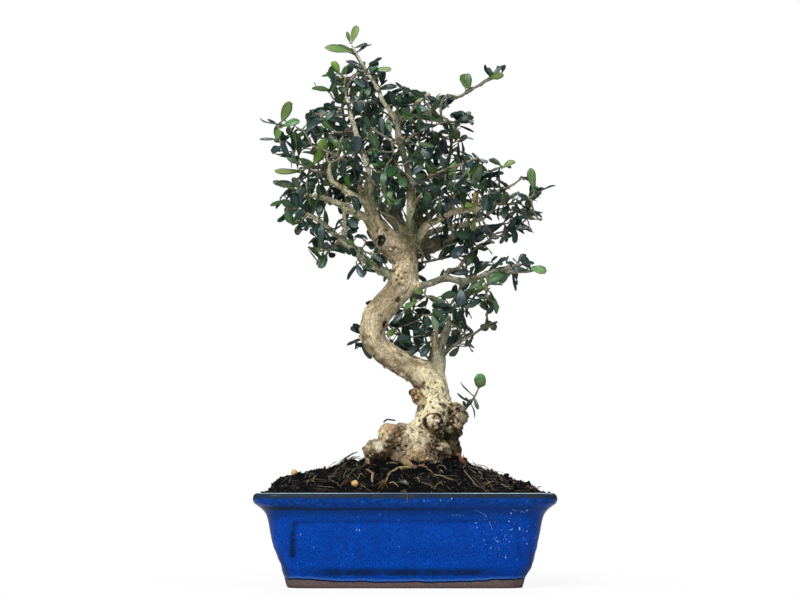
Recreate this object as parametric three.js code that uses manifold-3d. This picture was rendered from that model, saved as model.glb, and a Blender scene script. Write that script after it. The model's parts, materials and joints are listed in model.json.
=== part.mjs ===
// Olive bonsai in a glazed rectangular pot. Millimetres, +Z up, origin on the
// ground under the middle of the pot. The pot's long side runs along X and its
// front looks along -Y.
import * as THREE from 'three';
import { mergeVertices } from 'three/addons/utils/BufferGeometryUtils.js';
import Module from 'manifold-3d';

const wasm = await Module();
wasm.setup();

// ---------------------------------------------------------------- dimensions
const POT_LENGTH = 200.6; // over the lip
const POT_DEPTH_SHARE = 0.75; // depth over length at every height
const CORNER_SHARE = 0.17; // corner radius over half length
const CORNER_STEPS = 5; // flats in each rounded corner
const RIM_Z = 62.3; // top of the lip
const FLOOR_Z = 12; // inside floor
const RECESS_Z = 5; // hollow under the pot, inside the foot
const HOLE_R = 7; // drain holes
const HOLE_X = 38; // their distance from the middle
const MESH_SIDE = 24; // plastic mesh over each hole
const MESH_THICK = 1.2;
const MESH_CELL = 6;
const MESH_BAR = 1.4;
const GAP = 0.35; // clearance between neighbouring pieces
const SOIL_SIDE_GAP = 0.4;
const PRILL_R = 2.3; // fertiliser prills

// Outside of the pot from the foot to the top of the lip: half length, height.
const POT_OUTSIDE = [
  [77.6, 0], [79.4, 5.6], [80.3, 7.8], [83.5, 13.6], [84.9, 19.9], [87.6, 28],
  [90.5, 43.5], [92.2, 48.6], [95.2, 52.2], [99.2, 55.3], [100.3, 57.8], [99.6, 61], [97, RIM_Z],
];
// Inside, from the lip down to the floor.
const POT_INSIDE = [[93.4, RIM_Z], [91.4, 60.6], [87.4, 40], [83.2, 22], [78.5, FLOOR_Z]];

// Height of the soil along the middle of the pot: x, z.
const SOIL_LINE = [
  [-93, 61.5], [-88.6, 69.6], [-84, 72.4], [-74.7, 74], [-62.3, 77.4], [-53, 78.6], [-43.8, 82], [-37.6, 84.8], [-28, 86], [0, 87],
  [30, 86.2], [38.2, 84], [42.9, 82.8], [49, 79.6], [58.4, 77.4], [70.8, 72.4], [80, 70.4], [87.7, 66.6], [93, 61.5],
];

// Limbs: number of sides, then points x, y, z, radius from foot to tip.
const LIMBS = [
  // trunk
  [8, [[11.88, 0, 53.79, 20.8], [11.94, 0, 69.67, 23.31], [11.22, 0, 83.32, 22.88], [15, 1.25, 96.53, 17.64], [20.26, 2.75, 113.89, 13.23], [20.91, 3.74, 123.11, 11.65], [20.05, 4.11, 132.89, 10.43], [17.54, 3.84, 138.35, 9.95], [11.32, 3, 144.69, 9.45], [-1.65, 0.3, 151.79, 8.85], [-16.1, -4, 160.57, 8.02], [-20.93, -6, 166.67, 8.49], [-22.45, -7, 173.53, 8.96], [-18.32, -5.7, 185.35, 9.08], [-12.32, -4.41, 192.85, 8.96], [-4.46, -1.59, 201.94, 9.28], [-0.15, 0, 210.49, 9.57], [0.42, 2, 222.67, 8.33], [-4.68, 1, 232.4, 9.99]]],
  // left leader
  [7, [[-4.68, 1, 232.4, 9.99], [-12.07, -1.96, 237.42, 8.68], [-18.36, -5.37, 245.92, 6.69], [-22.9, -8, 257.2, 4.55], [-25.23, -9.15, 266.58, 3.64], [-25.28, -9, 271.8, 3.58], [-22.32, -7, 279.52, 2.9], [-12.1, -3, 286.9, 1.8], [-9.73, -2, 291.61, 1.38]]],
  // pale upright on the leader
  [5, [[-24.86, -9, 273.21, 2.48], [-25.65, -13, 286.4, 1.92], [-29.66, -15, 298.92, 2.06], [-36.62, -13.56, 320.33, 1.61]]],
  // pruned stub
  [5, [[-24.45, -8.76, 263.45, 2.06], [-27.61, -10, 262.51, 2.06], [-32.09, -13, 276.99, 1.3]]],
  // curled dry twig
  [4, [[-24.2, -8.64, 262.43, 1.1], [-23.41, -12, 262.21, 1.1], [-18.68, -14, 271.92, 0.75], [-15.07, -14, 274.16, 0.75]]],
  // lowest left limb
  [5, [[-3.98, -1, 206.87, 3.46], [-8.85, -3, 211.56, 3.32], [-31.79, -17.89, 225.57, 2.77], [-46.82, -25, 237.38, 2.04], [-63.98, -33, 250.18, 1.58]]],
  // its upright
  [5, [[-42.55, -23, 233.85, 2.04], [-42.56, -16, 257.41, 1.16]]],
  // its side twig
  [5, [[-43.15, -23.26, 234.5, 1.63], [-47.61, -25.81, 231.12, 1.44]]],
  // second left limb
  [5, [[-21.38, -7, 249.62, 3.45], [-46.98, -21.67, 260.74, 2.23], [-68.2, -32, 265.59, 1.08]]],
  // third left limb
  [5, [[-23.45, -9, 259.86, 2.75], [-50.5, -22, 276.15, 1.91], [-51.46, -25, 287.35, 1.09]]],
  // its thin end
  [4, [[-50.65, -22.48, 277.93, 1.23], [-51.96, -22.88, 279.36, 1.12]]],
  // middle limb
  [5, [[-1.67, 1.59, 226.66, 5.22], [-1.18, 5, 227.26, 5.22], [3.9, 7.62, 237.19, 3.94], [4.19, 8, 258.27, 3.12], [4.47, 8, 279.14, 3.07]]],
  // side stub
  [5, [[4.24, 8, 262.26, 1.81], [13.8, -1, 272.15, 0.76]]],
  // stem up to the crown
  [5, [[4.33, 8, 268.4, 2.51], [4.48, 10, 268.4, 2.51], [3.07, 12.78, 284.78, 2.33], [-3.85, 0, 308.03, 2.43], [-5.67, -2, 328.52, 1.59]]],
  // crown stem, left
  [5, [[-5.39, -2, 322.6, 1.94], [-14.94, -4, 334.67, 1.59], [-23.8, -6.04, 351.74, 1.33], [-36.97, -8, 374.33, 0.76]]],
  // crown stub
  [5, [[-5.39, -2, 322.6, 1.65], [17.05, -6, 340.45, 1.31]]],
  // crown stem, right
  [5, [[-5.03, -1.29, 321.26, 1.6], [19.43, 4.12, 330.85, 1.4], [39.66, 1.5, 340.75, 1], [59.14, -2, 351.31, 0.76]]],
  // rear middle limb
  [5, [[3.23, 7.28, 235.89, 3.49], [0.23, 9, 236.97, 4.19], [-5.42, 20, 259.17, 3.66], [-12.24, 28.74, 273.84, 2.89], [-23.51, 38, 301.17, 1.71]]],
  // inner limb
  [5, [[-4.68, 1, 232.4, 2.79], [-2.58, 6, 240.12, 2.79], [-4.06, 8, 246.06, 2.65], [-21.62, 20.77, 270.21, 1.47]]],
  // first right limb
  [5, [[2.79, 7.05, 235.02, 3.58], [4.44, 6, 234.46, 3.76], [16.8, -4.44, 248.47, 2.63], [33.4, -12, 255.98, 2.34], [49.11, -18, 257.81, 2.05], [58.2, -22, 261.94, 1.5]]],
  // upright stub
  [5, [[47.8, -18, 257.46, 2.19], [49.16, -18, 268.28, 1.91]]],
  // second right limb
  [5, [[1.85, 6.57, 233.19, 3.21], [4.44, 7, 231.75, 3.21], [10.08, 8, 239.46, 2.44], [19.19, 10, 244.7, 2.24], [54.75, 15, 254.87, 1.4]]],
  // third right limb
  [5, [[0.89, 6.07, 231.32, 3.76], [9.56, 10.22, 235.04, 3.35], [34.99, 27.18, 243.95, 2.46], [60.16, 40, 253.35, 1.43]]],
  // rear right limb
  [5, [[3.93, 7.67, 239.58, 3.15], [4.47, 12, 239.49, 3.15], [11.69, 24, 262.2, 2.68], [20.76, 32.78, 270.7, 2.33], [31.69, 43.94, 301.03, 1.43]]],
  // thin upright
  [4, [[33.82, -12, 255.91, 1.1], [32.97, -13, 262.97, 0.89]]],
  // thin right twig
  [5, [[0.34, 1.7, 220.84, 1.53], [2.32, 5, 220.21, 1.53], [14.33, 10, 223.57, 1.03]]],
  // long low right limb
  [5, [[-3.57, -1.27, 203.69, 3.46], [0.89, -3, 201.76, 3.46], [25.71, -9.3, 209.48, 2.29], [42.37, -14, 207.36, 2.24], [79.13, -25, 217.37, 1.36]]],
  // its fork
  [5, [[65.36, -21, 213.69, 1.5], [86.56, -28, 212.89, 1.09]]],
  // knee twig
  [5, [[28.21, -10, 209.16, 1.79], [30.85, -2, 215.88, 1.66]]],
  // its upper twig
  [5, [[30.85, -2, 215.88, 1.66], [37.19, 0, 218.21, 1.39], [43.13, 2.5, 225.6, 1.26]]],
  // lower right stem
  [5, [[20.41, 6, 137.55, 7.66], [23.58, 9, 160.25, 4.75], [29.68, 11, 174.73, 2.73], [31.98, 12, 187.08, 0.75]]],
  // its left fork
  [5, [[22.55, 7, 154.37, 3.83], [20.87, 3.94, 167.17, 2.41], [22.49, 2, 175.39, 1.39]]],
  // its long right twig
  [5, [[22.78, 8.25, 154.56, 1.81], [23.21, 5, 154.93, 1.81], [39.93, -5, 167.02, 1.24]]],
  // end of that twig
  [4, [[39.93, -5, 167.02, 0.89], [53.96, -11, 175.41, 0.89], [63.33, -17, 179.59, 0.75]]],
  // twig behind the bend
  [4, [[22.59, 9, 153.8, 1.4], [11.07, 15.7, 160.53, 0.94]]],
  // twig into the bend
  [4, [[23.59, 9, 160.28, 1.4], [21.18, 8, 161.44, 1.4], [17.34, 11.06, 172.11, 0.96]]],
  // rear limb
  [5, [[1.58, 6.43, 232.66, 3.84], [-0.47, 8, 233.3, 4.53], [-2.47, 25.26, 248.7, 3.33], [-6.18, 42, 266.75, 2.58], [-9.12, 52, 281.49, 2.02], [-10.61, 58, 295.77, 1.45]]],
  // rear right limb
  [5, [[5.19, 14, 242.6, 2.94], [24.1, 38, 266.16, 2.14], [49.28, 54, 286.24, 1.3]]],
  // rear left limb
  [5, [[-3.26, 28.82, 252.54, 2.4], [-4, 26, 255, 2.4], [-30.03, 43, 276.95, 1.81], [-43.99, 48, 285.26, 1.44], [-58.63, 50, 291.48, 1.08]]],
  // low rear right limb
  [5, [[0.42, 2, 222.67, 3.49], [1.63, 8, 223.39, 3.49], [8.06, 20, 229.11, 2.96], [15.46, 28.15, 232.93, 2.59], [30.56, 40.47, 240.2, 2.08], [46.08, 50, 247.42, 1.44]]],
  // rear upper limb
  [5, [[-5.94, 40.95, 265.62, 2], [-0.58, 46.61, 283.17, 1.68], [6.9, 48, 297.03, 1.44], [10.46, 46.46, 308.57, 1.21]]],
  // low rear limb
  [5, [[22.64, 8.11, 153.51, 2.38], [23.3, 10, 153.17, 2.38], [33.73, 26.29, 166.29, 1.57]]],
  // front limb
  [5, [[4.41, 8, 274.19, 1.81], [4.46, 6, 274.19, 1.81], [-2.59, -22.12, 282.09, 1.47]]],
  // front right limb
  [5, [[4.43, 8, 275.61, 1.67], [4.46, 6, 275.61, 1.67], [24.33, -25.49, 281.42, 1.31]]],
  // front left limb
  [5, [[-25.35, -11.47, 281.37, 1.51], [-37.05, -26.69, 287.06, 1.29]]],
  // outer right twig
  [5, [[54.26, -20.27, 260.15, 1.48], [63.46, -27.52, 265.71, 1.22]]],
  // outer right twig
  [4, [[57.99, -22, 261.39, 1.36], [65.44, -24, 259.7, 1.16]]],
  // front upper twig
  [4, [[-4.03, -0.2, 310.12, 1.39], [-0.13, -5.74, 308.78, 1.29]]],
  // upper right twig
  [4, [[31.69, 43.94, 301.03, 1.21], [32.95, 42, 304.81, 1.29], [33.84, 37.64, 313.02, 1.12]]],
  // hanging twig
  [4, [[56.08, -18.1, 211.1, 1.3], [57.14, -20, 206.21, 1.09]]],
  // hanging twig
  [4, [[39.52, -13, 207.66, 1.37], [37.15, -6, 199.82, 1.18]]],
  // woody twig
  [4, [[-43.38, -23, 234.4, 2.59], [-33.68, -22.2, 229.76, 1.5]]],
  // woody twig
  [4, [[24.05, 3.52, 333.12, 0.85], [28.57, -20, 317.65, 0.85], [29.4, -13.54, 320.65, 1.5], [26.83, -11.7, 322.39, 1.5]]],
  // woody twig
  [4, [[-36.62, -13.56, 320.33, 1.2], [-40.53, -9.67, 337.94, 1.2], [-39.12, -18.48, 343.92, 1.27]]],
  // woody twig
  [4, [[-40.53, -9.67, 337.94, 1.2], [-34.45, -7.33, 340.95, 1.26], [-32.08, -7.96, 343.59, 1.24], [-30.9, -9.05, 346.81, 1.17]]],
  // woody twig
  [4, [[-68.2, -32, 265.59, 0.85], [-75.42, -33, 287.86, 0.85], [-75.83, -30.63, 290.54, 1.2]]],
  // woody twig
  [4, [[43.13, 2.5, 225.6, 0.9], [51.07, 5, 233.97, 0.9], [54.22, 5.64, 235.6, 1.07]]],
  // woody twig
  [4, [[-2.59, -22.12, 282.09, 0.87], [-8.72, -42, 299.55, 0.87], [-11.64, -42.19, 301.65, 1.11]]],
];
// Roots that show on the soil.
const ROOTS = [
  [5, [[34.64, -8, 92.12, 3.44], [37.82, -11, 86.94, 2.2], [41.47, -14, 82.12, 1.78], [45.1, -17, 77.67, 1.51]]],
  [5, [[-21.09, -12, 89.99, 3.43], [-24.45, -15, 84.49, 2.47], [-27.76, -20, 79, 1.77], [-29.71, -24, 73.57, 1.5]]],
  [5, [[14.4, -20, 85.1, 3.07], [8.88, -28, 80.27, 2.03], [-0.59, -32, 78.55, 1.35], [-7.99, -35, 77.19, 1.08], [-12.46, -38, 72.82, 0.94]]],
  [5, [[30.24, 14, 87.67, 4.2], [40.4, 26, 82.95, 2.83], [49.22, 36, 78.12, 2.14]]],
  [5, [[-3.28, 18, 87.74, 4.22], [-13.18, 30, 82.3, 2.84], [-21.79, 40, 76.74, 2.14]]],
];
// Burls and swellings: x, y, z, radius.
const BURLS = [
  [-12.59, -14, 104.69, 6.58],
  [-21.16, -12, 91.7, 7.56],
  [-9.43, -16, 95.5, 6.85],
  [8.45, -6, 130, 5.52],
  [19.43, -15, 110.54, 7.54],
  [33.66, -4, 119.53, 5.53],
  [37.81, -3, 112.95, 5.19],
  [35.34, -4, 104.37, 5.53],
  [33.42, -5, 94.44, 5.87],
  [2.19, -14, 98.14, 10.29],
  [13.12, -14, 91.32, 10.97],
  [-0.55, -12, 87.94, 9.62],
  [20.41, 10, 101.51, 11.88],
  [28.8, 12, 90.42, 10.49],
  [16.36, 20, 85.67, 9.85],
  [-1.18, 22, 87.8, 7.75],
  [39.55, 0, 87.45, 6.24],
];
// Leafy shoots. A stem is a row of points x, y, z, radius. A leaf is its foot,
// its tip, the way its upper face looks, and its width.
const SHOOTS = [
  {
    name: 'leafy_shoot_01',
    stems: [
      [[13.86, 7.4, 223.62, 1], [12.43, 5.9, 223.33, 1.02], [12.19, 2.42, 224.2, 1], [11.93, -2.95, 228.65, 0.9], [7.2, -10.51, 234.65, 0.62], [4.72, -13.11, 234.85, 0.62], [5.26, -17.88, 225.24, 0.62]],
    ],
    leaves: [
      [4.94, -14.69, 231.56, 11.09, -14.31, 219.53, -0.47, -0.84, -0.29, 6.17],
      [13.84, 7.27, 223.67, 15.95, -0.65, 228.52, 0.14, 0.32, 0.94, 4.85],
      [12.09, -0.36, 226.4, 15.18, -11.93, 222.58, -0.96, -0.23, 0.15, 5.46],
      [11.8, -3.19, 228.93, 12.73, -4.37, 240.76, 0.27, -0.95, -0.13, 5.98],
    ],
  },
  {
    name: 'leafy_shoot_02',
    stems: [
      [[-4.16, -1.28, 332.69, 1.14], [0.21, 2.28, 344.77, 0.7], [0.48, 5.75, 345.66, 0.67], [-0.4, 14.06, 338.96, 0.62]],
      [[-0.94, 1.34, 341.59, 0.79], [-0.2, -5.1, 345.84, 0.62]],
      [[-4.16, -1.28, 332.69, 1.08], [5.75, 1.03, 333.68, 0.69], [11.91, 4.63, 333.15, 0.62], [14.1, 6.95, 334.81, 0.62], [20.18, 8.56, 338.19, 0.62]],
    ],
    leaves: [
      [8.8, 2.92, 333.38, 4.89, 16.51, 329.42, 0.24, 0.31, 0.92, 5.77],
      [6, 1.12, 333.73, 15.15, -1.54, 343.1, -0.07, 0.94, 0.33, 5.49],
      [-3.31, -0.49, 335.19, -7.79, 9.17, 343.23, 0.55, -0.36, 0.75, 6.54],
      [-2.08, 0.49, 338.37, 1.05, 12.72, 337.71, -0.88, 0.21, -0.43, 6.07],
      [0.21, 8.61, 343.43, 3, 21.28, 343.51, -0.12, 0.06, 0.99, 6.17],
      [-3.97, -1.23, 333.11, 2.8, -8.09, 339.65, -0.78, -0.59, 0.23, 5.45],
      [-1.04, 1.33, 341.59, -13.33, -0.38, 341.98, 0.04, -0.34, 0.94, 5.98],
      [-0.01, 11.31, 341.19, 12.39, 11.92, 343.03, -0.02, -0.93, 0.37, 5.92],
    ],
  },
  {
    name: 'leafy_shoot_03',
    stems: [
      [[3, -8.5, 308.93, 1.24], [10.62, -14, 311.77, 1.03], [7.08, -16.64, 317.45, 0.62], [3.23, -16.97, 323.51, 0.62]],
      [[8.57, -12.52, 311.01, 1.02], [10.03, -16.31, 300.84, 0.62], [8.9, -18.97, 298.69, 0.62]],
      [[6.43, -10.98, 310.21, 1.08], [10.89, -2.69, 314.75, 0.62]],
      [[3, -8.5, 308.93, 1.18], [-3.81, -14.64, 302.81, 0.63], [-6.56, -16.96, 302.97, 0.62], [-9.56, -19.13, 309, 0.62]],
      [[-1.59, -12.64, 304.8, 0.77], [0.75, -10.16, 298.95, 0.62]],
    ],
    leaves: [
      [7.83, -8.34, 311.72, 8.78, -1.55, 325.04, 1, -0.04, -0.03, 6.81],
      [-6.57, -16.88, 302.94, -19.35, -14.32, 299.59, -0.31, -0.41, 0.86, 6.42],
      [9.63, -15.11, 304.14, 20.27, -21.67, 299.58, 0.09, 0.68, -0.73, 6.49],
      [3.24, -8.75, 308.95, 4.45, -18.07, 301.59, 0.26, -0.52, 0.81, 5.54],
      [9.03, -13.8, 307.43, 4.05, -11.16, 296.65, 0.77, -0.42, -0.48, 5.11],
      [8.8, -15.41, 314.63, 3.05, -26.15, 316.96, 0.19, 0.11, 0.98, 5.86],
      [9.95, -16.29, 301.15, 5.47, -27.91, 301.68, 0.34, -0.07, 0.94, 5.92],
      [-8.05, -18, 306.07, -6.97, -12.48, 316.52, -0.83, 0.53, -0.18, 5.79],
    ],
  },
  {
    name: 'leafy_shoot_04',
    stems: [
      [[26.93, -28.43, 282.02, 1.26], [36.78, -36.72, 284.49, 1.05], [49.7, -42, 288.53, 0.81], [53, -36.32, 285.61, 0.62], [53.92, -29.88, 283.02, 0.62]],
      [[41.8, -38.77, 286.06, 0.91], [44.79, -40.03, 271.94, 0.62]],
      [[34.78, -35.04, 283.99, 1.04], [34.17, -39.33, 277.99, 0.62], [33.35, -43.12, 267.94, 0.62]],
      [[28.46, -29.71, 282.4, 1.16], [27.91, -31.61, 275.47, 0.62], [23.91, -35.22, 270.89, 0.62]],
      [[26.93, -28.43, 282.02, 1.2], [18.63, -37.64, 274.89, 0.62], [13.91, -45.56, 263.97, 0.62]],
    ],
    leaves: [
      [52.86, -36.43, 285.63, 46.18, -24.25, 273.17, 0.76, 0.62, 0.19, 7.61],
      [49.33, -41.93, 288.38, 53.4, -58.64, 282.75, 0.44, -0.21, 0.88, 8.82],
      [44.45, -39.95, 286.85, 44.42, -56.12, 280.41, -0.55, -0.32, 0.78, 7.74],
      [43.25, -39.4, 278.83, 32.42, -38.88, 265.81, 0.61, -0.56, -0.56, 7.12],
      [16.21, -41.69, 269.43, 6.27, -55.78, 271.4, 0.8, -0.49, 0.35, 7.01],
      [33.82, -40.6, 274.59, 20.42, -41.87, 265.06, 0.31, -0.89, -0.34, 7.04],
      [18.79, -37.4, 275.08, 4.55, -43.1, 271.52, 0.34, -0.94, 0.09, 6.64],
      [34.4, -37.31, 280.88, 23.54, -46.69, 277.51, 0.32, -0.03, -0.95, 6.95],
    ],
  },
  {
    name: 'leafy_shoot_05',
    stems: [
      [[32.59, -13.43, 266.78, 0.82], [32.07, -14, 272.2, 0.69], [40.84, -5.8, 280.01, 0.62], [40.55, 0.62, 283.08, 0.62], [37.57, 2.6, 283.41, 0.62], [34.14, 3.07, 282.41, 0.62]],
      [[38.65, -7.86, 278.05, 0.74], [41.96, -9.36, 278.67, 0.62], [45.95, -14.7, 276.48, 0.62]],
      [[32.37, -13.67, 269.04, 0.72], [30.68, -20.54, 269.6, 0.62], [32.62, -24.55, 274.95, 0.62]],
      [[32.59, -13.43, 266.78, 0.78], [24.32, -24.83, 264, 0.62], [21, -25.25, 262.68, 0.62]],
    ],
    leaves: [
      [30.44, -16.29, 266.05, 14.4, -20.04, 261, -0.2, -0.34, 0.92, 7],
      [26.33, -22.02, 264.75, 16.43, -30.08, 272.97, 0.49, -0.84, -0.24, 7.21],
      [41.93, -9.34, 278.72, 52.07, -13.05, 289.01, -0.2, 0.85, 0.5, 5.97],
      [32.57, -24.43, 274.88, 34.67, -24.04, 289.42, -0.58, -0.81, 0.11, 6.02],
      [40.68, -6.06, 279.8, 53.66, -7.94, 283.45, -0.19, 0.33, 0.92, 5.49],
      [36.52, -9.91, 276.19, 44.16, -11.49, 287.04, -0.06, 0.98, 0.2, 5.7],
      [38.67, -7.92, 277.98, 41.05, -16.4, 269.31, -0.98, -0.16, -0.12, 5.31],
      [28.48, -19.16, 265.31, 30.09, -25.73, 255.09, -0.08, -0.85, 0.52, 5.04],
    ],
  },
  {
    name: 'leafy_shoot_06',
    stems: [
      [[57.79, 13.9, 257.3, 1.12], [57.59, 13.76, 263.52, 0.75], [52.16, 12.94, 276.78, 0.62], [51.31, 9.66, 278.02, 0.62], [51.73, 6.23, 277.02, 0.62]],
      [[57.79, 13.9, 257.3, 1.06], [62.12, 9.39, 259.8, 0.79], [72.07, 5.56, 260.86, 0.62], [75.32, 7.01, 260.32, 0.62], [75.51, 10.58, 260.76, 0.62]],
    ],
    leaves: [
      [54.91, 13.38, 270.23, 60.96, 18.99, 285.65, -0.66, -0.59, 0.46, 8.1],
      [75.19, 6.88, 260.32, 69.9, -7.43, 257.49, 0.12, -0.23, 0.97, 6.54],
      [57.54, 13.82, 263.4, 49.82, 21.24, 273.43, 0.56, -0.39, 0.73, 6.26],
      [52.23, 12.97, 276.42, 39.31, 14.11, 282.08, 0.34, -0.3, 0.89, 6.39],
      [65.47, 8.05, 260.09, 71.46, -1.05, 252.62, 0.57, -0.3, 0.77, 5.73],
      [68.81, 6.78, 260.57, 75.27, -0.11, 269.29, 0.38, 0.83, 0.41, 5.57],
      [57.8, 13.88, 259.94, 69.53, 18.94, 257.98, 0.14, 0.07, 0.99, 4.76],
      [51.39, 9.68, 277.99, 57.59, -1.11, 278.83, -0.01, 0.07, 1, 5.71],
    ],
  },
  {
    name: 'leafy_shoot_07',
    stems: [
      [[-53.17, -38.3, 293.64, 1.01], [-63.1, -42, 296.79, 0.81], [-69.36, -36.94, 308.69, 0.7], [-72.83, -36.43, 309.49, 0.67], [-72.86, -33.06, 310.78, 0.62], [-72.9, -29.55, 310, 0.62], [-70.34, -27.04, 310.33, 0.62]],
      [[-53.17, -38.3, 293.64, 0.96], [-52.87, -42.19, 287.55, 0.62], [-51.49, -44.67, 285.33, 0.62], [-48.87, -47.12, 285.09, 0.62], [-40.12, -52.01, 289.01, 0.62]],
    ],
    leaves: [
      [-67.73, -38.17, 305.78, -55.79, -31.95, 317.74, 0.02, -0.89, 0.46, 8.42],
      [-66.23, -39.38, 302.77, -67.01, -25.14, 309.1, -0.41, -0.38, 0.83, 7.57],
      [-53.01, -40.36, 290.57, -51.92, -55.63, 290.17, -0.99, -0.05, -0.1, 7.2],
      [-51.57, -44.69, 285.38, -56.94, -57.94, 282.79, 0.76, -0.41, 0.5, 7.16],
      [-40.33, -51.94, 288.93, -32.03, -62.49, 294.11, -0.39, 0.14, 0.91, 6.15],
      [-45.92, -48.78, 286.48, -40.86, -52.96, 298.27, 0.57, -0.68, -0.46, 6.67],
      [-60.47, -41.04, 296.04, -64.32, -44.96, 308.12, -0.96, 0.08, -0.28, 6.19],
      [-72.69, -36.5, 309.4, -68.26, -43.57, 300.31, 0.91, 0.07, 0.4, 4.85],
    ],
  },
  {
    name: 'leafy_shoot_08',
    stems: [
      [[-40.78, -9.36, 340.61, 1.2], [-41.45, -8.56, 347.56, 1.49], [-41.2, -5.54, 349.51, 1.04], [-45.24, 3.51, 353.29, 0.99], [-47.48, 5.15, 355.58, 0.76], [-50.13, 2.9, 365.6, 0.62]],
      [[-41.45, -8.56, 347.56, 1.41], [-41.58, -8.27, 351.15, 1.09], [-50.15, -7.72, 357.52, 0.72], [-50.62, -7.72, 361.09, 0.7], [-48.48, -14.18, 362.39, 0.62]],
    ],
    leaves: [
      [-47.34, 5.15, 355.46, -37.69, 11.4, 349.04, 0.4, -0.88, -0.25, 5.57],
      [-44.54, -8.14, 353.44, -35.71, -15.03, 357.6, -0.48, -0.8, -0.36, 4.86],
      [-44, 0.57, 352.09, -55.51, 4.55, 357.64, 0.56, 0.38, 0.74, 5.48],
      [-40.85, -9.26, 340.87, -46.71, 0.26, 346.59, 0.66, 0.65, -0.37, 5.81],
      [-45.37, 3.59, 353.29, -53.52, 7.53, 344.83, -0.55, 0.4, 0.73, 6.18],
    ],
  },
  {
    name: 'leafy_shoot_09',
    stems: [
      [[-29.53, -22.09, 228.04, 1.35], [-23.74, -22.24, 225.66, 0.97], [-17.67, -25.57, 225.57, 0.78], [-17.63, -27.76, 228.42, 0.64], [-19.35, -28.68, 231.45, 0.62], [-18.17, -28.17, 234.81, 0.62]],
    ],
    leaves: [
      [-20.68, -23.8, 225.6, -16.3, -5.8, 223.01, 0.35, 0.02, 0.94, 6.93],
      [-29.29, -22.03, 228, -21.6, -14.68, 231.18, 0.31, -0.63, 0.71, 5.1],
      [-17.8, -25.55, 225.53, -12.63, -34.16, 221.28, 0.53, -0.11, 0.84, 4.91],
    ],
  },
  {
    name: 'leafy_shoot_10',
    stems: [
      [[35.31, -3.35, 197.04, 1.11], [34.28, -2, 195.57, 1.04], [40.46, 1.36, 195.18, 0.7], [45.33, 6.04, 197.58, 0.64], [48.86, 5.77, 196.9, 0.62], [51.26, 3.38, 195.69, 0.62]],
      [[34.28, -2, 195.57, 0.99], [31.56, 0.74, 192.06, 0.86], [28.49, 5.29, 196.72, 0.62]],
      [[35.31, -3.35, 197.04, 1.05], [37.96, -4.9, 195, 0.66], [39.42, -8.4, 188.94, 0.62], [35.38, -14.14, 188.35, 0.62]],
    ],
    leaves: [
      [37.39, -0.23, 195.35, 40.32, 13.01, 191.18, 0.92, -0.1, 0.37, 6.04],
      [35.41, -14.01, 188.39, 23.01, -19.4, 191.9, 0.35, -0.21, 0.91, 6.62],
      [38.76, -6.72, 191.95, 47.68, -16.15, 189.42, -0.2, 0.1, -0.98, 6.14],
      [42.94, 3.69, 196.47, 48.53, 3.09, 207.77, 0.15, 0.99, -0.04, 5.45],
      [48.79, 5.87, 196.9, 52.85, 17.24, 193.93, 0.45, 0.07, 0.89, 5.13],
      [35.27, -3.39, 196.95, 34.31, -13.94, 190.34, -0.02, -0.58, 0.81, 6.1],
      [40.63, 1.42, 195.2, 42.95, -8.92, 188.51, 0.19, -0.5, 0.84, 5.98],
      [37.44, -11.25, 188.56, 42.98, -8.3, 177.11, 0.81, -0.53, 0.24, 5.78],
    ],
  },
  {
    name: 'leafy_shoot_11',
    stems: [
      [[68.98, -24.88, 259.39, 1.09], [73.57, -26, 259.39, 0.95], [74.28, -23.56, 261.94, 0.83], [77.02, -13.36, 259.86, 0.66], [81.91, -4.3, 256.76, 0.62], [87.91, -1.18, 254.37, 0.62], [90.21, -2.69, 256.69, 0.62]],
      [[73.57, -26, 259.39, 0.9], [76.28, -26.59, 259.97, 0.84], [79.65, -25.38, 259.54, 0.63], [81.63, -23, 257.7, 0.62], [86.23, -11.56, 244.98, 0.62]],
      [[68.98, -24.88, 259.39, 1.03], [72.66, -8.98, 266.77, 0.62]],
    ],
    leaves: [
      [86.04, -11.98, 245.34, 76.78, -25.86, 241.99, 0.43, -0.45, 0.79, 8.62],
      [84.39, -16.01, 250.04, 83.01, 1.37, 250.62, 0.49, 0.04, 0.87, 8.03],
      [69.1, -25.01, 259.43, 66.78, -39.96, 265.29, 0.04, 0.36, 0.93, 7.92],
      [70.82, -25.4, 259.32, 67.25, -35.1, 247.88, -0.29, -0.68, 0.67, 6.37],
      [76.95, -13.61, 259.84, 77.84, -5.52, 247.63, 0.82, 0.46, 0.35, 6.3],
      [80.38, -7.27, 257.79, 92.68, -0.59, 258.49, -0.13, 0.19, 0.97, 6.8],
      [82.64, -20.71, 255.11, 94.76, -21.2, 250.42, 0.34, 0.59, 0.73, 5.25],
      [75.23, -20.1, 261.18, 80.34, -12.99, 252.58, 0.79, -0.61, -0.01, 5.65],
    ],
  },
  {
    name: 'leafy_shoot_12',
    stems: [
      [[-38.62, 33.6, 316.45, 1.27], [-41.02, 31.39, 320.52, 1.18], [-45.25, 26.37, 317.61, 0.78], [-49.41, 23.11, 312.97, 0.73], [-55.57, 24.2, 304.33, 0.62], [-61.34, 20.34, 304.24, 0.62]],
      [[-41.02, 31.39, 320.52, 1.12], [-42.13, 30, 323.07, 1.08], [-44.43, 17.69, 316.09, 0.62], [-49.1, 9.95, 305.02, 0.62]],
      [[-38.62, 33.6, 316.45, 1.2], [-40.78, 24.61, 311.26, 0.62], [-40.38, 21.19, 310.22, 0.62], [-34.93, 16.93, 311.89, 0.62]],
    ],
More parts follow.
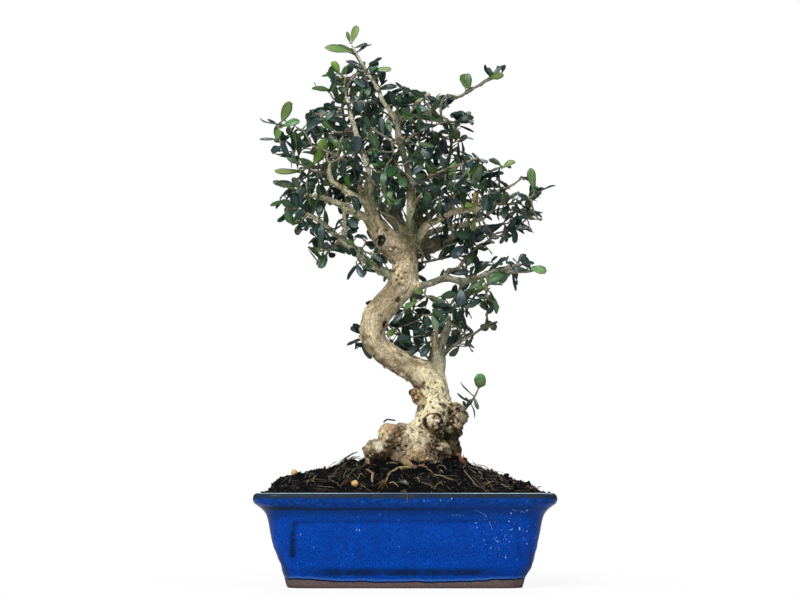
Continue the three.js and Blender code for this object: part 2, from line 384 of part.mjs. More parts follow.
    leaves: [
      [-40.4, 21.21, 310.31, -41.25, 7.82, 318.59, -0.96, 0.18, 0.19, 7.85],
      [-40.13, 27.63, 312.97, -53.34, 23.67, 305.49, -0.39, -0.36, 0.85, 6.57],
      [-55.48, 24.19, 304.59, -69.82, 27.25, 304.8, 0.2, 0.97, -0.15, 6.61],
      [-43.32, 23.77, 319.6, -49.89, 11.26, 321.47, 0.48, -0.35, -0.81, 6.25],
      [-38.68, 33.57, 316.67, -37.65, 37.53, 327.84, -0.78, -0.59, 0.21, 5.63],
      [-46.8, 13.74, 310.58, -52.36, 2.28, 312.91, -0.88, 0.42, -0.24, 5.71],
      [-51.56, 23.47, 310.09, -63.21, 23.19, 308.68, -0.12, 0.03, 0.99, 5.66],
      [-49.02, 10.19, 305.27, -55.74, 11.1, 295.52, -0.48, -0.84, 0.23, 4.92],
    ],
  },
  {
    name: 'leafy_shoot_13',
    stems: [
      [[-50.07, -27.38, 229.6, 1.36], [-57.15, -31, 226.27, 0.95], [-58.03, -34.22, 227.6, 0.76], [-56.71, -36.21, 230.3, 0.62], [-57.8, -35.54, 233.66, 0.62], [-60.59, -34.03, 235.38, 0.62]],
      [[-55.23, -30.02, 227.17, 1], [-57.54, -18.65, 218.46, 0.62]],
      [[-50.07, -27.38, 229.6, 1.29], [-52.1, -20.6, 228.64, 0.75], [-52.45, -9.86, 227.86, 0.62], [-49.65, -7.81, 228.84, 0.62]],
    ],
    leaves: [
      [-57, -30.83, 226.41, -62.91, -24.78, 230.16, -0.5, -0.74, 0.45, 4.06],
      [-51.15, -23.97, 229.18, -61.66, -17.2, 237.86, -0.28, 0.57, -0.77, 6.14],
      [-56.39, -24.18, 222.78, -55.19, -10.21, 224.36, -0.94, 0.06, 0.32, 7.11],
      [-57.53, -19.03, 218.79, -65.85, -24.03, 228.48, 0.81, -0.23, 0.54, 6.26],
      [-58.04, -34.21, 227.6, -62.04, -45.18, 232.88, 0.77, -0.48, -0.42, 6.34],
      [-57.02, -21.54, 220.66, -62.82, -31.29, 225.99, 0.71, -0.02, 0.7, 5.83],
      [-50.32, -27.53, 229.58, -54.83, -32.44, 239.76, 0.89, -0.36, 0.3, 5.1],
      [-52.4, -10.27, 227.84, -48.24, -20.76, 223.41, -0.61, -0.49, 0.63, 4.85],
    ],
  },
  {
    name: 'leafy_shoot_14',
    stems: [
      [[-66.97, -34.1, 251.6, 1.49], [-76.13, -35.15, 254.82, 1], [-79.31, -33.48, 255.06, 0.99], [-80.85, -30.72, 256.77, 0.78], [-81.19, -30.47, 260.35, 0.76], [-80.51, -33.28, 262.48, 0.62], [-82.92, -35.65, 263.73, 0.62]],
      [[-66.97, -34.1, 251.6, 1.41], [-70.2, -37.04, 246.22, 0.72], [-76.55, -38.32, 243.35, 0.62]],
      [[-70.2, -37.04, 246.22, 0.72], [-73.76, -39.13, 240.34, 0.62]],
    ],
    leaves: [
      [-70.07, -36.86, 246.36, -65.52, -25.72, 243.73, 0.41, 0.03, 0.91, 6.15],
      [-73.62, -38.97, 240.52, -69.48, -27.42, 241.29, 0.42, -0.08, -0.9, 5.73],
      [-72.86, -34.81, 253.74, -76.9, -39.86, 264.97, 0.47, -0.86, -0.2, 6.17],
      [-68.48, -35.44, 248.95, -62.66, -26.37, 242.52, 0.45, 0.3, 0.84, 6.05],
      [-81.17, -30.47, 260.34, -80.28, -30.48, 272.82, 0.95, -0.29, -0.07, 5.65],
      [-71.93, -38.17, 243.26, -66.17, -48.83, 240.68, -0.51, -0.47, 0.72, 5.83],
      [-82.75, -35.59, 263.72, -71, -36.37, 267.45, -0.3, -0.38, 0.88, 6.24],
      [-69.46, -34.43, 252.56, -70.93, -39.84, 263.43, -0.71, -0.57, -0.41, 5.22],
    ],
  },
  {
    name: 'leafy_shoot_15',
    stems: [
      [[-36.97, -21.14, 346.8, 1.26], [-32.93, -23.86, 350.72, 1.06], [-29.74, -24.25, 352.34, 0.98], [-27.57, -21.9, 353.99, 0.96], [-31.23, -16.63, 356.78, 0.78], [-33.56, -16.2, 363.51, 0.73], [-38.02, -14.92, 368.84, 0.67], [-37.81, -10.81, 375.58, 0.62]],
    ],
    leaves: [
      [-37.82, -11.36, 374.7, -33.67, -3.77, 389.98, 0.68, -0.72, 0.17, 7.04],
      [-37.85, -11.01, 375.44, -40.62, -18.72, 381.85, 0.84, -0.48, -0.23, 4.19],
      [-29.74, -24.22, 352.26, -14.87, -21.22, 346.86, 0.36, -0.1, 0.93, 6.66],
      [-37.98, -14.92, 368.69, -52.94, -8.85, 369.08, 0, -0.05, 1, 6.71],
      [-35.78, -15.54, 366.27, -33.31, -12.61, 380.76, -0.94, -0.26, 0.24, 6.62],
      [-36.76, -21.26, 346.9, -25.99, -25.07, 344.29, -0.25, -0.86, 0.44, 5.77],
    ],
  },
  {
    name: 'leafy_shoot_16',
    stems: [
      [[-76.22, -27.75, 293.95, 1.18], [-77.81, -22.62, 302.21, 0.92], [-78.3, -19.67, 312.56, 0.75], [-81.46, -15.33, 317.36, 0.62], [-83.57, -15.64, 320.26, 0.62], [-82, -13.53, 330.47, 0.62]],
      [[-77.97, -21.63, 305.66, 0.85], [-79.13, -24.02, 308.11, 0.62], [-79.96, -27.47, 308.73, 0.62]],
      [[-76.66, -26.35, 296.2, 1.05], [-78.53, -19.38, 296.77, 0.62], [-81.74, -17.76, 296.87, 0.62]],
      [[-76.22, -27.75, 293.95, 1.13], [-74.29, -31.24, 299.26, 0.62]],
    ],
    leaves: [
      [-81.71, -17.87, 296.85, -89.99, -25.83, 294.52, 0.14, -0.42, 0.89, 4.7],
      [-83.57, -15.6, 320.1, -91.73, -11.13, 311.93, -0.62, -0.76, 0.19, 5.32],
      [-79.17, -24, 308, -88.09, -30.82, 302.66, -0.08, -0.56, 0.82, 5.5],
      [-81.42, -15.38, 317.2, -87.65, -5.63, 315.9, -0.27, -0.03, 0.96, 4.94],
      [-74.37, -31.2, 299.18, -75.79, -38.69, 307.4, -0.34, 0.72, 0.6, 5.13],
      [-78.09, -20.68, 309.2, -73.72, -24.22, 317.88, -0.83, 0.19, 0.52, 4.67],
      [-77.6, -22.64, 296.45, -74.9, -13.77, 291.52, -0.83, 0.45, 0.33, 4.53],
    ],
  },
  {
    name: 'leafy_shoot_17',
    stems: [
      [[66.39, -29.19, 267.54, 1.15], [67.91, -30, 268.47, 1.08], [64.96, -29.81, 270.53, 0.94], [65.37, -28.1, 284.65, 0.66], [67.59, -17.83, 286.62, 0.62], [73.49, -9.35, 289.17, 0.62]],
      [[65.17, -28.95, 277.63, 0.85], [63.22, -25.78, 278.19, 0.62], [63.38, -25.78, 276.15, 0.62]],
      [[67.91, -30, 268.47, 1.03], [77.36, -34.06, 274.03, 0.74], [79.2, -32.34, 276.61, 0.62], [80.23, -25.52, 278.46, 0.62], [82.64, -15.15, 277.95, 0.62]],
      [[66.39, -29.19, 267.54, 1.09], [66.72, -19.24, 271.59, 0.62], [69.37, -17.35, 273.12, 0.62], [70.45, -14.16, 274.4, 0.62], [66.38, -9.39, 277.93, 0.62]],
    ],
    leaves: [
      [66.65, -19.47, 271.5, 55.35, -6.41, 277.3, 0.65, 0.26, 0.71, 7.96],
      [65.14, -29.04, 277.6, 60.36, -45.77, 272.44, 0.88, -0.33, 0.34, 7.38],
      [66.48, -25.69, 268.9, 63.11, -11.69, 263.57, -0.43, 0.27, 0.87, 7.54],
      [66.79, -21.18, 286.01, 58.33, -12.38, 291.97, 0.77, 0.45, 0.45, 5.84],
      [64.98, -29.75, 270.49, 55.85, -21.34, 273.04, -0.38, -0.62, 0.69, 6.15],
      [73.3, -9.5, 289.1, 71.7, 2.91, 290.05, 0.48, 0.01, 0.88, 5.56],
      [66.49, -9.44, 277.86, 64.76, 1.49, 282.35, 0.93, -0.02, 0.38, 5.63],
      [82.62, -15.38, 277.99, 88.43, -5.76, 279.99, -0.02, -0.2, 0.98, 5.31],
    ],
  },
  {
    name: 'leafy_shoot_18',
    stems: [
      [[-39.96, -29.44, 288.35, 1.26], [-46.88, -34.81, 291.27, 1.12], [-38.8, -39.49, 310.62, 0.62]],
      [[-41.77, -30.84, 289.11, 1.16], [-41.83, -26.9, 294.99, 0.62], [-46.35, -27.62, 300.27, 0.62]],
      [[-39.96, -29.44, 288.35, 1.2], [-30.64, -37.01, 296.06, 0.62]],
    ],
    leaves: [
      [-40.17, -29.69, 288.4, -39.68, -46.15, 282.89, -0.13, -0.28, 0.95, 8.73],
      [-41.82, -27.05, 294.91, -40.69, -31.01, 310.3, -0.55, 0.8, 0.25, 7.46],
      [-41.4, -37.95, 304.24, -29.22, -40.19, 311.77, -0.51, -0.14, 0.85, 6.39],
      [-44.35, -32.81, 290.26, -52, -33.15, 302.34, -0.31, -0.92, -0.22, 6.99],
      [-41.77, -30.8, 289.02, -42.71, -25.37, 277.98, -0.42, -0.83, -0.38, 5.01],
      [-41.77, -28.81, 291.98, -39.11, -17.19, 289.19, -0.29, 0.29, 0.91, 5.48],
      [-39.06, -39.45, 310.03, -41.22, -51.71, 309.59, -0.92, 0.15, 0.36, 6.21],
      [-44.12, -36.44, 297.75, -35.45, -44.66, 301.01, -0.36, -0.01, 0.93, 5.78],
    ],
  },
  {
    name: 'leafy_shoot_19',
    stems: [
      [[-44.53, 22.92, 335.85, 0.95], [-44.8, 22, 337.5, 0.92], [-36.56, 20.53, 344.25, 0.78], [-32.62, 18.52, 349.93, 0.73], [-32.98, 21.65, 356.12, 0.62], [-33.2, 19.39, 358.91, 0.62], [-33.05, 12.62, 361.29, 0.62]],
      [[-44.53, 22.92, 335.85, 0.91], [-50.05, 7.93, 327.96, 0.63], [-55.29, 3.69, 329.75, 0.62], [-58.43, 4.13, 328.04, 0.62]],
      [[-45.62, 19.97, 334.29, 0.87], [-49.19, 19.01, 334.2, 0.62], [-52.6, 20.12, 334.53, 0.62], [-57.74, 25.09, 334.57, 0.62]],
    ],
    leaves: [
      [-57.66, 24.88, 334.55, -67.84, 17.84, 332.09, 0.39, -0.69, 0.61, 4.99],
      [-32.72, 20.12, 353.07, -18.72, 25.05, 360.94, -0.57, 0.38, 0.73, 7.63],
      [-52.58, 20.04, 334.49, -65.53, 14.38, 330.71, -0.45, 0.55, 0.7, 5.95],
      [-47.9, 13.91, 331.03, -56.23, 11.92, 318.87, -0.39, -0.8, 0.45, 6.02],
      [-34.57, 19.58, 347.17, -31.28, 27.2, 358.61, -0.01, -0.83, 0.56, 6.27],
      [-39.27, 20.94, 342.07, -35.15, 10.84, 350.09, 0.17, 0.67, 0.72, 6.59],
      [-33.09, 12.72, 361.22, -36.8, 0.27, 362, 0.12, 0.02, 0.99, 5.8],
      [-49.84, 8.29, 328.18, -44.23, -3.04, 326.36, -0.5, -0.38, 0.78, 5.35],
    ],
  },
  {
    name: 'leafy_shoot_20',
    stems: [
      [[11.19, 45.19, 311.8, 1.15], [10.71, 39.55, 314.54, 0.94], [5.97, 30.43, 317.72, 0.88], [8.2, 23.83, 316.45, 0.7], [15.14, 23.01, 315.04, 0.62], [17.68, 24.33, 312.86, 0.62], [16.51, 26.8, 310.52, 0.62]],
      [[5.97, 30.43, 317.72, 0.83], [2.85, 28.66, 317.99, 0.62], [-1.09, 32.66, 322.25, 0.62]],
      [[11.19, 45.19, 311.8, 1.09], [18.1, 48.04, 310.69, 0.62]],
    ],
    leaves: [
      [8.16, 23.94, 316.52, 12.64, 7.63, 321.87, -0.66, 0.07, 0.74, 8.53],
      [10.73, 39.67, 314.54, 11.16, 31.75, 330.15, 0.19, -0.88, -0.44, 7.42],
      [11.25, 45.03, 311.94, 23.92, 46.53, 321.68, -0.52, 0.59, 0.62, 8.08],
      [7.45, 33.44, 316.68, -6.91, 30.14, 319.66, 0.31, -0.62, 0.72, 6.66],
      [-0.96, 32.61, 322.19, 1.01, 42.66, 331.47, -0.73, -0.37, 0.57, 5.95],
      [17.99, 47.93, 310.7, 30.52, 45.55, 307.24, 0.32, 0.53, 0.79, 5.88],
      [14.96, 22.99, 314.99, 19.32, 17.94, 304.21, 0.73, -0.47, 0.5, 6.13],
      [14.84, 46.75, 311.14, 17.16, 54.41, 301.6, 0.96, -0.27, 0.04, 5.86],
    ],
  },
  {
    name: 'leafy_shoot_21',
    stems: [
      [[8.43, 17.38, 162.78, 0.91], [0.96, 22, 169.54, 0.85], [-3.27, 16.98, 172.47, 0.73], [-10.17, 8.9, 173.68, 0.62], [-11.66, 2.73, 170.59, 0.62]],
      [[8.43, 17.38, 162.78, 0.87], [8.68, 9.95, 162.77, 0.62], [2.05, 1.59, 162.47, 0.62]],
    ],
    leaves: [
      [8.58, 13.33, 162.84, 11.36, 1.4, 172.34, -0.19, -0.64, -0.75, 7.52],
      [4.93, 19.51, 166.01, -0.68, 17.9, 180.2, -0.66, 0.74, -0.17, 7.61],
      [6.42, 7.11, 162.73, -2.06, -1.2, 171.47, 0.15, -0.81, -0.57, 6.76],
      [8.2, 17.53, 163.08, 8.01, 20.05, 176.6, -0.58, 0.79, -0.21, 7.01],
      [4.22, 4.45, 162.57, 2.66, 16.23, 161.94, -0.45, -0.05, 0.89, 6.01],
      [0.76, 21.88, 169.56, -7.59, 25.82, 161.25, -0.15, -0.95, -0.28, 4.88],
      [-1.2, 19.41, 170.95, -6.6, 10.16, 164.5, -0.05, -0.54, 0.84, 6.06],
      [6.94, 18.22, 164.01, -4.39, 15.16, 159.91, 0.13, -0.93, 0.35, 6.25],
    ],
  },
  {
    name: 'leafy_shoot_22',
    stems: [
      [[55.61, -12.54, 178.04, 0.89], [56.62, -14, 182.62, 0.69], [56.8, -7.71, 185.92, 0.66], [60.99, 8.72, 191.62, 0.62], [63.17, 11.32, 190.41, 0.62]],
    ],
    leaves: [
      [58.43, -1.06, 188.23, 52.57, 10.92, 193.09, 0.9, 0.41, 0.16, 6.96],
      [56.77, -7.86, 185.91, 54.38, -2.63, 197.36, 0.67, -0.62, 0.42, 5.98],
      [56.76, -10.82, 184.35, 62.84, -7.15, 194.18, 0.53, -0.84, -0.05, 5.62],
      [63.11, 11.14, 190.45, 64.11, -1.15, 190.44, 0.29, 0.02, 0.96, 5.95],
      [60.15, 5.51, 190.58, 59.41, 10.71, 200.52, 0.47, 0.79, -0.39, 4.86],
    ],
  },
  {
    name: 'leafy_shoot_23',
    stems: [
      [[37.38, 24.92, 324.28, 0.8], [28.61, 20.44, 323.81, 0.66], [26.72, 17.48, 323, 0.63], [24.24, 15.61, 324.81, 0.62], [21.03, 15.52, 326.46, 0.62], [19, 17.2, 328.9, 0.62], [21.28, 18.61, 335.39, 0.62]],
      [[37.38, 24.92, 324.28, 0.76], [42.08, 17.05, 328.7, 0.62], [43.09, 10.17, 330.3, 0.62]],
    ],
    leaves: [
      [28.8, 20.54, 323.89, 18.2, 15.36, 334.71, -0.44, 0.9, 0, 7.34],
      [40.46, 19.7, 327.15, 43.14, 4.74, 325.61, 0.29, -0.04, 0.96, 7.28],
      [19.02, 17.14, 328.92, 12.62, 14.98, 341.65, 0.88, -0.29, 0.39, 6.02],
      [20.12, 17.9, 332.24, 18.11, 16.71, 344.73, 0.99, 0.13, 0.12, 5.48],
      [37.22, 24.77, 324.3, 49.92, 22.76, 327.8, -0.34, -0.49, 0.8, 5.68],
      [21.27, 18.53, 335.26, 28.61, 14.22, 344.04, -0.18, 0.81, 0.56, 5.16],
      [34.9, 23.73, 324.17, 24.25, 26.44, 325.76, -0.04, -0.52, 0.85, 4.54],
      [39.01, 22.33, 325.8, 47.49, 21.97, 333.23, -0.26, -0.95, 0.18, 5.15],
    ],
  },
  {
    name: 'leafy_shoot_24',
    stems: [
      [[-6.99, -36.53, 289.43, 1.14], [-7.93, -39.78, 293.42, 1], [-15.61, -47.08, 292.03, 0.62], [-21.92, -55.74, 292.98, 0.62]],
      [[-7.33, -37.7, 290.87, 1.02], [-11.51, -45.53, 284.28, 0.62], [-13.26, -54.18, 278.16, 0.62]],
      [[-6.99, -36.53, 289.43, 1.09], [-4.51, -44.55, 282.62, 0.62], [-3.17, -53.02, 271.11, 0.62]],
    ],
    leaves: [
      [-10.26, -43.03, 286.33, -24.67, -43.06, 277.74, -0.16, -0.96, 0.24, 8.09],
      [-3.77, -48.85, 276.85, 8.07, -61.06, 272.88, -0.69, -0.72, 0.09, 7.04],
      [-17.74, -50.02, 292.42, -23.36, -59.52, 304.14, -0.03, 0.78, 0.63, 6.62],
      [-4.63, -44.38, 282.77, -11.31, -55.22, 273.86, 0.36, -0.72, 0.6, 7.14],
      [-12.14, -48.5, 282.24, -18.86, -60.84, 282.5, 0.82, -0.41, 0.39, 6.81],
      [-6.15, -39.32, 287.16, -5.54, -51.93, 288.6, -0.63, -0.14, -0.76, 5.47],
      [-4.15, -46.76, 279.74, -0.91, -58.79, 277.66, -0.26, -0.24, 0.94, 5.78],
      [-13.14, -44.63, 292.49, -25.37, -43.31, 291.39, -0.11, -0.78, 0.61, 5.94],
    ],
  },
  {
    name: 'leafy_shoot_25',
    stems: [
      [[-3.07, -25.6, 282.49, 1.42], [3.7, -30.67, 277.38, 0.69], [6.68, -34.81, 272.34, 0.63], [4.98, -39.62, 267.36, 0.62], [2.71, -42.34, 266.7, 0.62], [0.35, -45.61, 260.91, 0.62]],
    ],
    leaves: [
      [5.87, -37.31, 269.83, 11.11, -49.32, 266.97, -0.6, -0.08, -0.79, 5.69],
      [2.76, -42.34, 266.76, 0.18, -52.89, 271.58, 0.84, -0.38, -0.38, 5.21],
      [0.35, -45.57, 261.04, -7.11, -52.4, 254.99, -0.28, -0.44, 0.85, 5.43],
      [1.23, -28.87, 279.15, 0.95, -33.5, 269.94, 0.7, -0.65, 0.29, 4.9],
    ],
  },
  {
    name: 'leafy_shoot_26',
    stems: [
      [[-42.97, 28.35, 326.12, 1.1], [-43.74, 26.12, 330.14, 1.03], [-33.75, 23.3, 332.69, 0.62], [-26.76, 24.92, 332.83, 0.62], [-23.43, 23.91, 331.89, 0.62]],
      [[-43.28, 27.47, 327.71, 1.01], [-41.03, 21.14, 325.56, 0.62], [-36.02, 16.08, 324.59, 0.62]],
      [[-42.97, 28.35, 326.12, 1.04], [-51.47, 18.79, 319.91, 0.62], [-52.67, 15.9, 318.14, 0.62], [-51.02, 12.71, 318.39, 0.62]],
    ],
    leaves: [
      [-51.28, 19.02, 320.13, -61.93, 8.6, 325.97, -0.67, 0.74, 0.07, 6.78],
      [-41.06, 21.25, 325.68, -34.59, 9.69, 333.56, 0.83, 0.54, 0.11, 6.96],
      [-52.73, 15.97, 318.21, -67.08, 13.62, 320.83, 0.23, -0.76, 0.61, 7.03],
      [-37.02, 24.16, 331.86, -29.15, 12.49, 333.92, 0.26, 0.36, 0.89, 6.51],
      [-30.18, 24.13, 332.83, -21.14, 26.16, 342.03, -0.72, 0.2, 0.67, 5.68],
      [-33.97, 23.35, 332.56, -24.07, 19.35, 325.83, -0.14, -0.93, 0.33, 5.85],
      [-26.91, 24.8, 332.86, -19.91, 15.35, 337.06, -0.25, 0.24, 0.94, 5.57],
      [-36.14, 16.14, 324.61, -32.06, 4.45, 323.64, -0.15, -0.13, 0.98, 5.96],
    ],
  },
  {
    name: 'leafy_shoot_27',
    stems: [
      [[-28.66, 37.51, 302.12, 1.53], [-36.63, 35.09, 313.42, 1.31], [-31.3, 35.64, 318.22, 0.64], [-30.45, 41.81, 321.61, 0.62]],
      [[-33.26, 36.11, 308.64, 1.33], [-26.23, 30.3, 313.45, 0.62]],
      [[-29.86, 37.15, 303.81, 1.41], [-26, 54.22, 308.58, 0.62]],
      [[-28.66, 37.51, 302.12, 1.45], [-32.25, 41.61, 297, 0.62]],
    ],
    leaves: [
      [-30.42, 41.71, 321.54, -23.06, 54.28, 326.3, -0.5, -0.03, 0.87, 7.49],
      [-33.97, 35.37, 315.92, -34.87, 35.59, 330.69, 0.54, 0.84, 0.01, 7],
      [-31.08, 34.33, 310.21, -28.56, 33.99, 323.39, 0.18, -0.98, -0.07, 6.56],
      [-26.07, 53.79, 308.43, -20.25, 65.57, 308.34, -0.27, 0.16, 0.95, 5.37],
      [-30.58, 39.56, 299.47, -36.33, 29.35, 302.27, -0.05, 0.3, 0.95, 5.66],
      [-32.18, 41.56, 297.1, -36.61, 50.45, 290.39, -0.92, -0.22, 0.32, 4.84],
      [-26.38, 30.4, 313.34, -19.85, 21.34, 316.86, 0.17, 0.45, 0.87, 5.35],
    ],
  },
  {
    name: 'leafy_shoot_28',
    stems: [
      [[9.63, 13.77, 185.3, 0.8], [3.75, 14, 189.73, 0.63], [-0.6, 4.3, 189.23, 0.7], [1.62, -2.4, 190.4, 0.64], [-1.07, -7.54, 186.43, 0.62]],
      [[2.31, 10.78, 189.57, 0.83], [-0.84, 10.5, 191.73, 0.62], [-4.14, 12.32, 197.84, 0.62]],
      [[6.01, 13.91, 188.03, 0.67], [7.64, 27.06, 193.94, 0.62]],
      [[9.63, 13.77, 185.3, 0.76], [14.19, 10.89, 190.12, 0.62]],
    ],
    leaves: [
      [9.47, 13.74, 185.53, 12.17, 8.19, 200.91, -0.73, 0.62, 0.3, 7.38],
      [-0.84, 10.51, 191.65, -16.43, 10.69, 189.48, -0.14, 0.13, 0.98, 6.77],
      [6.84, 20.62, 191.13, 7.25, 24.97, 206.13, -0.17, 0.95, -0.27, 6.2],
      [0.55, 0.87, 189.77, 7.1, -10.2, 183.36, 0.05, -0.49, 0.87, 6.05],
      [-4.04, 12.33, 197.73, -4.55, 22.02, 208.66, -1, 0.03, -0.06, 6.01],
      [5.98, 13.88, 188.13, 2.77, 10.05, 199.69, -0.8, 0.6, -0.03, 5.54],
      [12.02, 12.35, 187.71, 23.69, 16.11, 185.11, 0.12, 0.24, 0.96, 4.87],
      [7.66, 26.73, 193.79, 15.81, 33.95, 197.5, -0.68, 0.55, 0.48, 5.03],
    ],
  },
  {
    name: 'leafy_shoot_29',
    stems: [
      [[-2.06, 23.73, 172.27, 0.8], [-14.68, 30, 183.01, 0.71], [-24.23, 29.84, 178.4, 1.13], [-24.46, 28.4, 175.11, 1.11], [-28.18, 28.15, 168.98, 0.93], [-35.22, 27.66, 163.57, 0.62]],
      [[-14.68, 30, 183.01, 0.67], [-15.96, 30.75, 193.62, 0.62], [-14.69, 30.16, 198.41, 0.62]],
      [[-2.06, 23.73, 172.27, 0.76], [0.69, 25.62, 173.62, 0.62], [1.33, 26.6, 177.03, 0.62], [4.62, 34.89, 182.98, 0.62]],
    ],
    leaves: [
      [-14.82, 30.22, 198.26, -28, 36.84, 197.27, -0.38, -0.64, 0.67, 5.97],
      [-34.98, 27.74, 163.8, -32.88, 33.54, 169, 0.28, -0.71, 0.65, 3.54],
      [2.42, 29.35, 179.1, 2.36, 29.15, 195.12, 0.62, 0.79, -0, 7.59],
      [-15.12, 30.32, 186.63, -17.73, 40.8, 196.89, -0.15, -0.71, 0.68, 6.05],
      [4.59, 34.68, 182.86, 13.8, 40.46, 191.52, -0.32, 0.91, -0.25, 5.89],
      [-3.89, 24.64, 173.74, -15.41, 31.19, 173.35, -0.04, -0.01, 1, 6.1],
      [3.56, 32.21, 180.94, 7.61, 41.73, 174.86, 0.6, 0.24, 0.76, 5.17],
      [-2.47, 23.84, 172.64, -5.95, 14.37, 179.07, 0.93, -0.24, 0.28, 6.07],
    ],
  },
  {
    name: 'leafy_shoot_30',
    stems: [
      [[57.97, 5.97, 237.99, 1.06], [62.11, 6.61, 242.43, 0.96], [72.22, 4.6, 245.42, 0.78], [77.59, 5.2, 249.95, 0.64], [83.88, 8.4, 249.98, 0.62]],
      [[68.84, 5.27, 244.42, 0.88], [70.79, 2.14, 243.38, 0.62], [71.18, -3.66, 239.19, 0.62]],
    ],
    leaves: [
      [83.69, 8.4, 249.98, 82.92, 24.17, 250.74, -0.94, -0.07, 0.33, 6.55],
      [74.98, 4.97, 247.67, 85.02, 13.69, 244.75, 0.42, -0.21, 0.88, 6.46],
      [68.9, 5.27, 244.5, 76.86, 5.13, 254.49, 0.45, -0.82, -0.35, 5.27],
      [80.82, 6.78, 249.91, 90.93, 4.11, 243.37, 0.42, -0.51, 0.75, 5.94],
      [70.96, -0.67, 241.25, 67.41, 10.11, 236.89, -0.41, 0.22, 0.89, 4.84],
      [62.03, 6.52, 242.35, 67.39, -1.55, 249.35, 0.6, 0.71, 0.37, 5.25],
      [71.14, -3.58, 239.31, 68.35, -12.77, 238.25, 0.94, -0.31, 0.15, 4.49],
    ],
  },
  {
    name: 'leafy_shoot_31',
    stems: [
      [[-15.09, -41.41, 304.42, 1.09], [-25.39, -37.36, 312.05, 0.76], [-28.97, -41, 316.94, 0.62], [-29.07, -44.5, 316.11, 0.62]],
      [[-19.9, -39.52, 307.98, 0.95], [-23.05, -41, 307.99, 0.62], [-26.84, -46.74, 306.04, 0.62]],
    ],
    leaves: [
      [-27.17, -39.2, 314.59, -24.43, -41.66, 330.32, -0.9, -0.43, 0.09, 6.58],
      [-19.9, -39.49, 308.07, -20.04, -34.29, 322.54, -0.99, -0.12, 0.04, 6.74],
      [-22.63, -38.42, 310.1, -22.65, -34.93, 322.38, -0.71, -0.68, 0.19, 6.35],
      [-28.86, -40.81, 316.73, -28.57, -31.29, 309.07, -0.89, -0.27, -0.38, 4.77],
      [-22.99, -41.02, 308.05, -26.97, -49.59, 315.55, -0.7, 0.62, 0.34, 5.36],
      [-26.76, -46.62, 306.03, -30.12, -53.03, 297.69, -0.3, -0.7, 0.65, 4.64],
    ],
  },
  {
    name: 'leafy_shoot_32',
    stems: [
      [[-38.13, 25.93, 284.18, 1.05], [-52.24, 18.33, 289.7, 0.88], [-60.16, 11.39, 291.69, 0.67], [-60.98, 8.94, 294.2, 0.64], [-61.06, 8.13, 297.71, 0.62], [-64.04, 8.82, 299.6, 0.62]],
      [[-57.52, 13.7, 291.03, 0.79], [-60.24, 13.29, 288.32, 0.62], [-61.11, 14.86, 281.43, 0.62]],
      [[-43.3, 23.15, 286.2, 0.97], [-44.73, 25.33, 289.37, 0.62], [-44.77, 28.51, 291.07, 0.62]],
    ],
    leaves: [
      [-54.96, 16.07, 290.38, -70.26, 22.29, 293.22, -0.25, -0.86, 0.44, 7.72],
      [-49.31, 19.93, 288.62, -56.43, 18.62, 301.58, -0.75, -0.45, -0.47, 6.19],
      [-38.63, 25.73, 284.4, -47.91, 29.25, 290.51, 0.37, -0.48, 0.8, 6.31],
      [-60.66, 14.17, 284.84, -58.63, 25.12, 280.16, 0.93, -0.29, -0.21, 6.04],
      [-44.6, 25.23, 289.3, -33.64, 19.96, 291.44, -0.39, -0.52, 0.76, 5.54],
      [-59.99, 11.54, 291.58, -68.34, 4.96, 285.36, -0.54, -0.13, 0.83, 5.4],
      [-60.25, 13.33, 288.37, -70.82, 15.82, 284.69, -0.22, 0.37, 0.9, 4.71],
      [-61.08, 14.8, 281.54, -59.92, 13.29, 271.13, 0.01, 0.99, -0.15, 5.2],
    ],
  },
  {
    name: 'leafy_shoot_33',
    stems: [
      [[56.47, -20.89, 203.05, 1.02], [55.99, -21.33, 201.41, 0.95], [61.06, -8.61, 197.6, 0.62]],
      [[55.99, -21.33, 201.41, 0.9], [56.39, -23, 196.16, 0.77], [49.52, -22.73, 194.11, 0.62]],
      [[56.47, -20.89, 203.05, 0.97], [60.97, -30.37, 205.82, 0.62]],
    ],
    leaves: [
      [57.25, -18.03, 200.51, 54.56, -5.6, 209.64, -0.66, -0.53, 0.53, 6.36],
      [52.89, -22.91, 195.07, 43.74, -29.19, 187.54, 0.27, -0.88, 0.39, 5.63],
      [56, -21.42, 201.45, 56.4, -33.66, 199.4, 0.92, 0.09, -0.38, 4.99],
      [56.54, -20.86, 203.02, 67.36, -14.37, 205.68, 0.04, -0.33, 0.94, 4.84],
      [58.04, -24.16, 204.08, 62.72, -29.44, 214.68, 0.04, -0.87, -0.49, 5.43],
      [60.84, -30.19, 205.74, 61.13, -42.27, 205.44, 0.65, -0.02, 0.76, 5.85],
      [56.23, -22.06, 199.08, 63.29, -22.81, 190.86, -0.7, 0.24, -0.67, 5.5],
      [60.88, -8.92, 197.65, 58.61, -0.64, 191.42, 0.97, 0.25, -0.06, 4.91],
    ],
  },
  {
    name: 'leafy_shoot_34',
    stems: [
      [[34.48, 35.35, 316.03, 1.07], [36.93, 28, 322.69, 0.85], [32.63, 20.53, 316.41, 0.62], [30.31, 18.64, 314.4, 0.62], [27.25, 16.75, 314.57, 0.62]],
      [[34.95, 33.95, 317.3, 0.96], [31.68, 32.36, 317.32, 0.62], [27.07, 27.88, 314.17, 0.62], [26.08, 23.59, 308.6, 0.62]],
      [[34.48, 35.35, 316.03, 1.02], [30.94, 34.74, 315.98, 0.62], [25.5, 38.38, 318.89, 0.62], [22.02, 37.76, 319.57, 0.62], [19.12, 37.78, 317.44, 0.62]],
    ],
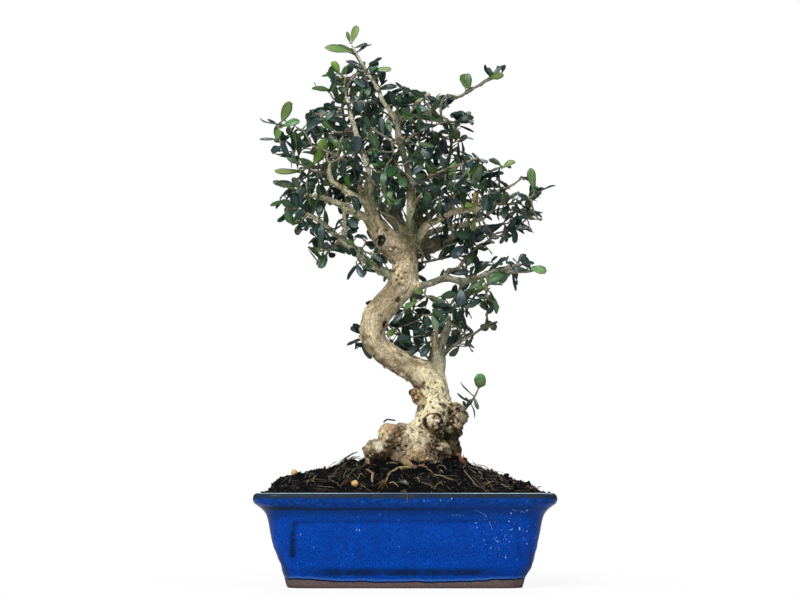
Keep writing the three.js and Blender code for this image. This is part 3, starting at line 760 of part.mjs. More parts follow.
    leaves: [
      [25.62, 38.34, 318.75, 19.37, 48.49, 311.48, -0.07, 0.56, 0.82, 6.51],
      [35.67, 31.98, 319.2, 40.6, 41.79, 325.47, -0.5, -0.25, 0.83, 5.82],
      [32.68, 20.69, 316.6, 23.69, 12.87, 316.61, -0.44, 0.53, 0.73, 4.93],
      [31.7, 32.43, 317.27, 22.27, 34.76, 312.04, -0.48, -0.7, 0.53, 5.24],
      [36.32, 29.92, 321.05, 39.18, 30.72, 331.69, -0.02, -1, 0.07, 4.41],
      [35.45, 25.46, 320.6, 28.69, 17.59, 318.39, -0.62, 0.4, 0.67, 4.63],
      [27.18, 27.93, 314.28, 23.54, 18.11, 315.78, -0.67, 0.35, 0.66, 4.8],
    ],
  },
  {
    name: 'leafy_shoot_35',
    stems: [
      [[82.47, -28.32, 262.18, 0.75], [84.53, -29.19, 263.02, 0.69], [86.89, -28.07, 260.54, 0.78], [90.18, -26.89, 250.39, 0.7], [93.03, -27.26, 248.22, 0.67], [93.29, -30.84, 247.99, 0.64], [89.62, -36.98, 247.33, 0.62]],
      [[84.53, -29.19, 263.02, 0.66], [87.36, -30.59, 264.3, 0.62], [89.51, -26.15, 269.33, 0.62], [90.25, -23.22, 267.37, 0.62], [91.95, -20.06, 267.17, 0.62]],
      [[87.36, -30.59, 264.3, 0.62], [91.52, -34, 266.39, 0.62], [88.22, -34.79, 267.59, 0.62]],
      [[82.47, -28.32, 262.18, 0.71], [85.79, -18.12, 263.12, 0.62], [87.57, -8.29, 267.19, 0.62], [88.26, -1.25, 267.05, 0.62]],
    ],
    leaves: [
      [88.3, -34.72, 267.64, 86.22, -27.08, 283.93, -0.49, -0.81, 0.32, 7.41],
      [89.13, -31.94, 265.22, 95.01, -24.97, 271.35, 0.69, -0.71, 0.13, 4.41],
      [84.73, -21.48, 262.88, 91.74, -15.24, 273.63, 0.84, -0.02, -0.54, 6.56],
      [87.53, -8.53, 267.15, 89.42, -1.88, 277.92, 0.82, -0.54, 0.18, 5.93],
      [86.79, -28.01, 260.59, 82.77, -16.52, 258.14, 0.59, 0.36, 0.72, 5.43],
      [86.45, -14.78, 264.5, 94.58, -7.17, 267, -0.39, 0.13, 0.91, 5.15],
      [89.66, -36.87, 247.35, 83.28, -42.7, 247.2, 0.3, -0.35, 0.89, 4.07],
    ],
  },
  {
    name: 'leafy_shoot_36',
    stems: [
      [[35.58, 28.73, 168.88, 1.49], [38.97, 33.25, 175.33, 1.24], [18.84, 36.17, 181.73, 0.62]],
      [[38.97, 33.25, 175.33, 1.18], [39.99, 34.59, 178.01, 1.1], [31.1, 32.37, 183.71, 0.62]],
      [[39.99, 34.59, 178.01, 1.1], [41.04, 36, 180.66, 1.02], [43.86, 33.9, 181.44, 0.62]],
    ],
    leaves: [
      [35.6, 33.84, 176.4, 33.29, 51.92, 175.19, 0.98, 0.15, 0.15, 7.28],
      [39.94, 34.52, 178.02, 37.71, 29.29, 194.6, 0.78, 0.56, 0.28, 7.74],
      [37.01, 33.84, 180.01, 34.99, 30.93, 196.61, -0.8, -0.56, -0.2, 7.61],
      [25.55, 35.23, 179.67, 19.95, 42.32, 192.88, -0.77, -0.63, 0, 6.6],
      [32.19, 34.31, 177.51, 26.38, 45.5, 182.94, -0.28, 0.31, -0.91, 6.5],
      [28.93, 34.78, 178.49, 22.08, 44.74, 176.82, -0.74, -0.61, -0.28, 5.67],
      [41.04, 35.87, 180.55, 44.12, 24.72, 176.23, 0.62, -0.13, 0.77, 5.18],
      [43.81, 34.04, 181.36, 48.22, 43.1, 174.19, 0.67, 0.24, 0.7, 5.8],
    ],
  },
  {
    name: 'leafy_shoot_37',
    stems: [
      [[15.28, 12.14, 175.89, 0.91], [11.99, 13.37, 182.66, 0.82], [-4.89, -4.01, 176.1, 0.62]],
      [[14.37, 12.48, 177.77, 0.83], [16.03, 26.68, 176.51, 0.62]],
    ],
    leaves: [
      [4.66, 5.94, 179.85, -10.85, 8.13, 179.56, -0.12, -0.94, -0.33, 7.58],
      [15.2, 19.71, 177.2, 14.99, 29.89, 187.19, -0.17, 0.65, -0.74, 6.13],
      [2.41, 3.37, 178.88, 9.97, -5.01, 174.9, -0.56, -0.71, 0.42, 4.89],
      [15.13, 12.26, 176.1, 8.58, 22.12, 176.97, 0.13, -0.09, 0.99, 6.05],
      [15.69, 23.24, 176.85, 24.76, 31.04, 181.52, -0.13, -0.34, 0.93, 4.95],
      [7.17, 8.51, 180.75, 6.86, 19.91, 176.58, 0.79, 0.24, 0.57, 5.09],
      [-0.12, 0.88, 178.02, -6.56, -7.46, 183.78, -0.11, -0.5, -0.86, 5.84],
    ],
  },
  {
    name: 'leafy_shoot_38',
    stems: [
      [[46.76, 2.74, 230.62, 1.1], [46.11, 1.04, 232.18, 0.67], [49.5, -5.03, 231.85, 0.62]],
      [[46.11, 1.04, 232.18, 0.63], [43.28, 0.94, 234.41, 0.62], [41.46, 0.94, 233.81, 0.62]],
    ],
    leaves: [
      [43.34, 0.85, 234.34, 40.28, -12.09, 234.09, 0.41, -0.12, 0.9, 6.53],
      [46.12, 1.03, 232.21, 44.99, -6.58, 242.02, -0.8, 0.52, 0.31, 6.01],
      [49.48, -4.9, 231.85, 57.83, -10.28, 230.85, -0.46, -0.61, -0.65, 4.73],
    ],
  },
  {
    name: 'leafy_shoot_39',
    stems: [
      [[-23.87, 22.33, 272.94, 1.41], [-32.4, 26.8, 280.12, 1.19], [-35.1, 18.17, 285.84, 0.62], [-36.13, 17.36, 292.8, 0.62]],
      [[-27.7, 24.34, 276.16, 1.23], [-29.59, 24.34, 273.45, 0.62], [-32.28, 17.9, 272.96, 0.62]],
    ],
    leaves: [
      [-32.15, 26.57, 279.89, -33.95, 9.24, 276.5, -0.34, -0.16, 0.93, 8.07],
      [-30.95, 21.06, 273.13, -34.1, 10.49, 260.23, 0.41, -0.73, 0.55, 7.08],
      [-35.06, 18.34, 285.66, -40.65, 5.3, 284.51, -0.4, 0.08, 0.91, 5.95],
      [-36.13, 17.44, 292.67, -39.83, 23.23, 302.24, 0.22, -0.79, 0.58, 4.89],
      [-32.27, 18.03, 273, -40.05, 10.12, 275.89, -0.51, 0.7, 0.5, 4.95],
      [-27.76, 24.41, 276.14, -33.86, 31.03, 274.18, -0.42, -0.1, 0.9, 4.48],
    ],
  },
  {
    name: 'base_sprout',
    stems: [
      [[42.21, -7.28, 120.54, 1.09], [50.48, -11, 133.05, 0.62]],
    ],
    leaves: [
      [47.25, -9.6, 128.34, 37.93, -12.5, 137.58, -0.47, -0.58, -0.66, 3.7],
      [44.7, -8.41, 124.17, 47.77, -11.56, 112.98, 0.75, -0.57, 0.34, 3.05],
      [44.6, -8.42, 124.32, 35.88, -11.56, 130.55, -0.28, -0.66, -0.7, 3.03],
      [47.35, -9.61, 128.18, 50.36, -12.5, 119.05, -0.08, -0.95, 0.3, 3.44],
      [50.26, -10.92, 132.77, 52.65, -14, 141.41, -0.08, -0.94, -0.32, 7.56],
      [48.46, -10.16, 130.15, 44.77, -13, 134.8, 0.27, -0.91, -0.32, 3],
    ],
  },
];

// ---------------------------------------------------------------- helpers
function weld(geometry) {
  const g = geometry.clone();
  g.deleteAttribute('normal');
  g.deleteAttribute('uv');
  return mergeVertices(g, 1e-4);
}

function solid(geometry) {
  const g = weld(geometry);
  return new wasm.Manifold(
    new wasm.Mesh({
      numProp: 3,
      vertProperties: new Float32Array(g.attributes.position.array),
      triVerts: new Uint32Array(g.index.array),
    }),
  );
}

function geometryOf(manifold) {
  const m = manifold.getMesh();
  const g = new THREE.BufferGeometry();
  g.setAttribute('position', new THREE.BufferAttribute(new Float32Array(m.vertProperties), 3));
  g.setIndex(new THREE.BufferAttribute(new Uint32Array(m.triVerts), 1));
  g.computeVertexNormals();
  return g;
}

function join(list) {
  // joined pairwise, so that small pieces meet small pieces
  let row = list;
  while (row.length > 1) {
    const next = [];
    for (let i = 0; i < row.length; i += 2) next.push(i + 1 < row.length ? row[i].add(row[i + 1]) : row[i]);
    row = next;
  }
  return row[0];
}

// A closed cylinder laid along a path of [x, y, z, radius], tapering with it.
function limb(points, sides, grow = 0) {
  const n = points.length;
  const g = new THREE.CylinderGeometry(1, 1, 1, sides, n - 1, false);
  const P = points.map((p) => new THREE.Vector3(p[0], p[1], p[2]));
  const T = P.map((_, i) => P[Math.min(i + 1, n - 1)].clone().sub(P[Math.max(i - 1, 0)]).normalize());
  const U = [];
  const W = [];
  let u = new THREE.Vector3(0, 0, 1);
  if (Math.abs(T[0].z) > 0.9) u.set(1, 0, 0);
  u.cross(T[0]).normalize();
  for (let i = 0; i < n; i++) {
    u = u.clone().addScaledVector(T[i], -u.dot(T[i])).normalize();
    U.push(u);
    W.push(new THREE.Vector3().crossVectors(T[i], u));
  }
  const a = g.attributes.position;
  for (let k = 0; k < a.count; k++) {
    const i = Math.round((a.getY(k) + 0.5) * (n - 1));
    const r = points[i][3] + grow;
    const p = P[i].clone().addScaledVector(U[i], a.getZ(k) * r).addScaledVector(W[i], a.getX(k) * r);
    a.setXYZ(k, p.x, p.y, p.z);
  }
  return solid(g);
}

// A folded leaf blade: four corners, the two at the sides raised.
function leaf(row) {
  const foot = new THREE.Vector3(row[0], row[1], row[2]);
  const tip = new THREE.Vector3(row[3], row[4], row[5]);
  const along = tip.clone().sub(foot);
  const length = along.length();
  along.normalize();
  const side = new THREE.Vector3(row[6], row[7], row[8]).cross(along).normalize();
  const up = along.clone().cross(side);
  const width = row[9];
  const middle = foot.clone().addScaledVector(along, length * 0.55).addScaledVector(up, Math.max(0.09 * width, 0.55));
  const corners = [foot, tip, middle.clone().addScaledVector(side, width / 2), middle.clone().addScaledVector(side, -width / 2)];
  const g = new THREE.TetrahedronGeometry(1);
  const a = g.attributes.position;
  const seen = [];
  for (let k = 0; k < a.count; k++) {
    const v = new THREE.Vector3().fromBufferAttribute(a, k);
    let i = seen.findIndex((s) => s.distanceTo(v) < 1e-3);
    if (i < 0) i = seen.push(v) - 1;
    seen[i].corner = i;
  }
  // keep the faces looking out
  const turn = (list) => new THREE.Matrix3().set(
    list[1].x - list[0].x, list[1].y - list[0].y, list[1].z - list[0].z,
    list[2].x - list[0].x, list[2].y - list[0].y, list[2].z - list[0].z,
    list[3].x - list[0].x, list[3].y - list[0].y, list[3].z - list[0].z,
  ).determinant();
  if (turn(seen) * turn(corners) < 0) [corners[2], corners[3]] = [corners[3], corners[2]];
  for (let k = 0; k < a.count; k++) {
    const v = new THREE.Vector3().fromBufferAttribute(a, k);
    const c = corners[seen.findIndex((s) => s.distanceTo(v) < 1e-3)];
    a.setXYZ(k, c.x, c.y, c.z);
  }
  return solid(g);
}

// A point of the rounded rectangle with the given half length, on corner arc
// `corner` at step `step`.
function ringPoint(half, corner, step) {
  const hx = half;
  const hy = half * POT_DEPTH_SHARE;
  const r = half * CORNER_SHARE;
  const a = (Math.PI / 2) * (corner + step / CORNER_STEPS);
  const sx = corner === 0 || corner === 3 ? 1 : -1;
  const sy = corner < 2 ? 1 : -1;
  return [sx * (hx - r) + r * Math.cos(a), sy * (hy - r) + r * Math.sin(a)];
}

// A turned profile squared off to rounded-rectangle rings. height(x, y, z) may
// move a point up or down.
function squared(profile, height = (x, y, z) => z) {
  const around = 4 * (CORNER_STEPS + 1);
  const g = new THREE.LatheGeometry(profile.map((p) => new THREE.Vector2(p[0], p[1])), around);
  const a = g.attributes.position;
  for (let i = 0; i <= around; i++) {
    const k = i % around;
    const corner = Math.floor(k / (CORNER_STEPS + 1));
    const step = k % (CORNER_STEPS + 1);
    for (let j = 0; j < profile.length; j++) {
      const [x, y] = profile[j][0] === 0 ? [0, 0] : ringPoint(profile[j][0], corner, step);
      a.setXYZ(i * profile.length + j, x, y, height(x, y, profile[j][1]));
    }
  }
  let s = solid(g);
  if (s.volume() < 0) {
    const w = weld(g);
    const t = w.index.array;
    for (let i = 0; i < t.length; i += 3) [t[i + 1], t[i + 2]] = [t[i + 2], t[i + 1]];
    s = solid(w);
  }
  return s;
}

function material(color, roughness, metalness = 0) {
  return new THREE.MeshStandardMaterial({ color, roughness, metalness, flatShading: true });
}

const bonsai = new THREE.Group();
bonsai.name = 'olive_bonsai';

function addMesh(name, manifold, mat, parent = bonsai) {
  const mesh = new THREE.Mesh(geometryOf(manifold), mat);
  mesh.name = name;
  parent.add(mesh);
  return mesh;
}

// ---------------------------------------------------------------- pot
function drill(x) {
  const g = new THREE.CylinderGeometry(HOLE_R, HOLE_R, 20, 16);
  g.rotateX(Math.PI / 2);
  g.translate(x, 0, 8);
  return solid(g);
}
const potProfile = [[0, RECESS_Z], [70.5, RECESS_Z], [71.5, 0], ...POT_OUTSIDE, ...POT_INSIDE, [0, FLOOR_Z]];
const pot = squared(potProfile).subtract(drill(-HOLE_X)).subtract(drill(HOLE_X));
addMesh('pot', pot, material(0x1446a8, 0.22));

// ---------------------------------------------------------------- drainage mesh
function drainMesh(x) {
  const box = (w, h, cx, cy) => {
    const g = new THREE.BoxGeometry(w, w, h);
    g.translate(x + cx, cy, FLOOR_Z + GAP + MESH_THICK / 2);
    return solid(g);
  };
  const count = Math.floor((MESH_SIDE - 2) / MESH_CELL);
  let plate = box(MESH_SIDE, MESH_THICK, 0, 0);
  for (let i = 0; i < count; i++) {
    for (let j = 0; j < count; j++) {
      const at = (k) => (k - (count - 1) / 2) * MESH_CELL;
      plate = plate.subtract(box(MESH_CELL - MESH_BAR, MESH_THICK * 3, at(i), at(j)));
    }
  }
  return plate;
}
addMesh('drainage_mesh_left', drainMesh(-HOLE_X), material(0x20241f, 0.6));
addMesh('drainage_mesh_right', drainMesh(HOLE_X), material(0x20241f, 0.6));

// ---------------------------------------------------------------- wood
function wood(grow = 0) {
  const parts = [...LIMBS, ...ROOTS].map(([sides, points]) => limb(points, sides, grow));
  for (const [x, y, z, r] of BURLS) {
    const g = new THREE.IcosahedronGeometry(r * 1.04 + grow, 1);
    g.translate(x, y, z);
    parts.push(solid(g));
  }
  return join(parts);
}
addMesh('trunk_and_branches', wood(), material(0xb9a988, 0.85));

// ---------------------------------------------------------------- soil
function lineAt(x) {
  const L = SOIL_LINE;
  if (x <= L[0][0]) return L[0][1];
  for (let i = 1; i < L.length; i++) {
    if (x <= L[i][0]) {
      const t = (x - L[i - 1][0]) / (L[i][0] - L[i - 1][0]);
      return L[i - 1][1] + t * (L[i][1] - L[i - 1][1]);
    }
  }
  return L[L.length - 1][1];
}
function soilTop(x, y) {
  const edge = 61.5;
  const t = Math.min(1, Math.abs(y) / 69.5);
  const ripple = 0.5 * Math.sin(x * 0.31 + y * 0.17) + 0.4 * Math.sin(y * 0.43 - x * 0.11);
  return edge + (lineAt(x) - edge) * Math.pow(1 - Math.pow(t, 1.4), 0.95) + ripple * (1 - Math.pow(t, 6));
}
const inner = (z) => {
  const P = POT_INSIDE;
  for (let i = 1; i < P.length; i++) {
    if (z >= P[i][1]) return P[i][0] + ((z - P[i][1]) / (P[i - 1][1] - P[i][1])) * (P[i - 1][0] - P[i][0]);
  }
  return P[P.length - 1][0];
};
const soilProfile = [[0, FLOOR_Z + GAP], [inner(FLOOR_Z + GAP) - SOIL_SIDE_GAP, FLOOR_Z + GAP]];
for (const z of [22, 40, 60]) soilProfile.push([inner(z) - SOIL_SIDE_GAP - 0.15, z]);
for (const half of [87.5, 80, 69, 56, 43, 30, 15, 0]) soilProfile.push([half, 999]);
const mound = squared(soilProfile, (x, y, z) => (z === 999 ? soilTop(x, y) : z));
const meshRoom = (x) => {
  const g = new THREE.BoxGeometry(MESH_SIDE + 2 * GAP, MESH_SIDE + 2 * GAP, MESH_THICK + 2 * GAP);
  g.translate(x, 0, FLOOR_Z + GAP + MESH_THICK / 2);
  return solid(g);
};
const soil = mound.subtract(wood(GAP)).subtract(meshRoom(-HOLE_X)).subtract(meshRoom(HOLE_X));
// the one body that fills the pot; crumbs cut off by the roots are left out
const soilBody = soil.decompose().sort((a, b) => b.volume() - a.volume())[0];
addMesh('soil', soilBody, material(0x241d17, 0.95));

// ---------------------------------------------------------------- fertiliser prills
const PRILLS = [
  ['fertiliser_prill_1', -75.5, -13],
  ['fertiliser_prill_2', -33, -62],
  ['fertiliser_prill_3', 58, 28],
];
for (const [name, x, y] of PRILLS) {
  const g = new THREE.IcosahedronGeometry(PRILL_R, 1);
  let z = soilTop(x, y) + PRILL_R + 0.3;
  // rest clear of the ground on every side
  for (const [dx, dy] of [[2, 0], [-2, 0], [0, 2], [0, -2]]) z = Math.max(z, soilTop(x + dx, y + dy) + PRILL_R * 0.75 + 0.3);
  g.translate(x, y, z + 0.4);
  addMesh(name, solid(g), material(0xc9a24a, 0.5));
}

// ---------------------------------------------------------------- leafy shoots
const shoots = new THREE.Group();
bonsai.add(shoots);
for (const shoot of SHOOTS) {
  const stems = join(shoot.stems.map((points, i) => limb(points, i === 0 ? 4 : 3)));
  const body = join([stems, ...shoot.leaves.map(leaf)]);
  addMesh(shoot.name, body, material(shoot.name === 'base_sprout' ? 0x4c7a34 : 0x1f4038, 0.45), shoots);
}

export default bonsai;
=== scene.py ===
"""Olive bonsai in a blue glazed pot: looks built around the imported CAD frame.

Lengths in the tables are millimetres; objects are made in metres. +X is the pot's right, +Z is up,
and the front looks along -Y. Everything random comes from seeded generators and hashed noise.
"""
import bpy
import math
import numpy as np
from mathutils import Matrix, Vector
from mathutils.bvhtree import BVHTree
from mathutils.kdtree import KDTree
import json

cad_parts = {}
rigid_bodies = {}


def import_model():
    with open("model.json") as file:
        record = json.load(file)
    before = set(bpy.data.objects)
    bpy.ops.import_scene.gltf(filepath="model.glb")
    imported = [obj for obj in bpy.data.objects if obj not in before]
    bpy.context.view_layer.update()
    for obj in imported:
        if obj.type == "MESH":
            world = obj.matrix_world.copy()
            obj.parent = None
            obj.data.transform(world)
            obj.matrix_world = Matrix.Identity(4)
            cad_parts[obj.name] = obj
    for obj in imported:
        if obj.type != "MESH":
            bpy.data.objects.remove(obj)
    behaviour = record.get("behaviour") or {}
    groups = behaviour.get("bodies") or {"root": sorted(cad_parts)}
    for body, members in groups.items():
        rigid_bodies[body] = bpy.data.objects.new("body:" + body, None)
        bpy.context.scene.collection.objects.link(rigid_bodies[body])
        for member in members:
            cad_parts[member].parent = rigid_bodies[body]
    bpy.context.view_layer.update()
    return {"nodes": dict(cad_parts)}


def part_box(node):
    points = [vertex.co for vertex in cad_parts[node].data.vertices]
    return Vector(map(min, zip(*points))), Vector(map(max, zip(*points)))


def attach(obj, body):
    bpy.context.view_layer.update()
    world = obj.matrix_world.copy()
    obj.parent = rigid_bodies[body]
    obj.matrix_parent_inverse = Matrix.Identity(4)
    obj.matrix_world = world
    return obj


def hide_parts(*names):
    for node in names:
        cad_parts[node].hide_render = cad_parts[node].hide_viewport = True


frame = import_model()
MM = 0.001

# ------------------------------------------------------------------ camera
CAM_AT = (-3.285, -1300.0, 66.793)   # mm
CAM_PITCH = 0.0988911886             # radians above level
CAM_F = 1875.1923                    # focal length in pixels of an 800 x 600 frame

cam_data = bpy.data.cameras.new("camera")
cam_data.sensor_width = 36.0
cam_data.lens = CAM_F * 36.0 / 800.0
cam_data.clip_start, cam_data.clip_end = 0.05, 30.0
camera = bpy.data.objects.new("camera", cam_data)
camera.location = [c * MM for c in CAM_AT]
camera.rotation_euler = (math.pi / 2 + CAM_PITCH, 0, 0)
bpy.context.scene.collection.objects.link(camera)
bpy.context.scene.camera = camera


def ray(u, v):
    """Direction from the camera through a point of the 800 x 600 frame."""
    a, b = (u - 400) / CAM_F, (300 - v) / CAM_F
    c, s = math.cos(CAM_PITCH), math.sin(CAM_PITCH)
    d = np.array([a, c - b * s, s + b * c])
    return d / np.linalg.norm(d)


# ------------------------------------------------------------------ numbers
def smooth(a, b, x):
    t = np.clip((np.asarray(x, float) - a) / (b - a), 0, 1)
    return t * t * (3 - 2 * t)


def lerp(a, b, t):
    return a + (b - a) * t


def srgb(r, g, b):
    """0-255 screen colour to linear."""
    c = np.array([r, g, b], float) / 255
    return np.where(c <= 0.04045, c / 12.92, ((c + 0.055) / 1.055) ** 2.4)


def hashed(ix, iy, iz, seed):
    """Hash of whole numbers to 0..1."""
    with np.errstate(over="ignore"):
        n = (ix.astype(np.uint32) * np.uint32(73856093)) ^ (iy.astype(np.uint32) * np.uint32(19349663)) \
            ^ (iz.astype(np.uint32) * np.uint32(83492791)) ^ np.uint32((seed * 2654435761) & 0xFFFFFFFF)
        n ^= n >> np.uint32(15)
        n *= np.uint32(2246822519)
        n ^= n >> np.uint32(13)
        n *= np.uint32(3266489917)
        n ^= n >> np.uint32(16)
    return (n & np.uint32(0xFFFFFF)).astype(np.float32) / np.float32(0xFFFFFF)


def noise(p, seed=0):
    """Value noise, about -1..1, at points p (n, 3)."""
    q = np.floor(p).astype(np.int64)
    f = (p - q).astype(np.float32)
    f = f * f * f * (f * (f * 6 - 15) + 10)
    q = q.astype(np.int32)
    out = 0
    for dx in (0, 1):
        wx = f[:, 0] if dx else 1 - f[:, 0]
        for dy in (0, 1):
            wy = f[:, 1] if dy else 1 - f[:, 1]
            for dz in (0, 1):
                wz = f[:, 2] if dz else 1 - f[:, 2]
                out = out + wx * wy * wz * hashed(q[:, 0] + dx, q[:, 1] + dy, q[:, 2] + dz, seed)
    return out * 2 - 1


def fbm(p, size, octaves=3, seed=0, gain=0.5):
    """Sum of noises whose largest waves are about size mm long."""
    p = np.asarray(p, float) / np.asarray(size, float)
    total, amp, norm = 0, 1.0, 0
    for o in range(octaves):
        total = total + amp * noise(p * 2.0 ** o + 17.3 * o, seed + o * 7)
        norm += amp
        amp *= gain
    return total / norm * 1.6


def worley(p, size, seed=0):
    """Cell noise: distance to the nearest and second nearest point, in cells, and the nearest cell's number 0..1."""
    p = np.asarray(p, float) / np.asarray(size, float)
    q = np.floor(p).astype(np.int32)
    f1 = np.full(len(p), 9.0, np.float32)
    f2 = np.full(len(p), 9.0, np.float32)
    num = np.zeros(len(p), np.float32)
    for dx in (-1, 0, 1):
        for dy in (-1, 0, 1):
            for dz in (-1, 0, 1):
                c = q + np.array([dx, dy, dz], np.int32)
                px = c[:, 0] + hashed(c[:, 0], c[:, 1], c[:, 2], seed)
                py = c[:, 1] + hashed(c[:, 0], c[:, 1], c[:, 2], seed + 101)
                pz = c[:, 2] + hashed(c[:, 0], c[:, 1], c[:, 2], seed + 211)
                d = np.sqrt((px - p[:, 0]) ** 2 + (py - p[:, 1]) ** 2 + (pz - p[:, 2]) ** 2).astype(np.float32)
                near = d < f1
                f2 = np.where(near, f1, np.minimum(f2, d))
                num = np.where(near, hashed(c[:, 0], c[:, 1], c[:, 2], seed + 307), num)
                f1 = np.where(near, d, f1)
    return f1, f2, num


def catmull(P, step):
    """Points (n, k) through a Catmull-Rom curve, about step apart by their first three numbers."""
    P = np.asarray(P, float)
    Q = np.vstack([2 * P[0] - P[1], P, 2 * P[-1] - P[-2]])
    out = []
    for i in range(1, len(Q) - 2):
        p0, p1, p2, p3 = Q[i - 1], Q[i], Q[i + 1], Q[i + 2]
        n = max(1, int(round(np.linalg.norm((p2 - p1)[:3]) / step)))
        for k in range(n):
            t = k / n
            out.append(0.5 * (2 * p1 + (p2 - p0) * t + (2 * p0 - 5 * p1 + 4 * p2 - p3) * t * t + (3 * p1 - p0 - 3 * p2 + p3) * t ** 3))
    out.append(Q[-2])
    return np.array(out)


def frames_along(P):
    """Tangents and two normals that turn as little as they can along the points P."""
    t = np.gradient(P, axis=0)
    t /= np.maximum(np.linalg.norm(t, axis=1), 1e-9)[:, None]
    ref = np.array([0, 0, 1.0]) if abs(t[0][2]) < 0.9 else np.array([1.0, 0, 0])
    u = np.cross(ref, t[0])
    u /= np.linalg.norm(u)
    U, W = [], []
    for k in range(len(P)):
        u = u - np.dot(u, t[k]) * t[k]
        u /= max(np.linalg.norm(u), 1e-9)
        U.append(u)
        W.append(np.cross(t[k], u))
    return t, np.array(U), np.array(W)


# ------------------------------------------------------------------ meshes
class Build:
    """Gathers closed shells, in mm, with numbers kept at their vertices, into one mesh."""

    def __init__(self):
        self.v, self.q, self.t, self.qm, self.tm, self.a, self.n = [], [], [], [], [], {}, 0

    def add(self, V, quads=None, tris=None, mat=0, **values):
        V = np.asarray(V, float)
        if quads is not None and len(quads):
            self.q.append(np.asarray(quads) + self.n)
            self.qm.append(np.full(len(quads), mat))
        if tris is not None and len(tris):
            self.t.append(np.asarray(tris) + self.n)
            self.tm.append(np.full(len(tris), mat))
        for k, x in values.items():
            x = np.asarray(x, float)
            if x.ndim == 1 and len(x) != len(V):
                x = np.tile(x, (len(V), 1))
            self.a.setdefault(k, []).append((self.n, x))
        self.v.append(V)
        self.n += len(V)
        return self

    def triangles(self):
        return 2 * sum(len(x) for x in self.q) + sum(len(x) for x in self.t)

    def object(self, name, materials, flat=False):
        V = np.vstack(self.v) * MM
        Q = np.vstack(self.q) if self.q else np.zeros((0, 4), int)
        T = np.vstack(self.t) if self.t else np.zeros((0, 3), int)
        me = bpy.data.meshes.new(name)
        me.vertices.add(len(V))
        me.vertices.foreach_set("co", V.astype(np.float32).ravel())
        loops = np.concatenate([Q.ravel(), T.ravel()]).astype(np.int32)
        me.loops.add(len(loops))
        me.loops.foreach_set("vertex_index", loops)
        me.polygons.add(len(Q) + len(T))
        start = np.concatenate([np.arange(len(Q)) * 4, len(Q) * 4 + np.arange(len(T)) * 3]).astype(np.int32)
        me.polygons.foreach_set("loop_start", start)
        me.polygons.foreach_set("material_index", np.concatenate(self.qm + self.tm).astype(np.int32))
        me.update(calc_edges=True)
        me.validate()
        if flat:
            me.shade_flat()
        else:
            me.shade_smooth()
        for k, parts in self.a.items():
            width = max(1 if x.ndim == 1 else x.shape[1] for _, x in parts)
            kind = {1: "FLOAT", 3: "FLOAT_VECTOR", 4: "FLOAT_COLOR"}[width]
            full = np.zeros((len(V), width), np.float32)
            for at, x in parts:
                full[at:at + len(x)] = x.reshape(len(x), -1)
            attr = me.attributes.new(k, kind, "POINT")
            attr.data.foreach_set({1: "value", 3: "vector", 4: "color"}[width], full.ravel())
        for m in materials:
            me.materials.append(m)
        o = bpy.data.objects.new(name, me)
        bpy.context.scene.collection.objects.link(o)
        return o


def piece(o, slot, *nodes):
    """A finished piece: it rides on the only body, and stands for its CAD nodes."""
    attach(o, "root")
    if nodes:
        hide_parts(*nodes)
    return o


def rgba(c, a=1.0):
    c = np.atleast_2d(c)
    return np.hstack([c, np.broadcast_to(np.reshape(a, (-1, 1)), (len(c), 1))])


def grid_quads(rows, cols, wrap=True):
    """Quads of a grid of rows x cols vertices, closed round the columns when wrap is set. Rows go up and columns anticlockwise for faces that look out."""
    i = np.arange(rows - 1)[:, None]
    j = np.arange(cols if wrap else cols - 1)[None, :]
    j2 = (j + 1) % cols
    a, b, c, d = i * cols + j, i * cols + j2, (i + 1) * cols + j2, (i + 1) * cols + j
    return np.stack([a, b, c, d], -1).reshape(-1, 4)


def tube(P, R, sides=8, squash=None, cap=True):
    """A closed tube over points P with radii R, its ends closed to a point. Returns vertices, quads, triangles, and for each vertex its place along the tube 0..1."""
    P = np.asarray(P, float)
    R = np.asarray(R, float)
    t, U, W = frames_along(P)
    ang = np.arange(sides) * 2 * math.pi / sides
    r = R[:, None] * np.ones(sides)
    if squash is not None:
        r = r * squash
    ring = P[:, None, :] + r[..., None] * (np.cos(ang)[None, :, None] * U[:, None, :] + np.sin(ang)[None, :, None] * W[:, None, :])
    n = len(P)
    V = np.vstack([ring.reshape(-1, 3), P[0] - t[0] * R[0] * 0.35, P[-1] + t[-1] * R[-1] * 0.6])
    Q = grid_quads(n, sides)
    j = np.arange(sides)
    T = np.vstack([np.stack([np.full(sides, n * sides), (j + 1) % sides, j], 1),
                   np.stack([np.full(sides, n * sides + 1), (n - 1) * sides + j, (n - 1) * sides + (j + 1) % sides], 1)])
    s = np.concatenate([[0], np.cumsum(np.linalg.norm(np.diff(P, axis=0), axis=1))])
    along = np.concatenate([np.repeat(s / s[-1], sides), [0, 1]])
    return V, Q, T, along


def normals_of(V, Q):
    """Vertex normals of a mesh of quads."""
    n = np.cross(V[Q[:, 2]] - V[Q[:, 0]], V[Q[:, 3]] - V[Q[:, 1]])
    out = np.zeros_like(V)
    for k in range(4):
        for c in range(3):
            out[:, c] += np.bincount(Q[:, k], n[:, c], len(V))
    return out / np.maximum(np.linalg.norm(out, axis=1), 1e-12)[:, None]


def relax(V, Q, times, share=0.5):
    """Moves each vertex towards the middle of its neighbours."""
    a = np.concatenate([Q[:, 0], Q[:, 1], Q[:, 2], Q[:, 3]])
    b = np.concatenate([Q[:, 1], Q[:, 2], Q[:, 3], Q[:, 0]])
    count = np.bincount(a, minlength=len(V)) + np.bincount(b, minlength=len(V))
    for _ in range(times):
        mean = np.stack([np.bincount(a, V[b, c], len(V)) + np.bincount(b, V[a, c], len(V)) for c in range(3)], 1) / np.maximum(count, 1)[:, None]
        V = V + (mean - V) * share
    return V


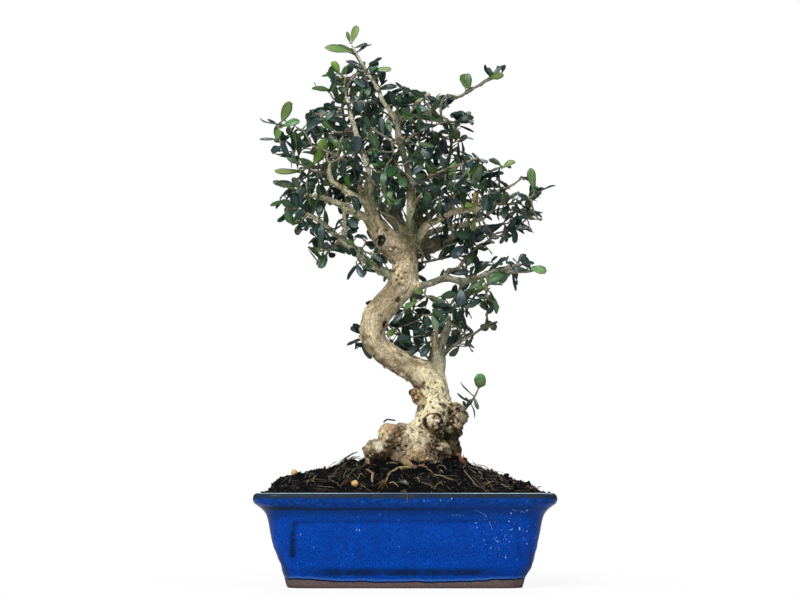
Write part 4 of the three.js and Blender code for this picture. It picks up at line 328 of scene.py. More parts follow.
# ------------------------------------------------------------------ solids as distance fields
class Field:
    """Signed distance on a grid, inside negative."""

    def __init__(self, lo, hi, h, far=4.0):
        self.lo, self.h, self.far = np.array(lo, float), float(h), far
        self.n = np.ceil((np.array(hi, float) - self.lo) / h).astype(int) + 2
        self.f = np.full(self.n, far, np.float32)

    def window(self, lo, hi):
        i0 = np.clip(np.floor((np.asarray(lo) - self.lo) / self.h).astype(int), 0, self.n)
        i1 = np.clip(np.ceil((np.asarray(hi) - self.lo) / self.h).astype(int) + 1, 0, self.n)
        return i0, i1

    def axes(self, i0, i1):
        return [(self.lo[c] + self.h * np.arange(i0[c], i1[c])).astype(np.float32).reshape([-1 if k == c else 1 for k in range(3)]) for c in range(3)]

    def join(self, i0, i1, d, k):
        cut = tuple(slice(a, b) for a, b in zip(i0, i1))
        f = self.f[cut]
        w = np.clip(0.5 + 0.5 * (d - f) / k, 0, 1)
        self.f[cut] = d * (1 - w) + f * w - k * w * (1 - w)

    def limb(self, pts, k=2.0, squash=None):
        """A tapered tube over points x, y, z, radius."""
        pts = np.asarray(pts, float)
        m = self.far
        i0, i1 = self.window((pts[:, :3] - pts[:, 3:]).min(0) - m, (pts[:, :3] + pts[:, 3:]).max(0) + m)
        if (i1 <= i0).any():
            return
        temp = np.full(i1 - i0, m, np.float32)
        for a, b in zip(pts[:-1], pts[1:]):
            j0, j1 = self.window(np.minimum(a[:3], b[:3]) - max(a[3], b[3]) - m, np.maximum(a[:3], b[:3]) + max(a[3], b[3]) + m)
            j0, j1 = np.maximum(j0, i0), np.minimum(j1, i1)
            if (j1 <= j0).any():
                continue
            X, Y, Z = self.axes(j0, j1)
            d = (b - a)[:3]
            L = max(float(d @ d), 1e-9)
            x, y, z = X - np.float32(a[0]), Y - np.float32(a[1]), Z - np.float32(a[2])
            t = np.clip((x * np.float32(d[0]) + y * np.float32(d[1]) + z * np.float32(d[2])) / np.float32(L), 0, 1)
            dist = np.sqrt((x - t * np.float32(d[0])) ** 2 + (y - t * np.float32(d[1])) ** 2 + (z - t * np.float32(d[2])) ** 2) - (np.float32(a[3]) + t * np.float32(b[3] - a[3]))
            cut = tuple(slice(p - o, q - o) for p, q, o in zip(j0, j1, i0))
            np.minimum(temp[cut], dist, out=temp[cut])
        self.join(i0, i1, temp, k)

    def ball(self, c, r, k=2.0, stretch=(1, 1, 1)):
        c, s = np.asarray(c, float), np.asarray(stretch, float)
        i0, i1 = self.window(c - r * s - self.far, c + r * s + self.far)
        if (i1 <= i0).any():
            return
        X, Y, Z = self.axes(i0, i1)
        d = (np.sqrt(((X - c[0]) / s[0]) ** 2 + ((Y - c[1]) / s[1]) ** 2 + ((Z - c[2]) / s[2]) ** 2) - r) * min(s)
        self.join(i0, i1, np.minimum(d, self.far).astype(np.float32), k)

    def surface(self):
        """Closed quads where the distance is 0 (surface nets)."""
        F = self.f
        F[0], F[-1], F[:, 0], F[:, -1], F[:, :, 0], F[:, :, -1] = (self.far,) * 6
        for _ in range(12):  # no face of a cell has its corners in and out crosswise, so no edge has four faces
            changed = 0
            for ax in range(3):
                b, c = [k for k in range(3) if k != ax]

                def part(i, j):
                    s = [slice(None)] * 3
                    s[b] = slice(1, None) if i else slice(None, -1)
                    s[c] = slice(1, None) if j else slice(None, -1)
                    return tuple(s)
                I = F < 0
                p, q, r, s = I[part(0, 0)], I[part(1, 0)], I[part(0, 1)], I[part(1, 1)]
                bad = (p & s & ~q & ~r) | (~p & ~s & q & r)
                if bad.any():
                    changed += int(bad.sum())
                    for i in (0, 1):
                        for j in (0, 1):
                            view = F[part(i, j)]
                            view[bad] = np.minimum(view[bad], -0.02)
            if not changed:
                break
        I = F < 0
        C = I[:-1, :-1, :-1].astype(np.int8)
        for dx, dy, dz in [(1, 0, 0), (0, 1, 0), (0, 0, 1), (1, 1, 0), (1, 0, 1), (0, 1, 1), (1, 1, 1)]:
            C = C + I[dx:I.shape[0] - 1 + dx, dy:I.shape[1] - 1 + dy, dz:I.shape[2] - 1 + dz]
        cells = np.argwhere((C > 0) & (C < 8))
        number = np.full(C.shape, -1, np.int32)
        number[tuple(cells.T)] = np.arange(len(cells))
        acc, cnt = np.zeros((len(cells), 3)), np.zeros(len(cells))
        corners = [(x, y, z) for x in (0, 1) for y in (0, 1) for z in (0, 1)]
        val = {k: F[cells[:, 0] + k[0], cells[:, 1] + k[1], cells[:, 2] + k[2]] for k in corners}
        for a in corners:
            for ax in range(3):
                if a[ax] == 0:
                    b = tuple(1 if k == ax else a[k] for k in range(3))
                    fa, fb = val[a], val[b]
                    cross = (fa < 0) != (fb < 0)
                    t = np.where(cross, fa / np.where(cross, fa - fb, 1), 0)
                    p = np.array(a, float)[None, :] * np.ones((len(cells), 1))
                    p[:, ax] += t
                    acc += p * cross[:, None]
                    cnt += cross
        V = self.lo + self.h * (cells + acc / cnt[:, None])
        quads = []
        for ax in range(3):
            b, c = (ax + 1) % 3, (ax + 2) % 3
            s0 = [slice(1, -1)] * 3
            s0[ax] = slice(None, -1)
            s1 = list(s0)
            s1[ax] = slice(1, None)
            i0, i1 = I[tuple(s0)], I[tuple(s1)]
            for flip, mask in ((False, i0 & ~i1), (True, ~i0 & i1)):
                e = np.argwhere(mask)
                e[:, b] += 1
                e[:, c] += 1
                around = []
                for db, dc in ((-1, -1), (0, -1), (0, 0), (-1, 0)):
                    k = e.copy()
                    k[:, b] += db
                    k[:, c] += dc
                    around.append(number[tuple(k.T)])
                if flip:
                    around = around[::-1]
                quads.append(np.stack(around, 1))
        return V, np.vstack(quads)


# Limbs: name, then points x, y, z, radius, mm, from foot to tip.
LIMBS = {
    "trunk": [(11.9, 0, 53.8, 20.8), (11.9, 0, 72.3, 23.57), (11.2, 0, 83.3, 22.88), (14, 1, 93.7, 18.73), (18.2, 2, 105.4, 14.58), (20.7, 3, 116.6, 12.85), (20.7, 4, 126.3, 11.13), (19, 4, 136, 10.15), (11.3, 3, 144.7, 9.45), (0.9, 1, 150.5, 9.02), (-8.8, -2, 155.5, 8.31), (-16.1, -4, 160.6, 8.02), (-20.9, -6, 166.7, 8.49), (-22.4, -7, 173.5, 8.96), (-19.9, -6, 182.6, 9.11), (-14.4, -5, 190.4, 8.98), (-8.2, -3, 197.6, 8.99), (-2.9, -1, 204.1, 9.42), (-0.1, 0, 210.5, 9.57), (0.2, 1, 216.9, 8.88), (0.4, 2, 222.7, 8.33), (-1.9, 2, 228.3, 9.03), (-4.7, 1, 232.4, 9.99)],
    "leader": [(-4.7, 1, 232.4, 9.99), (-10.3, -1, 235.7, 9.14), (-15.5, -4, 241.6, 7.6), (-19.6, -6, 248.4, 6.21), (-22.9, -8, 257.2, 4.55), (-24.8, -9, 264.1, 3.72), (-25.3, -9, 271.8, 3.58), (-22.3, -7, 279.5, 2.9), (-18, -5, 283.5, 2.28), (-12.1, -3, 286.9, 1.8), (-9.7, -2, 291.6, 1.38)],
    "whitish": [(-24.9, -9, 273.2, 2.48), (-25, -11, 279.9, 1.86), (-25.6, -13, 286.4, 1.92), (-27.9, -14, 293, 2.06), (-29.7, -15, 298.9, 2.06), (-33.3, -15, 309.3, 1.85), (-35.6, -14, 317.1, 1.65), (-37.6, -13, 323.8, 1.58), (-39.4, -11, 332.9, 1.37), (-41.1, -9, 340.4, 1.1)],
    "stub1": [(-27.6, -10, 262.5, 2.06), (-30.4, -12, 269.2, 1.58), (-32.1, -13, 277, 1.3)],
    "curl": [(-23.4, -12, 262.2, 1.1), (-21.3, -13, 267.2, .82), (-18.7, -14, 271.9, .69), (-15.1, -14, 274.2, .55)],
    "L1": [(-4, -1, 206.9, 3.46), (-8.9, -3, 211.6, 3.32), (-17.4, -9, 216.2, 3.1), (-25.4, -14, 221, 2.88), (-33.8, -19, 227.1, 2.73), (-40.4, -22, 232.5, 2.59), (-43.4, -23, 234.4, 2.59), (-46.8, -25, 237.4, 2.04), (-53.2, -28, 243, 1.9), (-59.7, -31, 247.8, 1.76), (-66.1, -34, 251.3, 1.49)],
    "L1b": [(-42.6, -23, 233.8, 2.04), (-42, -22, 237.8, 1.91), (-41.4, -20, 243.4, 1.5), (-41.8, -18, 250.4, 1.37), (-42.6, -16, 257.4, 1.16)],
    "L1c": [(-43.8, -23, 233.8, 1.63), (-49.3, -27, 229.9, 1.36), (-53.1, -29, 227.7, 1.15), (-57.1, -31, 226.3, .95)],
    "L2": [(-21.4, -7, 249.6, 3.45), (-27.1, -11, 252.3, 3.09), (-35.3, -15, 255.5, 2.74), (-41.9, -19, 258.8, 2.6), (-49.6, -23, 261.6, 2.04), (-57.3, -27, 263.7, 1.7), (-64.4, -30, 264.5, 1.35), (-68.2, -32, 265.6, 1.08)],
    "L3": [(-23.4, -9, 259.9, 2.75), (-28.3, -12, 263.3, 2.4), (-37.4, -16, 267.8, 2.05), (-45.3, -19, 272.7, 1.98), (-50.5, -22, 276.1, 1.91), (-51.9, -24, 282.3, 1.57), (-51.5, -25, 287.3, 1.09)],
    "L3t": [(-50.2, -22, 278.1, 1.23), (-54.4, -24, 280.6, 1.02), (-63.4, -28, 282.5, .88), (-71.1, -31, 286, .74), (-77.5, -34, 288.8, .61)],
    "M3": [(-1.2, 5, 227.3, 5.22), (3.3, 7, 233.9, 4.32), (3.9, 8, 240.4, 3.63), (3.7, 8, 246.1, 3.35), (4, 8, 255.3, 3.14), (4.5, 8, 264.1, 3.14), (4.5, 8, 272.7, 3.28), (4.5, 8, 279.1, 3.07)],
    "M3s": [(5.2, 7, 262.2, 1.81), (7.1, 5, 264.5, 1.74), (10.3, 2, 268.6, 1.32), (13.8, -1, 272.2, .76)],
    "M3u": [(4.5, 10, 268.4, 2.51), (4.1, 13, 278.2, 2.38), (2.4, 12, 288, 2.31), (-0.1, 7, 297.2, 2.23), (-2.3, 2, 304.8, 2.29), (-3.8, 0, 308, 2.43), (-4.7, -1, 315, 2.29), (-5.1, -2, 321.2, 2.28), (-5.5, -2, 324.4, 2.22), (-5.7, -2, 328.5, 1.59)],
    "T1": [(-5.4, -2, 322.6, 1.94), (-8.2, -2, 324.9, 1.8), (-10.4, -3, 328.8, 1.66), (-14.9, -4, 334.7, 1.59), (-18.4, -5, 343.1, 1.59), (-22.4, -6, 349.6, 1.38), (-26.4, -6, 356, 1.24), (-29.7, -7, 361.8, 1.1), (-32.9, -7, 367.2, 1.03), (-35.2, -8, 370.9, .9), (-37, -8, 374.3, .76)],
    "T2": [(-4.7, -2, 322.6, 1.8), (-1.7, -2, 324.9, 1.45), (4.2, -3, 328.8, 1.38), (8.3, -4, 334.3, 1.38), (12.1, -5, 336.6, 1.38), (17, -6, 340.5, 1.31)],
    "T3": [(-4, -1, 321.4, 1.8), (2.3, 1, 325, 1.6), (9.5, 3, 327.3, 1.39), (16.5, 4, 329.1, 1.39), (22.6, 4, 333, 1.39), (30.9, 3, 337.4, 1.18), (37.1, 2, 339.5, 1.04), (42.2, 1, 342.1, .97), (47.7, 0, 345.3, .9), (53.4, -1, 348.5, .83), (59.1, -2, 351.3, .76)],
    "M1": [(0.2, 9, 237, 4.19), (-1.9, 14, 246.9, 3.92), (-5.4, 20, 259.2, 3.66), (-10, 26, 269.1, 3.25), (-13.3, 30, 276.6, 2.7), (-17, 34, 288.8, 2.13), (-23.5, 38, 301.2, 1.71)],
    "M2": [(-2.6, 6, 240.1, 2.79), (-4.1, 8, 246.1, 2.65), (-9.9, 12, 253.3, 2.31), (-16.7, 16, 261.2, 1.75), (-23.2, 22, 272.4, 1.41), (-34.8, 28, 282, 1.13)],
    "R1": [(4.4, 6, 234.5, 3.76), (8.8, 2, 239.1, 3.33), (14.5, -3, 246.9, 2.77), (21.6, -7, 250.5, 2.41), (27.7, -10, 253.1, 2.27), (33.4, -12, 256, 2.34), (40.9, -15, 256.7, 2.26), (49.1, -18, 257.8, 2.05), (54.8, -20, 260.2, 1.84), (58.2, -22, 261.9, 1.5)],
    "R1v": [(47.8, -18, 257.5, 2.19), (48.9, -18, 262, 2.05), (49.2, -18, 268.3, 1.91)],
    "R2": [(4.4, 7, 231.8, 3.21), (10.1, 8, 239.5, 2.44), (19.2, 10, 244.7, 2.24), (28.2, 12, 247.7, 1.96), (41.8, 14, 250.7, 1.75), (54.7, 15, 254.9, 1.4)],
    "R3": [(2.3, 7, 230.3, 3.76), (7.5, 9, 234.1, 3.42), (17, 15, 237.7, 3.16), (26.2, 21, 241.2, 2.96), (33.1, 26, 243.2, 2.55), (46.9, 34, 248.9, 1.99), (60.2, 40, 253.4, 1.43)],
    "RD": [(4.5, 12, 239.5, 3.15), (8.5, 18, 251.3, 2.81), (11.7, 24, 262.2, 2.68), (19.6, 31, 268.3, 2.41), (22.4, 36, 276.9, 2.14), (29.3, 42, 293.1, 1.65), (33, 45, 306.1, 1.29)],
    "Rthin": [(33.8, -12, 255.9, 1.1), (33, -13, 263, .89), (32.1, -14, 272.2, .69)],
    "R4": [(2.3, 5, 220.2, 1.53), (8.9, 8, 222.2, 1.12), (20.3, 12, 225.1, .98), (31.7, 15, 227.9, .91)],
    "R5": [(0.9, -3, 201.8, 3.46), (8.4, -5, 204.1, 2.76), (20.1, -8, 207.4, 2.41), (28.6, -10, 209.9, 2.27), (38.8, -13, 207.5, 2.4), (45.9, -15, 208, 2.06), (56.4, -18, 212, 2.05), (65.4, -21, 214.4, 1.91), (72.5, -23, 215.9, 1.7), (79.1, -25, 217.4, 1.36)],
    "R5s": [(65.4, -21, 213.7, 1.5), (69.4, -22, 212.9, 1.36), (78.1, -25, 212.7, 1.29), (86.6, -28, 212.9, 1.09)],
    "R4k": [(28.6, -9, 209.8, 1.79), (29.4, -6, 213.3, 1.73), (30.9, -2, 215.9, 1.66)],
    "R4b": [(30.9, -2, 215.9, 1.66), (37.2, 0, 218.2, 1.39), (41.2, 2, 223.4, 1.32), (45.3, 3, 227.9, 1.18), (51.1, 5, 234, .9)],
    "S1": [(20.4, 6, 137.5, 7.66), (22.2, 7, 146, 6.62), (23.3, 8, 153, 5.86), (23.6, 9, 160.2, 4.75), (26.1, 10, 167.5, 3.49), (29.7, 11, 174.7, 2.73), (31.3, 12, 182, 1.68), (32, 12, 187.1, .42)],
    "S2": [(22.5, 7, 154.4, 3.83), (21.1, 5, 163.3, 2.78), (21, 3, 170.5, 2.08), (22.5, 2, 175.4, 1.39)],
    "S3": [(23.2, 5, 154.9, 1.81), (26.6, 2, 158.3, 1.39), (32.9, -2, 163, 1.32), (39.9, -5, 167, 1.24), (47, -8, 171, 1.1), (51.9, -10, 174.3, 1.03), (55.2, -12, 176.4, .89), (56.6, -14, 182.6, .69)],
    "S3b": [(54, -11, 175.4, .89), (58.7, -14, 177.8, .75), (63.3, -17, 179.6, .62)],
    "S4": [(22.6, 9, 153.8, 1.4), (16.9, 12, 156.1, 1.05), (9, 17, 162.2, .91), (1, 22, 169.5, .85), (-6.1, 26, 176, .71), (-14.7, 30, 183, .71)],
    "S5": [(21.2, 8, 161.4, 1.4), (19, 10, 168.9, 1.05), (15.7, 12, 175.1, .91), (13.4, 13, 180.6, .84), (8.7, 14, 186.6, .77), (3.8, 14, 189.7, .63)],
    "sprout": [(40.1, -6, 117.6, 1.24), (43.3, -8, 122, .96), (46.6, -9, 125.9, .83), (49, -10, 129.8, .69), (50.5, -11, 133.1, .55)],
    "BK1": [(-0.5, 8, 233.3, 4.53), (-1.2, 16, 240, 3.79), (-3.3, 30, 253.4, 3.12), (-6.2, 42, 266.8, 2.58), (-9.1, 52, 281.5, 2.02), (-10.6, 58, 295.8, 1.45)],
    "BK2": [(5.2, 14, 242.6, 2.94), (13.8, 26, 254.3, 2.55), (24.1, 38, 266.2, 2.14), (37.4, 48, 277.9, 1.73), (49.3, 54, 286.2, 1.3)],
    "BK3": [(-4, 26, 255, 2.4), (-14.8, 34, 265.6, 2.13), (-27.9, 42, 275.5, 1.86), (-44, 48, 285.3, 1.44), (-58.6, 50, 291.5, 1.08)],
    "BK4": [(1.6, 8, 223.4, 3.49), (8.1, 20, 229.1, 2.96), (19.6, 32, 234.9, 2.42), (32.8, 42, 241.3, 2), (46.1, 50, 247.4, 1.44)],
    "BK5": [(-6.2, 40, 266.5, 2), (-1.8, 46, 280.5, 1.72), (6.9, 48, 297, 1.44), (11.3, 46, 311.4, 1.15)],
    "BK6": [(-26.4, 38, 299, 1.57), (-35, 36, 311.1, 1.35), (-42.1, 30, 323.1, 1.13), (-44.8, 22, 337.5, .92)],
    "BK7": [(23.3, 10, 153.2, 2.38), (29.2, 20, 160.9, 1.83), (36.5, 30, 170.2, 1.42), (41, 36, 180.7, 1.07)],
    "FR1": [(4.5, 6, 274.2, 1.81), (2.3, -4, 276.8, 1.73), (-0.5, -16, 280.5, 1.57), (-4.7, -28, 284.1, 1.36), (-7.4, -38, 290.6, 1.08), (-8.7, -42, 299.5, .87)],
    "FR2": [(4.5, 6, 275.6, 1.67), (10.7, -6, 277.9, 1.59), (18.8, -18, 280.2, 1.44), (28.2, -30, 282.3, 1.22), (38.9, -38, 285.1, 1.01), (49.7, -42, 288.5, .81)],
    "FR3": [(-26.2, -12, 281.2, 1.51), (-32.9, -22, 285.1, 1.36), (-41.7, -31, 289.1, 1.22), (-52.4, -38, 293.4, 1.01), (-63.1, -42, 296.8, .81)],
    "FR4": [(54.6, -20, 259.6, 1.5), (61.2, -26, 264.2, 1.29), (67.9, -30, 268.5, 1.08), (74.6, -33, 272.1, .88), (80, -35, 276, .67)],
    "FR5": [(58, -22, 261.4, 1.36), (65.4, -24, 259.7, 1.16), (73.6, -26, 259.4, .95), (81.7, -28, 261.9, .75), (89.7, -32, 265.4, .61), (92.8, -36, 267.2, .54)],
    "FR6": [(-4.7, -1, 310, 1.39), (2.3, -8, 308.7, 1.24), (10.6, -14, 311.8, 1.03), (18.9, -18, 315.2, .89), (28.6, -20, 317.7, .68)],
    "UP1": [(32.9, 42, 304.8, 1.29), (34.3, 36, 315.4, 1.07), (36.9, 28, 322.7, .85), (41, 20, 326.9, .7)],
    "FR7": [(55.9, -18, 212, 1.3), (57.1, -20, 206.2, 1.09), (55.6, -22, 199.1, .89), (57.6, -24, 193.4, .75)],
    "FR8": [(39.5, -13, 207.7, 1.37), (38.3, -8, 201.9, 1.24), (34.3, -2, 195.6, 1.04), (30.2, 2, 190.4, .83)],
}
ROOTS = {
    "root_a": [(34.6, -8, 92.1, 3.44), (37.8, -11, 86.9, 2.2), (41.5, -14, 82.1, 1.78), (45.1, -17, 77.7, 1.51)],
    "root_b": [(-21.1, -12, 90, 3.43), (-24.5, -15, 84.5, 2.47), (-27.8, -20, 79, 1.77), (-29.7, -24, 73.6, 1.5)],
    "root_c": [(14.4, -20, 85.1, 3.07), (8.9, -28, 80.3, 2.03), (-0.6, -32, 78.6, 1.35), (-8, -35, 77.2, 1.08), (-12.5, -38, 72.8, .94)],
    "root_d": [(30.2, 14, 87.7, 4.2), (40.4, 26, 83, 2.83), (49.2, 36, 78.1, 2.14)],
    "root_e": [(-3.3, 18, 87.7, 4.22), (-13.2, 30, 82.3, 2.84), (-21.8, 40, 76.7, 2.14)],
}
# Burls: x, y, z, radius.
BURLS = [(-12.6, -14, 104.7, 6.6), (-4.8, -12, 105.4, 5.5), (-21.2, -12, 91.7, 7.6), (-9.4, -16, 95.5, 6.8), (8.4, -6, 130, 5.5), (19.4, -15, 110.5, 7.5), (33.7, -4, 119.5, 5.5), (37.8, -3, 112.9, 5.2), (35.3, -4, 104.4, 5.5), (33.4, -5, 94.4, 5.9), (26, -13, 91.7, 6.9), (2.2, -14, 98.1, 10.3), (13.1, -14, 91.3, 11), (-0.5, -12, 87.9, 9.6), (20.4, 10, 101.5, 11.9), (5.1, 14, 94.6, 12.6), (-10.2, 10, 90.4, 9.1), (28.8, 12, 90.4, 10.5), (16.4, 20, 85.7, 9.9), (-1.2, 22, 87.8, 7.8), (-13.6, -4, 85.3, 9), (39.6, 0, 87.5, 6.2)]
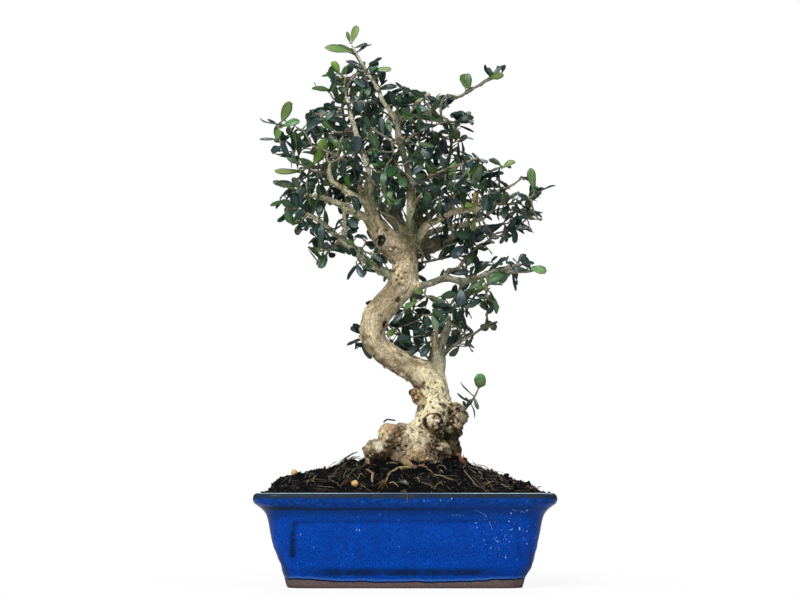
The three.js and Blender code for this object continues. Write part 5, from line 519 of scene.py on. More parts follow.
# Green and woody twigs: points x, y, z, radius; the first lies in what carries the twig.
TWIGS = [
    [(72, -22.9, 212.8, .36), (70.7, -22.9, 212.1, .36)],
    [(41, 20, 326.9, .57), (42.1, 17.1, 328.7, .57), (42.6, 13.7, 330, .42), (43.1, 10.2, 330.3, .36)],
    [(42.1, 17.1, 328.7, .36), (43.6, 14.9, 331.1, .36)],
    [(67.9, -30, 268.5, .47), (69.6, -31.3, 265.6, .47), (72.8, -31.5, 264, .42), (75.6, -33.7, 264.9, .36)],
    [(24.9, 11.3, 246.8, .42), (23.9, 14.6, 248, .42), (22.9, 18, 248.7, .36)],
    [(30.7, -0.7, 161.4, .36), (29.6, -2.3, 164.5, .36)],
    [(-14.7, 30, 183, .56), (-14.8, 30.3, 186.6, .56), (-15.9, 30.7, 190, .52), (-16, 30.8, 193.6, .47), (-15.3, 30.2, 197.1, .42), (-14.7, 30.2, 198.4, .36)],
    [(-57.1, -25.2, 281.2, .36), (-57.9, -26.8, 284.3, .36)],
    [(-38.9, -11.7, 329.9, .36), (-35.5, -12.9, 329.8, .36)],
    [(-59.7, -31, 247.8, .42), (-58.3, -34.3, 248.5, .42), (-56.7, -37.5, 248.5, .36)],
    [(-68.2, -32, 265.6, .59), (-66.7, -33.8, 268.3, .59), (-65.9, -36.6, 270.4, .56), (-65.6, -40.1, 271.5, .52), (-66.1, -43.6, 272.1, .47), (-66.3, -45.2, 268.9, .42), (-66.1, -45.1, 265.3, .36)],
    [(42.3, -6, 168.4, .36), (44.6, -4.5, 166, .36)],
    [(-39.4, -11, 332.9, .8), (-36.4, -10.4, 334.6, .8), (-32.9, -10.2, 335.5, .78), (-29.4, -9.8, 336.5, .75), (-25.9, -9.2, 337.2, .73), (-23, -8.2, 339, .7), (-20.8, -6.8, 341.5, .67), (-21.2, -3.2, 341.8, .52), (-20.2, -0.5, 343.9, .47), (-18.4, 1.3, 346.4, .42), (-16.3, 3, 348.9, .36)],
    [(-20.8, -6.8, 341.5, .42), (-17.6, -7.2, 342.9, .42), (-16.1, -10.2, 344.3, .36)],
    [(-37.6, -13, 323.8, .47), (-37, -9.5, 323.9, .47), (-37.7, -5.9, 324, .42), (-39.2, -2.7, 323.6, .36)],
    [(-40.5, -9.7, 337.9, 1.18), (-37.4, -8.3, 339.2, 1.18), (-34.4, -7.3, 340.9, 1.16), (-32.1, -8, 343.6, 1.15), (-30.9, -9.1, 346.8, 1.08), (-29.8, -9.6, 350.2, 1.06), (-28.1, -9.7, 353.4, 1.05), (-27.4, -7.7, 356.3, .83), (-28.1, -5.1, 358.7, .81), (-28.4, -1.9, 360.4, .79), (-28.8, 1.1, 362.2, .64), (-30.4, 1.5, 365.5, .52), (-32.6, 0.3, 368, .47), (-34.5, -1.6, 370.4, .42), (-36.2, -3.3, 373.2, .36)],
    [(-28.4, -1.9, 360.4, .47), (-31.6, -1.6, 362.1, .47)],
    [(-28.1, -9.7, 353.4, .68), (-24.8, -11.2, 353.5, .68), (-22.1, -11.5, 355.8, .65), (-20.2, -10.9, 358.8, .53), (-20.3, -7.5, 360, .36)],
    [(-22.1, -11.5, 355.8, .36), (-21.7, -11.5, 357, .36)],
    [(-32.1, -8, 343.6, .42), (-33.9, -9.2, 346.4, .42), (-35.1, -9.2, 344.6, .36)],
    [(-66.1, -34, 251.3, .71), (-68.3, -35.5, 248.9, .71), (-70.2, -37, 246.2, .68), (-73.1, -37.9, 244.2, .53), (-76.2, -39.2, 243, .36)],
    [(-70.2, -37, 246.2, .42), (-72.2, -38.2, 243.4, .42), (-73.8, -39.1, 240.3, .36)],
    [(11.3, 46, 311.4, .42), (14.7, 47, 311.4, .42), (18.1, 48, 310.7, .36)],
    [(-4.9, -1.6, 318.3, .42), (-8, -3.5, 318.5, .42), (-11.2, -4.8, 317.5, .36)],
    [(-32.9, -22, 285.1, .36), (-33.9, -18.5, 285.2, .36)],
    [(3.8, 14, 189.7, .36), (2, 14.2, 186.6, .36)],
    [(-77.5, -34, 288.8, .42), (-77.3, -36.6, 286.3, .42), (-77.2, -37.6, 282.8, .36)],
    [(9, 17, 162.2, .42), (12.5, 17.3, 163, .42), (16.1, 17.3, 163.3, .36)],
    [(46.5, -17.1, 257.3, .42), (46.5, -16.4, 260.8, .42), (46, -15.4, 264.3, .36)],
    [(24.7, -8.6, 251.8, .42), (23.9, -6.6, 254.7, .42), (21.9, -5.3, 257.3, .36)],
    [(11.1, -5.7, 204.9, .64), (10.5, -2.5, 203.4, .64), (9.5, 1, 203.1, .6), (12.2, 2.9, 201.6, .42), (14.9, 3.2, 199.3, .36)],
    [(55.6, -22, 199.1, .42), (54.5, -25.1, 200.5, .42), (52.4, -27.7, 201.9, .36)],
    [(54.7, 15, 254.9, .73), (56.2, 17.1, 252.3, .73), (58.3, 18.3, 249.7, .7), (60.3, 19.4, 246.9, .67), (63, 18.9, 244.5, .64), (65.3, 16.6, 242.9, .47), (68.8, 16.3, 243.6, .42), (72, 16.8, 245, .36)],
    [(63, 18.9, 244.5, .42), (61.8, 18.7, 241.1, .42), (59.2, 19, 238.6, .36)],
    [(-37.6, -16.3, 256.6, .36), (-35.9, -13.7, 258.4, .36)],
    [(-14.7, 30, 183, .71), (-18.2, 30.2, 182.2, 1.05), (-21.4, 30.2, 180.6, 1.03), (-24.2, 29.8, 178.4, 1.02), (-24.5, 28.4, 175.1, 1), (-26.4, 27.9, 172.1, .9), (-28.2, 28.1, 169, .82), (-31.1, 28.2, 166.9, .47), (-33.5, 27.7, 164.3, .42), (-35.2, 27.7, 163.6, .36)],
    [(-28.2, 28.1, 169, .36), (-27.4, 28.1, 167.2, .36)],
    [(-26.4, 27.9, 172.1, .36), (-27.4, 27.9, 172.8, .36)],
    [(-24.5, 28.4, 175.1, .47), (-23.4, 31.2, 173.1, .47), (-25.4, 33.8, 174.5, .42), (-26.8, 33.8, 175.5, .36)],
    [(70.3, -22.4, 215.5, .36), (71.2, -21.4, 218.8, .36)],
    [(62.6, -20.1, 213.7, .42), (61.6, -20.4, 217.1, .42), (60.1, -22.5, 219.7, .36)],
    [(91.5, -34, 266.4, .36), (88.2, -34.8, 267.6, .36)],
    [(-3, 45.1, 277.6, .42), (0, 46.9, 276.7, .42), (3, 48.4, 275.4, .36)],
    [(31.7, 15, 227.9, .42), (35.1, 16.2, 228.4, .42), (38.6, 17.2, 228.5, .36)],
    [(-29.9, 37.4, 303.8, .56), (-29.4, 40.7, 305.2, .56), (-28.5, 44, 306.2, .52), (-27.4, 47.3, 307.1, .47), (-26.6, 50.7, 307.9, .42), (-26, 54.2, 308.6, .36)],
    [(32.4, -13.7, 269, .52), (31.4, -17, 269.9, .52), (30.7, -20.5, 269.6, .47), (31.2, -23.3, 271.9, .42), (32.6, -24.6, 274.9, .36)],
    [(-54.4, -24, 280.6, .81), (-55.6, -20.9, 281.9, .81), (-57.4, -18, 283, .79), (-59.2, -15.1, 284.2, .7), (-60.3, -11.9, 285.5, .67), (-61.3, -8.8, 287, .64), (-62.2, -5.5, 288.1, .6), (-63.3, -2.2, 289.1, .57), (-63.6, 1.4, 289.5, .53), (-65.5, 1.4, 289.5, .36)],
    [(-57.4, -18, 283, .36), (-60.4, -16.4, 282.1, .36)],
    [(26.3, -27.9, 281.9, .66), (24.3, -30.7, 280.8, .66), (22.1, -33.1, 279.2, .63), (20.3, -35.4, 277.2, .59), (18.6, -37.6, 274.9, .56), (17, -39.7, 272.4, .52), (15.7, -41.7, 269.7, .47), (14.7, -43.9, 267, .42), (13.9, -45.6, 264, .36)],
    [(-37, -26.7, 287.1, .47), (-36.1, -28.9, 284.4, .47), (-35, -30.9, 281.6, .42), (-33.9, -32.6, 278.6, .36)],
    [(-1.5, -19, 281.3, .47), (-0.2, -20.5, 278.3, .47), (1, -21.5, 275.1, .42), (1.1, -23.8, 272.3, .36)],
    [(22.5, 36.4, 264.5, .36), (25.8, 35.1, 264.4, .36)],
    [(18.9, -18, 315.2, .66), (18.8, -17.2, 318.7, .66), (18.2, -16.7, 322.3, .63), (17.1, -17.1, 325.7, .59), (16.9, -15.6, 329, .56), (17, -13.6, 331.9, .52), (15.6, -12.8, 335.1, .47)],
    [(30.6, 12.4, 248.3, .36), (30.9, 13.6, 251.6, .36)],
    [(-59.7, -31, 247.8, .47), (-61.6, -28.1, 248.5, .47), (-63.3, -24.9, 248.7, .42), (-65, -21.7, 248.9, .36)],
    [(39, 33.2, 175.3, .59), (35.8, 34.1, 176.7, .59), (32.4, 35, 177.5, .56), (29.3, 34.9, 179.4, .52), (25.8, 35.2, 180.4, .47), (22.4, 35.6, 181.2, .42), (18.8, 36.2, 181.7, .36)],
    [(47.1, 3.6, 229.8, .6), (46.1, 1, 232.2, .6), (47.5, -2.2, 232.8, .42), (49.5, -5, 231.8, .36)],
    [(46.1, 1, 232.2, .42), (43.3, 0.9, 234.4, .42), (41.5, 0.9, 233.8, .36)],
    [(-40.2, -17.1, 269.4, .42), (-42.6, -14.5, 268.5, .42), (-44.7, -11.8, 267.5, .36)],
    [(2.5, 47.5, 288.8, .52), (5.2, 49.5, 287.4, .52), (7.6, 51.6, 285.6, .47), (10, 53.3, 283.6, .42), (12.2, 55.1, 281.4, .36)],
    [(-60.3, -26.7, 281.7, .47), (-60.3, -29.8, 279.9, .47), (-59.9, -32.8, 278, .42), (-59.1, -35.8, 276.1, .36)],
    [(10.5, 46.5, 308.6, .56), (8.7, 43.3, 308.8, .56), (6.4, 40.6, 308.9, .52), (3.4, 39.3, 310.5, .47), (0.1, 38.9, 311.9, .42), (-3.1, 39.1, 313.6, .36)],
    [(2.4, 12, 288, .56), (3.8, 14.8, 289.7, .56), (5.2, 17.8, 291.3, .52), (6.7, 20.9, 292.3, .47), (8.5, 23.9, 293, .42), (10, 27.1, 293.3, .36)],
    [(34.8, 34.1, 317.6, .56), (31.7, 32.4, 317.3, .56), (29.4, 29.9, 316.1, .52), (27.1, 27.9, 314.2, .47), (26.1, 25.6, 311.6, .42), (26.1, 23.6, 308.6, .36)],
    [(-4.7, -1, 315, .66), (-2.7, 1.8, 316, .66), (-1.8, 4.9, 317.5, .63), (-1.1, 8.3, 318.6, .59), (-0.9, 11.7, 319.7, .56), (-0.8, 15.1, 320.8, .52), (-1.9, 18.5, 321.6, .47), (-3.2, 21.8, 322.3, .42), (-4.6, 25, 322.7, .36)],
    [(-18.1, 34.8, 291.3, .47), (-15.2, 34.9, 293.5, .47), (-12.3, 35, 295.6, .42), (-9.2, 35, 297.4, .36)],
    [(-53.1, -29, 227.7, .42), (-52.7, -28.9, 224.1, .42), (-53.1, -28.9, 225.8, .36)],
    [(65.4, -21, 214.4, .53), (67.1, -18.6, 212.3, .53), (68.4, -16.3, 209.9, .36)],
    [(67.1, -18.6, 212.3, .36), (68.9, -18.6, 213.3, .36)],
    [(-32.4, 26.8, 280.1, .56), (-33.4, 23.9, 282, .56), (-34.4, 20.7, 283.4, .52), (-35.1, 18.2, 285.8, .47), (-35.9, 17.2, 289.2, .42), (-36.1, 17.4, 292.8, .36)],
    [(38.3, -8, 201.9, .47), (41.6, -7.5, 200.7, .47), (45, -7.3, 199.5, .42), (48.4, -7.1, 198.4, .36)],
    [(-38.3, -12.4, 326.7, .7), (-40.3, -15.3, 327.5, .7), (-43.2, -17.4, 327.5, .67), (-45.5, -20.1, 328, .64), (-48.5, -22.1, 328.1, .6), (-51.7, -23.5, 327.4, .57), (-49.6, -20.7, 326.6, .42), (-50.8, -17.9, 328.5, .36)],
    [(-51.7, -23.5, 327.4, .36), (-51, -26.4, 325.6, .36)],
    [(15.5, 28.1, 232.9, .42), (15.9, 27.3, 236.4, .42), (15.7, 26, 239.8, .36)],
    [(60.2, 40, 253.4, .73), (63.6, 39.2, 253.9, .73), (67, 38, 254.2, .7), (70.5, 37.2, 254.8, .67), (74, 36.4, 254.9, .52), (75.9, 33.8, 256.6, .47), (76.5, 31.1, 258.9, .42), (76.1, 28.2, 261, .36)],
    [(70.5, 37.2, 254.8, .42), (73.3, 38.8, 253.2, .42), (74.4, 41.3, 250.9, .36)],
    [(32.9, -2, 163, .36), (34.2, 1.2, 164, .36)],
    [(-48.3, -20.6, 274.3, .56), (-50.2, -17.6, 275, .56), (-52, -14.7, 276.3, .52), (-53.9, -11.7, 276.8, .47), (-55.9, -8.8, 277.4, .42), (-57.5, -5.6, 277.8, .36)],
    [(67.9, -30, 268.5, .88), (65, -29.8, 270.5, .88), (64.8, -29.7, 274.1, .86), (64.6, -29.1, 277.7, .83), (64.4, -28.5, 281.2, .73), (65.4, -28.1, 284.7, .63), (66.4, -24.7, 285.4, .59), (66.7, -21.3, 286.5, .56), (67.6, -17.8, 286.6, .52), (69.5, -14.9, 287.4, .47), (72.1, -12.5, 288.2, .42), (73.5, -9.3, 289.2, .36)],
    [(64.4, -28.5, 281.2, .36), (65.4, -30.8, 283.8, .36)],
    [(64.6, -29.1, 277.7, .42), (63.2, -25.8, 278.2, .42), (63.4, -25.8, 276.2, .36)],
    [(87.4, -30.6, 264.3, .6), (88.5, -28.9, 267.3, .6), (89.5, -26.2, 269.3, .47), (90.2, -23.2, 267.4, .42), (92, -20.1, 267.2, .36)],
    [(88.5, -28.9, 267.3, .36), (86.8, -28.9, 268.1, .36)],
    [(-52.2, -24.4, 262.4, .42), (-54.2, -22.4, 260.2, .42), (-55.5, -20.4, 257.5, .36)],
    [(-41.7, -31, 289.1, .52), (-41.9, -29, 292.1, .52), (-41.8, -26.9, 295, .47), (-43.7, -26.6, 298.1, .42), (-46.4, -27.6, 300.3, .36)],
    [(30.4, 11.4, 177.2, .42), (33.3, 9.2, 177.6, .42), (36.1, 7, 177.2, .36)],
    [(-19.1, 18.3, 265.5, .6), (-18, 15.3, 263.8, .6), (-16.5, 12.5, 262, .57), (-17.3, 11.7, 258.6, .42), (-19.1, 12.7, 255.6, .36)],
    [(-16.5, 12.5, 262, .36), (-14.1, 10.1, 263, .36)],
    [(27.1, 40.2, 287.6, .6), (26.2, 37.4, 289.7, .6), (24.4, 35.2, 292, .57), (22.1, 33.4, 294.1, .53), (21.1, 29.9, 294.1, .36)],
    [(22.1, 33.4, 294.1, .36), (19.8, 35, 296.3, .36)],
    [(31.6, 0.7, 192.1, .42), (30, 3, 194.3, .42), (28.5, 5.3, 196.7, .36)],
    [(0.3, -13, 279.6, .6), (-3.3, -12.6, 279.4, .6), (-5.1, -13.5, 276.5, .42), (-4.5, -14.4, 273.1, .36)],
    [(-3.3, -12.6, 279.4, .42), (-4.8, -11.4, 282.5, .42), (-4.5, -10.5, 285.9, .36)],
    [(-32.4, -15.1, 306.8, .6), (-35.2, -12.8, 306.9, .6), (-34.6, -9.2, 307.2, .47), (-32.6, -6.3, 307.7, .42), (-30, -3.8, 308, .36)],
    [(-35.2, -12.8, 306.9, .36), (-38.5, -13.9, 306.2, .36)],
    [(35.7, -3.9, 197.6, .64), (38, -4.9, 195, .64), (39, -6.8, 192.1, .6), (39.4, -8.4, 188.9, .57), (37.7, -11.4, 188, .42), (35.4, -14.1, 188.3, .36)],
    [(39.4, -8.4, 188.9, .36), (41.9, -6.4, 187.2, .36)],
    [(49.1, -18, 257.8, .56), (50.8, -15.7, 255.6, .56), (52.5, -12.9, 254.1, .52), (53.8, -9.8, 252.9, .47), (55, -6.7, 251.5, .42), (55.9, -3.3, 252.5, .36)],
    [(-34.2, -14.7, 312.1, .59), (-37.8, -14.9, 312, .59), (-41.3, -15.4, 311.4, .56), (-44.6, -16.6, 310.9, .52), (-48.1, -17.5, 310.6, .47), (-50.9, -19.7, 310.3, .42), (-53.2, -22.4, 309.9, .36)],
    [(-64, -33, 250.2, .42), (-62.2, -34.9, 252.7, .42), (-60.2, -36.7, 255.1, .36)],
    [(43.6, -16, 257, .63), (42.7, -19.5, 257.6, .63), (41.6, -22.9, 257.7, .59), (41, -26.3, 256.7, .56), (40.3, -29.6, 255.5, .52), (39.7, -32.7, 253.8, .47), (40.2, -35.2, 251.2, .42), (39.9, -38.4, 249.6, .36)],
    [(-6.8, -36, 288.7, .63), (-6.2, -38.9, 286.8, .63), (-5.4, -41.7, 284.7, .59), (-4.5, -44.6, 282.6, .56), (-3.9, -46.9, 279.9, .52), (-3.7, -49.1, 277.1, .47), (-3.5, -51.2, 274.2, .42), (-3.2, -53, 271.1, .36)],
    [(-41, 31.4, 320.5, .75), (-43.1, 28.7, 319.3, .75), (-45.2, 26.4, 317.6, .73), (-47.1, 24.1, 315.6, .7), (-49.4, 23.1, 313, .67), (-51.5, 22.9, 310.1, .64), (-53.6, 23.1, 307.2, .6), (-55.6, 24.2, 304.3, .47), (-58.8, 22.8, 303.5, .42), (-61.3, 20.3, 304.2, .36)],
    [(-53.6, 23.1, 307.2, .36), (-53.5, 25.8, 304.8, .36)],
    [(-57.3, -27, 263.7, .59), (-59.5, -24.1, 263.6, .59), (-61.1, -20.9, 263.2, .56), (-62.5, -17.7, 262.6, .52), (-64, -14.5, 261.9, .47), (-65.5, -11.2, 261.5, .42), (-66.9, -8, 261.1, .36)],
    [(-4.7, 36.2, 260, .47), (-2.7, 34.3, 262.3, .47), (-1.9, 31.7, 264.7, .42), (0.3, 29.8, 266.7, .36)],
    [(10.6, -14, 311.8, .52), (8.9, -15.4, 314.6, .52), (7.1, -16.6, 317.5, .47), (5.1, -17.1, 320.4, .42), (3.2, -17, 323.5, .36)],
    [(-64.4, -30, 264.5, .42), (-65, -28.5, 267.7, .42), (-65.8, -26.9, 270.8, .36)],
    [(33, 45, 306.1, .52), (34.7, 46.8, 308.8, .52), (34, 49, 311.5, .47), (35.9, 50.9, 313.9, .42), (38.7, 52.3, 315.8, .36)],
    [(28.3, 38.9, 239.1, .36), (28.8, 37.7, 242.5, .36)],
    [(33.3, 12.8, 248.8, .56), (32.9, 13.1, 252.4, .56), (31.9, 13.3, 255.8, .52), (31.1, 13.5, 259.4, .47), (30.1, 13.9, 262.8, .42), (29, 14.5, 266.2, .36)],
    [(59.5, -19, 212.9, .36), (60.9, -19.2, 216.2, .36)],
    [(21.7, 2.4, 173.1, .47), (20.9, -1.1, 173.5, .47), (19.9, -4.5, 172.9, .42), (19.1, -7.8, 171.8, .36)],
    [(-18, -5, 283.5, .42), (-17.7, -1.5, 282.7, .42), (-17.9, 2, 281.7, .36)],
    [(-54.8, -25.7, 263.1, .47), (-53.8, -28.3, 265.4, .47), (-52.6, -30.5, 268, .42), (-51.1, -32.7, 270.4, .36)],
    [(-38.9, -11.7, 329.9, .63), (-39.4, -15.3, 329.9, .63), (-38.8, -18.7, 330.7, .59), (-37, -21.8, 331, .56), (-34.5, -24.4, 331.2, .52), (-32.1, -27, 330.6, .47), (-29.7, -29.6, 329.7, .42), (-26.2, -30.1, 329.5, .36)],
    [(52.2, -19.1, 258.9, .47), (51.2, -22.5, 258.4, .47), (50.3, -25.9, 258.3, .42), (48.1, -28.6, 257.1, .36)],
    [(39.6, 22.7, 325.6, .42), (37, 21.6, 327.8, .42), (34.3, 20.3, 329.8, .36)],
    [(-39.3, -28.9, 288.1, .52), (-37.4, -31.3, 290, .52), (-35.4, -33.6, 291.8, .47), (-33.2, -35.5, 294, .42), (-30.6, -37, 296.1, .36)],
    [(4.5, 8, 267.1, .6), (7.6, 7, 265.4, .6), (10.3, 6.9, 263.1, .57), (10.4, 3.9, 261.1, .42), (9.1, 0.8, 259.9, .36)],
    [(10.3, 6.9, 263.1, .36), (11.8, 10, 264, .36)],
    [(-43.3, 27.5, 327.7, .52), (-42.8, 24.1, 326.8, .52), (-41, 21.1, 325.6, .47), (-38.7, 18.4, 325.1, .42), (-36, 16.1, 324.6, .36)],
    [(6.4, -11.2, 309.9, .47), (8, -8.6, 311.7, .47), (9.5, -5.6, 313, .42), (10.9, -2.7, 314.7, .36)],
    [(31.7, 43.9, 301, .36), (29, 42.7, 303.1, .36)],
    [(21, 3, 170.5, .59), (18.7, 0.3, 171, .59), (16.5, -2.5, 171.3, .56), (14.2, -5.2, 170.8, .52), (11.9, -8, 170.3, .47), (9.1, -10.2, 169.7, .42), (6, -11.8, 168.9, .36)],
    [(-37.4, -16, 267.8, .59), (-37.8, -13.4, 270.2, .59), (-38.6, -10, 271.1, .56), (-39.8, -6.6, 271.2, .52), (-40.9, -3.2, 270.6, .47), (-41.9, 0.1, 269.6, .42), (-42.4, 3.6, 268.9, .36)],
    [(56.7, -20.7, 203.9, .47), (57.9, -24, 204.7, .47), (59.5, -27.2, 205.1, .42), (61, -30.4, 205.8, .36)],
    [(14.2, -6.5, 205.7, .73), (14.6, -9, 203.2, .73), (13.9, -11.2, 200.4, .7), (14, -13.6, 197.7, .67), (17.2, -13.6, 196.2, .47), (20.5, -12.1, 196.2, .42), (23.5, -10.2, 196.9, .36)],
    [(14, -13.6, 197.7, .47), (13.7, -16.9, 196.3, .47), (11.1, -18.4, 194.4, .42), (8.1, -18, 192.3, .36)],
    [(29.3, 42, 293.1, .9), (32.1, 39.8, 293, .9), (34.6, 37.2, 292.8, .88), (37.2, 34.7, 292.7, .86), (39.7, 32.1, 292.6, .84), (40.1, 28.8, 291.3, .82), (42.7, 26.5, 290.2, .68), (45.9, 25, 289.8, .57), (48.5, 22.7, 291, .53), (47.7, 19.6, 292.6, .36)],
    [(48.5, 22.7, 291, .36), (50.4, 20.6, 293.2, .36)],
    [(42.7, 26.5, 290.2, .36), (45.3, 28.1, 288.3, .36)],
    [(40.1, 28.8, 291.3, .47), (40, 25.7, 293.3, .47), (39.6, 23.7, 296.2, .42), (38.9, 22.4, 299.5, .36)],
    [(-50, 49.1, 288, .47), (-48.9, 48, 291.3, .47), (-47.9, 46.6, 294.5, .42), (-46.8, 44.7, 297.3, .36)],
    [(-25.2, 23.2, 274.4, .36), (-23.8, 23.6, 277.7, .36)],
    [(23.1, -8.7, 208.5, .42), (23.7, -5.3, 209.4, .42), (23.7, -1.7, 209.9, .36)],
    [(-0.9, 5.2, 300, .47), (-2, 7.8, 302.3, .47), (-3, 10.5, 304.4, .42), (-3.6, 13.5, 306.3, .36)],
    [(-4.7, -28, 284.1, .73), (-6.9, -29.1, 281.4, .73), (-8.5, -29.9, 278.3, .7), (-10, -30.6, 275.1, .67), (-12.5, -31, 272.6, .64), (-15.9, -31.1, 271.3, .6), (-16.1, -32.2, 267.9, .47), (-14.4, -33.2, 264.9, .42), (-11.7, -34, 262.6, .36)],
    [(-42.6, -16, 257.4, .59), (-44.9, -13.8, 259, .59), (-47.5, -11.9, 260.6, .56), (-50.2, -10, 262.1, .52), (-53, -8, 263.2, .47), (-55.6, -5.7, 264.2, .42), (-58.4, -3.5, 264.7, .36)],
    [(-61.8, -32, 249.1, .63), (-64.1, -29.3, 248.3, .63), (-66.1, -26.5, 247.2, .59), (-68.5, -23.9, 246.9, .56), (-71, -21.3, 246.1, .52), (-73.6, -19.2, 247.4, .47), (-76.2, -17.7, 249.4, .42), (-78.8, -16.6, 251.6, .36)],
    [(-46.9, -34.8, 291.3, .59), (-45.3, -35.7, 294.4, .59), (-44.3, -36.7, 297.7, .56), (-43.2, -37.7, 301, .52), (-42, -38.5, 304.3, .47), (-40.7, -39, 307.6, .42), (-38.8, -39.5, 310.6, .36)],
    [(23.2, 12.8, 225.8, .56), (24.7, 9.7, 226.6, .56), (25.8, 6.3, 227.4, .52), (26.6, 3.7, 229.7, .47), (27.1, 2.1, 232.9, .42), (27.4, 0.7, 236.2, .36)],
    [(-51.8, -24.6, 284.9, .36), (-50.8, -21.4, 286.3, .36)],
    [(-55.1, -30, 226.9, .52), (-55.9, -27.3, 224.7, .52), (-56.7, -24.5, 222.6, .47), (-57.2, -21.5, 220.6, .42), (-57.5, -18.6, 218.5, .36)],
    [(41.2, 2, 223.4, .42), (41.1, 5.6, 223.1, .42), (40.4, 8.6, 221.3, .36)],
    [(-37.6, -13, 323.8, .93), (-41.2, -13.5, 323.7, .93), (-44.7, -14.2, 323.6, .86), (-48.3, -14.5, 323.4, .84), (-51.6, -15.9, 323.1, .82), (-55.1, -16.8, 323.4, .79), (-58.6, -17.4, 323.3, .71), (-62.1, -17, 324.2, .68), (-64.2, -14.3, 325.3, .47)],
    [(-62.1, -17, 324.2, .36), (-64.3, -19.9, 324.3, .36)],
    [(-55.1, -16.8, 323.4, .36), (-57, -19.3, 321.6, .36)],
    [(-41.2, -13.5, 323.7, .36), (-41.6, -13.5, 322, .36)],
    [(-42.8, 28.8, 325.3, .59), (-45.3, 26.4, 324.2, .59), (-47.8, 24.3, 322.8, .56), (-49.8, 21.6, 321.5, .52), (-51.5, 18.8, 319.9, .47), (-52.7, 15.9, 318.1, .42), (-51, 12.7, 318.4, .36)],
    [(75.9, -24, 216.7, .6), (76.6, -21, 218.4, .6), (78.4, -18.7, 220.6, .57), (79.4, -15.5, 221.9, .53), (80.5, -15.5, 220.9, .36)],
    [(-6.1, 26, 176, .36), (-4.8, 23.9, 178.6, .36)],
    [(-75.4, -33, 287.9, .65), (-75.8, -30.6, 290.5, 1.11), (-76.1, -28.2, 293.2, 1.09), (-76.8, -26.1, 296, 1.02), (-77.3, -24.1, 298.9, .92), (-77.8, -22.6, 302.2, .86), (-78.1, -21.6, 305.6, .83), (-78.5, -20.7, 309.1, .73), (-78.3, -19.7, 312.6, .7), (-79.9, -17.5, 315, .59), (-81.5, -15.3, 317.4, .56), (-83.6, -15.6, 320.3, .52), (-84, -15.2, 323.8, .47)],
    [(-78.1, -21.6, 305.6, .42), (-79.1, -24, 308.1, .42), (-80, -27.5, 308.7, .36)],
    [(-77.3, -24.1, 298.9, .36), (-75.4, -23.4, 301.9, .36)],
    [(-76.8, -26.1, 296, .47), (-78.1, -22.8, 295.7, .47), (-78.5, -19.4, 296.8, .42), (-81.7, -17.8, 296.9, .36)],
    [(-76.1, -28.2, 293.2, .42), (-75.1, -29, 296.6, .42), (-74.3, -31.2, 299.3, .36)],
    [(-44.2, -33, 290.2, .42), (-45.2, -34.3, 286.9, .42), (-45.4, -35.1, 283.5, .36)],
    [(8.5, -12.7, 310.9, .52), (9.2, -14.1, 307.6, .52), (9.6, -15.3, 304.3, .47), (10, -16.3, 300.8, .42), (8.9, -19, 298.7, .36)],
    [(-32.9, -22, 285.1, .52), (-29.8, -20.6, 286.1, .52), (-26.2, -21, 285.8, .47), (-22.9, -22.2, 285, .42), (-19.9, -23.4, 283.4, .36)],
    [(-33.4, 36.7, 308.6, .47), (-31.3, 34.4, 310.5, .47), (-29, 32.2, 312.2, .42), (-26.2, 30.3, 313.5, .36)],
    [(-1.8, 46, 280.5, .47), (1.3, 44.2, 280.5, .47), (4.4, 42.4, 280.5, .42), (7.5, 40.8, 279.6, .36)],
    [(-35, 36, 311.1, .36), (-37.8, 38.3, 311.5, .36)],
    [(-25.3, -9, 271.8, .52), (-22.8, -10.8, 273.6, .52), (-21.2, -14, 274.5, .47), (-23.5, -16.5, 275.6, .42), (-25.9, -19.2, 275.7, .36)],
    [(32.7, -13.3, 265.9, .56), (30.6, -16.3, 265.9, .56), (28.4, -19.1, 265.6, .52), (26.4, -22, 264.8, .47), (24.3, -24.8, 264, .42), (21, -25.2, 262.7, .36)],
    [(-28.7, -14.6, 295.7, .52), (-27.2, -17.7, 296.5, .52), (-24.7, -20.1, 297.5, .47), (-22.4, -22.8, 297.9, .42), (-20.3, -25.7, 298, .36)],
    [(18.8, -18, 280.2, .47), (17.4, -18.6, 283.4, .47), (15.9, -18.8, 286.7, .42), (14.2, -18.8, 289.8, .36)],
    [(-41.9, -19, 258.8, .42), (-39.7, -21.8, 259.5, .42), (-37.5, -24.6, 259.7, .36)],
    [(-63.4, -28, 282.5, .78), (-65.5, -25.3, 281.4, .78), (-67.2, -22.3, 280.1, .75), (-68.9, -19.6, 278.6, .73), (-70.7, -16.5, 278.4, .7), (-72.4, -14.2, 276.2, .67), (-75.3, -13.5, 274.2, .64), (-77.8, -16, 273.9, .47), (-79, -19.4, 274.3, .42), (-80.3, -19.4, 273.9, .36)],
    [(-75.3, -13.5, 274.2, .42), (-78.5, -12.1, 273.3, .42), (-78.1, -8.7, 272.1, .36)],
    [(40.9, -15, 256.7, .42), (42.2, -12.9, 254.1, .42), (42.8, -10.8, 251.2, .36)],
    [(76.3, -26.6, 260, .63), (79.6, -25.4, 259.5, .63), (81.6, -23, 257.7, .59), (83, -20.6, 255.4, .56), (83.7, -18.2, 252.8, .52), (84.4, -15.4, 250.7, .47), (85.9, -13.5, 248, .42), (86.2, -11.6, 245, .36)],
    [(3.8, 14, 189.7, .63), (1.7, 11.1, 189.3, .81), (0.2, 7.8, 189.3, .67), (-0.6, 4.3, 189.2, .64), (0.1, 0.8, 189.9, .6), (1.6, -2.4, 190.4, .57), (0.8, -5.5, 188.7, .42), (-1.1, -7.5, 186.4, .36)],
    [(1.6, -2.4, 190.4, .36), (4.5, -2.4, 192.6, .36)],
    [(1.7, 11.1, 189.3, .47), (-0.8, 10.5, 191.7, .47), (-2.5, 11.1, 194.9, .42), (-4.1, 12.3, 197.8, .36)],
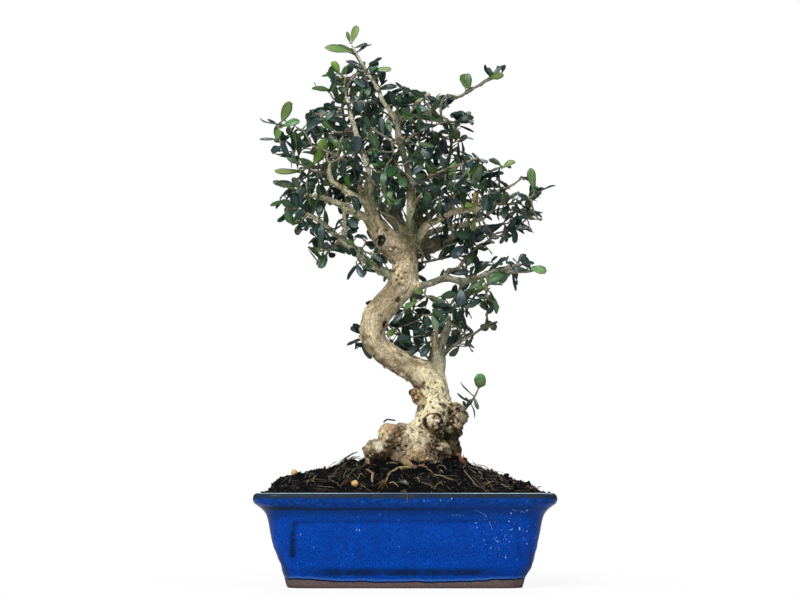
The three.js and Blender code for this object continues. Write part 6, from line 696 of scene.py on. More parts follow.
    [(33.5, 39.1, 310.3, .66), (36.5, 39.1, 308.3, .66), (39.7, 37.8, 307.4, .63), (42.4, 35.8, 306.1, .59), (44.7, 33.5, 304.6, .56), (47.5, 31.7, 303.1, .52), (49.5, 30.4, 300.4, .47), (52.6, 29.4, 298.9, .42), (56.1, 28.9, 298, .36)],
    [(13.4, 25.7, 264, .42), (13, 23.4, 266.7, .42), (12.7, 20.9, 269.3, .36)],
    [(22, -18.8, 316.1, .42), (22.2, -17.5, 319.5, .42)],
    [(34.3, 36, 315.4, .56), (30.9, 34.7, 316, .56), (28.4, 36.5, 317.8, .52), (25.5, 38.4, 318.9, .47), (22, 37.8, 319.6, .42), (19.1, 37.8, 317.4, .36)],
    [(-49.3, -27, 229.9, .73), (-51.2, -24.1, 229, .73), (-52.1, -20.6, 228.6, .71), (-52.3, -17, 228.2, .68), (-52.2, -13.4, 228.2, .65), (-52.4, -9.9, 227.9, .53), (-55.3, -8.7, 226, .36)],
    [(-52.2, -13.4, 228.2, .36), (-51, -13.4, 228.8, .36)],
    [(-34.9, -14.4, 314.7, .78), (-37.8, -12.5, 314, .78), (-40.7, -10.3, 313.6, .75), (-43.3, -7.9, 312.9, .73), (-46.1, -5.6, 312.7, .7), (-48.9, -3.4, 312.4, .67), (-51.6, -1.1, 311.9, .64), (-54.2, 1.2, 310.9, .6), (-57.5, 2.6, 310.4, .57), (-61, 3.5, 310.5, .53), (-62.5, 4.9, 307.6, .36)],
    [(-61, 3.5, 310.5, .36), (-62.6, 2.9, 313.6, .36)],
    [(14.6, 12.6, 177.9, .52), (14.8, 16.1, 178.1, .52), (15.5, 19.7, 178, .47), (15.9, 23.2, 177.4, .42), (16, 26.7, 176.5, .36)],
    [(54.9, 37.7, 251.6, .56), (54, 37.4, 255.1, .56), (53.2, 36, 258.3, .52), (52.6, 34.5, 261.5, .47), (51.9, 33.5, 264.9, .42), (52, 30.8, 267.3, .36)],
    [(33.8, 37.6, 313, .56), (36.5, 39.4, 314.7, .56), (39.1, 41.5, 316, .52), (41.4, 44, 317.2, .47), (43.5, 46.7, 318.2, .42), (45.8, 49.3, 319.3, .36)],
    [(63.5, -27.5, 265.7, .59), (61.9, -27.8, 268.9, .59), (60.2, -28.8, 271.9, .56), (58.9, -28, 275.2, .52), (58.2, -26.1, 278.2, .47), (57.9, -23.9, 281, .42), (58, -21.7, 283.8, .36)],
    [(2.9, 20.8, 167.7, .36), (0.2, 19.5, 165.8, .36)],
    [(-55.7, 49.7, 290.3, .56), (-55.9, 46.2, 291.1, .56), (-56, 42.6, 291.7, .52), (-56, 39.1, 292.3, .47), (-56, 35.5, 292.6, .42), (-56.1, 31.9, 292.7, .36)],
    [(9, 17, 162.2, .56), (9.5, 13.4, 162.5, .56), (8.7, 9.9, 162.8, .52), (7, 6.8, 162.5, .47), (4.8, 3.9, 162.4, .42), (2, 1.6, 162.5, .36)],
    [(-20.3, 19.5, 267.9, .42), (-18.8, 17.2, 270.2, .42), (-17.4, 14.4, 271.9, .36)],
    [(56.4, -18, 212, .52), (57.5, -14.6, 212.5, .52), (58.1, -11.4, 214, .47)],
    [(-13.3, 30, 276.6, .36), (-11, 28.5, 278.9, .36)],
    [(73.6, -26, 259.4, .78), (74.3, -23.6, 261.9, .78), (74.9, -20.1, 261.4, .69), (75.8, -16.6, 260.6, .66), (77, -13.4, 259.9, .63), (78.6, -10.2, 259.2, .59), (80.2, -7.1, 258.2, .56), (81.9, -4.3, 256.8, .52), (84.8, -2.5, 255.5, .47)],
    [(74.3, -23.6, 261.9, .36), (73, -25.1, 265, .36)],
    [(-68.2, -32, 265.6, .87), (-71.1, -33.8, 266.7, .87), (-74.3, -35.2, 267.7, .85), (-77.7, -35.5, 268.6, .71), (-81.2, -35, 269.7, .68), (-84.5, -33.9, 270.5, .57), (-87.4, -34.1, 272.6, .42), (-88.4, -30.8, 273.5, .36)],
    [(-84.5, -33.9, 270.5, .36), (-86.2, -37, 271.2, .36)],
    [(-81.2, -35, 269.7, .36), (-81.2, -32.6, 272.3, .36)],
    [(-74.3, -35.2, 267.7, .36), (-76.8, -32.7, 268.6, .36)],
    [(-74.3, -35.2, 267.7, .36), (-75.3, -38.6, 268.2, .36)],
    [(36.9, 28, 322.7, .56), (36.1, 25.1, 320.8, .56), (34.5, 22.7, 318.7, .52), (32.6, 20.5, 316.4, .47), (30.3, 18.6, 314.4, .42), (27.2, 16.8, 314.6, .36)],
    [(84.5, -29.2, 263, .69), (86.9, -28.1, 260.5, .73), (87.5, -27.5, 257, .7), (88.6, -27.2, 253.6, .67), (90.2, -26.9, 250.4, .64), (93, -27.3, 248.2, .6), (93.3, -30.8, 248, .57), (91.3, -33.8, 247.7, .53), (89.6, -37, 247.3, .36)],
    [(32.1, 24.2, 164.4, .47), (35.4, 22.6, 164.8, .47), (38.6, 21.1, 165.2, .42), (42, 20.1, 164.8, .36)],
    [(32.1, -14, 272.2, .69), (34.1, -12, 274.3, .78), (36, -9.8, 276.5, .75), (38.6, -8.1, 278.3, .73), (40.8, -5.8, 280, .56), (41.2, -2.6, 281.6, .52), (40.6, 0.6, 283.1, .47), (37.6, 2.6, 283.4, .42), (34.1, 3.1, 282.4, .36)],
    [(38.6, -8.1, 278.3, .47), (42, -9.4, 278.7, .47), (44.5, -11.8, 278.1, .42), (45.9, -14.7, 276.5, .36)],
    [(49.1, 4.3, 231.9, .36), (47.7, 1.5, 233.7, .36)],
    [(72, -22.9, 212.8, .47), (73, -19.4, 213, .47), (73.8, -15.9, 212.8, .42), (74.4, -12.4, 212.5, .36)],
    [(56.6, -14, 182.6, .66), (56.1, -10.9, 184.3, .66), (56.8, -7.7, 185.9, .63), (57.9, -4.6, 187.4, .59), (59.1, -1.4, 188.6, .56), (59.9, 1.9, 189.7, .52), (60.6, 5.2, 190.8, .47), (61, 8.7, 191.6, .42), (63.2, 11.3, 190.4, .36)],
    [(-7.4, -38, 290.6, .59), (-8.3, -40.9, 288.7, .59), (-9.6, -43.4, 286.5, .56), (-11.5, -45.5, 284.3, .52), (-12.4, -48.3, 282.2, .47), (-13.1, -51.4, 280.4, .42), (-13.3, -54.2, 278.2, .36)],
    [(13.4, 26.1, 232, .81), (10.9, 23.5, 231.7, .81), (9.1, 20.5, 231.2, .79), (7.7, 18.3, 228.7, .7), (5.4, 17.8, 226, .67), (2.9, 18.6, 223.5, .64), (0.7, 19.7, 220.9, .6), (2.7, 19.9, 217.9, .42), (6, 19.2, 216.6, .36)],
    [(0.7, 19.7, 220.9, .42), (-2.7, 20.8, 221.3, .42), (-5.5, 21.5, 223.5, .36)],
    [(9.1, 20.5, 231.2, .36), (11.3, 17.7, 231, .36)],
    [(35.2, 28.3, 168.2, .42), (36.5, 25.7, 170.5, .42), (37.4, 22.8, 172.3, .36)],
    [(-9.7, -2, 291.6, .56), (-10.4, -0.7, 294.9, .56), (-11.7, 2.2, 296.7, .52), (-13.4, 5.3, 297.4, .47), (-15.3, 8.3, 297.5, .42), (-16.8, 11.6, 297.7, .36)],
    [(-52.4, -38, 293.4, .63), (-52.7, -40.2, 290.5, .63), (-52.9, -42.2, 287.6, .59), (-51.5, -44.7, 285.3, .56), (-48.9, -47.1, 285.1, .52), (-45.9, -49, 286, .47), (-43.1, -50.6, 287.5, .42), (-40.1, -52, 289, .36)],
    [(27.7, 41.1, 269.6, .52), (30.4, 38.8, 269.7, .52), (32.9, 36.2, 269.3, .47), (35.4, 33.7, 268.7, .42), (37.6, 31.1, 267.5, .36)],
    [(-7.9, -39.8, 293.4, .59), (-10.8, -41.8, 292.5, .59), (-13.3, -44.4, 292.2, .56), (-15.6, -47.1, 292, .52), (-18, -49.7, 292.3, .47), (-19.9, -52.8, 292.9, .42), (-21.9, -55.7, 293, .36)],
    [(-4.9, -1.6, 318.3, .81), (-6.1, 1.6, 319.6, .81), (-7.5, 4.7, 320.8, .79), (-8.4, 7.7, 322.5, .76), (-9.9, 9.4, 325.3, .73), (-11.5, 9.5, 328.5, .6), (-14.7, 8.9, 330.2, .57), (-18.1, 8.1, 331, .53), (-19.9, 7.6, 334.1, .36)],
    [(-18.1, 8.1, 331, .36), (-20.4, 8.7, 328.2, .36)],
    [(-9.9, 9.4, 325.3, .42), (-7.4, 10.1, 327.8, .42), (-4.1, 9.9, 329.3, .36)],
    [(34.3, -2, 195.6, .67), (37.5, -0.6, 194.7, .67), (40.5, 1.4, 195.2, .64), (43.1, 3.5, 196.4, .6), (45.3, 6, 197.6, .57), (48.9, 5.8, 196.9, .42), (51.3, 3.4, 195.7, .36)],
    [(45.3, 6, 197.6, .36), (43.8, 8.7, 199.4, .36)],
    [(20.8, 32.8, 270.7, .36), (19.3, 30.4, 273, .36)],
    [(24.7, -8.6, 251.8, .92), (21.7, -10.3, 250.7, .92), (19.1, -12.5, 249.6, .9), (18.7, -16.1, 249.7, .67), (16.4, -17.9, 251.8, .64), (15.7, -20.7, 254, .52), (15, -24.2, 253.8, .47)],
    [(16.4, -17.9, 251.8, .36), (15.8, -17.2, 255.3, .36)],
    [(19.1, -12.5, 249.6, .64), (16.9, -15.1, 248.4, .64), (18.9, -15.2, 245.4, .36)],
    [(28.2, -30, 282.3, .52), (27.8, -31.5, 279.1, .52), (27.9, -31.6, 275.5, .47), (26.2, -33.1, 272.7, .42), (23.9, -35.2, 270.9, .36)],
    [(86.6, -28, 212.9, .6), (90.1, -28.2, 213.6, .6), (93.6, -28.2, 214.2, .57), (95.5, -31.2, 213.5, .42), (95.2, -34.6, 212.6, .36)],
    [(93.6, -28.2, 214.2, .36), (95.1, -25.2, 215.6, .36)],
    [(51.1, 5, 234, .9), (54.2, 5.6, 235.6, .99), (57.4, 5.9, 237.3, .97), (59.9, 7, 239.6, .95), (62.1, 6.6, 242.4, .88), (65.3, 5.5, 243.6, .86), (68.8, 5, 244.3, .84), (72.2, 4.6, 245.4, .71), (74.7, 5.6, 247.8, .6), (77.6, 5.2, 250, .57), (80.9, 6.4, 250.5, .42), (83.9, 8.4, 250, .36)],
    [(77.6, 5.2, 250, .36), (77.2, 2.6, 252.4, .36)],
    [(72.2, 4.6, 245.4, .36), (73.2, 7.6, 247.2, .36)],
    [(68.8, 5, 244.3, .47), (70.8, 2.1, 243.4, .47), (71.3, -0.9, 241.5, .42), (71.2, -3.7, 239.2, .36)],
    [(59.9, 7, 239.6, .36), (58.7, 8.5, 242.7, .36)],
    [(38.8, -13, 207.5, .42), (38.2, -16.4, 208.6, .42), (37.3, -19.7, 209.7, .36)],
    [(-31.4, -15.1, 304, .52), (-28.8, -17, 305.6, .52), (-26.3, -19.2, 306.9, .47), (-23.7, -21.5, 308.1, .42), (-20.8, -23.5, 308.5, .36)],
    [(-60.4, -41.1, 296, .42), (-62.5, -39.4, 293.6, .42), (-63, -35.9, 293.2, .36)],
    [(39.3, 1.1, 220.7, .79), (42.2, 1.7, 218.6, .79), (42.5, 1.6, 215, .76), (44.3, 4.2, 213.2, .47), (46.8, 6.8, 213.3, .42), (49.4, 9.2, 213.5, .36)],
    [(42.5, 1.6, 215, .42), (45.7, 0.5, 216.1, .42), (45.6, 0.5, 218.3, .36)],
    [(42.5, 1.6, 215, .47), (43.6, 0.5, 211.7, .47), (46.6, -1.4, 211.5, .42), (49.5, -2.2, 213.5, .36)],
    [(20.9, 3.9, 167.2, .52), (17.9, 1.9, 166.7, .52), (14.8, 0.2, 165.9, .47), (11.8, -1.2, 164.6, .42), (8.8, -2.8, 163.4, .36)],
    [(-27.9, -14, 293, .36), (-25.6, -13.1, 290.4, .36)],
    [(56.4, -23, 196.2, .42), (53, -23.1, 194.9, .42), (49.5, -22.7, 194.1, .36)],
    [(-36.6, 35.1, 313.4, .6), (-34.1, 35.3, 316, .6), (-31.3, 35.6, 318.2, .57), (-30.3, 38.5, 320.1, .42), (-30.4, 41.8, 321.6, .36)],
    [(-31.3, 35.6, 318.2, .36), (-29.4, 32.6, 318.6, .36)],
    [(-42.2, -17, 253.9, .42), (-40.4, -13.9, 253.3, .42), (-38.8, -10.9, 252.3, .36)],
    [(-43.7, 26.1, 330.1, .59), (-40.5, 24.6, 330.7, .59), (-37.2, 23.7, 331.7, .56), (-33.7, 23.3, 332.7, .52), (-30.3, 24.4, 332.7, .47), (-26.8, 24.9, 332.8, .42), (-23.4, 23.9, 331.9, .36)],
    [(16, -16.9, 314.1, .52), (14.5, -19.6, 315.9, .52), (12.1, -21.9, 317.4, .47), (9.9, -24.2, 319.1, .42), (7.7, -26.8, 320.1, .36)],
    [(15.7, 27.6, 265.4, .36), (17.7, 24.7, 266.4, .36)],
    [(45.9, -15, 208, .47), (45.1, -18.5, 208.3, .47), (44.2, -22, 208.2, .42), (43.3, -25.4, 207.6, .36)],
    [(16.6, 29.5, 257.7, .6), (13.5, 27.7, 257.7, .6), (10.8, 26.7, 255.6, .42), (8.1, 29.1, 255.7, .36)],
    [(13.5, 27.7, 257.7, .42), (12.9, 24.1, 257.6, .42), (15.1, 21.8, 256, .36)],
    [(-38.2, 34, 315.7, .59), (-39.5, 30.8, 314.7, .59), (-40.3, 27.7, 313.1, .56), (-40.8, 24.6, 311.3, .52), (-40.4, 21.2, 310.2, .47), (-37.9, 18.7, 310.8, .42), (-34.9, 16.9, 311.9, .36)],
    [(15.4, -13.2, 279.3, .63), (16.9, -10.4, 280.9, .63), (18, -7.2, 282.3, .59), (19.6, -5.2, 284.8, .56), (21.6, -3.7, 287.4, .52), (24.2, -2.4, 289.6, .47), (26.5, -0.7, 291.8, .42), (28.7, 0.7, 294.2, .36)],
    [(42.3, -6, 168.4, .59), (40.8, -7.4, 171.4, .59), (38.8, -8.9, 173.9, .56), (36.3, -11, 175.6, .52), (34, -13.2, 177.1, .47), (31.5, -15.5, 178.4, .42), (28.9, -17.8, 179.3, .36)],
    [(24.5, 38, 281.9, .42), (22.2, 40.2, 283.5, .42), (19.4, 41.8, 285.1, .36)],
    [(29.7, 42.6, 271.4, .36), (32, 39.9, 271.4, .36)],
    [(27.7, -10, 253.1, .67), (29.6, -11.7, 250.6, .67), (31.1, -11.9, 247.3, .64), (32.1, -11.7, 243.9, .6), (33, -10.9, 240.5, .57), (33.9, -9.1, 237.5, .42), (31.5, -6.4, 238, .36)],
    [(33, -10.9, 240.5, .36), (34.9, -11.3, 237.5, .36)],
    [(25.8, 39.1, 284.7, .52), (27.4, 36, 285.6, .52), (29.6, 33.2, 286.3, .47), (31.7, 30.5, 287.3, .42), (34.4, 28.1, 287.3, .36)],
    [(40, 34.6, 178, .47), (37.1, 33.9, 180, .47), (34.1, 33.2, 181.9, .42), (31.1, 32.4, 183.7, .36)],
    [(38.2, -14, 256.5, .42), (37.7, -15.1, 253.1, .42), (37.3, -16.1, 249.7, .36)],
    [(-42.1, 30, 323.1, .66), (-42.5, 26.8, 321.4, .66), (-43.4, 23.7, 320, .63), (-44.1, 20.7, 318.1, .59), (-44.4, 17.7, 316.1, .56), (-45.2, 15.3, 313.6, .52), (-46.6, 13.2, 310.9, .47), (-47.8, 11.6, 308, .42), (-49.1, 9.9, 305, .36)],
    [(-35.6, -14, 317.1, .47), (-38.5, -16, 316.8, .47)],
    [(-49.6, -36.5, 292.4, .36), (-48.3, -37.2, 295.6, .36)],
    [(34.6, -35.3, 283.9, .56), (34.6, -37.4, 281, .56), (34.2, -39.3, 278, .52), (34, -40.8, 274.7, .47), (33.9, -41.9, 271.3, .42), (33.3, -43.1, 267.9, .36)],
    [(56, -21.3, 201.4, .52), (57.3, -18.1, 200.5, .52), (58.7, -14.9, 199.9, .47), (60.1, -11.6, 199.4, .42), (61.1, -8.6, 197.6, .36)],
    [(-24.1, -8.6, 260.7, 1.16), (-21.3, -9.6, 258.6, 1.16), (-18.4, -10.4, 256.6, 1.05), (-15.4, -11.6, 254.9, 1.03), (-12.6, -13.5, 253.7, 1.01), (-10.1, -15.8, 252.5, .93), (-7.5, -17.5, 250.8, .81), (-5.3, -19, 248.3, .79), (-3.9, -20.6, 245.4, .76), (-3, -23.3, 243.2, .52), (-3.3, -26.1, 241, .47)],
    [(-3.9, -20.6, 245.4, .36), (-3, -23.8, 246.8, .36)],
    [(-10.1, -15.8, 252.5, .36), (-9.9, -19.3, 252.9, .36)],
    [(-10.1, -15.8, 252.5, .36), (-7, -14.2, 251.5, .36)],
    [(-12.6, -13.5, 253.7, .42), (-12, -16, 256.2, .42), (-10.9, -17.4, 259.3, .36)],
    [(-21.3, -9.6, 258.6, .56), (-21, -8.2, 255.3, .56), (-21.2, -6.2, 252.3, .52), (-21.5, -3.9, 249.6, .47), (-21.9, -1.6, 246.9, .42), (-22.9, 0.7, 244.3, .36)],
    [(-23.5, 38, 301.2, .59), (-22.1, 35.9, 303.7, .59), (-20.7, 33.5, 306.1, .56), (-19.2, 31.1, 308.2, .52), (-17.2, 28.8, 310.2, .47), (-16.3, 26.1, 312.4, .42), (-16.1, 22.9, 314.1, .36)],
    [(-29.7, -15, 298.9, .47), (-32.3, -12.6, 298.5, .47), (-34.7, -11.6, 296, .42), (-34.9, -11.6, 293.5, .36)],
    [(31, 43.4, 298.5, .36), (30.3, 46.9, 299.2, .36)],
    [(21.4, 34.3, 273.4, .52), (18.8, 33.2, 275.6, .52), (15.9, 32.2, 277.5, .47), (13.1, 30.9, 279.4, .42), (10.5, 29.4, 281.3, .36)],
    [(30.9, -2, 215.9, .42), (29.9, 1.4, 216.6, .42), (27.4, 1.4, 215.6, .36)],
    [(83.8, -27, 212.8, .42), (83.7, -29.6, 215.3, .42)],
    [(-44.8, 22, 337.5, .78), (-41.9, 21.4, 339.5, .78), (-39, 20.8, 341.7, .75), (-36.6, 20.5, 344.2, .73), (-34.6, 19.5, 347.1, .7), (-32.6, 18.5, 349.9, .67), (-32.1, 20.7, 352.8, .56), (-33, 21.7, 356.1, .52), (-33.2, 19.4, 358.9, .47), (-33.3, 16.1, 360.3, .42), (-33.1, 12.6, 361.3, .36)],
    [(-32.6, 18.5, 349.9, .36), (-30.2, 16.1, 348.9, .36)],
    [(-5.5, -30.8, 285.4, .47), (-2.2, -32.3, 285.1, .47), (0.9, -32.6, 286.8, .42), (3.5, -31.6, 289.1, .36)],
    [(-41.5, -19, 246.8, .64), (-40.9, -15.4, 246.8, .64), (-41.5, -12, 245.9, .6), (-42.5, -8.8, 244.6, .57), (-43.6, -5.8, 243, .53), (-41.7, -2.8, 242.9, .36)],
    [(-43.6, -5.8, 243, .36), (-46.7, -5.8, 241, .36)],
    [(39.6, 29.9, 245.9, .36), (39.5, 33.4, 245, .36)],
    [(-51.5, -25, 287.3, .66), (-52.4, -23.1, 290.3, .66), (-54.2, -21.4, 292.9, .63), (-55.6, -19.5, 295.6, .59), (-57.2, -17.5, 298.1, .56), (-59.1, -15.5, 300.4, .52), (-61.1, -14, 303, .47), (-62.4, -11.3, 305.1, .42), (-63.3, -8.2, 306.6, .36)],
    [(49.7, -42, 288.5, .52), (51.5, -39.3, 287.1, .52), (53, -36.3, 285.6, .47), (53, -32.8, 285, .42), (53.9, -29.9, 283, .36)],
    [(-10.6, 58, 295.8, .57), (-11.2, 56.5, 299, .57), (-11.8, 54.7, 302.1, .42), (-11.3, 53.5, 305.5, .36)],
    [(-11.2, 56.5, 299, .36), (-9.3, 53.7, 300.3, .36)],
    [(-27.5, 24.4, 276.4, .57), (-29.6, 24.3, 273.4, .57), (-31.3, 21.3, 272.5, .42), (-32.3, 17.9, 273, .36)],
    [(-29.6, 24.3, 273.4, .36), (-29.5, 27.2, 271.3, .36)],
    [(-1.4, 23.4, 171.7, .56), (0.7, 25.6, 173.6, .56), (1.3, 26.6, 177, .52), (2.4, 29.1, 179.5, .47), (3.3, 32, 181.4, .42), (4.6, 34.9, 183, .36)],
    [(-39.7, 32.7, 318.1, .36), (-41.7, 35.5, 319.3, .36)],
    [(-71.1, -31, 286, .74), (-72.3, -27.7, 286.9, .74), (-72.9, -24.6, 288.6, .72), (-73.3, -21.5, 290.4, .69), (-73.3, -18.4, 292.1, .66), (-73.6, -15.2, 293.7, .63), (-73.9, -11.7, 294.8, .59), (-74, -9.2, 297.4, .56), (-74.3, -7.5, 300.5, .52), (-75.6, -6.5, 303.7, .47), (-77.1, -5.9, 306.9, .42), (-79.3, -5.6, 309.8, .36)],
    [(2.3, -8, 308.7, .76), (0.3, -10.5, 306.9, .76), (-1.7, -12.7, 305, .73), (-3.8, -14.6, 302.8, .6), (-6.6, -17, 303, .47), (-8.4, -18.5, 305.6, .42), (-9.6, -19.1, 309, .36)],
    [(-3.8, -14.6, 302.8, .36), (-4.3, -16.4, 299.7, .36)],
    [(-1.7, -12.7, 305, .42), (-0.9, -12.1, 301.5, .42), (0.8, -10.2, 299, .36)],
    [(1, 22, 169.5, .7), (-1.3, 19.5, 170.9, .7), (-3.3, 17, 172.5, .67), (-5.6, 14.3, 172.7, .64), (-7.4, 11.2, 173.3, .52), (-10.2, 8.9, 173.7, .47), (-11.5, 5.8, 172.5, .42), (-11.7, 2.7, 170.6, .36)],
    [(-5.6, 14.3, 172.7, .36), (-7.5, 14.3, 169.6, .36)],
    [(-44.4, 23.4, 335.1, .86), (-45.8, 20.3, 333.8, .86), (-47.1, 17.4, 332.1, .7), (-48.2, 14.4, 330.4, .67), (-49.3, 11.3, 329.1, .64), (-50.1, 7.9, 328, .6), (-52.3, 5.2, 328.3, .57), (-55.3, 3.7, 329.7, .42), (-58.4, 4.1, 328, .36)],
    [(-45.8, 20.3, 333.8, .52), (-49.2, 19, 334.2, .52), (-52.6, 20.1, 334.5, .47), (-55.5, 22.3, 334.6, .42), (-57.7, 25.1, 334.6, .36)],
    [(-19.4, 35.6, 293.7, .56), (-17, 34.9, 296.3, .56), (-14.4, 34.4, 298.8, .52), (-11.9, 33.7, 301.3, .47), (-9.3, 32.6, 303.5, .42), (-6.3, 31.7, 305.4, .36)],
    [(-57.1, -31, 226.3, .68), (-58, -34.2, 227.6, .68), (-56.7, -36.2, 230.3, .47), (-57.8, -35.5, 233.7, .42), (-60.6, -34, 235.4, .36)],
    [(-58, -34.2, 227.6, .36), (-55.8, -37.1, 227.3, .36)],
    [(-58, -34.2, 227.6, .36), (-59, -37.6, 228.3, .36)],
    [(49.3, 54, 286.2, .52), (50.4, 52.3, 289.2, .52), (51.2, 50.4, 292.2, .47), (52, 52.6, 294.9, .42), (51.6, 52.3, 298.5, .36)],
    [(32.3, 44.4, 303.5, .36), (35.7, 43.2, 303.3, .36)],
    [(65.7, -28.8, 267.1, .63), (65.5, -25.8, 269.1, .63), (66, -22.7, 270.8, .59), (66.7, -19.2, 271.6, .56), (69.4, -17.3, 273.1, .52), (70.4, -14.2, 274.4, .47), (68.4, -11.8, 276.1, .42), (66.4, -9.4, 277.9, .36)],
    [(-51, -27, 241.1, .56), (-53.9, -25.1, 240, .56), (-55.9, -22.2, 239.5, .52), (-57, -18.7, 239.4, .47), (-57.5, -15.2, 239.6, .42), (-58.5, -11.7, 239.7, .36)],
    [(-39.4, -11, 332.9, .73), (-43, -10.5, 333, .73), (-46.4, -10.8, 334.2, .7), (-49.6, -10.5, 335.7, .67), (-51.5, -10.2, 338.8, .64), (-53.4, -9, 341.6, .6), (-56, -7.3, 343.4, .47), (-58.9, -5.2, 344.2, .42), (-62.1, -3.6, 344.1, .36)],
    [(-53.4, -9, 341.6, .36), (-50.9, -9, 342, .36)],
    [(32, 12, 187.1, .42), (33.6, 14.1, 189.5, .75), (34.7, 17, 191.4, .73), (36.5, 19.7, 192.9, .7), (38.8, 22.3, 194, .67), (42, 23.7, 194.8, .52), (45.5, 23.3, 195.5, .47), (48.8, 21.9, 195.7, .42), (51.8, 19.9, 195.3, .36)],
    [(38.8, 22.3, 194, .42), (37.2, 25.5, 194.4, .42), (34.2, 27.4, 194, .36)],
    [(68.1, -24.7, 259.4, .56), (69.3, -21.6, 260.8, .56), (69.7, -18.4, 262.5, .52), (70.5, -15.3, 264, .47), (71.4, -12.1, 265.4, .42), (72.7, -9, 266.8, .36)],
    [(-3.3, 30, 253.4, 1.08), (-4.5, 27.5, 251.1, 1.08), (-5.8, 25.1, 248.7, 1.03), (-7.6, 23.1, 246.4, 1.01), (-9.2, 21.2, 243.8, .93), (-11.1, 18.8, 241.8, .91), (-13.2, 16.3, 240.4, .89), (-15.3, 13.8, 238.8, .82), (-18.1, 12.3, 237.1, .73), (-19.3, 9.4, 235.2, .71), (-19.7, 6.5, 233.3, .68), (-19.6, 4.2, 230.5, .57), (-16.7, 6.3, 229.9, .42)],
    [(-19.6, 4.2, 230.5, .36), (-18.6, 7.1, 232.4, .36)],
    [(-19.7, 6.5, 233.3, .36), (-21.5, 6, 230.2, .36)],
    [(-15.3, 13.8, 238.8, .36), (-18.6, 15.1, 238, .36)],
    [(-7.6, 23.1, 246.4, .42), (-7.3, 23.9, 242.9, .42), (-5.8, 25.6, 240.1, .36)],
    [(28.3, 41.2, 290.5, .42), (31.1, 39.2, 291.5, .42), (34.3, 40.8, 291, .36)],
    [(77.4, -34.1, 274, .59), (79.2, -32.3, 276.6, .59), (80.1, -29, 277.7, .56), (80.2, -25.5, 278.5, .52), (81.5, -22.2, 277.7, .47), (82.2, -18.7, 277.5, .42), (82.6, -15.2, 278, .36)],
    [(22.5, 2, 175.4, .81), (21.9, -0.6, 177.8, .81), (20.7, -2.7, 180.5, .79), (19.4, -4.8, 183.1, .67), (18.7, -8.1, 184.4, .64), (18.2, -11.5, 185.3, .6), (18.2, -15, 184.4, .47), (15.4, -17.1, 183.7, .42), (11.9, -17.5, 183.5, .36)],
    [(18.2, -11.5, 185.3, .36), (20.9, -13.9, 185.6, .36)],
    [(20.7, -2.7, 180.5, .42), (19.8, -0.8, 183.4, .42), (19.5, 2.5, 184.8, .36)],
    [(61.2, -26, 264.2, .68), (60.6, -29.4, 263.4, .68), (59, -32.7, 263.2, .65), (57.4, -35.4, 265, .62), (56.1, -38.3, 263.3, .36)],
    [(57.4, -35.4, 265, .36), (57.6, -35.7, 268.6, .36)],
    [(57.4, -35.4, 265, .36), (56.1, -37.2, 267.8, .36)],
    [(55.2, -12, 176.4, .66), (57.1, -9, 176.6, .66), (58.8, -5.8, 176.7, .63), (60, -2.4, 177, .59), (60.8, 1, 177.9, .56), (61.4, 4.4, 179, .52), (61.6, 7.7, 180.2, .47), (60.9, 11.1, 181.2, .42), (61.8, 14.6, 181.1, .36)],
    [(17.4, 11, 224.3, 1), (15, 8.4, 223.7, 1.05), (12.4, 5.9, 223.3, .94), (12.2, 2.4, 224.2, .92), (13, -0.3, 226.5, .9), (11.9, -2.9, 228.7, .83), (10.7, -5.6, 230.8, .73), (8.8, -7.8, 232.8, .7), (7.2, -10.5, 234.6, .56), (4.7, -13.1, 234.8, .52), (5, -15.1, 231.9, .47)],
    [(8.8, -7.8, 232.8, .42), (8.2, -7.2, 236.3, .42), (8.2, -5.6, 239.5, .36)],
    [(11.9, -2.9, 228.7, .42), (12.2, -1.4, 231.9, .42), (13, 1.3, 234.1, .36)],
    [(13, -0.3, 226.5, .36), (11.9, -3.6, 225.7, .36)],
    [(15, 8.4, 223.7, .36), (14.7, 6.2, 220.8, .36)],
    [(15, 8.4, 223.7, .36), (11.8, 10.1, 223.2, .36)],
    [(31.3, 12, 182, .47), (34.8, 12.6, 182.1, .47), (38.3, 12.9, 181.4, .42), (41.9, 13.1, 180.7, .36)],
    [(-28.2, 37.7, 301.4, .42), (-30.2, 39.8, 299.3, .42), (-32.3, 41.6, 297, .36)],
    [(28.6, -20, 317.7, .68), (28.6, -16.7, 319.1, 1.5), (29.4, -13.5, 320.7, 1.5), (26.8, -11.7, 322.4, 1.5), (25.4, -8.8, 324.1, 1.47), (25.2, -9.2, 327.6, 1.4), (25.5, -8.6, 331.2, 1.39), (26.1, -7.4, 334.5, 1.38), (27.6, -5.8, 337.3, 1.34), (30.3, -5.1, 339.7, 1.26), (33.7, -4, 339.3, 1.25), (37.2, -3.6, 338.7, 1.24), (40.5, -2.9, 339.9, 1.22), (43.6, -2.9, 341.7, .69), (46.9, -3, 344, .66), (49.7, -3, 345.8, .63), (53.5, -2.8, 347, .59), (55.8, -2.6, 348.9, .56), (58.9, -2.8, 351, .52), (62.4, -2.3, 352.7, .47), (65.5, -2.9, 354.3, .42), (68.5, -2.9, 356, .36)],
    [(40.5, -2.9, 339.9, .36), (43.1, -2.9, 343.5, .36)],
    [(40.5, -2.9, 339.9, .59), (43.4, -3, 341.9, .59), (46.7, -2.7, 344.1, .56), (50.1, -2.8, 346.3, .52), (53.1, -2.6, 348.1, .47), (56.4, -2.9, 349.7, .42), (59.3, -2.9, 352.1, .36)],
    [(40.5, -2.9, 339.9, .63), (43, -2.4, 342, .63), (46.3, -2.9, 343.7, .59), (49.7, -3.1, 345.7, .56), (51.9, -3.1, 347.4, .52), (54.5, -2.9, 349.5, .47), (57.7, -3.1, 351.6, .42), (60.4, -2.9, 353.5, .36)],
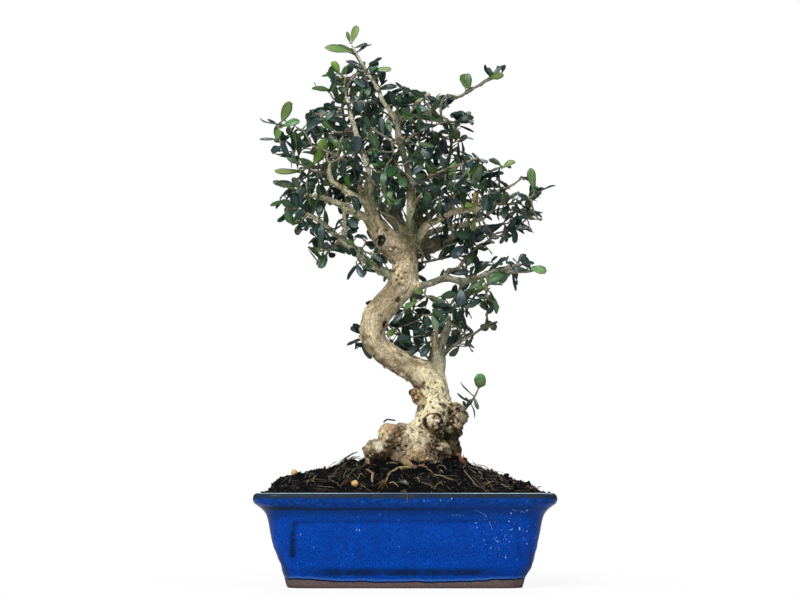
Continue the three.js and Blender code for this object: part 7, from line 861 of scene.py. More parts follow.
    [(40.5, -2.9, 339.9, .66), (44.1, -2.6, 341.6, .66), (46.2, -2.6, 343.9, .63), (50.1, -2.5, 345.6, .59), (53.5, -3.1, 347.7, .56), (56.6, -3, 349.8, .52), (60, -3.2, 351.6, .47), (63.3, -3.1, 353.3, .42), (66.4, -2.9, 355.3, .36)],
    [(26.1, -7.4, 334.5, .36), (24.4, -4.5, 335.8, .36)],
    [(25.4, -8.8, 324.1, .52), (25.9, -5.3, 323.4, .52), (27.4, -2.6, 321.6, .47), (29.2, -0.4, 319.4, .42), (30.9, 1, 316.6, .36)],
    [(26.8, -11.7, 322.4, .47), (29.5, -9.4, 321.7, .47), (32.7, -9.7, 320.1, .42), (36.2, -9.1, 320.4, .36)],
    [(12, 13.4, 182.7, .63), (9.4, 10.9, 182.2, .63), (7.1, 8.3, 181.2, .59), (4.6, 6, 180.1, .56), (2, 3.7, 179, .52), (-0.4, 1.3, 177.9, .47), (-2.6, -1.4, 177.2, .42), (-4.9, -4, 176.1, .36)],
    [(-34.8, 28, 282, .98), (-37.4, 26.3, 283.9, .98), (-40, 24.5, 285.6, .96), (-43, 23.2, 287.1, .94), (-46.1, 21.7, 288, .86), (-49.3, 20.2, 288.8, .83), (-52.2, 18.3, 289.7, .81), (-55.2, 16.5, 290.5, .79), (-57.8, 14, 290.9, .76), (-60.2, 11.4, 291.7, .6), (-61, 8.9, 294.2, .57), (-61.1, 8.1, 297.7, .42), (-64, 8.8, 299.6, .36)],
    [(-61, 8.9, 294.2, .36), (-58.6, 7, 296.1, .36)],
    [(-57.8, 14, 290.9, .47), (-60.2, 13.3, 288.3, .47), (-61.2, 13.8, 284.9, .42), (-61.1, 14.9, 281.4, .36)],
    [(-43, 23.2, 287.1, .42), (-44.7, 25.3, 289.4, .42), (-44.8, 28.5, 291.1, .36)],
    [(-17, 34, 288.8, .56), (-16.9, 31.4, 291.4, .56), (-16.6, 28.4, 293.2, .52), (-15.5, 25.2, 294.5, .47), (-17.1, 22, 294.6, .42), (-19.8, 19.6, 294.1, .36)],
    [(-66.1, -29.1, 283.5, .63), (-67.9, -26, 284.1, .63), (-69.7, -23, 283.4, .59), (-71.4, -19.9, 282.6, .56), (-72.7, -16.5, 282.9, .52), (-73.7, -13.2, 283.8, .47), (-74.1, -9.8, 284.8, .42), (-74.1, -6.3, 285.8, .36)],
    [(-66.1, -34, 251.3, .99), (-69.2, -34.5, 253, .99), (-72.6, -35, 254.3, .98), (-76.1, -35.2, 254.8, .91), (-79.3, -33.5, 255.1, .89), (-80.9, -30.7, 256.8, .71), (-81.2, -30.5, 260.3, .68), (-80.5, -33.3, 262.5, .42), (-82.9, -35.7, 263.7, .36)],
    [(-81.2, -30.5, 260.3, .36), (-82.8, -30.5, 261.5, .36)],
    [(-81.2, -30.5, 260.3, .42), (-78.1, -31.9, 261.5, .42), (-77.7, -31.9, 259.2, .36)],
    [(-79.3, -33.5, 255.1, .57), (-81.4, -31.7, 252.8, .57), (-82.2, -30.3, 249.5, .42), (-81.2, -30.3, 248.4, .36)],
    [(-81.4, -31.7, 252.8, .36), (-80.5, -31.7, 253.7, .36)],
    [(-72.6, -35, 254.3, .36), (-74.4, -37.8, 255.5, .36)],
    [(56.8, -22.1, 261.2, .52), (54.7, -23.3, 263.8, .52), (52.5, -24.5, 266.4, .47), (50, -26.4, 268.1, .42), (47.4, -28.8, 268.7, .36)],
    [(57.5, 38.8, 252.5, .47), (58.7, 40.5, 249.5, .47), (59.2, 41.9, 246.2, .42), (60.7, 40.8, 243.1, .36)],
    [(37.2, 28.5, 244.9, .42), (39.5, 25.9, 244.3, .42), (41.6, 23.1, 243.3, .36)],
    [(-40.5, -9.7, 337.9, 1.2), (-40, -12.8, 339.6, 1.23), (-39.9, -15.7, 341.8, 1.21), (-39.1, -18.5, 343.9, 1.17), (-37.6, -20.7, 346.2, 1.15), (-35.5, -22.6, 348.5, 1.03), (-32.9, -23.9, 350.7, .97), (-29.7, -24.2, 352.3, .9), (-27.6, -21.9, 354, .88), (-28.8, -19.1, 355.9, .81), (-31.2, -16.6, 356.8, .73), (-32.4, -16.9, 360.2, .7), (-33.6, -16.2, 363.5, .67), (-36, -16.2, 366.2, .64), (-38, -14.9, 368.8, .6), (-37.5, -13.1, 371.9, .47), (-37, -10.8, 374.6, .42), (-37.8, -10.8, 375.6, .36)],
    [(-38, -14.9, 368.8, .36), (-41.5, -15.8, 369.1, .36)],
    [(-28.8, -19.1, 355.9, .36), (-29.8, -15.9, 354.7, .36)],
    [(-27.6, -21.9, 354, .36), (-24.1, -21, 354.4, .36)],
    [(-32.9, -23.9, 350.7, .36), (-31.3, -26.9, 349.7, .36)],
    [(-35.5, -22.6, 348.5, .36), (-36.1, -22.6, 347.1, .36)],
    [(-37.6, -20.7, 346.2, .57), (-39.6, -22.7, 348.4, .57), (-41.4, -25.4, 346.8, .42), (-42, -27.2, 343.8, .36)],
    [(-39.6, -22.7, 348.4, .36), (-40.9, -21, 351.3, .36)],
    [(-39.9, -15.7, 341.8, .36), (-43.1, -16.1, 343.3, .36)],
    [(-45.3, -19, 272.7, .73), (-46.3, -15.7, 273.8, .73), (-46.8, -12.4, 275, .7), (-47.6, -9, 276.1, .67), (-48.3, -5.8, 277.5, .64), (-49.8, -2.5, 277.5, .6), (-51.5, 0.4, 276.2, .47), (-52.6, 3.4, 277.9, .42), (-53.5, 5.9, 280.3, .36)],
    [(-49.8, -2.5, 277.5, .36), (-51, -1.3, 274.3, .36)],
    [(38.2, 25.3, 324.3, .69), (35.1, 23.6, 324.5, .69), (31.9, 21.9, 324.2, .66), (28.6, 20.4, 323.8, .63), (26.7, 17.5, 323, .59), (24.2, 15.6, 324.8, .56), (21, 15.5, 326.5, .52), (19, 17.2, 328.9, .47), (19.4, 18.1, 332.4, .42), (21.3, 18.6, 335.4, .36)],
    [(46.5, -17.1, 257.3, .42), (47.3, -17.8, 253.9, .42), (47.3, -18.4, 250.3, .36)],
    [(6.9, 48, 297, .47), (7.4, 44.5, 297.7, .47), (8.1, 41, 298.3, .42), (9.9, 37.9, 298.2, .36)],
    [(-48.7, -25.9, 239.1, .57), (-48.2, -29.5, 239.4, .57), (-50.2, -32.4, 240, .53), (-52.8, -33.3, 237.7, .36)],
    [(-50.2, -32.4, 240, .36), (-49.3, -35.9, 239.4, .36)],
    [(-8.7, -42, 299.5, .87), (-11.6, -42.2, 301.7, 1.01), (-14.4, -41.7, 303.9, .99), (-17.3, -40.6, 305.8, .98), (-20, -39.2, 307.7, .91), (-22.6, -38.4, 310, .71), (-25.4, -37.4, 312, .68), (-27.4, -38.6, 314.7, .57), (-29, -41, 316.9, .53), (-29.1, -44.5, 316.1, .36)],
    [(-29, -41, 316.9, .36), (-30, -41.2, 320.4, .36)],
    [(-25.4, -37.4, 312, .36), (-25.5, -33.8, 311.9, .36)],
    [(-20, -39.2, 307.7, .42), (-18.8, -36.7, 310, .42), (-16.3, -34.6, 311.6, .36)],
    [(-20, -39.2, 307.7, .47), (-23.1, -41, 308, .47), (-25.3, -43.7, 307.2, .42), (-26.8, -46.7, 306, .36)],
    [(-17.3, -40.6, 305.8, .36), (-19.7, -37.9, 305.4, .36)],
    [(-5.7, -2, 328.5, 1.06), (-4.5, -1.5, 331.9, 1.06), (-3.5, -0.7, 335.2, .81), (-2.5, 0, 338.6, .79), (-0.9, 0.6, 341.8, .76), (0.2, 2.3, 344.8, .64), (0.5, 5.8, 345.7, .6), (0.3, 8.9, 343.9, .47), (0, 11.7, 341.6, .42), (-0.4, 14.1, 339, .36)],
    [(0.5, 5.8, 345.7, .36), (3.8, 6.9, 344.7, .36)],
    [(-0.9, 0.6, 341.8, .42), (-0.3, -1.8, 344.5, .42), (-0.2, -5.1, 345.8, .36)],
    [(-4.5, -1.5, 331.9, .73), (-1.2, -0.4, 332.9, .73), (2.2, 0.8, 333.2, .7), (5.8, 1, 333.7, .67), (9, 2.6, 333.1, .64), (11.9, 4.6, 333.1, .52), (14.1, 7, 334.8, .47), (16.9, 8.1, 336.7, .42), (20.2, 8.6, 338.2, .36)],
    [(9, 2.6, 333.1, .36), (10.1, 2.9, 329.7, .36)],
    [(41.6, -39.3, 285.9, .52), (42.6, -39.8, 282.5, .52), (43.3, -40.1, 279, .47), (43.9, -40.2, 275.4, .42), (44.8, -40, 271.9, .36)],
    [(-77.5, -34, 288.8, .61), (-79.3, -33.6, 291.9, 1.07), (-82.3, -33.9, 293.9, 1.06), (-84, -34.1, 297, .98), (-85, -33.9, 300.5, .92), (-86.2, -33.7, 303.9, .9), (-86.6, -34, 307.4, .82), (-86.6, -34.3, 311, .8), (-88.9, -34.9, 313.8, .57), (-86.8, -34.3, 313.2, .36)],
    [(-86.6, -34.3, 311, .36), (-86.2, -34.3, 312.6, .36)],
    [(-86.6, -34.3, 311, .36), (-84.7, -34.3, 310.7, .36)],
    [(-86.6, -34.3, 311, .36), (-84.9, -34.3, 313.2, .36)],
    [(-86.2, -33.7, 303.9, .36), (-88.1, -33.7, 302.1, .36)],
    [(-84, -34.1, 297, .36), (-82.1, -34.1, 298, .36)],
    [(-82.3, -33.9, 293.9, .42), (-84.6, -31.6, 295.4, .42), (-85.9, -28.3, 295.6, .36)],
    [(10.3, 13.7, 184.8, .42), (12.1, 12.2, 187.5, .42), (14.2, 10.9, 190.1, .36)],
    [(45.3, 3, 227.9, .36), (45.7, 6.6, 227.5, .36)],
    [(41, 20, 326.9, .65), (41.9, 17.5, 329.4, .65), (44, 15.1, 330.9, .36)],
    [(-23.5, -7.7, 277.2, .56), (-25.9, -5.6, 278.8, .56), (-28.4, -3.5, 280.4, .52), (-31.1, -1.3, 281.2, .47), (-33.9, 1, 281.5, .42), (-36.9, 3, 281.6, .36)],
    [(-63.1, -42, 296.8, .73), (-64.6, -41.1, 299.9, .73), (-66.2, -39.7, 302.8, .7), (-67.7, -38.4, 305.8, .67), (-69.4, -36.9, 308.7, .64), (-72.8, -36.4, 309.5, .6), (-72.9, -33.1, 310.8, .47), (-72.9, -29.6, 310, .42), (-70.3, -27, 310.3, .36)],
    [(-72.8, -36.4, 309.5, .36), (-75.2, -38.2, 311.6, .36)],
    [(-43.4, -23, 234.4, 1.44), (-40.1, -22.6, 233, 1.44), (-36.9, -22.2, 231.4, 1.43), (-33.7, -22.2, 229.8, 1.38), (-30.4, -22.1, 228.4, 1.22), (-27.2, -22.4, 226.7, .98), (-23.7, -22.2, 225.7, .87), (-20.3, -23.2, 225, .73), (-17.7, -25.6, 225.6, .71), (-17.6, -27.8, 228.4, .57), (-19.4, -28.7, 231.4, .42), (-18.2, -28.2, 234.8, .36)],
    [(-17.6, -27.8, 228.4, .36), (-20.5, -29.8, 229, .36)],
    [(-17.7, -25.6, 225.6, .42), (-15.4, -26.7, 223, .42), (-12.9, -26.4, 220.4, .36)],
    [(-23.7, -22.2, 225.7, .36), (-22.8, -22.2, 222.2, .36)],
    [(-23.7, -22.2, 225.7, .36), (-21.1, -22, 228.1, .36)],
    [(-27.2, -22.4, 226.7, .36), (-27, -23.1, 223.2, .36)],
    [(-27.2, -22.4, 226.7, .36), (-26.7, -23.2, 223.3, .36)],
    [(-30.4, -22.1, 228.4, .57), (-27.9, -22.1, 231, .57), (-27.1, -23.3, 234.3, .53), (-28.7, -23.3, 234.8, .36)],
    [(-30.4, -22.1, 228.4, .59), (-28.8, -18.8, 228.6, .59), (-28.6, -15.3, 227.8, .56), (-29.3, -11.9, 227.1, .52), (-29.4, -9.5, 224.3, .47), (-29.1, -7.6, 221.3, .42), (-28.5, -6.4, 218, .36)],
    [(-33.7, -22.2, 229.8, .73), (-32.7, -25.7, 229.7, .73), (-31.1, -28.3, 227.8, .64), (-30.9, -28.2, 224.2, .6), (-32, -26.3, 221.3, .57), (-30.2, -24.4, 218.9, .42), (-28.9, -22.7, 216, .36)],
    [(-32, -26.3, 221.3, .36), (-33.4, -26.3, 219.3, .36)],
    [(-32.7, -25.7, 229.7, .36), (-33.5, -29.1, 230, .36)],
    [(-36.9, -22.2, 231.4, .42), (-35.1, -22, 234.6, .42), (-33.5, -22, 236.7, .36)],
    [(42.1, 31.4, 247, .6), (40.4, 32.4, 250, .6), (38.2, 33.2, 252.7, .57), (35.6, 33.3, 255.1, .42), (36.4, 30.6, 257.4, .36)],
    [(38.2, 33.2, 252.7, .36), (35.6, 35.6, 253.3, .36)],
    [(81.7, -28, 261.9, .66), (83.4, -24.8, 262.2, .66), (84.5, -21.5, 262.7, .63), (85.8, -18.1, 263.1, .59), (86.4, -14.9, 264.6, .56), (87.1, -11.6, 266, .52), (87.6, -8.3, 267.2, .47), (88.3, -4.8, 266.6, .42), (88.3, -1.2, 267, .36)],
    [(-62.3, -29.1, 264.3, .72), (-64.1, -26, 264.6, .72), (-65.9, -22.9, 265, .69), (-67.4, -19.7, 265.2, .66), (-68.9, -16.4, 265.2, .63), (-70.1, -13, 265.3, .59), (-71.2, -9.6, 265.6, .56), (-72.2, -6.1, 265.7, .52), (-73.5, -2.8, 265.8, .47), (-74.6, 0.7, 265.6, .42), (-75.8, 3.9, 264.6, .36)],
    [(-3.8, 0, 308, .36), (-7.1, 1.4, 308.3, .36)],
    [(54.7, 15, 254.9, 1.04), (57.8, 13.9, 256.4, 1.04), (58.2, 14.1, 260, .73), (57.6, 13.8, 263.5, .7), (56.6, 13.5, 267, .67), (55.2, 13.5, 270.3, .64), (53.7, 13.4, 273.5, .6), (52.2, 12.9, 276.8, .47), (51.3, 9.7, 278, .42), (51.7, 6.2, 277, .36)],
    [(53.7, 13.4, 273.5, .36), (52.4, 16.5, 274.6, .36)],
    [(57.8, 13.9, 256.4, .79), (59.6, 11.2, 258, .79), (62.1, 9.4, 259.8, .76), (65.3, 8.1, 260.7, .73), (68.7, 6.9, 261, .71), (72.1, 5.6, 260.9, .57), (75.3, 7, 260.3, .53), (75.5, 10.6, 260.8, .36)],
    [(75.3, 7, 260.3, .36), (77.5, 9.7, 259.3, .36)],
    [(68.7, 6.9, 261, .42), (69.6, 4.6, 263.6, .42), (68.6, 2.6, 266.4, .36)],
    [(-3.7, -25.1, 283, .72), (-1.3, -27.2, 281.2, .72), (1.3, -28.8, 279.3, .69), (3.7, -30.7, 277.4, .66), (5.5, -32.7, 275, .63), (6.7, -34.8, 272.3, .59), (6.2, -37, 269.5, .56), (5, -39.6, 267.4, .52), (2.7, -42.3, 266.7, .47), (1.4, -44.6, 264.2, .42), (0.3, -45.6, 260.9, .36)],
    [(-5.5, -2, 324.4, .73), (-5.6, -4.5, 326.9, .73), (-4.2, -7.5, 328.5, .7), (-5.8, -10.5, 329.7, .67), (-8, -12.9, 331.1, .64), (-10.5, -15.3, 329.9, .47), (-13.5, -16.3, 328.2, .42), (-15.7, -17.4, 325.6, .36)],
    [(-41.1, -9, 340.4, 1.1), (-41.3, -8.7, 344, 1.37), (-41.5, -8.6, 347.6, 1.35), (-41.2, -5.5, 349.5, .95), (-43.1, -2.6, 350.5, .93), (-44.7, 0.4, 351.5, .91), (-45.2, 3.5, 353.3, .89), (-42.6, 5.9, 354.1, .6), (-40.7, 7.2, 351.3, .42), (-40.6, 7.2, 347.7, .36)],
    [(-42.6, 5.9, 354.1, .42), (-39.1, 6, 353.7, .42), (-37.1, 3.5, 355.5, .36)],
    [(-45.2, 3.5, 353.3, .68), (-47.5, 5.1, 355.6, .68)],
    [(-41.5, -8.6, 347.6, 1.03), (-41.6, -8.3, 351.1, 1.03), (-44.4, -7.8, 353.3, .85), (-47.4, -8.3, 355.3, .77), (-50.2, -7.7, 357.5, .68), (-50.6, -7.7, 361.1, .65)],
    [(-44.4, -7.8, 353.3, .36), (-45.3, -7.8, 354.5, .36)],
    [(-41.6, -8.3, 351.1, .42), (-38.4, -7, 352.1, .42), (-35, -8.1, 351.4, .36)],
    [(6.2, 14.1, 188.3, .52), (5.8, 17.2, 189.9, .52), (6, 20.5, 191.4, .47), (6.9, 23.7, 192.8, .42), (7.6, 27.1, 193.9, .36)],
    [(11.3, 46, 311.4, .9), (11, 42.8, 313.1, .9), (10.7, 39.5, 314.5, .88), (9.1, 36.5, 315.6, .86), (7.2, 33.6, 316.7, .83), (6, 30.4, 317.7, .81), (7.6, 27.2, 317.5, .67), (8.2, 23.8, 316.5, .64), (11.8, 23.9, 315.8, .6), (15.1, 23, 315, .47), (17.7, 24.3, 312.9, .42), (16.5, 26.8, 310.5, .36)],
    [(11.8, 23.9, 315.8, .36), (14.1, 21.9, 317.7, .36)],
    [(6, 30.4, 317.7, .47), (2.9, 28.7, 318, .47), (0.3, 30.2, 320, .42), (-1.1, 32.7, 322.2, .36)],
    [(11.1, -5.7, 204.9, 1.06), (7.8, -5.6, 206.4, 1.06), (4.9, -5.2, 208.5, 1.05), (2.1, -5.7, 210.7, 1.03), (-0.6, -6.4, 212.9, 1.01), (-3.7, -6.9, 214.8, .99), (-7, -6.6, 216.1, .91), (-10.5, -7.2, 215.8, .89), (-14, -6.5, 215.5, .82), (-17.2, -4.9, 214.8, .71), (-18.5, -1.6, 214.1, .6), (-19.6, 1.4, 215.8, .57), (-20.3, 3.7, 218.5, .42), (-17.8, 6.1, 219.3, .36)],
    [(-19.6, 1.4, 215.8, .36), (-22.5, 1.8, 217.9, .36)],
    [(-14, -6.5, 215.5, .42), (-16.8, -8.8, 215.8, .42), (-17.8, -12.2, 216.3, .36)],
    [(-10.5, -7.2, 215.8, .36), (-12.4, -9.6, 217.6, .36)],
    [(46.9, 34, 248.9, .47), (46.8, 32.9, 252.3, .47), (46.5, 31.9, 255.8, .42), (46.2, 30.6, 259.1, .36)],
    [(41, 36, 180.7, .36), (43.9, 33.9, 181.4, .36)],
]
# Leaves: foot x, y, z, tip x, y, z, the way the upper face looks, width, kind (0 dark, 1 mid green, 2 bright: young
# growth, partly painted backlight, 3 slate: dark with a painted slate-blue sheen, 4 seen from below).
LEAVES = [
    (-37.2, -10.8, 374.2, -33.7, -3.8, 390, .68, -.72, .17, 7, 2), (-37.8, -10.8, 375.6, -40.6, -18.7, 381.8, .84, -.48, -.23, 4.2, 2), (-36.7, -3.3, 373.1, -56.5, -3.3, 374, .03, -.78, .62, 8, 2),
    (-34, -1.6, 371, -23.7, 4.4, 378.6, -.35, -.44, .82, 5.7, 0), (-29, -15.9, 355.1, -40.8, -22.6, 360, .56, -.52, .64, 5.8, 0), (-27.1, -7.7, 357, -15.7, -14.7, 364.1, -.65, -.6, .46, 6.1, 0),
    (-21.7, -11.5, 357, -9, -5.2, 357.1, .32, -.65, .69, 5.7, 1), (-45.3, -7.8, 354.5, -50.4, -13.5, 363.4, .24, -.88, -.42, 6.2, 2), (-44.6, -7.8, 353.5, -35.7, -15, 357.6, -.48, -.8, -.36, 4.9, 0),
    (-47.7, 5.1, 355.3, -37.7, 11.4, 349, .4, -.88, -.25, 5.6, 1), (-36.1, -22.6, 347.1, -25.4, -28.3, 350.3, -.44, -.89, -.13, 6.1, 0), (-35.1, -9.2, 344.6, -23.6, -15, 346.1, -.43, -.71, .55, 5.2, 0),
    (-50.9, -9, 342, -65.9, -1.6, 345.2, -.15, -.64, .76, 6.8, 1), (-35.3, -12.9, 328.9, -30.4, -18.7, 338.3, -.22, -.88, -.42, 8.2, 3), (-57.9, 25.1, 333.9, -67.8, 17.8, 332.1, .39, -.69, .61, 5, 1),
    (-41.6, -13.5, 322, -56.6, -6.2, 322.1, -.36, -.74, .57, 6.6, 0), (-84.9, -34.3, 313.2, -78.1, -39.1, 328.2, .21, -.9, -.39, 6.9, 2), (-86.8, -34.3, 313.2, -99.1, -40.9, 315.6, .32, -.28, .9, 5.1, 4),
    (-86.2, -34.3, 312.6, -74.7, -28.5, 314.4, .45, -.89, .07, 6.1, 1), (-84.7, -34.3, 310.7, -86.9, -42, 299.5, .28, -.81, .51, 5.5, 1), (-88.1, -33.7, 302.1, -98.1, -40.7, 301.7, .2, -.33, .92, 4.4, 0),
    (-82.1, -34.1, 298, -91.8, -26.3, 295.4, -.63, -.63, .45, 5.1, 3), (-81.8, -17.8, 297, -90, -25.8, 294.5, .14, -.42, .89, 4.7, 4), (-65.5, 1.4, 289.5, -56.2, 1.4, 309.9, .34, -.93, -.16, 9, 2),
    (-57.6, -26.8, 284, -55.9, -21.1, 296.3, .06, -.91, .41, 6.1, 3), (-70.1, -23, 283.5, -90.7, -23, 282.3, -.05, -.5, .87, 8.2, 4), (-80.3, -19.4, 273.9, -89, -27.8, 273.2, .67, -.66, -.35, 4.8, 0),
    (-38.4, -10, 272.1, -40.7, -4.2, 284.6, -.07, -.91, .41, 6.9, 2), (-34.9, -11.6, 293.5, -34.4, -19.4, 307.9, -.02, -.88, -.48, 9.6, 3), (-82.8, -30.5, 261.5, -91.4, -38.1, 256.4, .11, -.64, .76, 5, 1),
    (-77.7, -31.9, 259.2, -78.2, -23.7, 250.7, -.03, -.72, -.69, 6.8, 3), (-81.2, -30.3, 248.4, -71.8, -38.6, 245.8, -.68, -.71, -.19, 5.1, 2), (-80.5, -31.7, 253.7, -86.4, -39.7, 245.3, .79, -.62, .02, 5.2, 1),
    (43.1, -2.9, 343.5, 42.3, 3.1, 357, -.02, -.91, .4, 7.6, 2), (59.3, -2.9, 352.1, 69.5, -9.4, 353.1, -.53, -.84, -.06, 5.5, 2), (60.4, -2.9, 353.5, 55.8, -11.1, 359.8, .9, -.42, .11, 4.6, 0),
    (66.4, -2.9, 355.3, 66.4, 3.3, 362.7, .7, -.55, .45, 3.9, 4), (68.5, -2.9, 356, 70.1, -9, 360.3, .15, -.55, -.82, 3.1, 3), (66.3, -30.8, 283, 75.7, -37.9, 285.3, -.58, -.8, -.14, 5.1, 2),
    (87.9, -34.8, 267.2, 86.2, -27.1, 283.9, -.49, -.81, .32, 7.4, 1), (86.8, -28.9, 268.1, 78.6, -35.2, 277, .79, -.44, .42, 5.5, 0), (93.3, -36, 267.4, 102.5, -38, 270.6, -.38, -.44, .81, 3.6, 0),
    (89, -32, 265.4, 95, -25, 271.4, .69, -.71, .13, 4.4, 4), (75.1, -33.7, 265.8, 83.1, -41.9, 260.5, .05, -.5, .86, 5.1, 0), (72.8, -25.1, 264, 79.8, -33.2, 258, .13, -.52, .85, 4.9, 0),
    (63.4, -25.8, 276.2, 72.8, -19.3, 271.2, .62, -.39, .68, 4.5, 0), (84.7, -29.6, 215.4, 96.8, -36, 213.7, -.47, -.87, -.12, 5.5, 2), (80.5, -15.5, 220.9, 81.9, -21, 225.1, -.25, -.62, -.74, 3.4, 3),
    (78.6, -18.7, 219.5, 74.8, -12.9, 223.7, -.8, -.6, .1, 3.2, 4), (70.7, -22.9, 212.1, 76.7, -29.7, 199.3, .76, -.35, .55, 6.3, 0), (68.9, -18.6, 213.3, 56.9, -25.1, 207, .38, -.9, .2, 8.2, 1),
    (27.4, 1.4, 215.6, 39.5, 7.4, 216.6, .44, -.9, .04, 6.2, 0), (45.6, 0.5, 218.3, 62.1, -4.1, 220.5, -.23, -.39, .89, 6.9, 0), (59.1, -22.5, 219.7, 63.3, -28.6, 222.8, -.85, -.46, .24, 2.9, 0),
    (70.9, -21.4, 219.2, 65.7, -14.8, 223.8, .23, -.43, .87, 3.4, 0), (51.4, 5, 233.3, 46.2, -1.9, 219.4, .42, -.87, .28, 6.5, 1), (41.5, 0.9, 233.8, 32.8, -7.4, 229.2, .57, -.76, .3, 6.2, 3),
    (-14.7, 30.2, 198.4, -28, 36.8, 197.3, -.38, -.64, .67, 6, 0), (-26.8, 33.8, 175.5, -37.7, 27.5, 181, .41, -.89, -.21, 6.4, 1), (-27.4, 27.9, 172.8, -41, 20.3, 165.9, -.25, -.37, .89, 6.8, 0),
    (-35.2, 27.7, 163.6, -32.9, 33.5, 169, .28, -.71, .65, 3.5, 0), (-27.4, 28.1, 167.2, -33.7, 21.6, 165.6, .73, -.68, -.08, 3.7, 0), (-33.4, -26.3, 219.3, -28.1, -32.2, 208, -.62, -.78, .12, 5.5, 3),
    (-31, -24.4, 218.8, -39.8, -17.3, 208.2, -.82, -.39, .42, 6.2, 0), (-33.5, -22, 236.7, -25.5, -29.6, 234.4, -.08, -.37, .92, 4.1, 0), (-28.7, -23.3, 234.8, -21.7, -30.5, 230.8, -.71, -.7, .03, 4.3, 2),
    (-57.8, -31, 225.6, -62.9, -24.8, 230.2, -.5, -.74, .45, 4.1, 2), (-53.1, -28.9, 225.8, -58, -34.9, 214.1, .16, -.9, .4, 6.1, 1), (-51, -13.4, 228.8, -41.1, -21.2, 225.8, -.05, -.43, .9, 5.2, 1),
    (-41.2, -20, 242.9, -35.8, -12.6, 249.5, .41, -.75, .51, 6.8, 0), (-41.2, -18, 250.1, -32.8, -25.4, 243.2, -.43, -.83, .36, 6.2, 0), (-35.8, -13.7, 257.8, -34, -18.4, 253.6, -.29, -.7, .65, 3.4, 0),
    (50.5, -11, 133.1, 52.7, -14, 141.4, -.08, -.94, -.32, 7.6, 2), (47.9, -9.5, 127.9, 37.9, -12.5, 137.6, -.47, -.58, -.66, 3.7, 4), (45, -8.6, 124, 35.9, -11.6, 130.5, -.28, -.66, -.7, 3, 4),
    (47.9, -9.5, 127.9, 50.4, -12.5, 119, -.08, -.95, .3, 3.4, 1), (45, -8.6, 124, 47.8, -11.6, 113, .75, -.57, .34, 3.1, 0), (49, -10, 129.8, 44.8, -13, 134.8, .27, -.91, -.32, 2.1, 1),
    (-7.1, 1.4, 308.3, -15.4, 8.4, 309.1, .41, .39, .82, 4.7, 3), (45.7, 6.6, 227.5, 50.9, 15.7, 225, -.75, .54, .39, 5.3, 1), (35.7, 43.2, 303.3, 44.7, 32.3, 301.6, .44, .23, .87, 6.8, 0),
    (-41.7, 35.5, 319.3, -43.4, 47.3, 322, -.53, -.26, .81, 5.1, 0), (39.5, 33.4, 245, 44.6, 43.9, 245.6, -.02, -.05, 1, 5.7, 2), (30.3, 46.9, 299.2, 34.7, 57.6, 300.4, -.66, .19, .73, 5.4, 1),
    (-48.3, -37.2, 295.6, -43.2, -34, 309.1, .52, -.85, 0, 7, 1), (32, 39.9, 271.4, 34.1, 29.4, 271.3, .44, .08, .9, 4.4, 2), (17.7, 24.7, 266.4, 19.7, 15.6, 272.9, .4, .59, .7, 4.8, 3),
    (-25.6, -13.1, 290.4, -13.3, -16, 286.9, .08, -.61, .79, 5.4, 2), (19.3, 30.4, 273, 8.9, 24.2, 280.8, .69, -.4, .61, 5.8, 2), (-11, 28.5, 278.9, -8.2, 18.4, 286.3, .7, .54, .47, 6.1, 0),
    (0.2, 19.5, 165.8, -7, 19.8, 159.8, -.53, -.6, .6, 4, 1), (-37.8, 38.3, 311.5, -42.2, 48.9, 314.7, -.62, -.45, .64, 5.7, 2), (-4.8, 23.9, 178.6, -5.4, 13.8, 184.4, .38, .44, .81, 5.6, 1),
    (-50.8, -21.4, 286.3, -42, -13.2, 289.6, -.39, .05, .92, 6, 1), (-23.8, 23.6, 277.7, -20.5, 29.4, 286.7, -.19, -.8, .58, 4.6, 0), (29, 42.7, 303.1, 16.9, 43.4, 306.1, .13, -.72, .68, 5.1, 0),
    (28.8, 37.7, 242.5, 27, 39, 255.5, .89, -.42, .16, 6.4, 1), (34.2, 1.2, 164, 41.6, 7.6, 173.1, .82, -.48, -.32, 6.3, 1), (30.9, 13.6, 251.6, 34, 23.3, 259.1, -.02, -.61, .79, 5.6, 1),
    (25.8, 35.1, 264.4, 34.5, 27.4, 263.8, .51, .52, .69, 5.2, 2), (14.2, 10.9, 190.1, 16, 4.6, 199.1, .95, -.13, -.28, 4.8, 1), (47.3, -18.4, 250.3, 47.2, -28.1, 241, .71, .48, -.51, 5.8, 2),
    (41.6, 23.1, 243.3, 44.5, 13.9, 239.2, .87, .05, .5, 5, 1), (-32.3, 41.6, 297, -36.6, 50.4, 290.4, -.92, -.22, .32, 4.8, 0), (-59, -37.6, 228.3, -57.9, -47, 232.8, -.99, -.08, .07, 5.1, 1),
    (37.3, -16.1, 249.7, 35.3, -25.7, 241.6, .88, -.4, .25, 6.1, 0), (19.4, 41.8, 285.1, 13.8, 50.5, 288.9, -.09, -.45, .89, 4.7, 0), (-38.8, -10.9, 252.3, -31, -6.5, 251.4, -.46, .86, .23, 4.4, 0),
    (49.5, -22.7, 194.1, 41.2, -18.9, 190.7, -.44, -.16, .88, 4.2, 1), (-63, -35.9, 293.2, -59.1, -25.8, 290.6, -.6, .4, .69, 5.4, 0), (37.3, -19.7, 209.7, 31.2, -26.5, 214.3, .78, -.35, .51, 4.2, 2),
    (37.4, 22.8, 172.3, 33.7, 13.7, 178.6, .95, -.22, .24, 5.8, 4), (-17.4, 14.4, 271.9, -17.9, 4.8, 276.4, -.83, -.19, -.52, 5.3, 1), (34.3, 40.8, 291, 48.4, 42.1, 290.2, -.02, .66, .75, 5.9, 0),
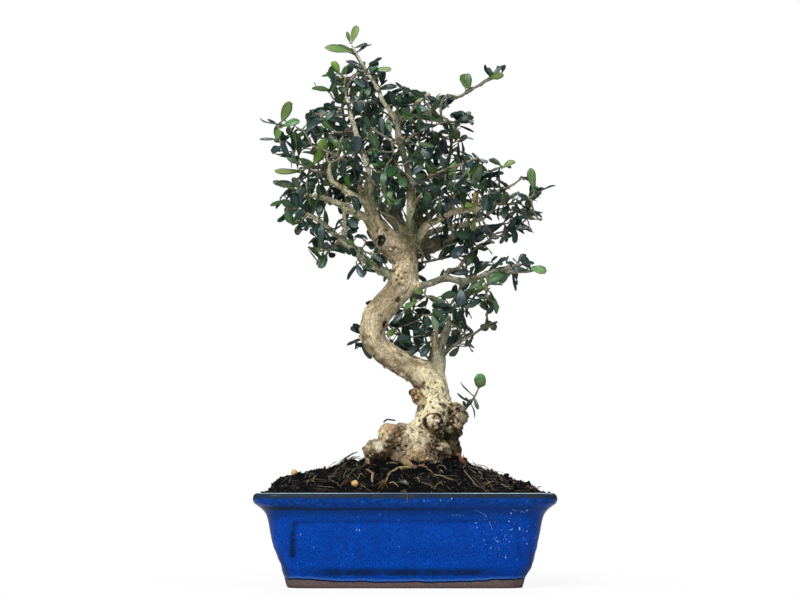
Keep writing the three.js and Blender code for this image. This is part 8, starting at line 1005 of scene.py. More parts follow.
    (12.7, 20.9, 269.3, 7.9, 14.9, 278.7, .82, .2, .54, 5.5, 0), (2, 14.2, 186.6, -4, 10, 178.1, -.48, -.6, .64, 5.1, 1), (42.8, -10.8, 251.2, 49.1, -6.5, 243.5, .15, .81, .57, 4.7, 1),
    (-37.5, -24.6, 259.7, -34.2, -35.3, 257.8, .51, 0, .86, 4.9, 1), (-33.9, -18.5, 285.2, -31.3, -9.8, 288.3, -.86, .08, .51, 4.3, 0), (-45.4, -35.1, 283.5, -46.4, -43, 274.5, -.92, -.24, .32, 5.9, 0),
    (23.7, -1.7, 209.9, 30, 7.5, 214.3, .7, -.13, -.7, 5.8, 2), (-17.9, 2, 281.7, -12.6, 11.6, 279.2, -.76, .52, .4, 4.7, 1), (-65.8, -26.9, 270.8, -66.3, -14.9, 278.7, -.39, -.52, .76, 6.3, 0),
    (-60.2, -36.7, 255.1, -57.5, -47.5, 262.6, .15, .59, .79, 5.5, 1), (-38.5, -13.9, 306.2, -49.8, -12.5, 302.1, -.35, -.51, .79, 5.7, 2), (28.5, 5.3, 196.7, 26.6, 13.8, 197.7, .53, .02, .85, 3.6, 1),
    (36.1, 7, 177.2, 40.1, -3.5, 180.6, .74, .07, -.67, 5.2, 0), (-55.5, -20.4, 257.5, -54.3, -13.5, 245, -.89, .43, .15, 5.8, 1), (15.7, 26, 239.8, 15.4, 27.7, 251, .05, -.99, .15, 5, 2),
    (-44.7, -11.8, 267.5, -47.7, -1, 263, -.94, -.14, .3, 5.6, 0), (40.4, 8.6, 221.3, 43.3, 20, 213.9, .76, .2, .61, 5.7, 2), (38.6, 17.2, 228.5, 50.7, 15.4, 229, .04, .51, .86, 5.5, 3),
    (3, 48.4, 275.4, 14, 47.8, 273.1, .1, .97, .24, 5.3, 1), (46.2, 30.6, 259.1, 48.4, 30.7, 272.5, -.65, -.75, .12, 5.6, 1), (-52.8, -33.3, 237.7, -59.5, -29.7, 228.6, -.72, -.64, .28, 4.8, 2),
    (9.9, 37.9, 298.2, 9.3, 27.7, 297.5, .62, -.1, .78, 4.3, 0), (52.4, -27.7, 201.9, 52.3, -35.1, 207.4, -.77, .39, .5, 4.5, 2), (-32.3, 17.9, 273, -40.1, 10.1, 275.9, -.51, .7, .5, 4.9, 1),
    (-9.3, 53.7, 300.3, -9.7, 44.5, 305.9, .48, .44, .76, 4.9, 0), (3.5, -31.6, 289.1, 10.3, -32.3, 296.8, -.63, .48, .61, 5, 0), (31.1, 32.4, 183.7, 21.3, 35.3, 190.3, -.3, .63, -.72, 5.8, 0),
    (43.3, -25.4, 207.6, 38.3, -31.7, 206.2, .25, -.4, .88, 3.7, 2), (21.9, -5.3, 257.3, 16.7, 2.1, 263.9, -.09, -.7, .71, 4.6, 1), (46, -15.4, 264.3, 41.6, -8.6, 271.7, .01, -.73, .68, 5.2, 1),
    (74.4, -12.4, 212.5, 75.9, -2.5, 217.3, .7, .22, -.68, 5.3, 1), (11.8, 10.1, 223.2, 4.9, 20.1, 219.4, -.65, -.18, .73, 5.2, 0), (16.1, 17.3, 163.3, 24.6, 15.2, 161.5, .27, .32, .91, 4.4, 0),
    (-77.2, -37.6, 282.8, -76.9, -46, 278.6, -1, -.03, -.03, 4.5, 1), (-29.5, 27.2, 271.3, -24.3, 34.6, 266.7, -.83, .55, -.05, 4.6, 0), (14.2, -18.8, 289.8, 8.1, -14.7, 296.5, .3, -.66, .69, 4.5, 1),
    (7.5, 40.8, 279.6, 12.6, 32.4, 278.1, .51, .16, .85, 4.5, 2), (-26.2, 30.3, 313.5, -19.8, 21.3, 316.9, .17, .45, .87, 5.3, 1), (-11.2, -4.8, 317.5, -22.5, -2.9, 312.4, -.43, -.15, .89, 6.1, 0),
    (18.1, 48, 310.7, 30.5, 45.6, 307.2, .32, .53, .79, 5.9, 4), (-3.6, 13.5, 306.3, -0.8, 26.3, 311.7, -.6, -.19, .77, 6.9, 0), (-46.8, 44.7, 297.3, -48.1, 37.5, 308, .68, .56, .46, 5.9, 0),
    (61, -30.4, 205.8, 61.1, -42.3, 205.4, .65, -.02, .76, 5.9, 3), (10.9, -2.7, 314.7, 18.9, 5.4, 319.1, -.45, -.04, .89, 5.3, 0), (11.8, 10, 264, 22.9, 16.9, 267.9, -.47, .28, .84, 5.6, 0),
    (48.1, -28.6, 257.1, 38.1, -32.4, 258, .35, -.79, .5, 5, 2), (19.1, -7.8, 171.8, 13.5, -16.5, 169.2, .68, -.57, .46, 4.3, 0), (0.3, 29.8, 266.7, 1.6, 23.3, 273.9, .98, .19, 0, 4.6, 0),
    (-4.5, -14.4, 273.1, -4.1, -21.7, 263.4, -.74, -.56, .39, 5.2, 0), (8.1, 29.1, 255.7, 4.1, 43, 257.3, -.36, -.21, .91, 6.4, 0), (48.4, -7.1, 198.4, 58.1, -10.4, 197, -.27, -.91, .32, 4.4, 0),
    (-9.2, 35, 297.4, 3.1, 31.5, 297.8, .02, .17, .99, 5.2, 1), (-59.1, -35.8, 276.1, -64.2, -47.6, 268.9, .22, -.58, .79, 6, 0), (49.5, -5, 231.8, 57.8, -10.3, 230.8, -.46, -.61, -.65, 4.7, 1),
    (-65, -21.7, 248.9, -66, -11.5, 251.8, -.37, .23, -.9, 4.9, 0), (-56.7, -37.5, 248.5, -56.1, -49.7, 247.2, -.04, -.11, .99, 5.2, 3), (1.1, -23.8, 272.3, -3.8, -29.5, 264.7, .74, -.67, .01, 4.9, 0),
    (-11.3, 53.5, 305.5, -10.8, 53.4, 318.6, -.25, -.97, 0, 5.6, 1), (-33.9, -32.6, 278.6, -34.1, -40.3, 272.2, -.35, -.6, .72, 4.9, 4), (7.6, 27.1, 193.9, 15.8, 34, 197.5, -.68, .55, .48, 5, 0),
    (3.2, -17, 323.5, -0.8, -10.9, 332.5, .11, -.8, .59, 4.8, 0), (35.6, 35.6, 253.3, 30.5, 47.4, 257.1, .54, -.04, .84, 5.6, 3), (44.8, -40, 271.9, 46.7, -44.8, 262.1, -.97, -.25, -.07, 5.4, 1),
    (-49.3, -35.9, 239.4, -51.7, -49.5, 239.1, -.26, .02, .97, 6.8, 0), (-74.4, -37.8, 255.5, -83.5, -42.2, 259.6, .33, -.91, -.26, 5.3, 1), (-43.1, -16.1, 343.3, -49.7, -13.1, 349.6, .35, -.65, .67, 4.5, 0),
    (-55.8, -37.1, 227.3, -51.5, -51.4, 228.8, .1, -.07, -.99, 7.1, 0), (47.4, -28.8, 268.7, 38.5, -32.2, 272.9, .52, -.58, .62, 4.2, 0), (53.9, -29.9, 283, 52.7, -19.7, 282, .84, .05, -.54, 4.8, 0),
    (10.5, 29.4, 281.3, 3.1, 29.3, 288.5, .45, -.77, .46, 4.7, 3), (22.9, 18, 248.7, 24.9, 29.1, 251.8, -.61, -.11, .78, 5.7, 0), (61.1, -8.6, 197.6, 58.6, -0.6, 191.4, .97, .25, -.06, 4.9, 0),
    (34.4, 28.1, 287.3, 40.4, 16.3, 285.5, .23, -.03, .97, 6.5, 1), (15.1, 21.8, 256, 18.9, 9.1, 253.8, .96, .29, -.01, 6.5, 2), (7.7, -26.8, 320.1, -2.3, -32.1, 324.2, .51, -.38, .77, 5.8, 1),
    (-36, 16.1, 324.6, -32.1, 4.4, 323.6, -.15, -.13, .98, 6, 0), (-30.4, 41.8, 321.6, -23.1, 54.3, 326.3, -.5, -.03, .87, 7.5, 0), (8.8, -2.8, 163.4, -3.3, -3.7, 165.6, .16, .18, .97, 6.2, 1),
    (-20.8, -23.5, 308.5, -16.8, -32.6, 311.9, .51, .48, .71, 5.2, 0), (95.2, -34.6, 212.6, 89.5, -43.7, 210.1, .72, -.57, .4, 4.8, 1), (23.9, -35.2, 270.9, 13.1, -37.5, 266.2, -.43, .32, .85, 5, 3),
    (37.6, 31.1, 267.5, 40.4, 21.6, 263.4, .56, -.19, .81, 4.3, 0), (11.3, 17.7, 231, 13, 4.9, 227.9, .13, -.22, .97, 6.3, 1), (56.1, -37.2, 267.8, 45.4, -39.9, 276, .63, -.2, .75, 6.2, 0),
    (16, 26.7, 176.5, 22, 36.2, 172.2, -.63, .04, -.78, 4.9, 4), (19.8, 35, 296.3, 14.9, 46.4, 304, .63, -.23, .74, 6.6, 1), (32.6, -24.6, 274.9, 34.7, -24, 289.4, -.58, -.81, .11, 6, 2),
    (8.9, -19, 298.7, -0.9, -26.1, 292, -.22, -.49, .84, 6.1, 1), (36.4, 30.6, 257.4, 35.1, 18.5, 264.8, -.35, .51, .79, 6.7, 0), (-46.4, -27.6, 300.3, -55.6, -25.3, 308.3, .02, -.95, .3, 5.6, 1),
    (-29.4, 32.6, 318.6, -27.9, 20.5, 323.4, .25, .38, .89, 6, 0), (-60.4, -16.4, 282.1, -65.4, -7.7, 280.3, -.87, -.49, .03, 4.2, 0), (-19.9, -23.4, 283.4, -11.2, -31.1, 281.2, -.02, -.29, .96, 5.7, 1),
    (-75.3, -38.6, 268.2, -81.9, -47.9, 268.4, -.17, .15, .97, 5.6, 2), (-39.2, -2.7, 323.6, -39, 7.4, 322.1, -.76, .11, .64, 4.3, 0), (41.9, -6.4, 187.2, 46.2, 3.5, 183.7, .86, -.21, .46, 5.4, 0),
    (38.7, 52.3, 315.8, 45.6, 51.4, 322, -.31, .83, .47, 4.3, 0), (-19.1, 12.7, 255.6, -20.1, 19.2, 247.5, -.88, .32, .36, 4.2, 0), (92, -20.1, 267.2, 93.6, -8.6, 268.8, .49, -.19, .85, 5.3, 1),
    (-4.5, -10.5, 285.9, -1.2, -3.2, 297.3, -.35, -.74, .58, 6.1, 1), (95.1, -25.2, 215.6, 94.6, -13, 218.1, .68, -.12, .72, 5.5, 3), (12.2, 55.1, 281.4, 23.8, 56.6, 277.5, .07, .85, .51, 5, 0),
    (-25.9, -19.2, 275.7, -38, -26.3, 273.9, .15, -.48, .86, 6, 1), (14.7, 6.2, 220.8, 11.3, -1, 216.5, .81, -.04, -.59, 4.1, 0), (-20.3, -25.7, 298, -19.3, -35.6, 297.8, .27, 0, .96, 4.8, 0),
    (-14.1, 10.1, 263, -12.3, -0.5, 264.7, -.15, .13, .98, 4.6, 2), (51.6, 52.3, 298.5, 48.1, 54.6, 304.9, .69, -.47, .55, 3.4, 4), (-30.6, -37, 296.1, -24.8, -45.6, 302.1, -.32, .39, .86, 5.4, 2),
    (-36.9, 3, 281.6, -42.9, 11.8, 282.6, -.43, -.39, .81, 4.3, 1), (-19.8, 19.6, 294.1, -29.7, 16.3, 293.6, .25, -.82, .51, 4.4, 1), (72.7, -9, 266.8, 80.3, -2.3, 271.1, -.31, -.24, .92, 5.3, 2),
    (-6.3, 31.7, 305.4, 1.3, 23.2, 306.9, .34, .46, .82, 4.6, 0), (55.9, -3.3, 252.5, 60.8, 4, 251, -.22, .33, .92, 3.6, 2), (52, 30.8, 267.3, 48, 22.1, 274.1, .82, .07, .57, 5.7, 3),
    (-41.7, -2.8, 242.9, -32.9, 2, 244.5, -.49, .75, .44, 4.5, 0), (-4.3, -16.4, 299.7, -5.4, -25.2, 292.4, .78, -.46, .43, 5.1, 1), (-60.6, -34, 235.4, -65.4, -27.9, 242, -.88, -.39, -.27, 4.3, 0),
    (33.3, -43.1, 267.9, 33.5, -51.3, 263.3, .94, .18, -.29, 3.8, 0), (43.8, 8.7, 199.4, 43.8, 19.7, 201.7, -.83, -.1, .55, 5.3, 0), (-16.8, 11.6, 297.7, -15.6, 24.9, 300.3, -.18, -.18, .97, 5.7, 0),
    (-56.1, 31.9, 292.7, -62, 23.2, 295.7, -.03, .35, .94, 4.6, 1), (56.1, -38.3, 263.3, 45.6, -44.3, 258.6, .33, -.87, .38, 6.4, 0), (45.8, 49.3, 319.3, 48.8, 63, 322.1, .37, -.26, .89, 7, 0),
    (-58.5, -11.7, 239.7, -56.5, -1.6, 235.7, -.75, .37, .56, 4.5, 0), (21, -25.2, 262.7, 11.7, -20.5, 258.2, -.57, -.62, .53, 5, 0), (4.6, 34.9, 183, 13.8, 40.5, 191.5, -.32, .91, -.25, 5.9, 0),
    (27.2, 16.8, 314.6, 16.3, 17.1, 315.8, .05, -.78, .62, 5.3, 1), (49.4, 9.2, 213.5, 61.1, 12.3, 215, -.26, .64, .73, 5, 1), (0.8, -10.2, 299, 9.8, -6.2, 292.3, .17, .73, .66, 5, 1),
    (-3.1, 39.1, 313.6, -14.5, 44.3, 320.2, .44, -.15, .89, 6, 1), (29, 14.5, 266.2, 24.4, 21.5, 275.8, .45, -.61, .66, 5.6, 0), (58.7, 8.5, 242.7, 61.1, 19.2, 251.9, .38, -.65, .66, 6.1, 1),
    (-7.5, 14.3, 169.6, -12.6, 10.3, 161.3, -.76, .62, .17, 4.7, 0), (2, 1.6, 162.5, -3.8, -1.8, 167, -.02, -.79, -.61, 3.5, 1), (-26, 54.2, 308.6, -20.2, 65.6, 308.3, -.27, .16, .95, 5.4, 0),
    (21.1, 29.9, 294.1, 10.2, 20.4, 297.2, .64, -.57, .52, 7.1, 1), (-30, -3.8, 308, -17.4, -1.1, 307, .03, .21, .98, 5.4, 1), (-57.5, -5.6, 277.8, -57.4, 6.5, 279.3, -.62, -.09, .78, 5.9, 0),
    (9.1, 0.8, 259.9, 6.5, -4.2, 251.6, -.62, -.57, .54, 4.7, 1), (-85.9, -28.3, 295.6, -86.9, -22, 299.9, -.99, -.13, -.04, 3.6, 0), (-36.1, 17.4, 292.8, -39.8, 23.2, 302.2, .22, -.79, .58, 4.9, 0),
    (26.1, 23.6, 308.6, 21.8, 17.8, 297.8, .51, -.82, .24, 6.1, 0), (-74.3, -31.2, 299.3, -75.8, -38.7, 307.4, -.34, .72, .6, 5.1, 1), (-4.1, 12.3, 197.8, -4.6, 22, 208.7, -1, .03, -.06, 6, 0),
    (10, 27.1, 293.3, 21.4, 36.5, 294.2, -.18, .11, .98, 6.6, 1), (27.4, 0.7, 236.2, 29, 1.6, 249, .62, -.78, -.02, 5.4, 0), (-76.8, -32.7, 268.6, -79.7, -20.3, 271.5, -.82, -.31, .48, 5.9, 1),
    (-19.7, -37.9, 305.4, -21.3, -27.5, 301.5, -.72, .14, .68, 5, 0), (19.5, 2.5, 184.8, 24.9, 11.9, 189.5, -.88, .46, .11, 5.4, 0), (-9.6, -19.1, 309, -12.3, -16.2, 320.6, -.56, -.82, .08, 5.3, 4),
    (18.8, 36.2, 181.7, 9.8, 40.4, 185.5, .22, -.34, .91, 5.3, 1), (19.1, 37.8, 317.4, 9.6, 41.9, 315, -.24, .03, .97, 4.9, 1), (-16.1, 22.9, 314.1, -20.1, 12.4, 318.3, -.08, .39, .92, 5.9, 0),
    (49.5, -2.2, 213.5, 57.5, -8.2, 219.9, -.09, .67, .74, 4.8, 0), (-23.4, 23.9, 331.9, -16, 15.5, 327.3, .63, .15, .76, 4.9, 0), (11.9, -3.6, 225.7, 8, -13.4, 229, .39, .16, .91, 5.1, 1),
    (-46.7, -5.8, 241, -52.4, -1.5, 232.6, -.75, .22, .63, 4.8, 0), (57.6, -35.7, 268.6, 59.1, -30.2, 279.1, .06, -.89, .46, 5.7, 0), (-55.3, -8.7, 226, -61.5, 2.1, 221.2, -.7, -.08, .71, 6, 1),
    (-75.4, -23.4, 301.9, -66.6, -24.9, 311.5, -.74, -.23, .64, 5.9, 1), (-21.9, -55.7, 293, -31.5, -61.4, 291.4, 0, -.27, .96, 4.6, 0), (-58.4, -3.5, 264.7, -63.3, 3.7, 270.8, -.65, -.7, .3, 4.9, 1),
    (-53.2, -22.4, 309.9, -65.6, -27.5, 306.1, -.16, -.31, .94, 5.7, 1), (6, -11.8, 168.9, -5.6, -10.9, 167.7, -.01, -.86, -.51, 5.5, 0), (-34.9, 16.9, 311.9, -26.1, 5.2, 316.1, .19, .46, .87, 6.7, 0),
    (-5.8, 25.6, 240.1, 0.1, 26.9, 229.8, .09, .98, .17, 5.4, 1), (-66.9, -8, 261.1, -66.6, 4.7, 259.7, -.7, .1, .7, 5.1, 1), (28.9, -17.8, 179.3, 18.8, -20.3, 187.7, .31, -.95, .09, 6.1, 1),
    (35.4, -14.1, 188.3, 23, -19.4, 191.9, .35, -.21, .91, 6.6, 3), (-42.4, 3.6, 268.9, -38.4, 17, 267.8, -.5, .22, .84, 6.1, 2), (-44.8, 28.5, 291.1, -38.5, 37.2, 297.5, -.63, -.12, .77, 6.1, 2),
    (74.4, 41.3, 250.9, 82, 46.5, 244, -.03, .82, .58, 5.6, 3), (-51, 12.7, 318.4, -49.6, 2.3, 321.8, -.75, .11, .65, 5.3, 3), (-13.3, -54.2, 278.2, -14.9, -57.6, 267, -.22, -.92, .31, 5.7, 1),
    (-25.5, -33.8, 311.9, -20.9, -25.3, 314.2, .16, -.34, .93, 4.6, 1), (-51, -1.3, 274.3, -52.9, -1.5, 262.4, -.99, .03, .16, 6, 1), (39.9, -38.4, 249.6, 35.3, -43.8, 244.6, .53, -.78, .35, 3.6, 1),
    (-74.1, -6.3, 285.8, -68.6, 4.9, 289, -.27, -.14, .95, 5.2, 0), (20.9, -13.9, 185.6, 33.3, -16.9, 187.9, -.27, -.91, .3, 5.6, 0), (-9.9, -19.3, 252.9, -13.4, -28.9, 252.1, .05, -.1, .99, 4.2, 1),
    (34.2, 27.4, 194, 28.2, 38.1, 192.8, -.62, -.26, .74, 5.7, 1), (-10.9, -17.4, 259.3, -9.7, -16.3, 271.9, -.13, -.99, .1, 5.5, 2), (28.7, 0.7, 294.2, 37.5, -0.5, 304.8, -.66, .45, .6, 6, 0),
    (-33.5, -29.1, 230, -39.5, -35.6, 233.1, .63, -.72, -.29, 4.2, 2), (-66.1, -45.1, 265.3, -63.4, -50.5, 254.7, -.9, -.44, -.01, 5.5, 1), (-16.3, -34.6, 311.6, -10.1, -22.9, 315.4, -.21, -.2, .96, 5.6, 1),
    (-11.7, 2.7, 170.6, -8.1, -6.9, 166.5, -.66, .08, -.75, 5.1, 3), (-78.8, -16.6, 251.6, -82.8, -7.4, 260.9, -.36, -.74, .57, 5.6, 1), (-30.2, 16.1, 348.9, -25.6, 4.9, 348.4, .67, .3, -.68, 5.6, 0),
    (18.9, -15.2, 245.4, 23.2, -19.2, 237.8, .78, -.25, .57, 4.6, 3), (-86.2, -37, 271.2, -86.4, -47, 271.6, -.93, .03, .38, 4, 2), (-57, -19.3, 321.6, -68, -25.1, 317.7, .18, -.76, .62, 5.7, 0),
    (-51, -26.4, 325.6, -52.5, -35.8, 321.2, -.53, -.29, .8, 4.2, 0), (-22.9, 0.7, 244.3, -21.6, 10.7, 236.9, -.99, .03, -.13, 5.8, 2), (45.9, -14.7, 276.5, 46.4, -23.5, 273.1, .07, -.36, .93, 4, 0),
    (-50.8, -17.9, 328.5, -48.6, -11, 333, -.47, -.37, .8, 3.8, 1), (15.8, -17.2, 255.3, 14.3, -10, 264.1, .19, -.74, .65, 4.9, 0), (-88.4, -30.8, 273.5, -89.2, -21.3, 274.5, -.24, -.12, .96, 3.7, 1),
    (34.9, -11.3, 237.5, 40.4, -19.4, 227.2, .92, .21, .33, 6, 1), (-3.2, -53, 271.1, 0.5, -60.8, 263.9, -.09, -.7, .71, 4.7, 1), (-1.1, -7.5, 186.4, -8, -8.8, 178.7, -.08, -.97, .23, 5, 0),
    (-26.2, -30.1, 329.5, -18.6, -35.6, 326.9, .51, .31, .8, 4.5, 3), (51.3, 3.4, 195.7, 53, -7.9, 192, .98, .19, -.12, 4.9, 2), (-40.1, -52, 289, -32, -62.5, 294.1, -.39, .14, .91, 6.1, 1),
    (-4.1, 9.9, 329.3, 2.9, 4, 336, -.6, .18, .78, 5.4, 0), (-4.9, -4, 176.1, -12.6, -7.7, 170.3, .6, -.74, -.32, 5.2, 2), (76.1, 28.2, 261, 69, 21.3, 271.4, .87, -.18, .47, 7.1, 0),
    (4.5, -2.4, 192.6, 11.8, -9.5, 202.6, .52, .83, .21, 6, 2), (-35, -8.1, 351.4, -27.1, -16.5, 348.2, .35, -.02, .94, 5.2, 0), (-81.2, -32.6, 272.3, -74.6, -27.2, 282.3, -.85, .09, .51, 5.4, 4),
    (-27, -23.1, 223.2, -23.5, -29, 215.6, -.91, .01, -.42, 4.5, 1), (88.3, -1.2, 267, 92.2, 11.2, 267.5, .37, -.15, .92, 5.9, 0), (-75.2, -38.2, 311.6, -86.2, -39.2, 317.5, .48, -.08, .87, 5.5, 1),
    (-31.3, -26.9, 349.7, -30.8, -41.1, 349.4, .51, 0, .86, 6.4, 3), (-53.5, 5.9, 280.3, -51.9, 13.8, 287.7, -.78, -.34, .53, 5.4, 1), (-42, -27.2, 343.8, -49.9, -31.3, 335.6, -.71, -.04, .7, 5.2, 2),
    (6, 19.2, 216.6, 16.2, 22.5, 209.5, .6, -.43, .67, 6.3, 3), (51.8, 19.9, 195.3, 57.4, 8.6, 195.9, .87, .42, -.25, 5.5, 1), (-40.9, -21, 351.3, -40.3, -12.9, 359.3, -.45, -.61, .65, 5.4, 1),
    (-53.5, 25.8, 304.8, -48.7, 32.5, 297, .68, .29, .67, 5.1, 1), (-19.9, 7.6, 334.1, -25.6, 12.4, 343.1, .09, -.86, .51, 4.9, 0), (-7, -14.2, 251.5, 0.8, -6, 247.2, .1, .39, .92, 5.2, 0),
    (82.6, -15.2, 278, 88.4, -5.8, 280, -.02, -.2, .98, 5.3, 1), (-58.4, 4.1, 328, -68.2, 12.5, 326, -.16, .05, .99, 6.3, 3), (34.1, 3.1, 282.4, 22.7, 10.7, 283.1, -.42, -.68, .6, 6.8, 1),
    (59.2, 19, 238.6, 50.1, 22.4, 234.8, .39, .91, -.12, 5.1, 4), (68.6, 2.6, 266.4, 63.1, -0.3, 273.7, .76, -.55, .35, 4.6, 1), (-78.1, -8.7, 272.1, -69.6, 2.1, 266.6, -.78, .63, .03, 6.3, 1),
    (77.5, 9.7, 259.3, 90.6, 15.3, 259.5, -.37, .84, .41, 6.1, 0), (13.9, -45.6, 264, 14.8, -58.4, 256.5, .73, -.3, .61, 6.1, 1), (-11.7, -34, 262.6, -5.4, -40.1, 256.9, .41, -.37, .84, 4.3, 1),
    (3.8, 6.9, 344.7, 17.2, 4.9, 342.6, .19, .22, .96, 6.7, 1), (8.1, -18, 192.3, -0.2, -11.8, 189.2, -.52, -.82, -.25, 5.2, 2), (-1.1, 32.7, 322.2, 1, 42.7, 331.5, -.73, -.37, .57, 5.9, 1),
    (72, 16.8, 245, 82.4, 14.1, 252.8, .05, .96, .28, 5.5, 1), (45.3, 28.1, 288.3, 51.9, 27.4, 278.5, .69, .59, .42, 5.9, 1), (-49.1, 9.9, 305, -55.7, 11.1, 295.5, -.48, -.84, .23, 4.9, 0),
    (11.9, -17.5, 183.5, 1.1, -13.9, 184.6, -.21, -.32, -.92, 4.8, 0), (14.9, 3.2, 199.3, 25.4, -1.4, 194.5, .54, .58, .61, 5.1, 1), (-4.6, 25, 322.7, -3.3, 35.4, 321.9, -.64, .14, .75, 5.2, 3),
    (-63.3, -8.2, 306.6, -61.7, 0.9, 311.3, -.79, -.16, .59, 5.1, 1), (-21.1, -22, 228.1, -15.2, -26.5, 238.1, .71, .7, -.11, 5.3, 0), (61.8, 14.6, 181.1, 59, 26.8, 181.1, .95, .22, .2, 5.4, 2),
    (36.2, -9.1, 320.4, 48.1, -11.5, 321.8, -.16, -.23, .96, 6.1, 1), (50.4, 20.6, 293.2, 51.4, 12.5, 299.7, .21, .63, .75, 5, 0), (73.2, 7.6, 247.2, 80.8, 14, 249.1, -.31, .08, .95, 4.6, 1),
    (-0.4, 14.1, 339, 4.2, 22.1, 330.6, -.4, .76, .51, 5.2, 0), (-18.6, 15.1, 238, -25.9, 22.5, 235.1, -.6, -.72, -.35, 5.3, 0), (38.9, 22.4, 299.5, 38.9, 23, 310.8, .72, -.69, .04, 5.6, 0),
    (23.5, -10.2, 196.9, 35.5, -9.1, 199.4, .16, -.91, -.38, 5.7, 1), (-80, -27.5, 308.7, -80.2, -38.3, 309.3, -.1, .05, .99, 4.7, 0), (75.5, 10.6, 260.8, 78.4, 19.5, 263.3, -.95, .26, .19, 4.1, 0),
    (-20.4, 8.7, 328.2, -26.7, 16.7, 321.9, -.79, -.13, .6, 5.2, 1), (-61.3, 20.3, 304.2, -72.2, 17.1, 305.8, .12, .07, .99, 5.4, 2), (-26.8, -46.7, 306, -30.1, -53, 297.7, -.3, -.7, .65, 4.6, 4),
    (31.5, -6.4, 238, 20.4, -3.2, 240.7, .14, -.31, .94, 5.5, 0), (-5.5, 21.5, 223.5, -11.1, 29.1, 229.8, -.59, -.73, .35, 5.4, 2), (-64.3, -19.9, 324.3, -65.1, -31, 322.3, -.93, 0, .38, 4.5, 0),
    (52.4, 16.5, 274.6, 54.3, 28.1, 276.4, -.66, -.01, .76, 5.8, 0), (-75.8, 3.9, 264.6, -75.5, 15.3, 262.5, -.85, .12, .51, 5.4, 2), (51.7, 6.2, 277, 47.2, -3.9, 276.5, .91, -.41, .03, 5.1, 2),
    (47.7, 19.6, 292.6, 40.4, 13.8, 296.5, .58, -.22, .78, 4.7, 0), (-24.1, -21, 354.4, -16, -23, 356.9, -.32, -.14, .94, 4, 1), (66.4, -9.4, 277.9, 64.8, 1.5, 282.3, .93, -.02, .38, 5.6, 0),
    (30.9, 1, 316.6, 37.8, 0.5, 309.3, .33, .91, .24, 4.5, 1), (-30, -41.2, 320.4, -33.8, -38.4, 329.3, .61, -.65, .46, 4.8, 4), (-62.5, 4.9, 307.6, -65, 13.8, 300.8, -.15, .57, .81, 5.3, 0),
    (24.4, -4.5, 335.8, 22.5, 7.8, 341, -.17, -.41, .9, 5.4, 0), (13, 1.3, 234.1, 22.5, 8.8, 241.5, -.61, 0, .79, 6.2, 0), (8.2, -5.6, 239.5, 7.2, -5.6, 250, -.51, .86, -.05, 4.6, 1),
    (21.3, 18.6, 335.4, 28.6, 14.2, 344, -.18, .81, .56, 5.2, 1), (71.2, -3.7, 239.2, 68.4, -12.8, 238.3, .94, -.31, .15, 4.5, 0), (20.2, 8.6, 338.2, 26, 10, 344.4, -.55, -.54, .64, 4, 1),
    (-33.1, 12.6, 361.3, -36.8, 0.3, 362, .12, .02, .99, 5.8, 1), (-17.8, -12.2, 216.3, -17, -18.6, 220.3, -.69, -.44, -.57, 3.5, 0), (-28.5, -6.4, 218, -27.8, 2.7, 212.8, .81, -.34, -.48, 4.7, 1),
    (-12.4, -9.6, 217.6, -21.9, -14.9, 222.7, .52, -.11, .85, 5.8, 1), (0.3, -45.6, 260.9, -7.1, -52.4, 255, -.28, -.44, .85, 5.4, 1), (-70.3, -27, 310.3, -66.1, -21.1, 316, -.56, -.33, .76, 4.1, 2),
    (-79.3, -5.6, 309.8, -82.6, 0, 318.6, -.56, -.78, .29, 4.8, 0), (73.5, -9.3, 289.2, 71.7, 2.9, 290, .48, .01, .88, 5.6, 0), (-37.1, 3.5, 355.5, -31.7, -4.3, 355.4, .31, .2, .93, 3.8, 1),
    (-62.6, 2.9, 313.6, -70.5, 7.1, 326.4, .75, -.34, .57, 7.7, 0), (14.1, 21.9, 317.7, 16.5, 11.5, 321.6, .65, .4, .65, 5.3, 1), (77.2, 2.6, 252.4, 71.2, -5.4, 256.2, .69, -.19, .69, 4.9, 0),
    (89.6, -37, 247.3, 83.3, -42.7, 247.2, .3, -.35, .89, 4.1, 1), (-3, -23.8, 246.8, -4.5, -32.6, 252.7, .82, .22, .53, 5.1, 0), (-29.1, -44.5, 316.1, -31.5, -51.6, 313.8, .23, -.37, .9, 3.2, 1),
    (-58.6, 7, 296.1, -45.3, 6.3, 302.7, -.42, -.39, .82, 6.8, 1), (-18.6, 7.1, 232.4, -10.7, 12, 234.9, -.56, .63, .54, 4.4, 2), (-22.8, -22.2, 222.2, -17, -20, 217.6, -.48, .85, -.21, 3.7, 0),
    (-18.2, -28.2, 234.8, -13, -24.7, 241.9, -.77, -.11, .62, 4.2, 1), (-61.1, 14.9, 281.4, -59.9, 13.3, 271.1, .01, .99, -.15, 5.2, 1), (-20.5, -29.8, 229, -28.3, -31.7, 231.8, .35, -.82, .46, 3.6, 0),
    (-40.6, 7.2, 347.7, -40.9, 0.6, 338, -.91, -.33, .26, 4.9, 0), (16.5, 26.8, 310.5, 18, 34.3, 303.1, -.58, .63, .52, 4.9, 4), (-15.7, -17.4, 325.6, -21.7, -16.9, 318.6, -.76, -.04, .65, 3.9, 1),
    (-64, 8.8, 299.6, -73.3, 14.1, 302.7, 0, -.5, .87, 4.5, 0), (-26.7, -23.2, 223.3, -22.6, -25.6, 215.1, -.82, -.5, -.27, 4.2, 2), (-22.5, 1.8, 217.9, -28.8, 7.4, 226.7, -.45, -.86, .23, 5.2, 1),
    (-17.8, 6.1, 219.3, -15.5, 14.3, 220.2, .9, -.29, .32, 3.7, 3), (-21.5, 6, 230.2, -26.7, -3.7, 222.4, -.24, .68, -.69, 5.8, 4), (-41.5, -15.8, 369.1, -54.1, -13.1, 374, .17, -.61, .77, 6.8, 2),
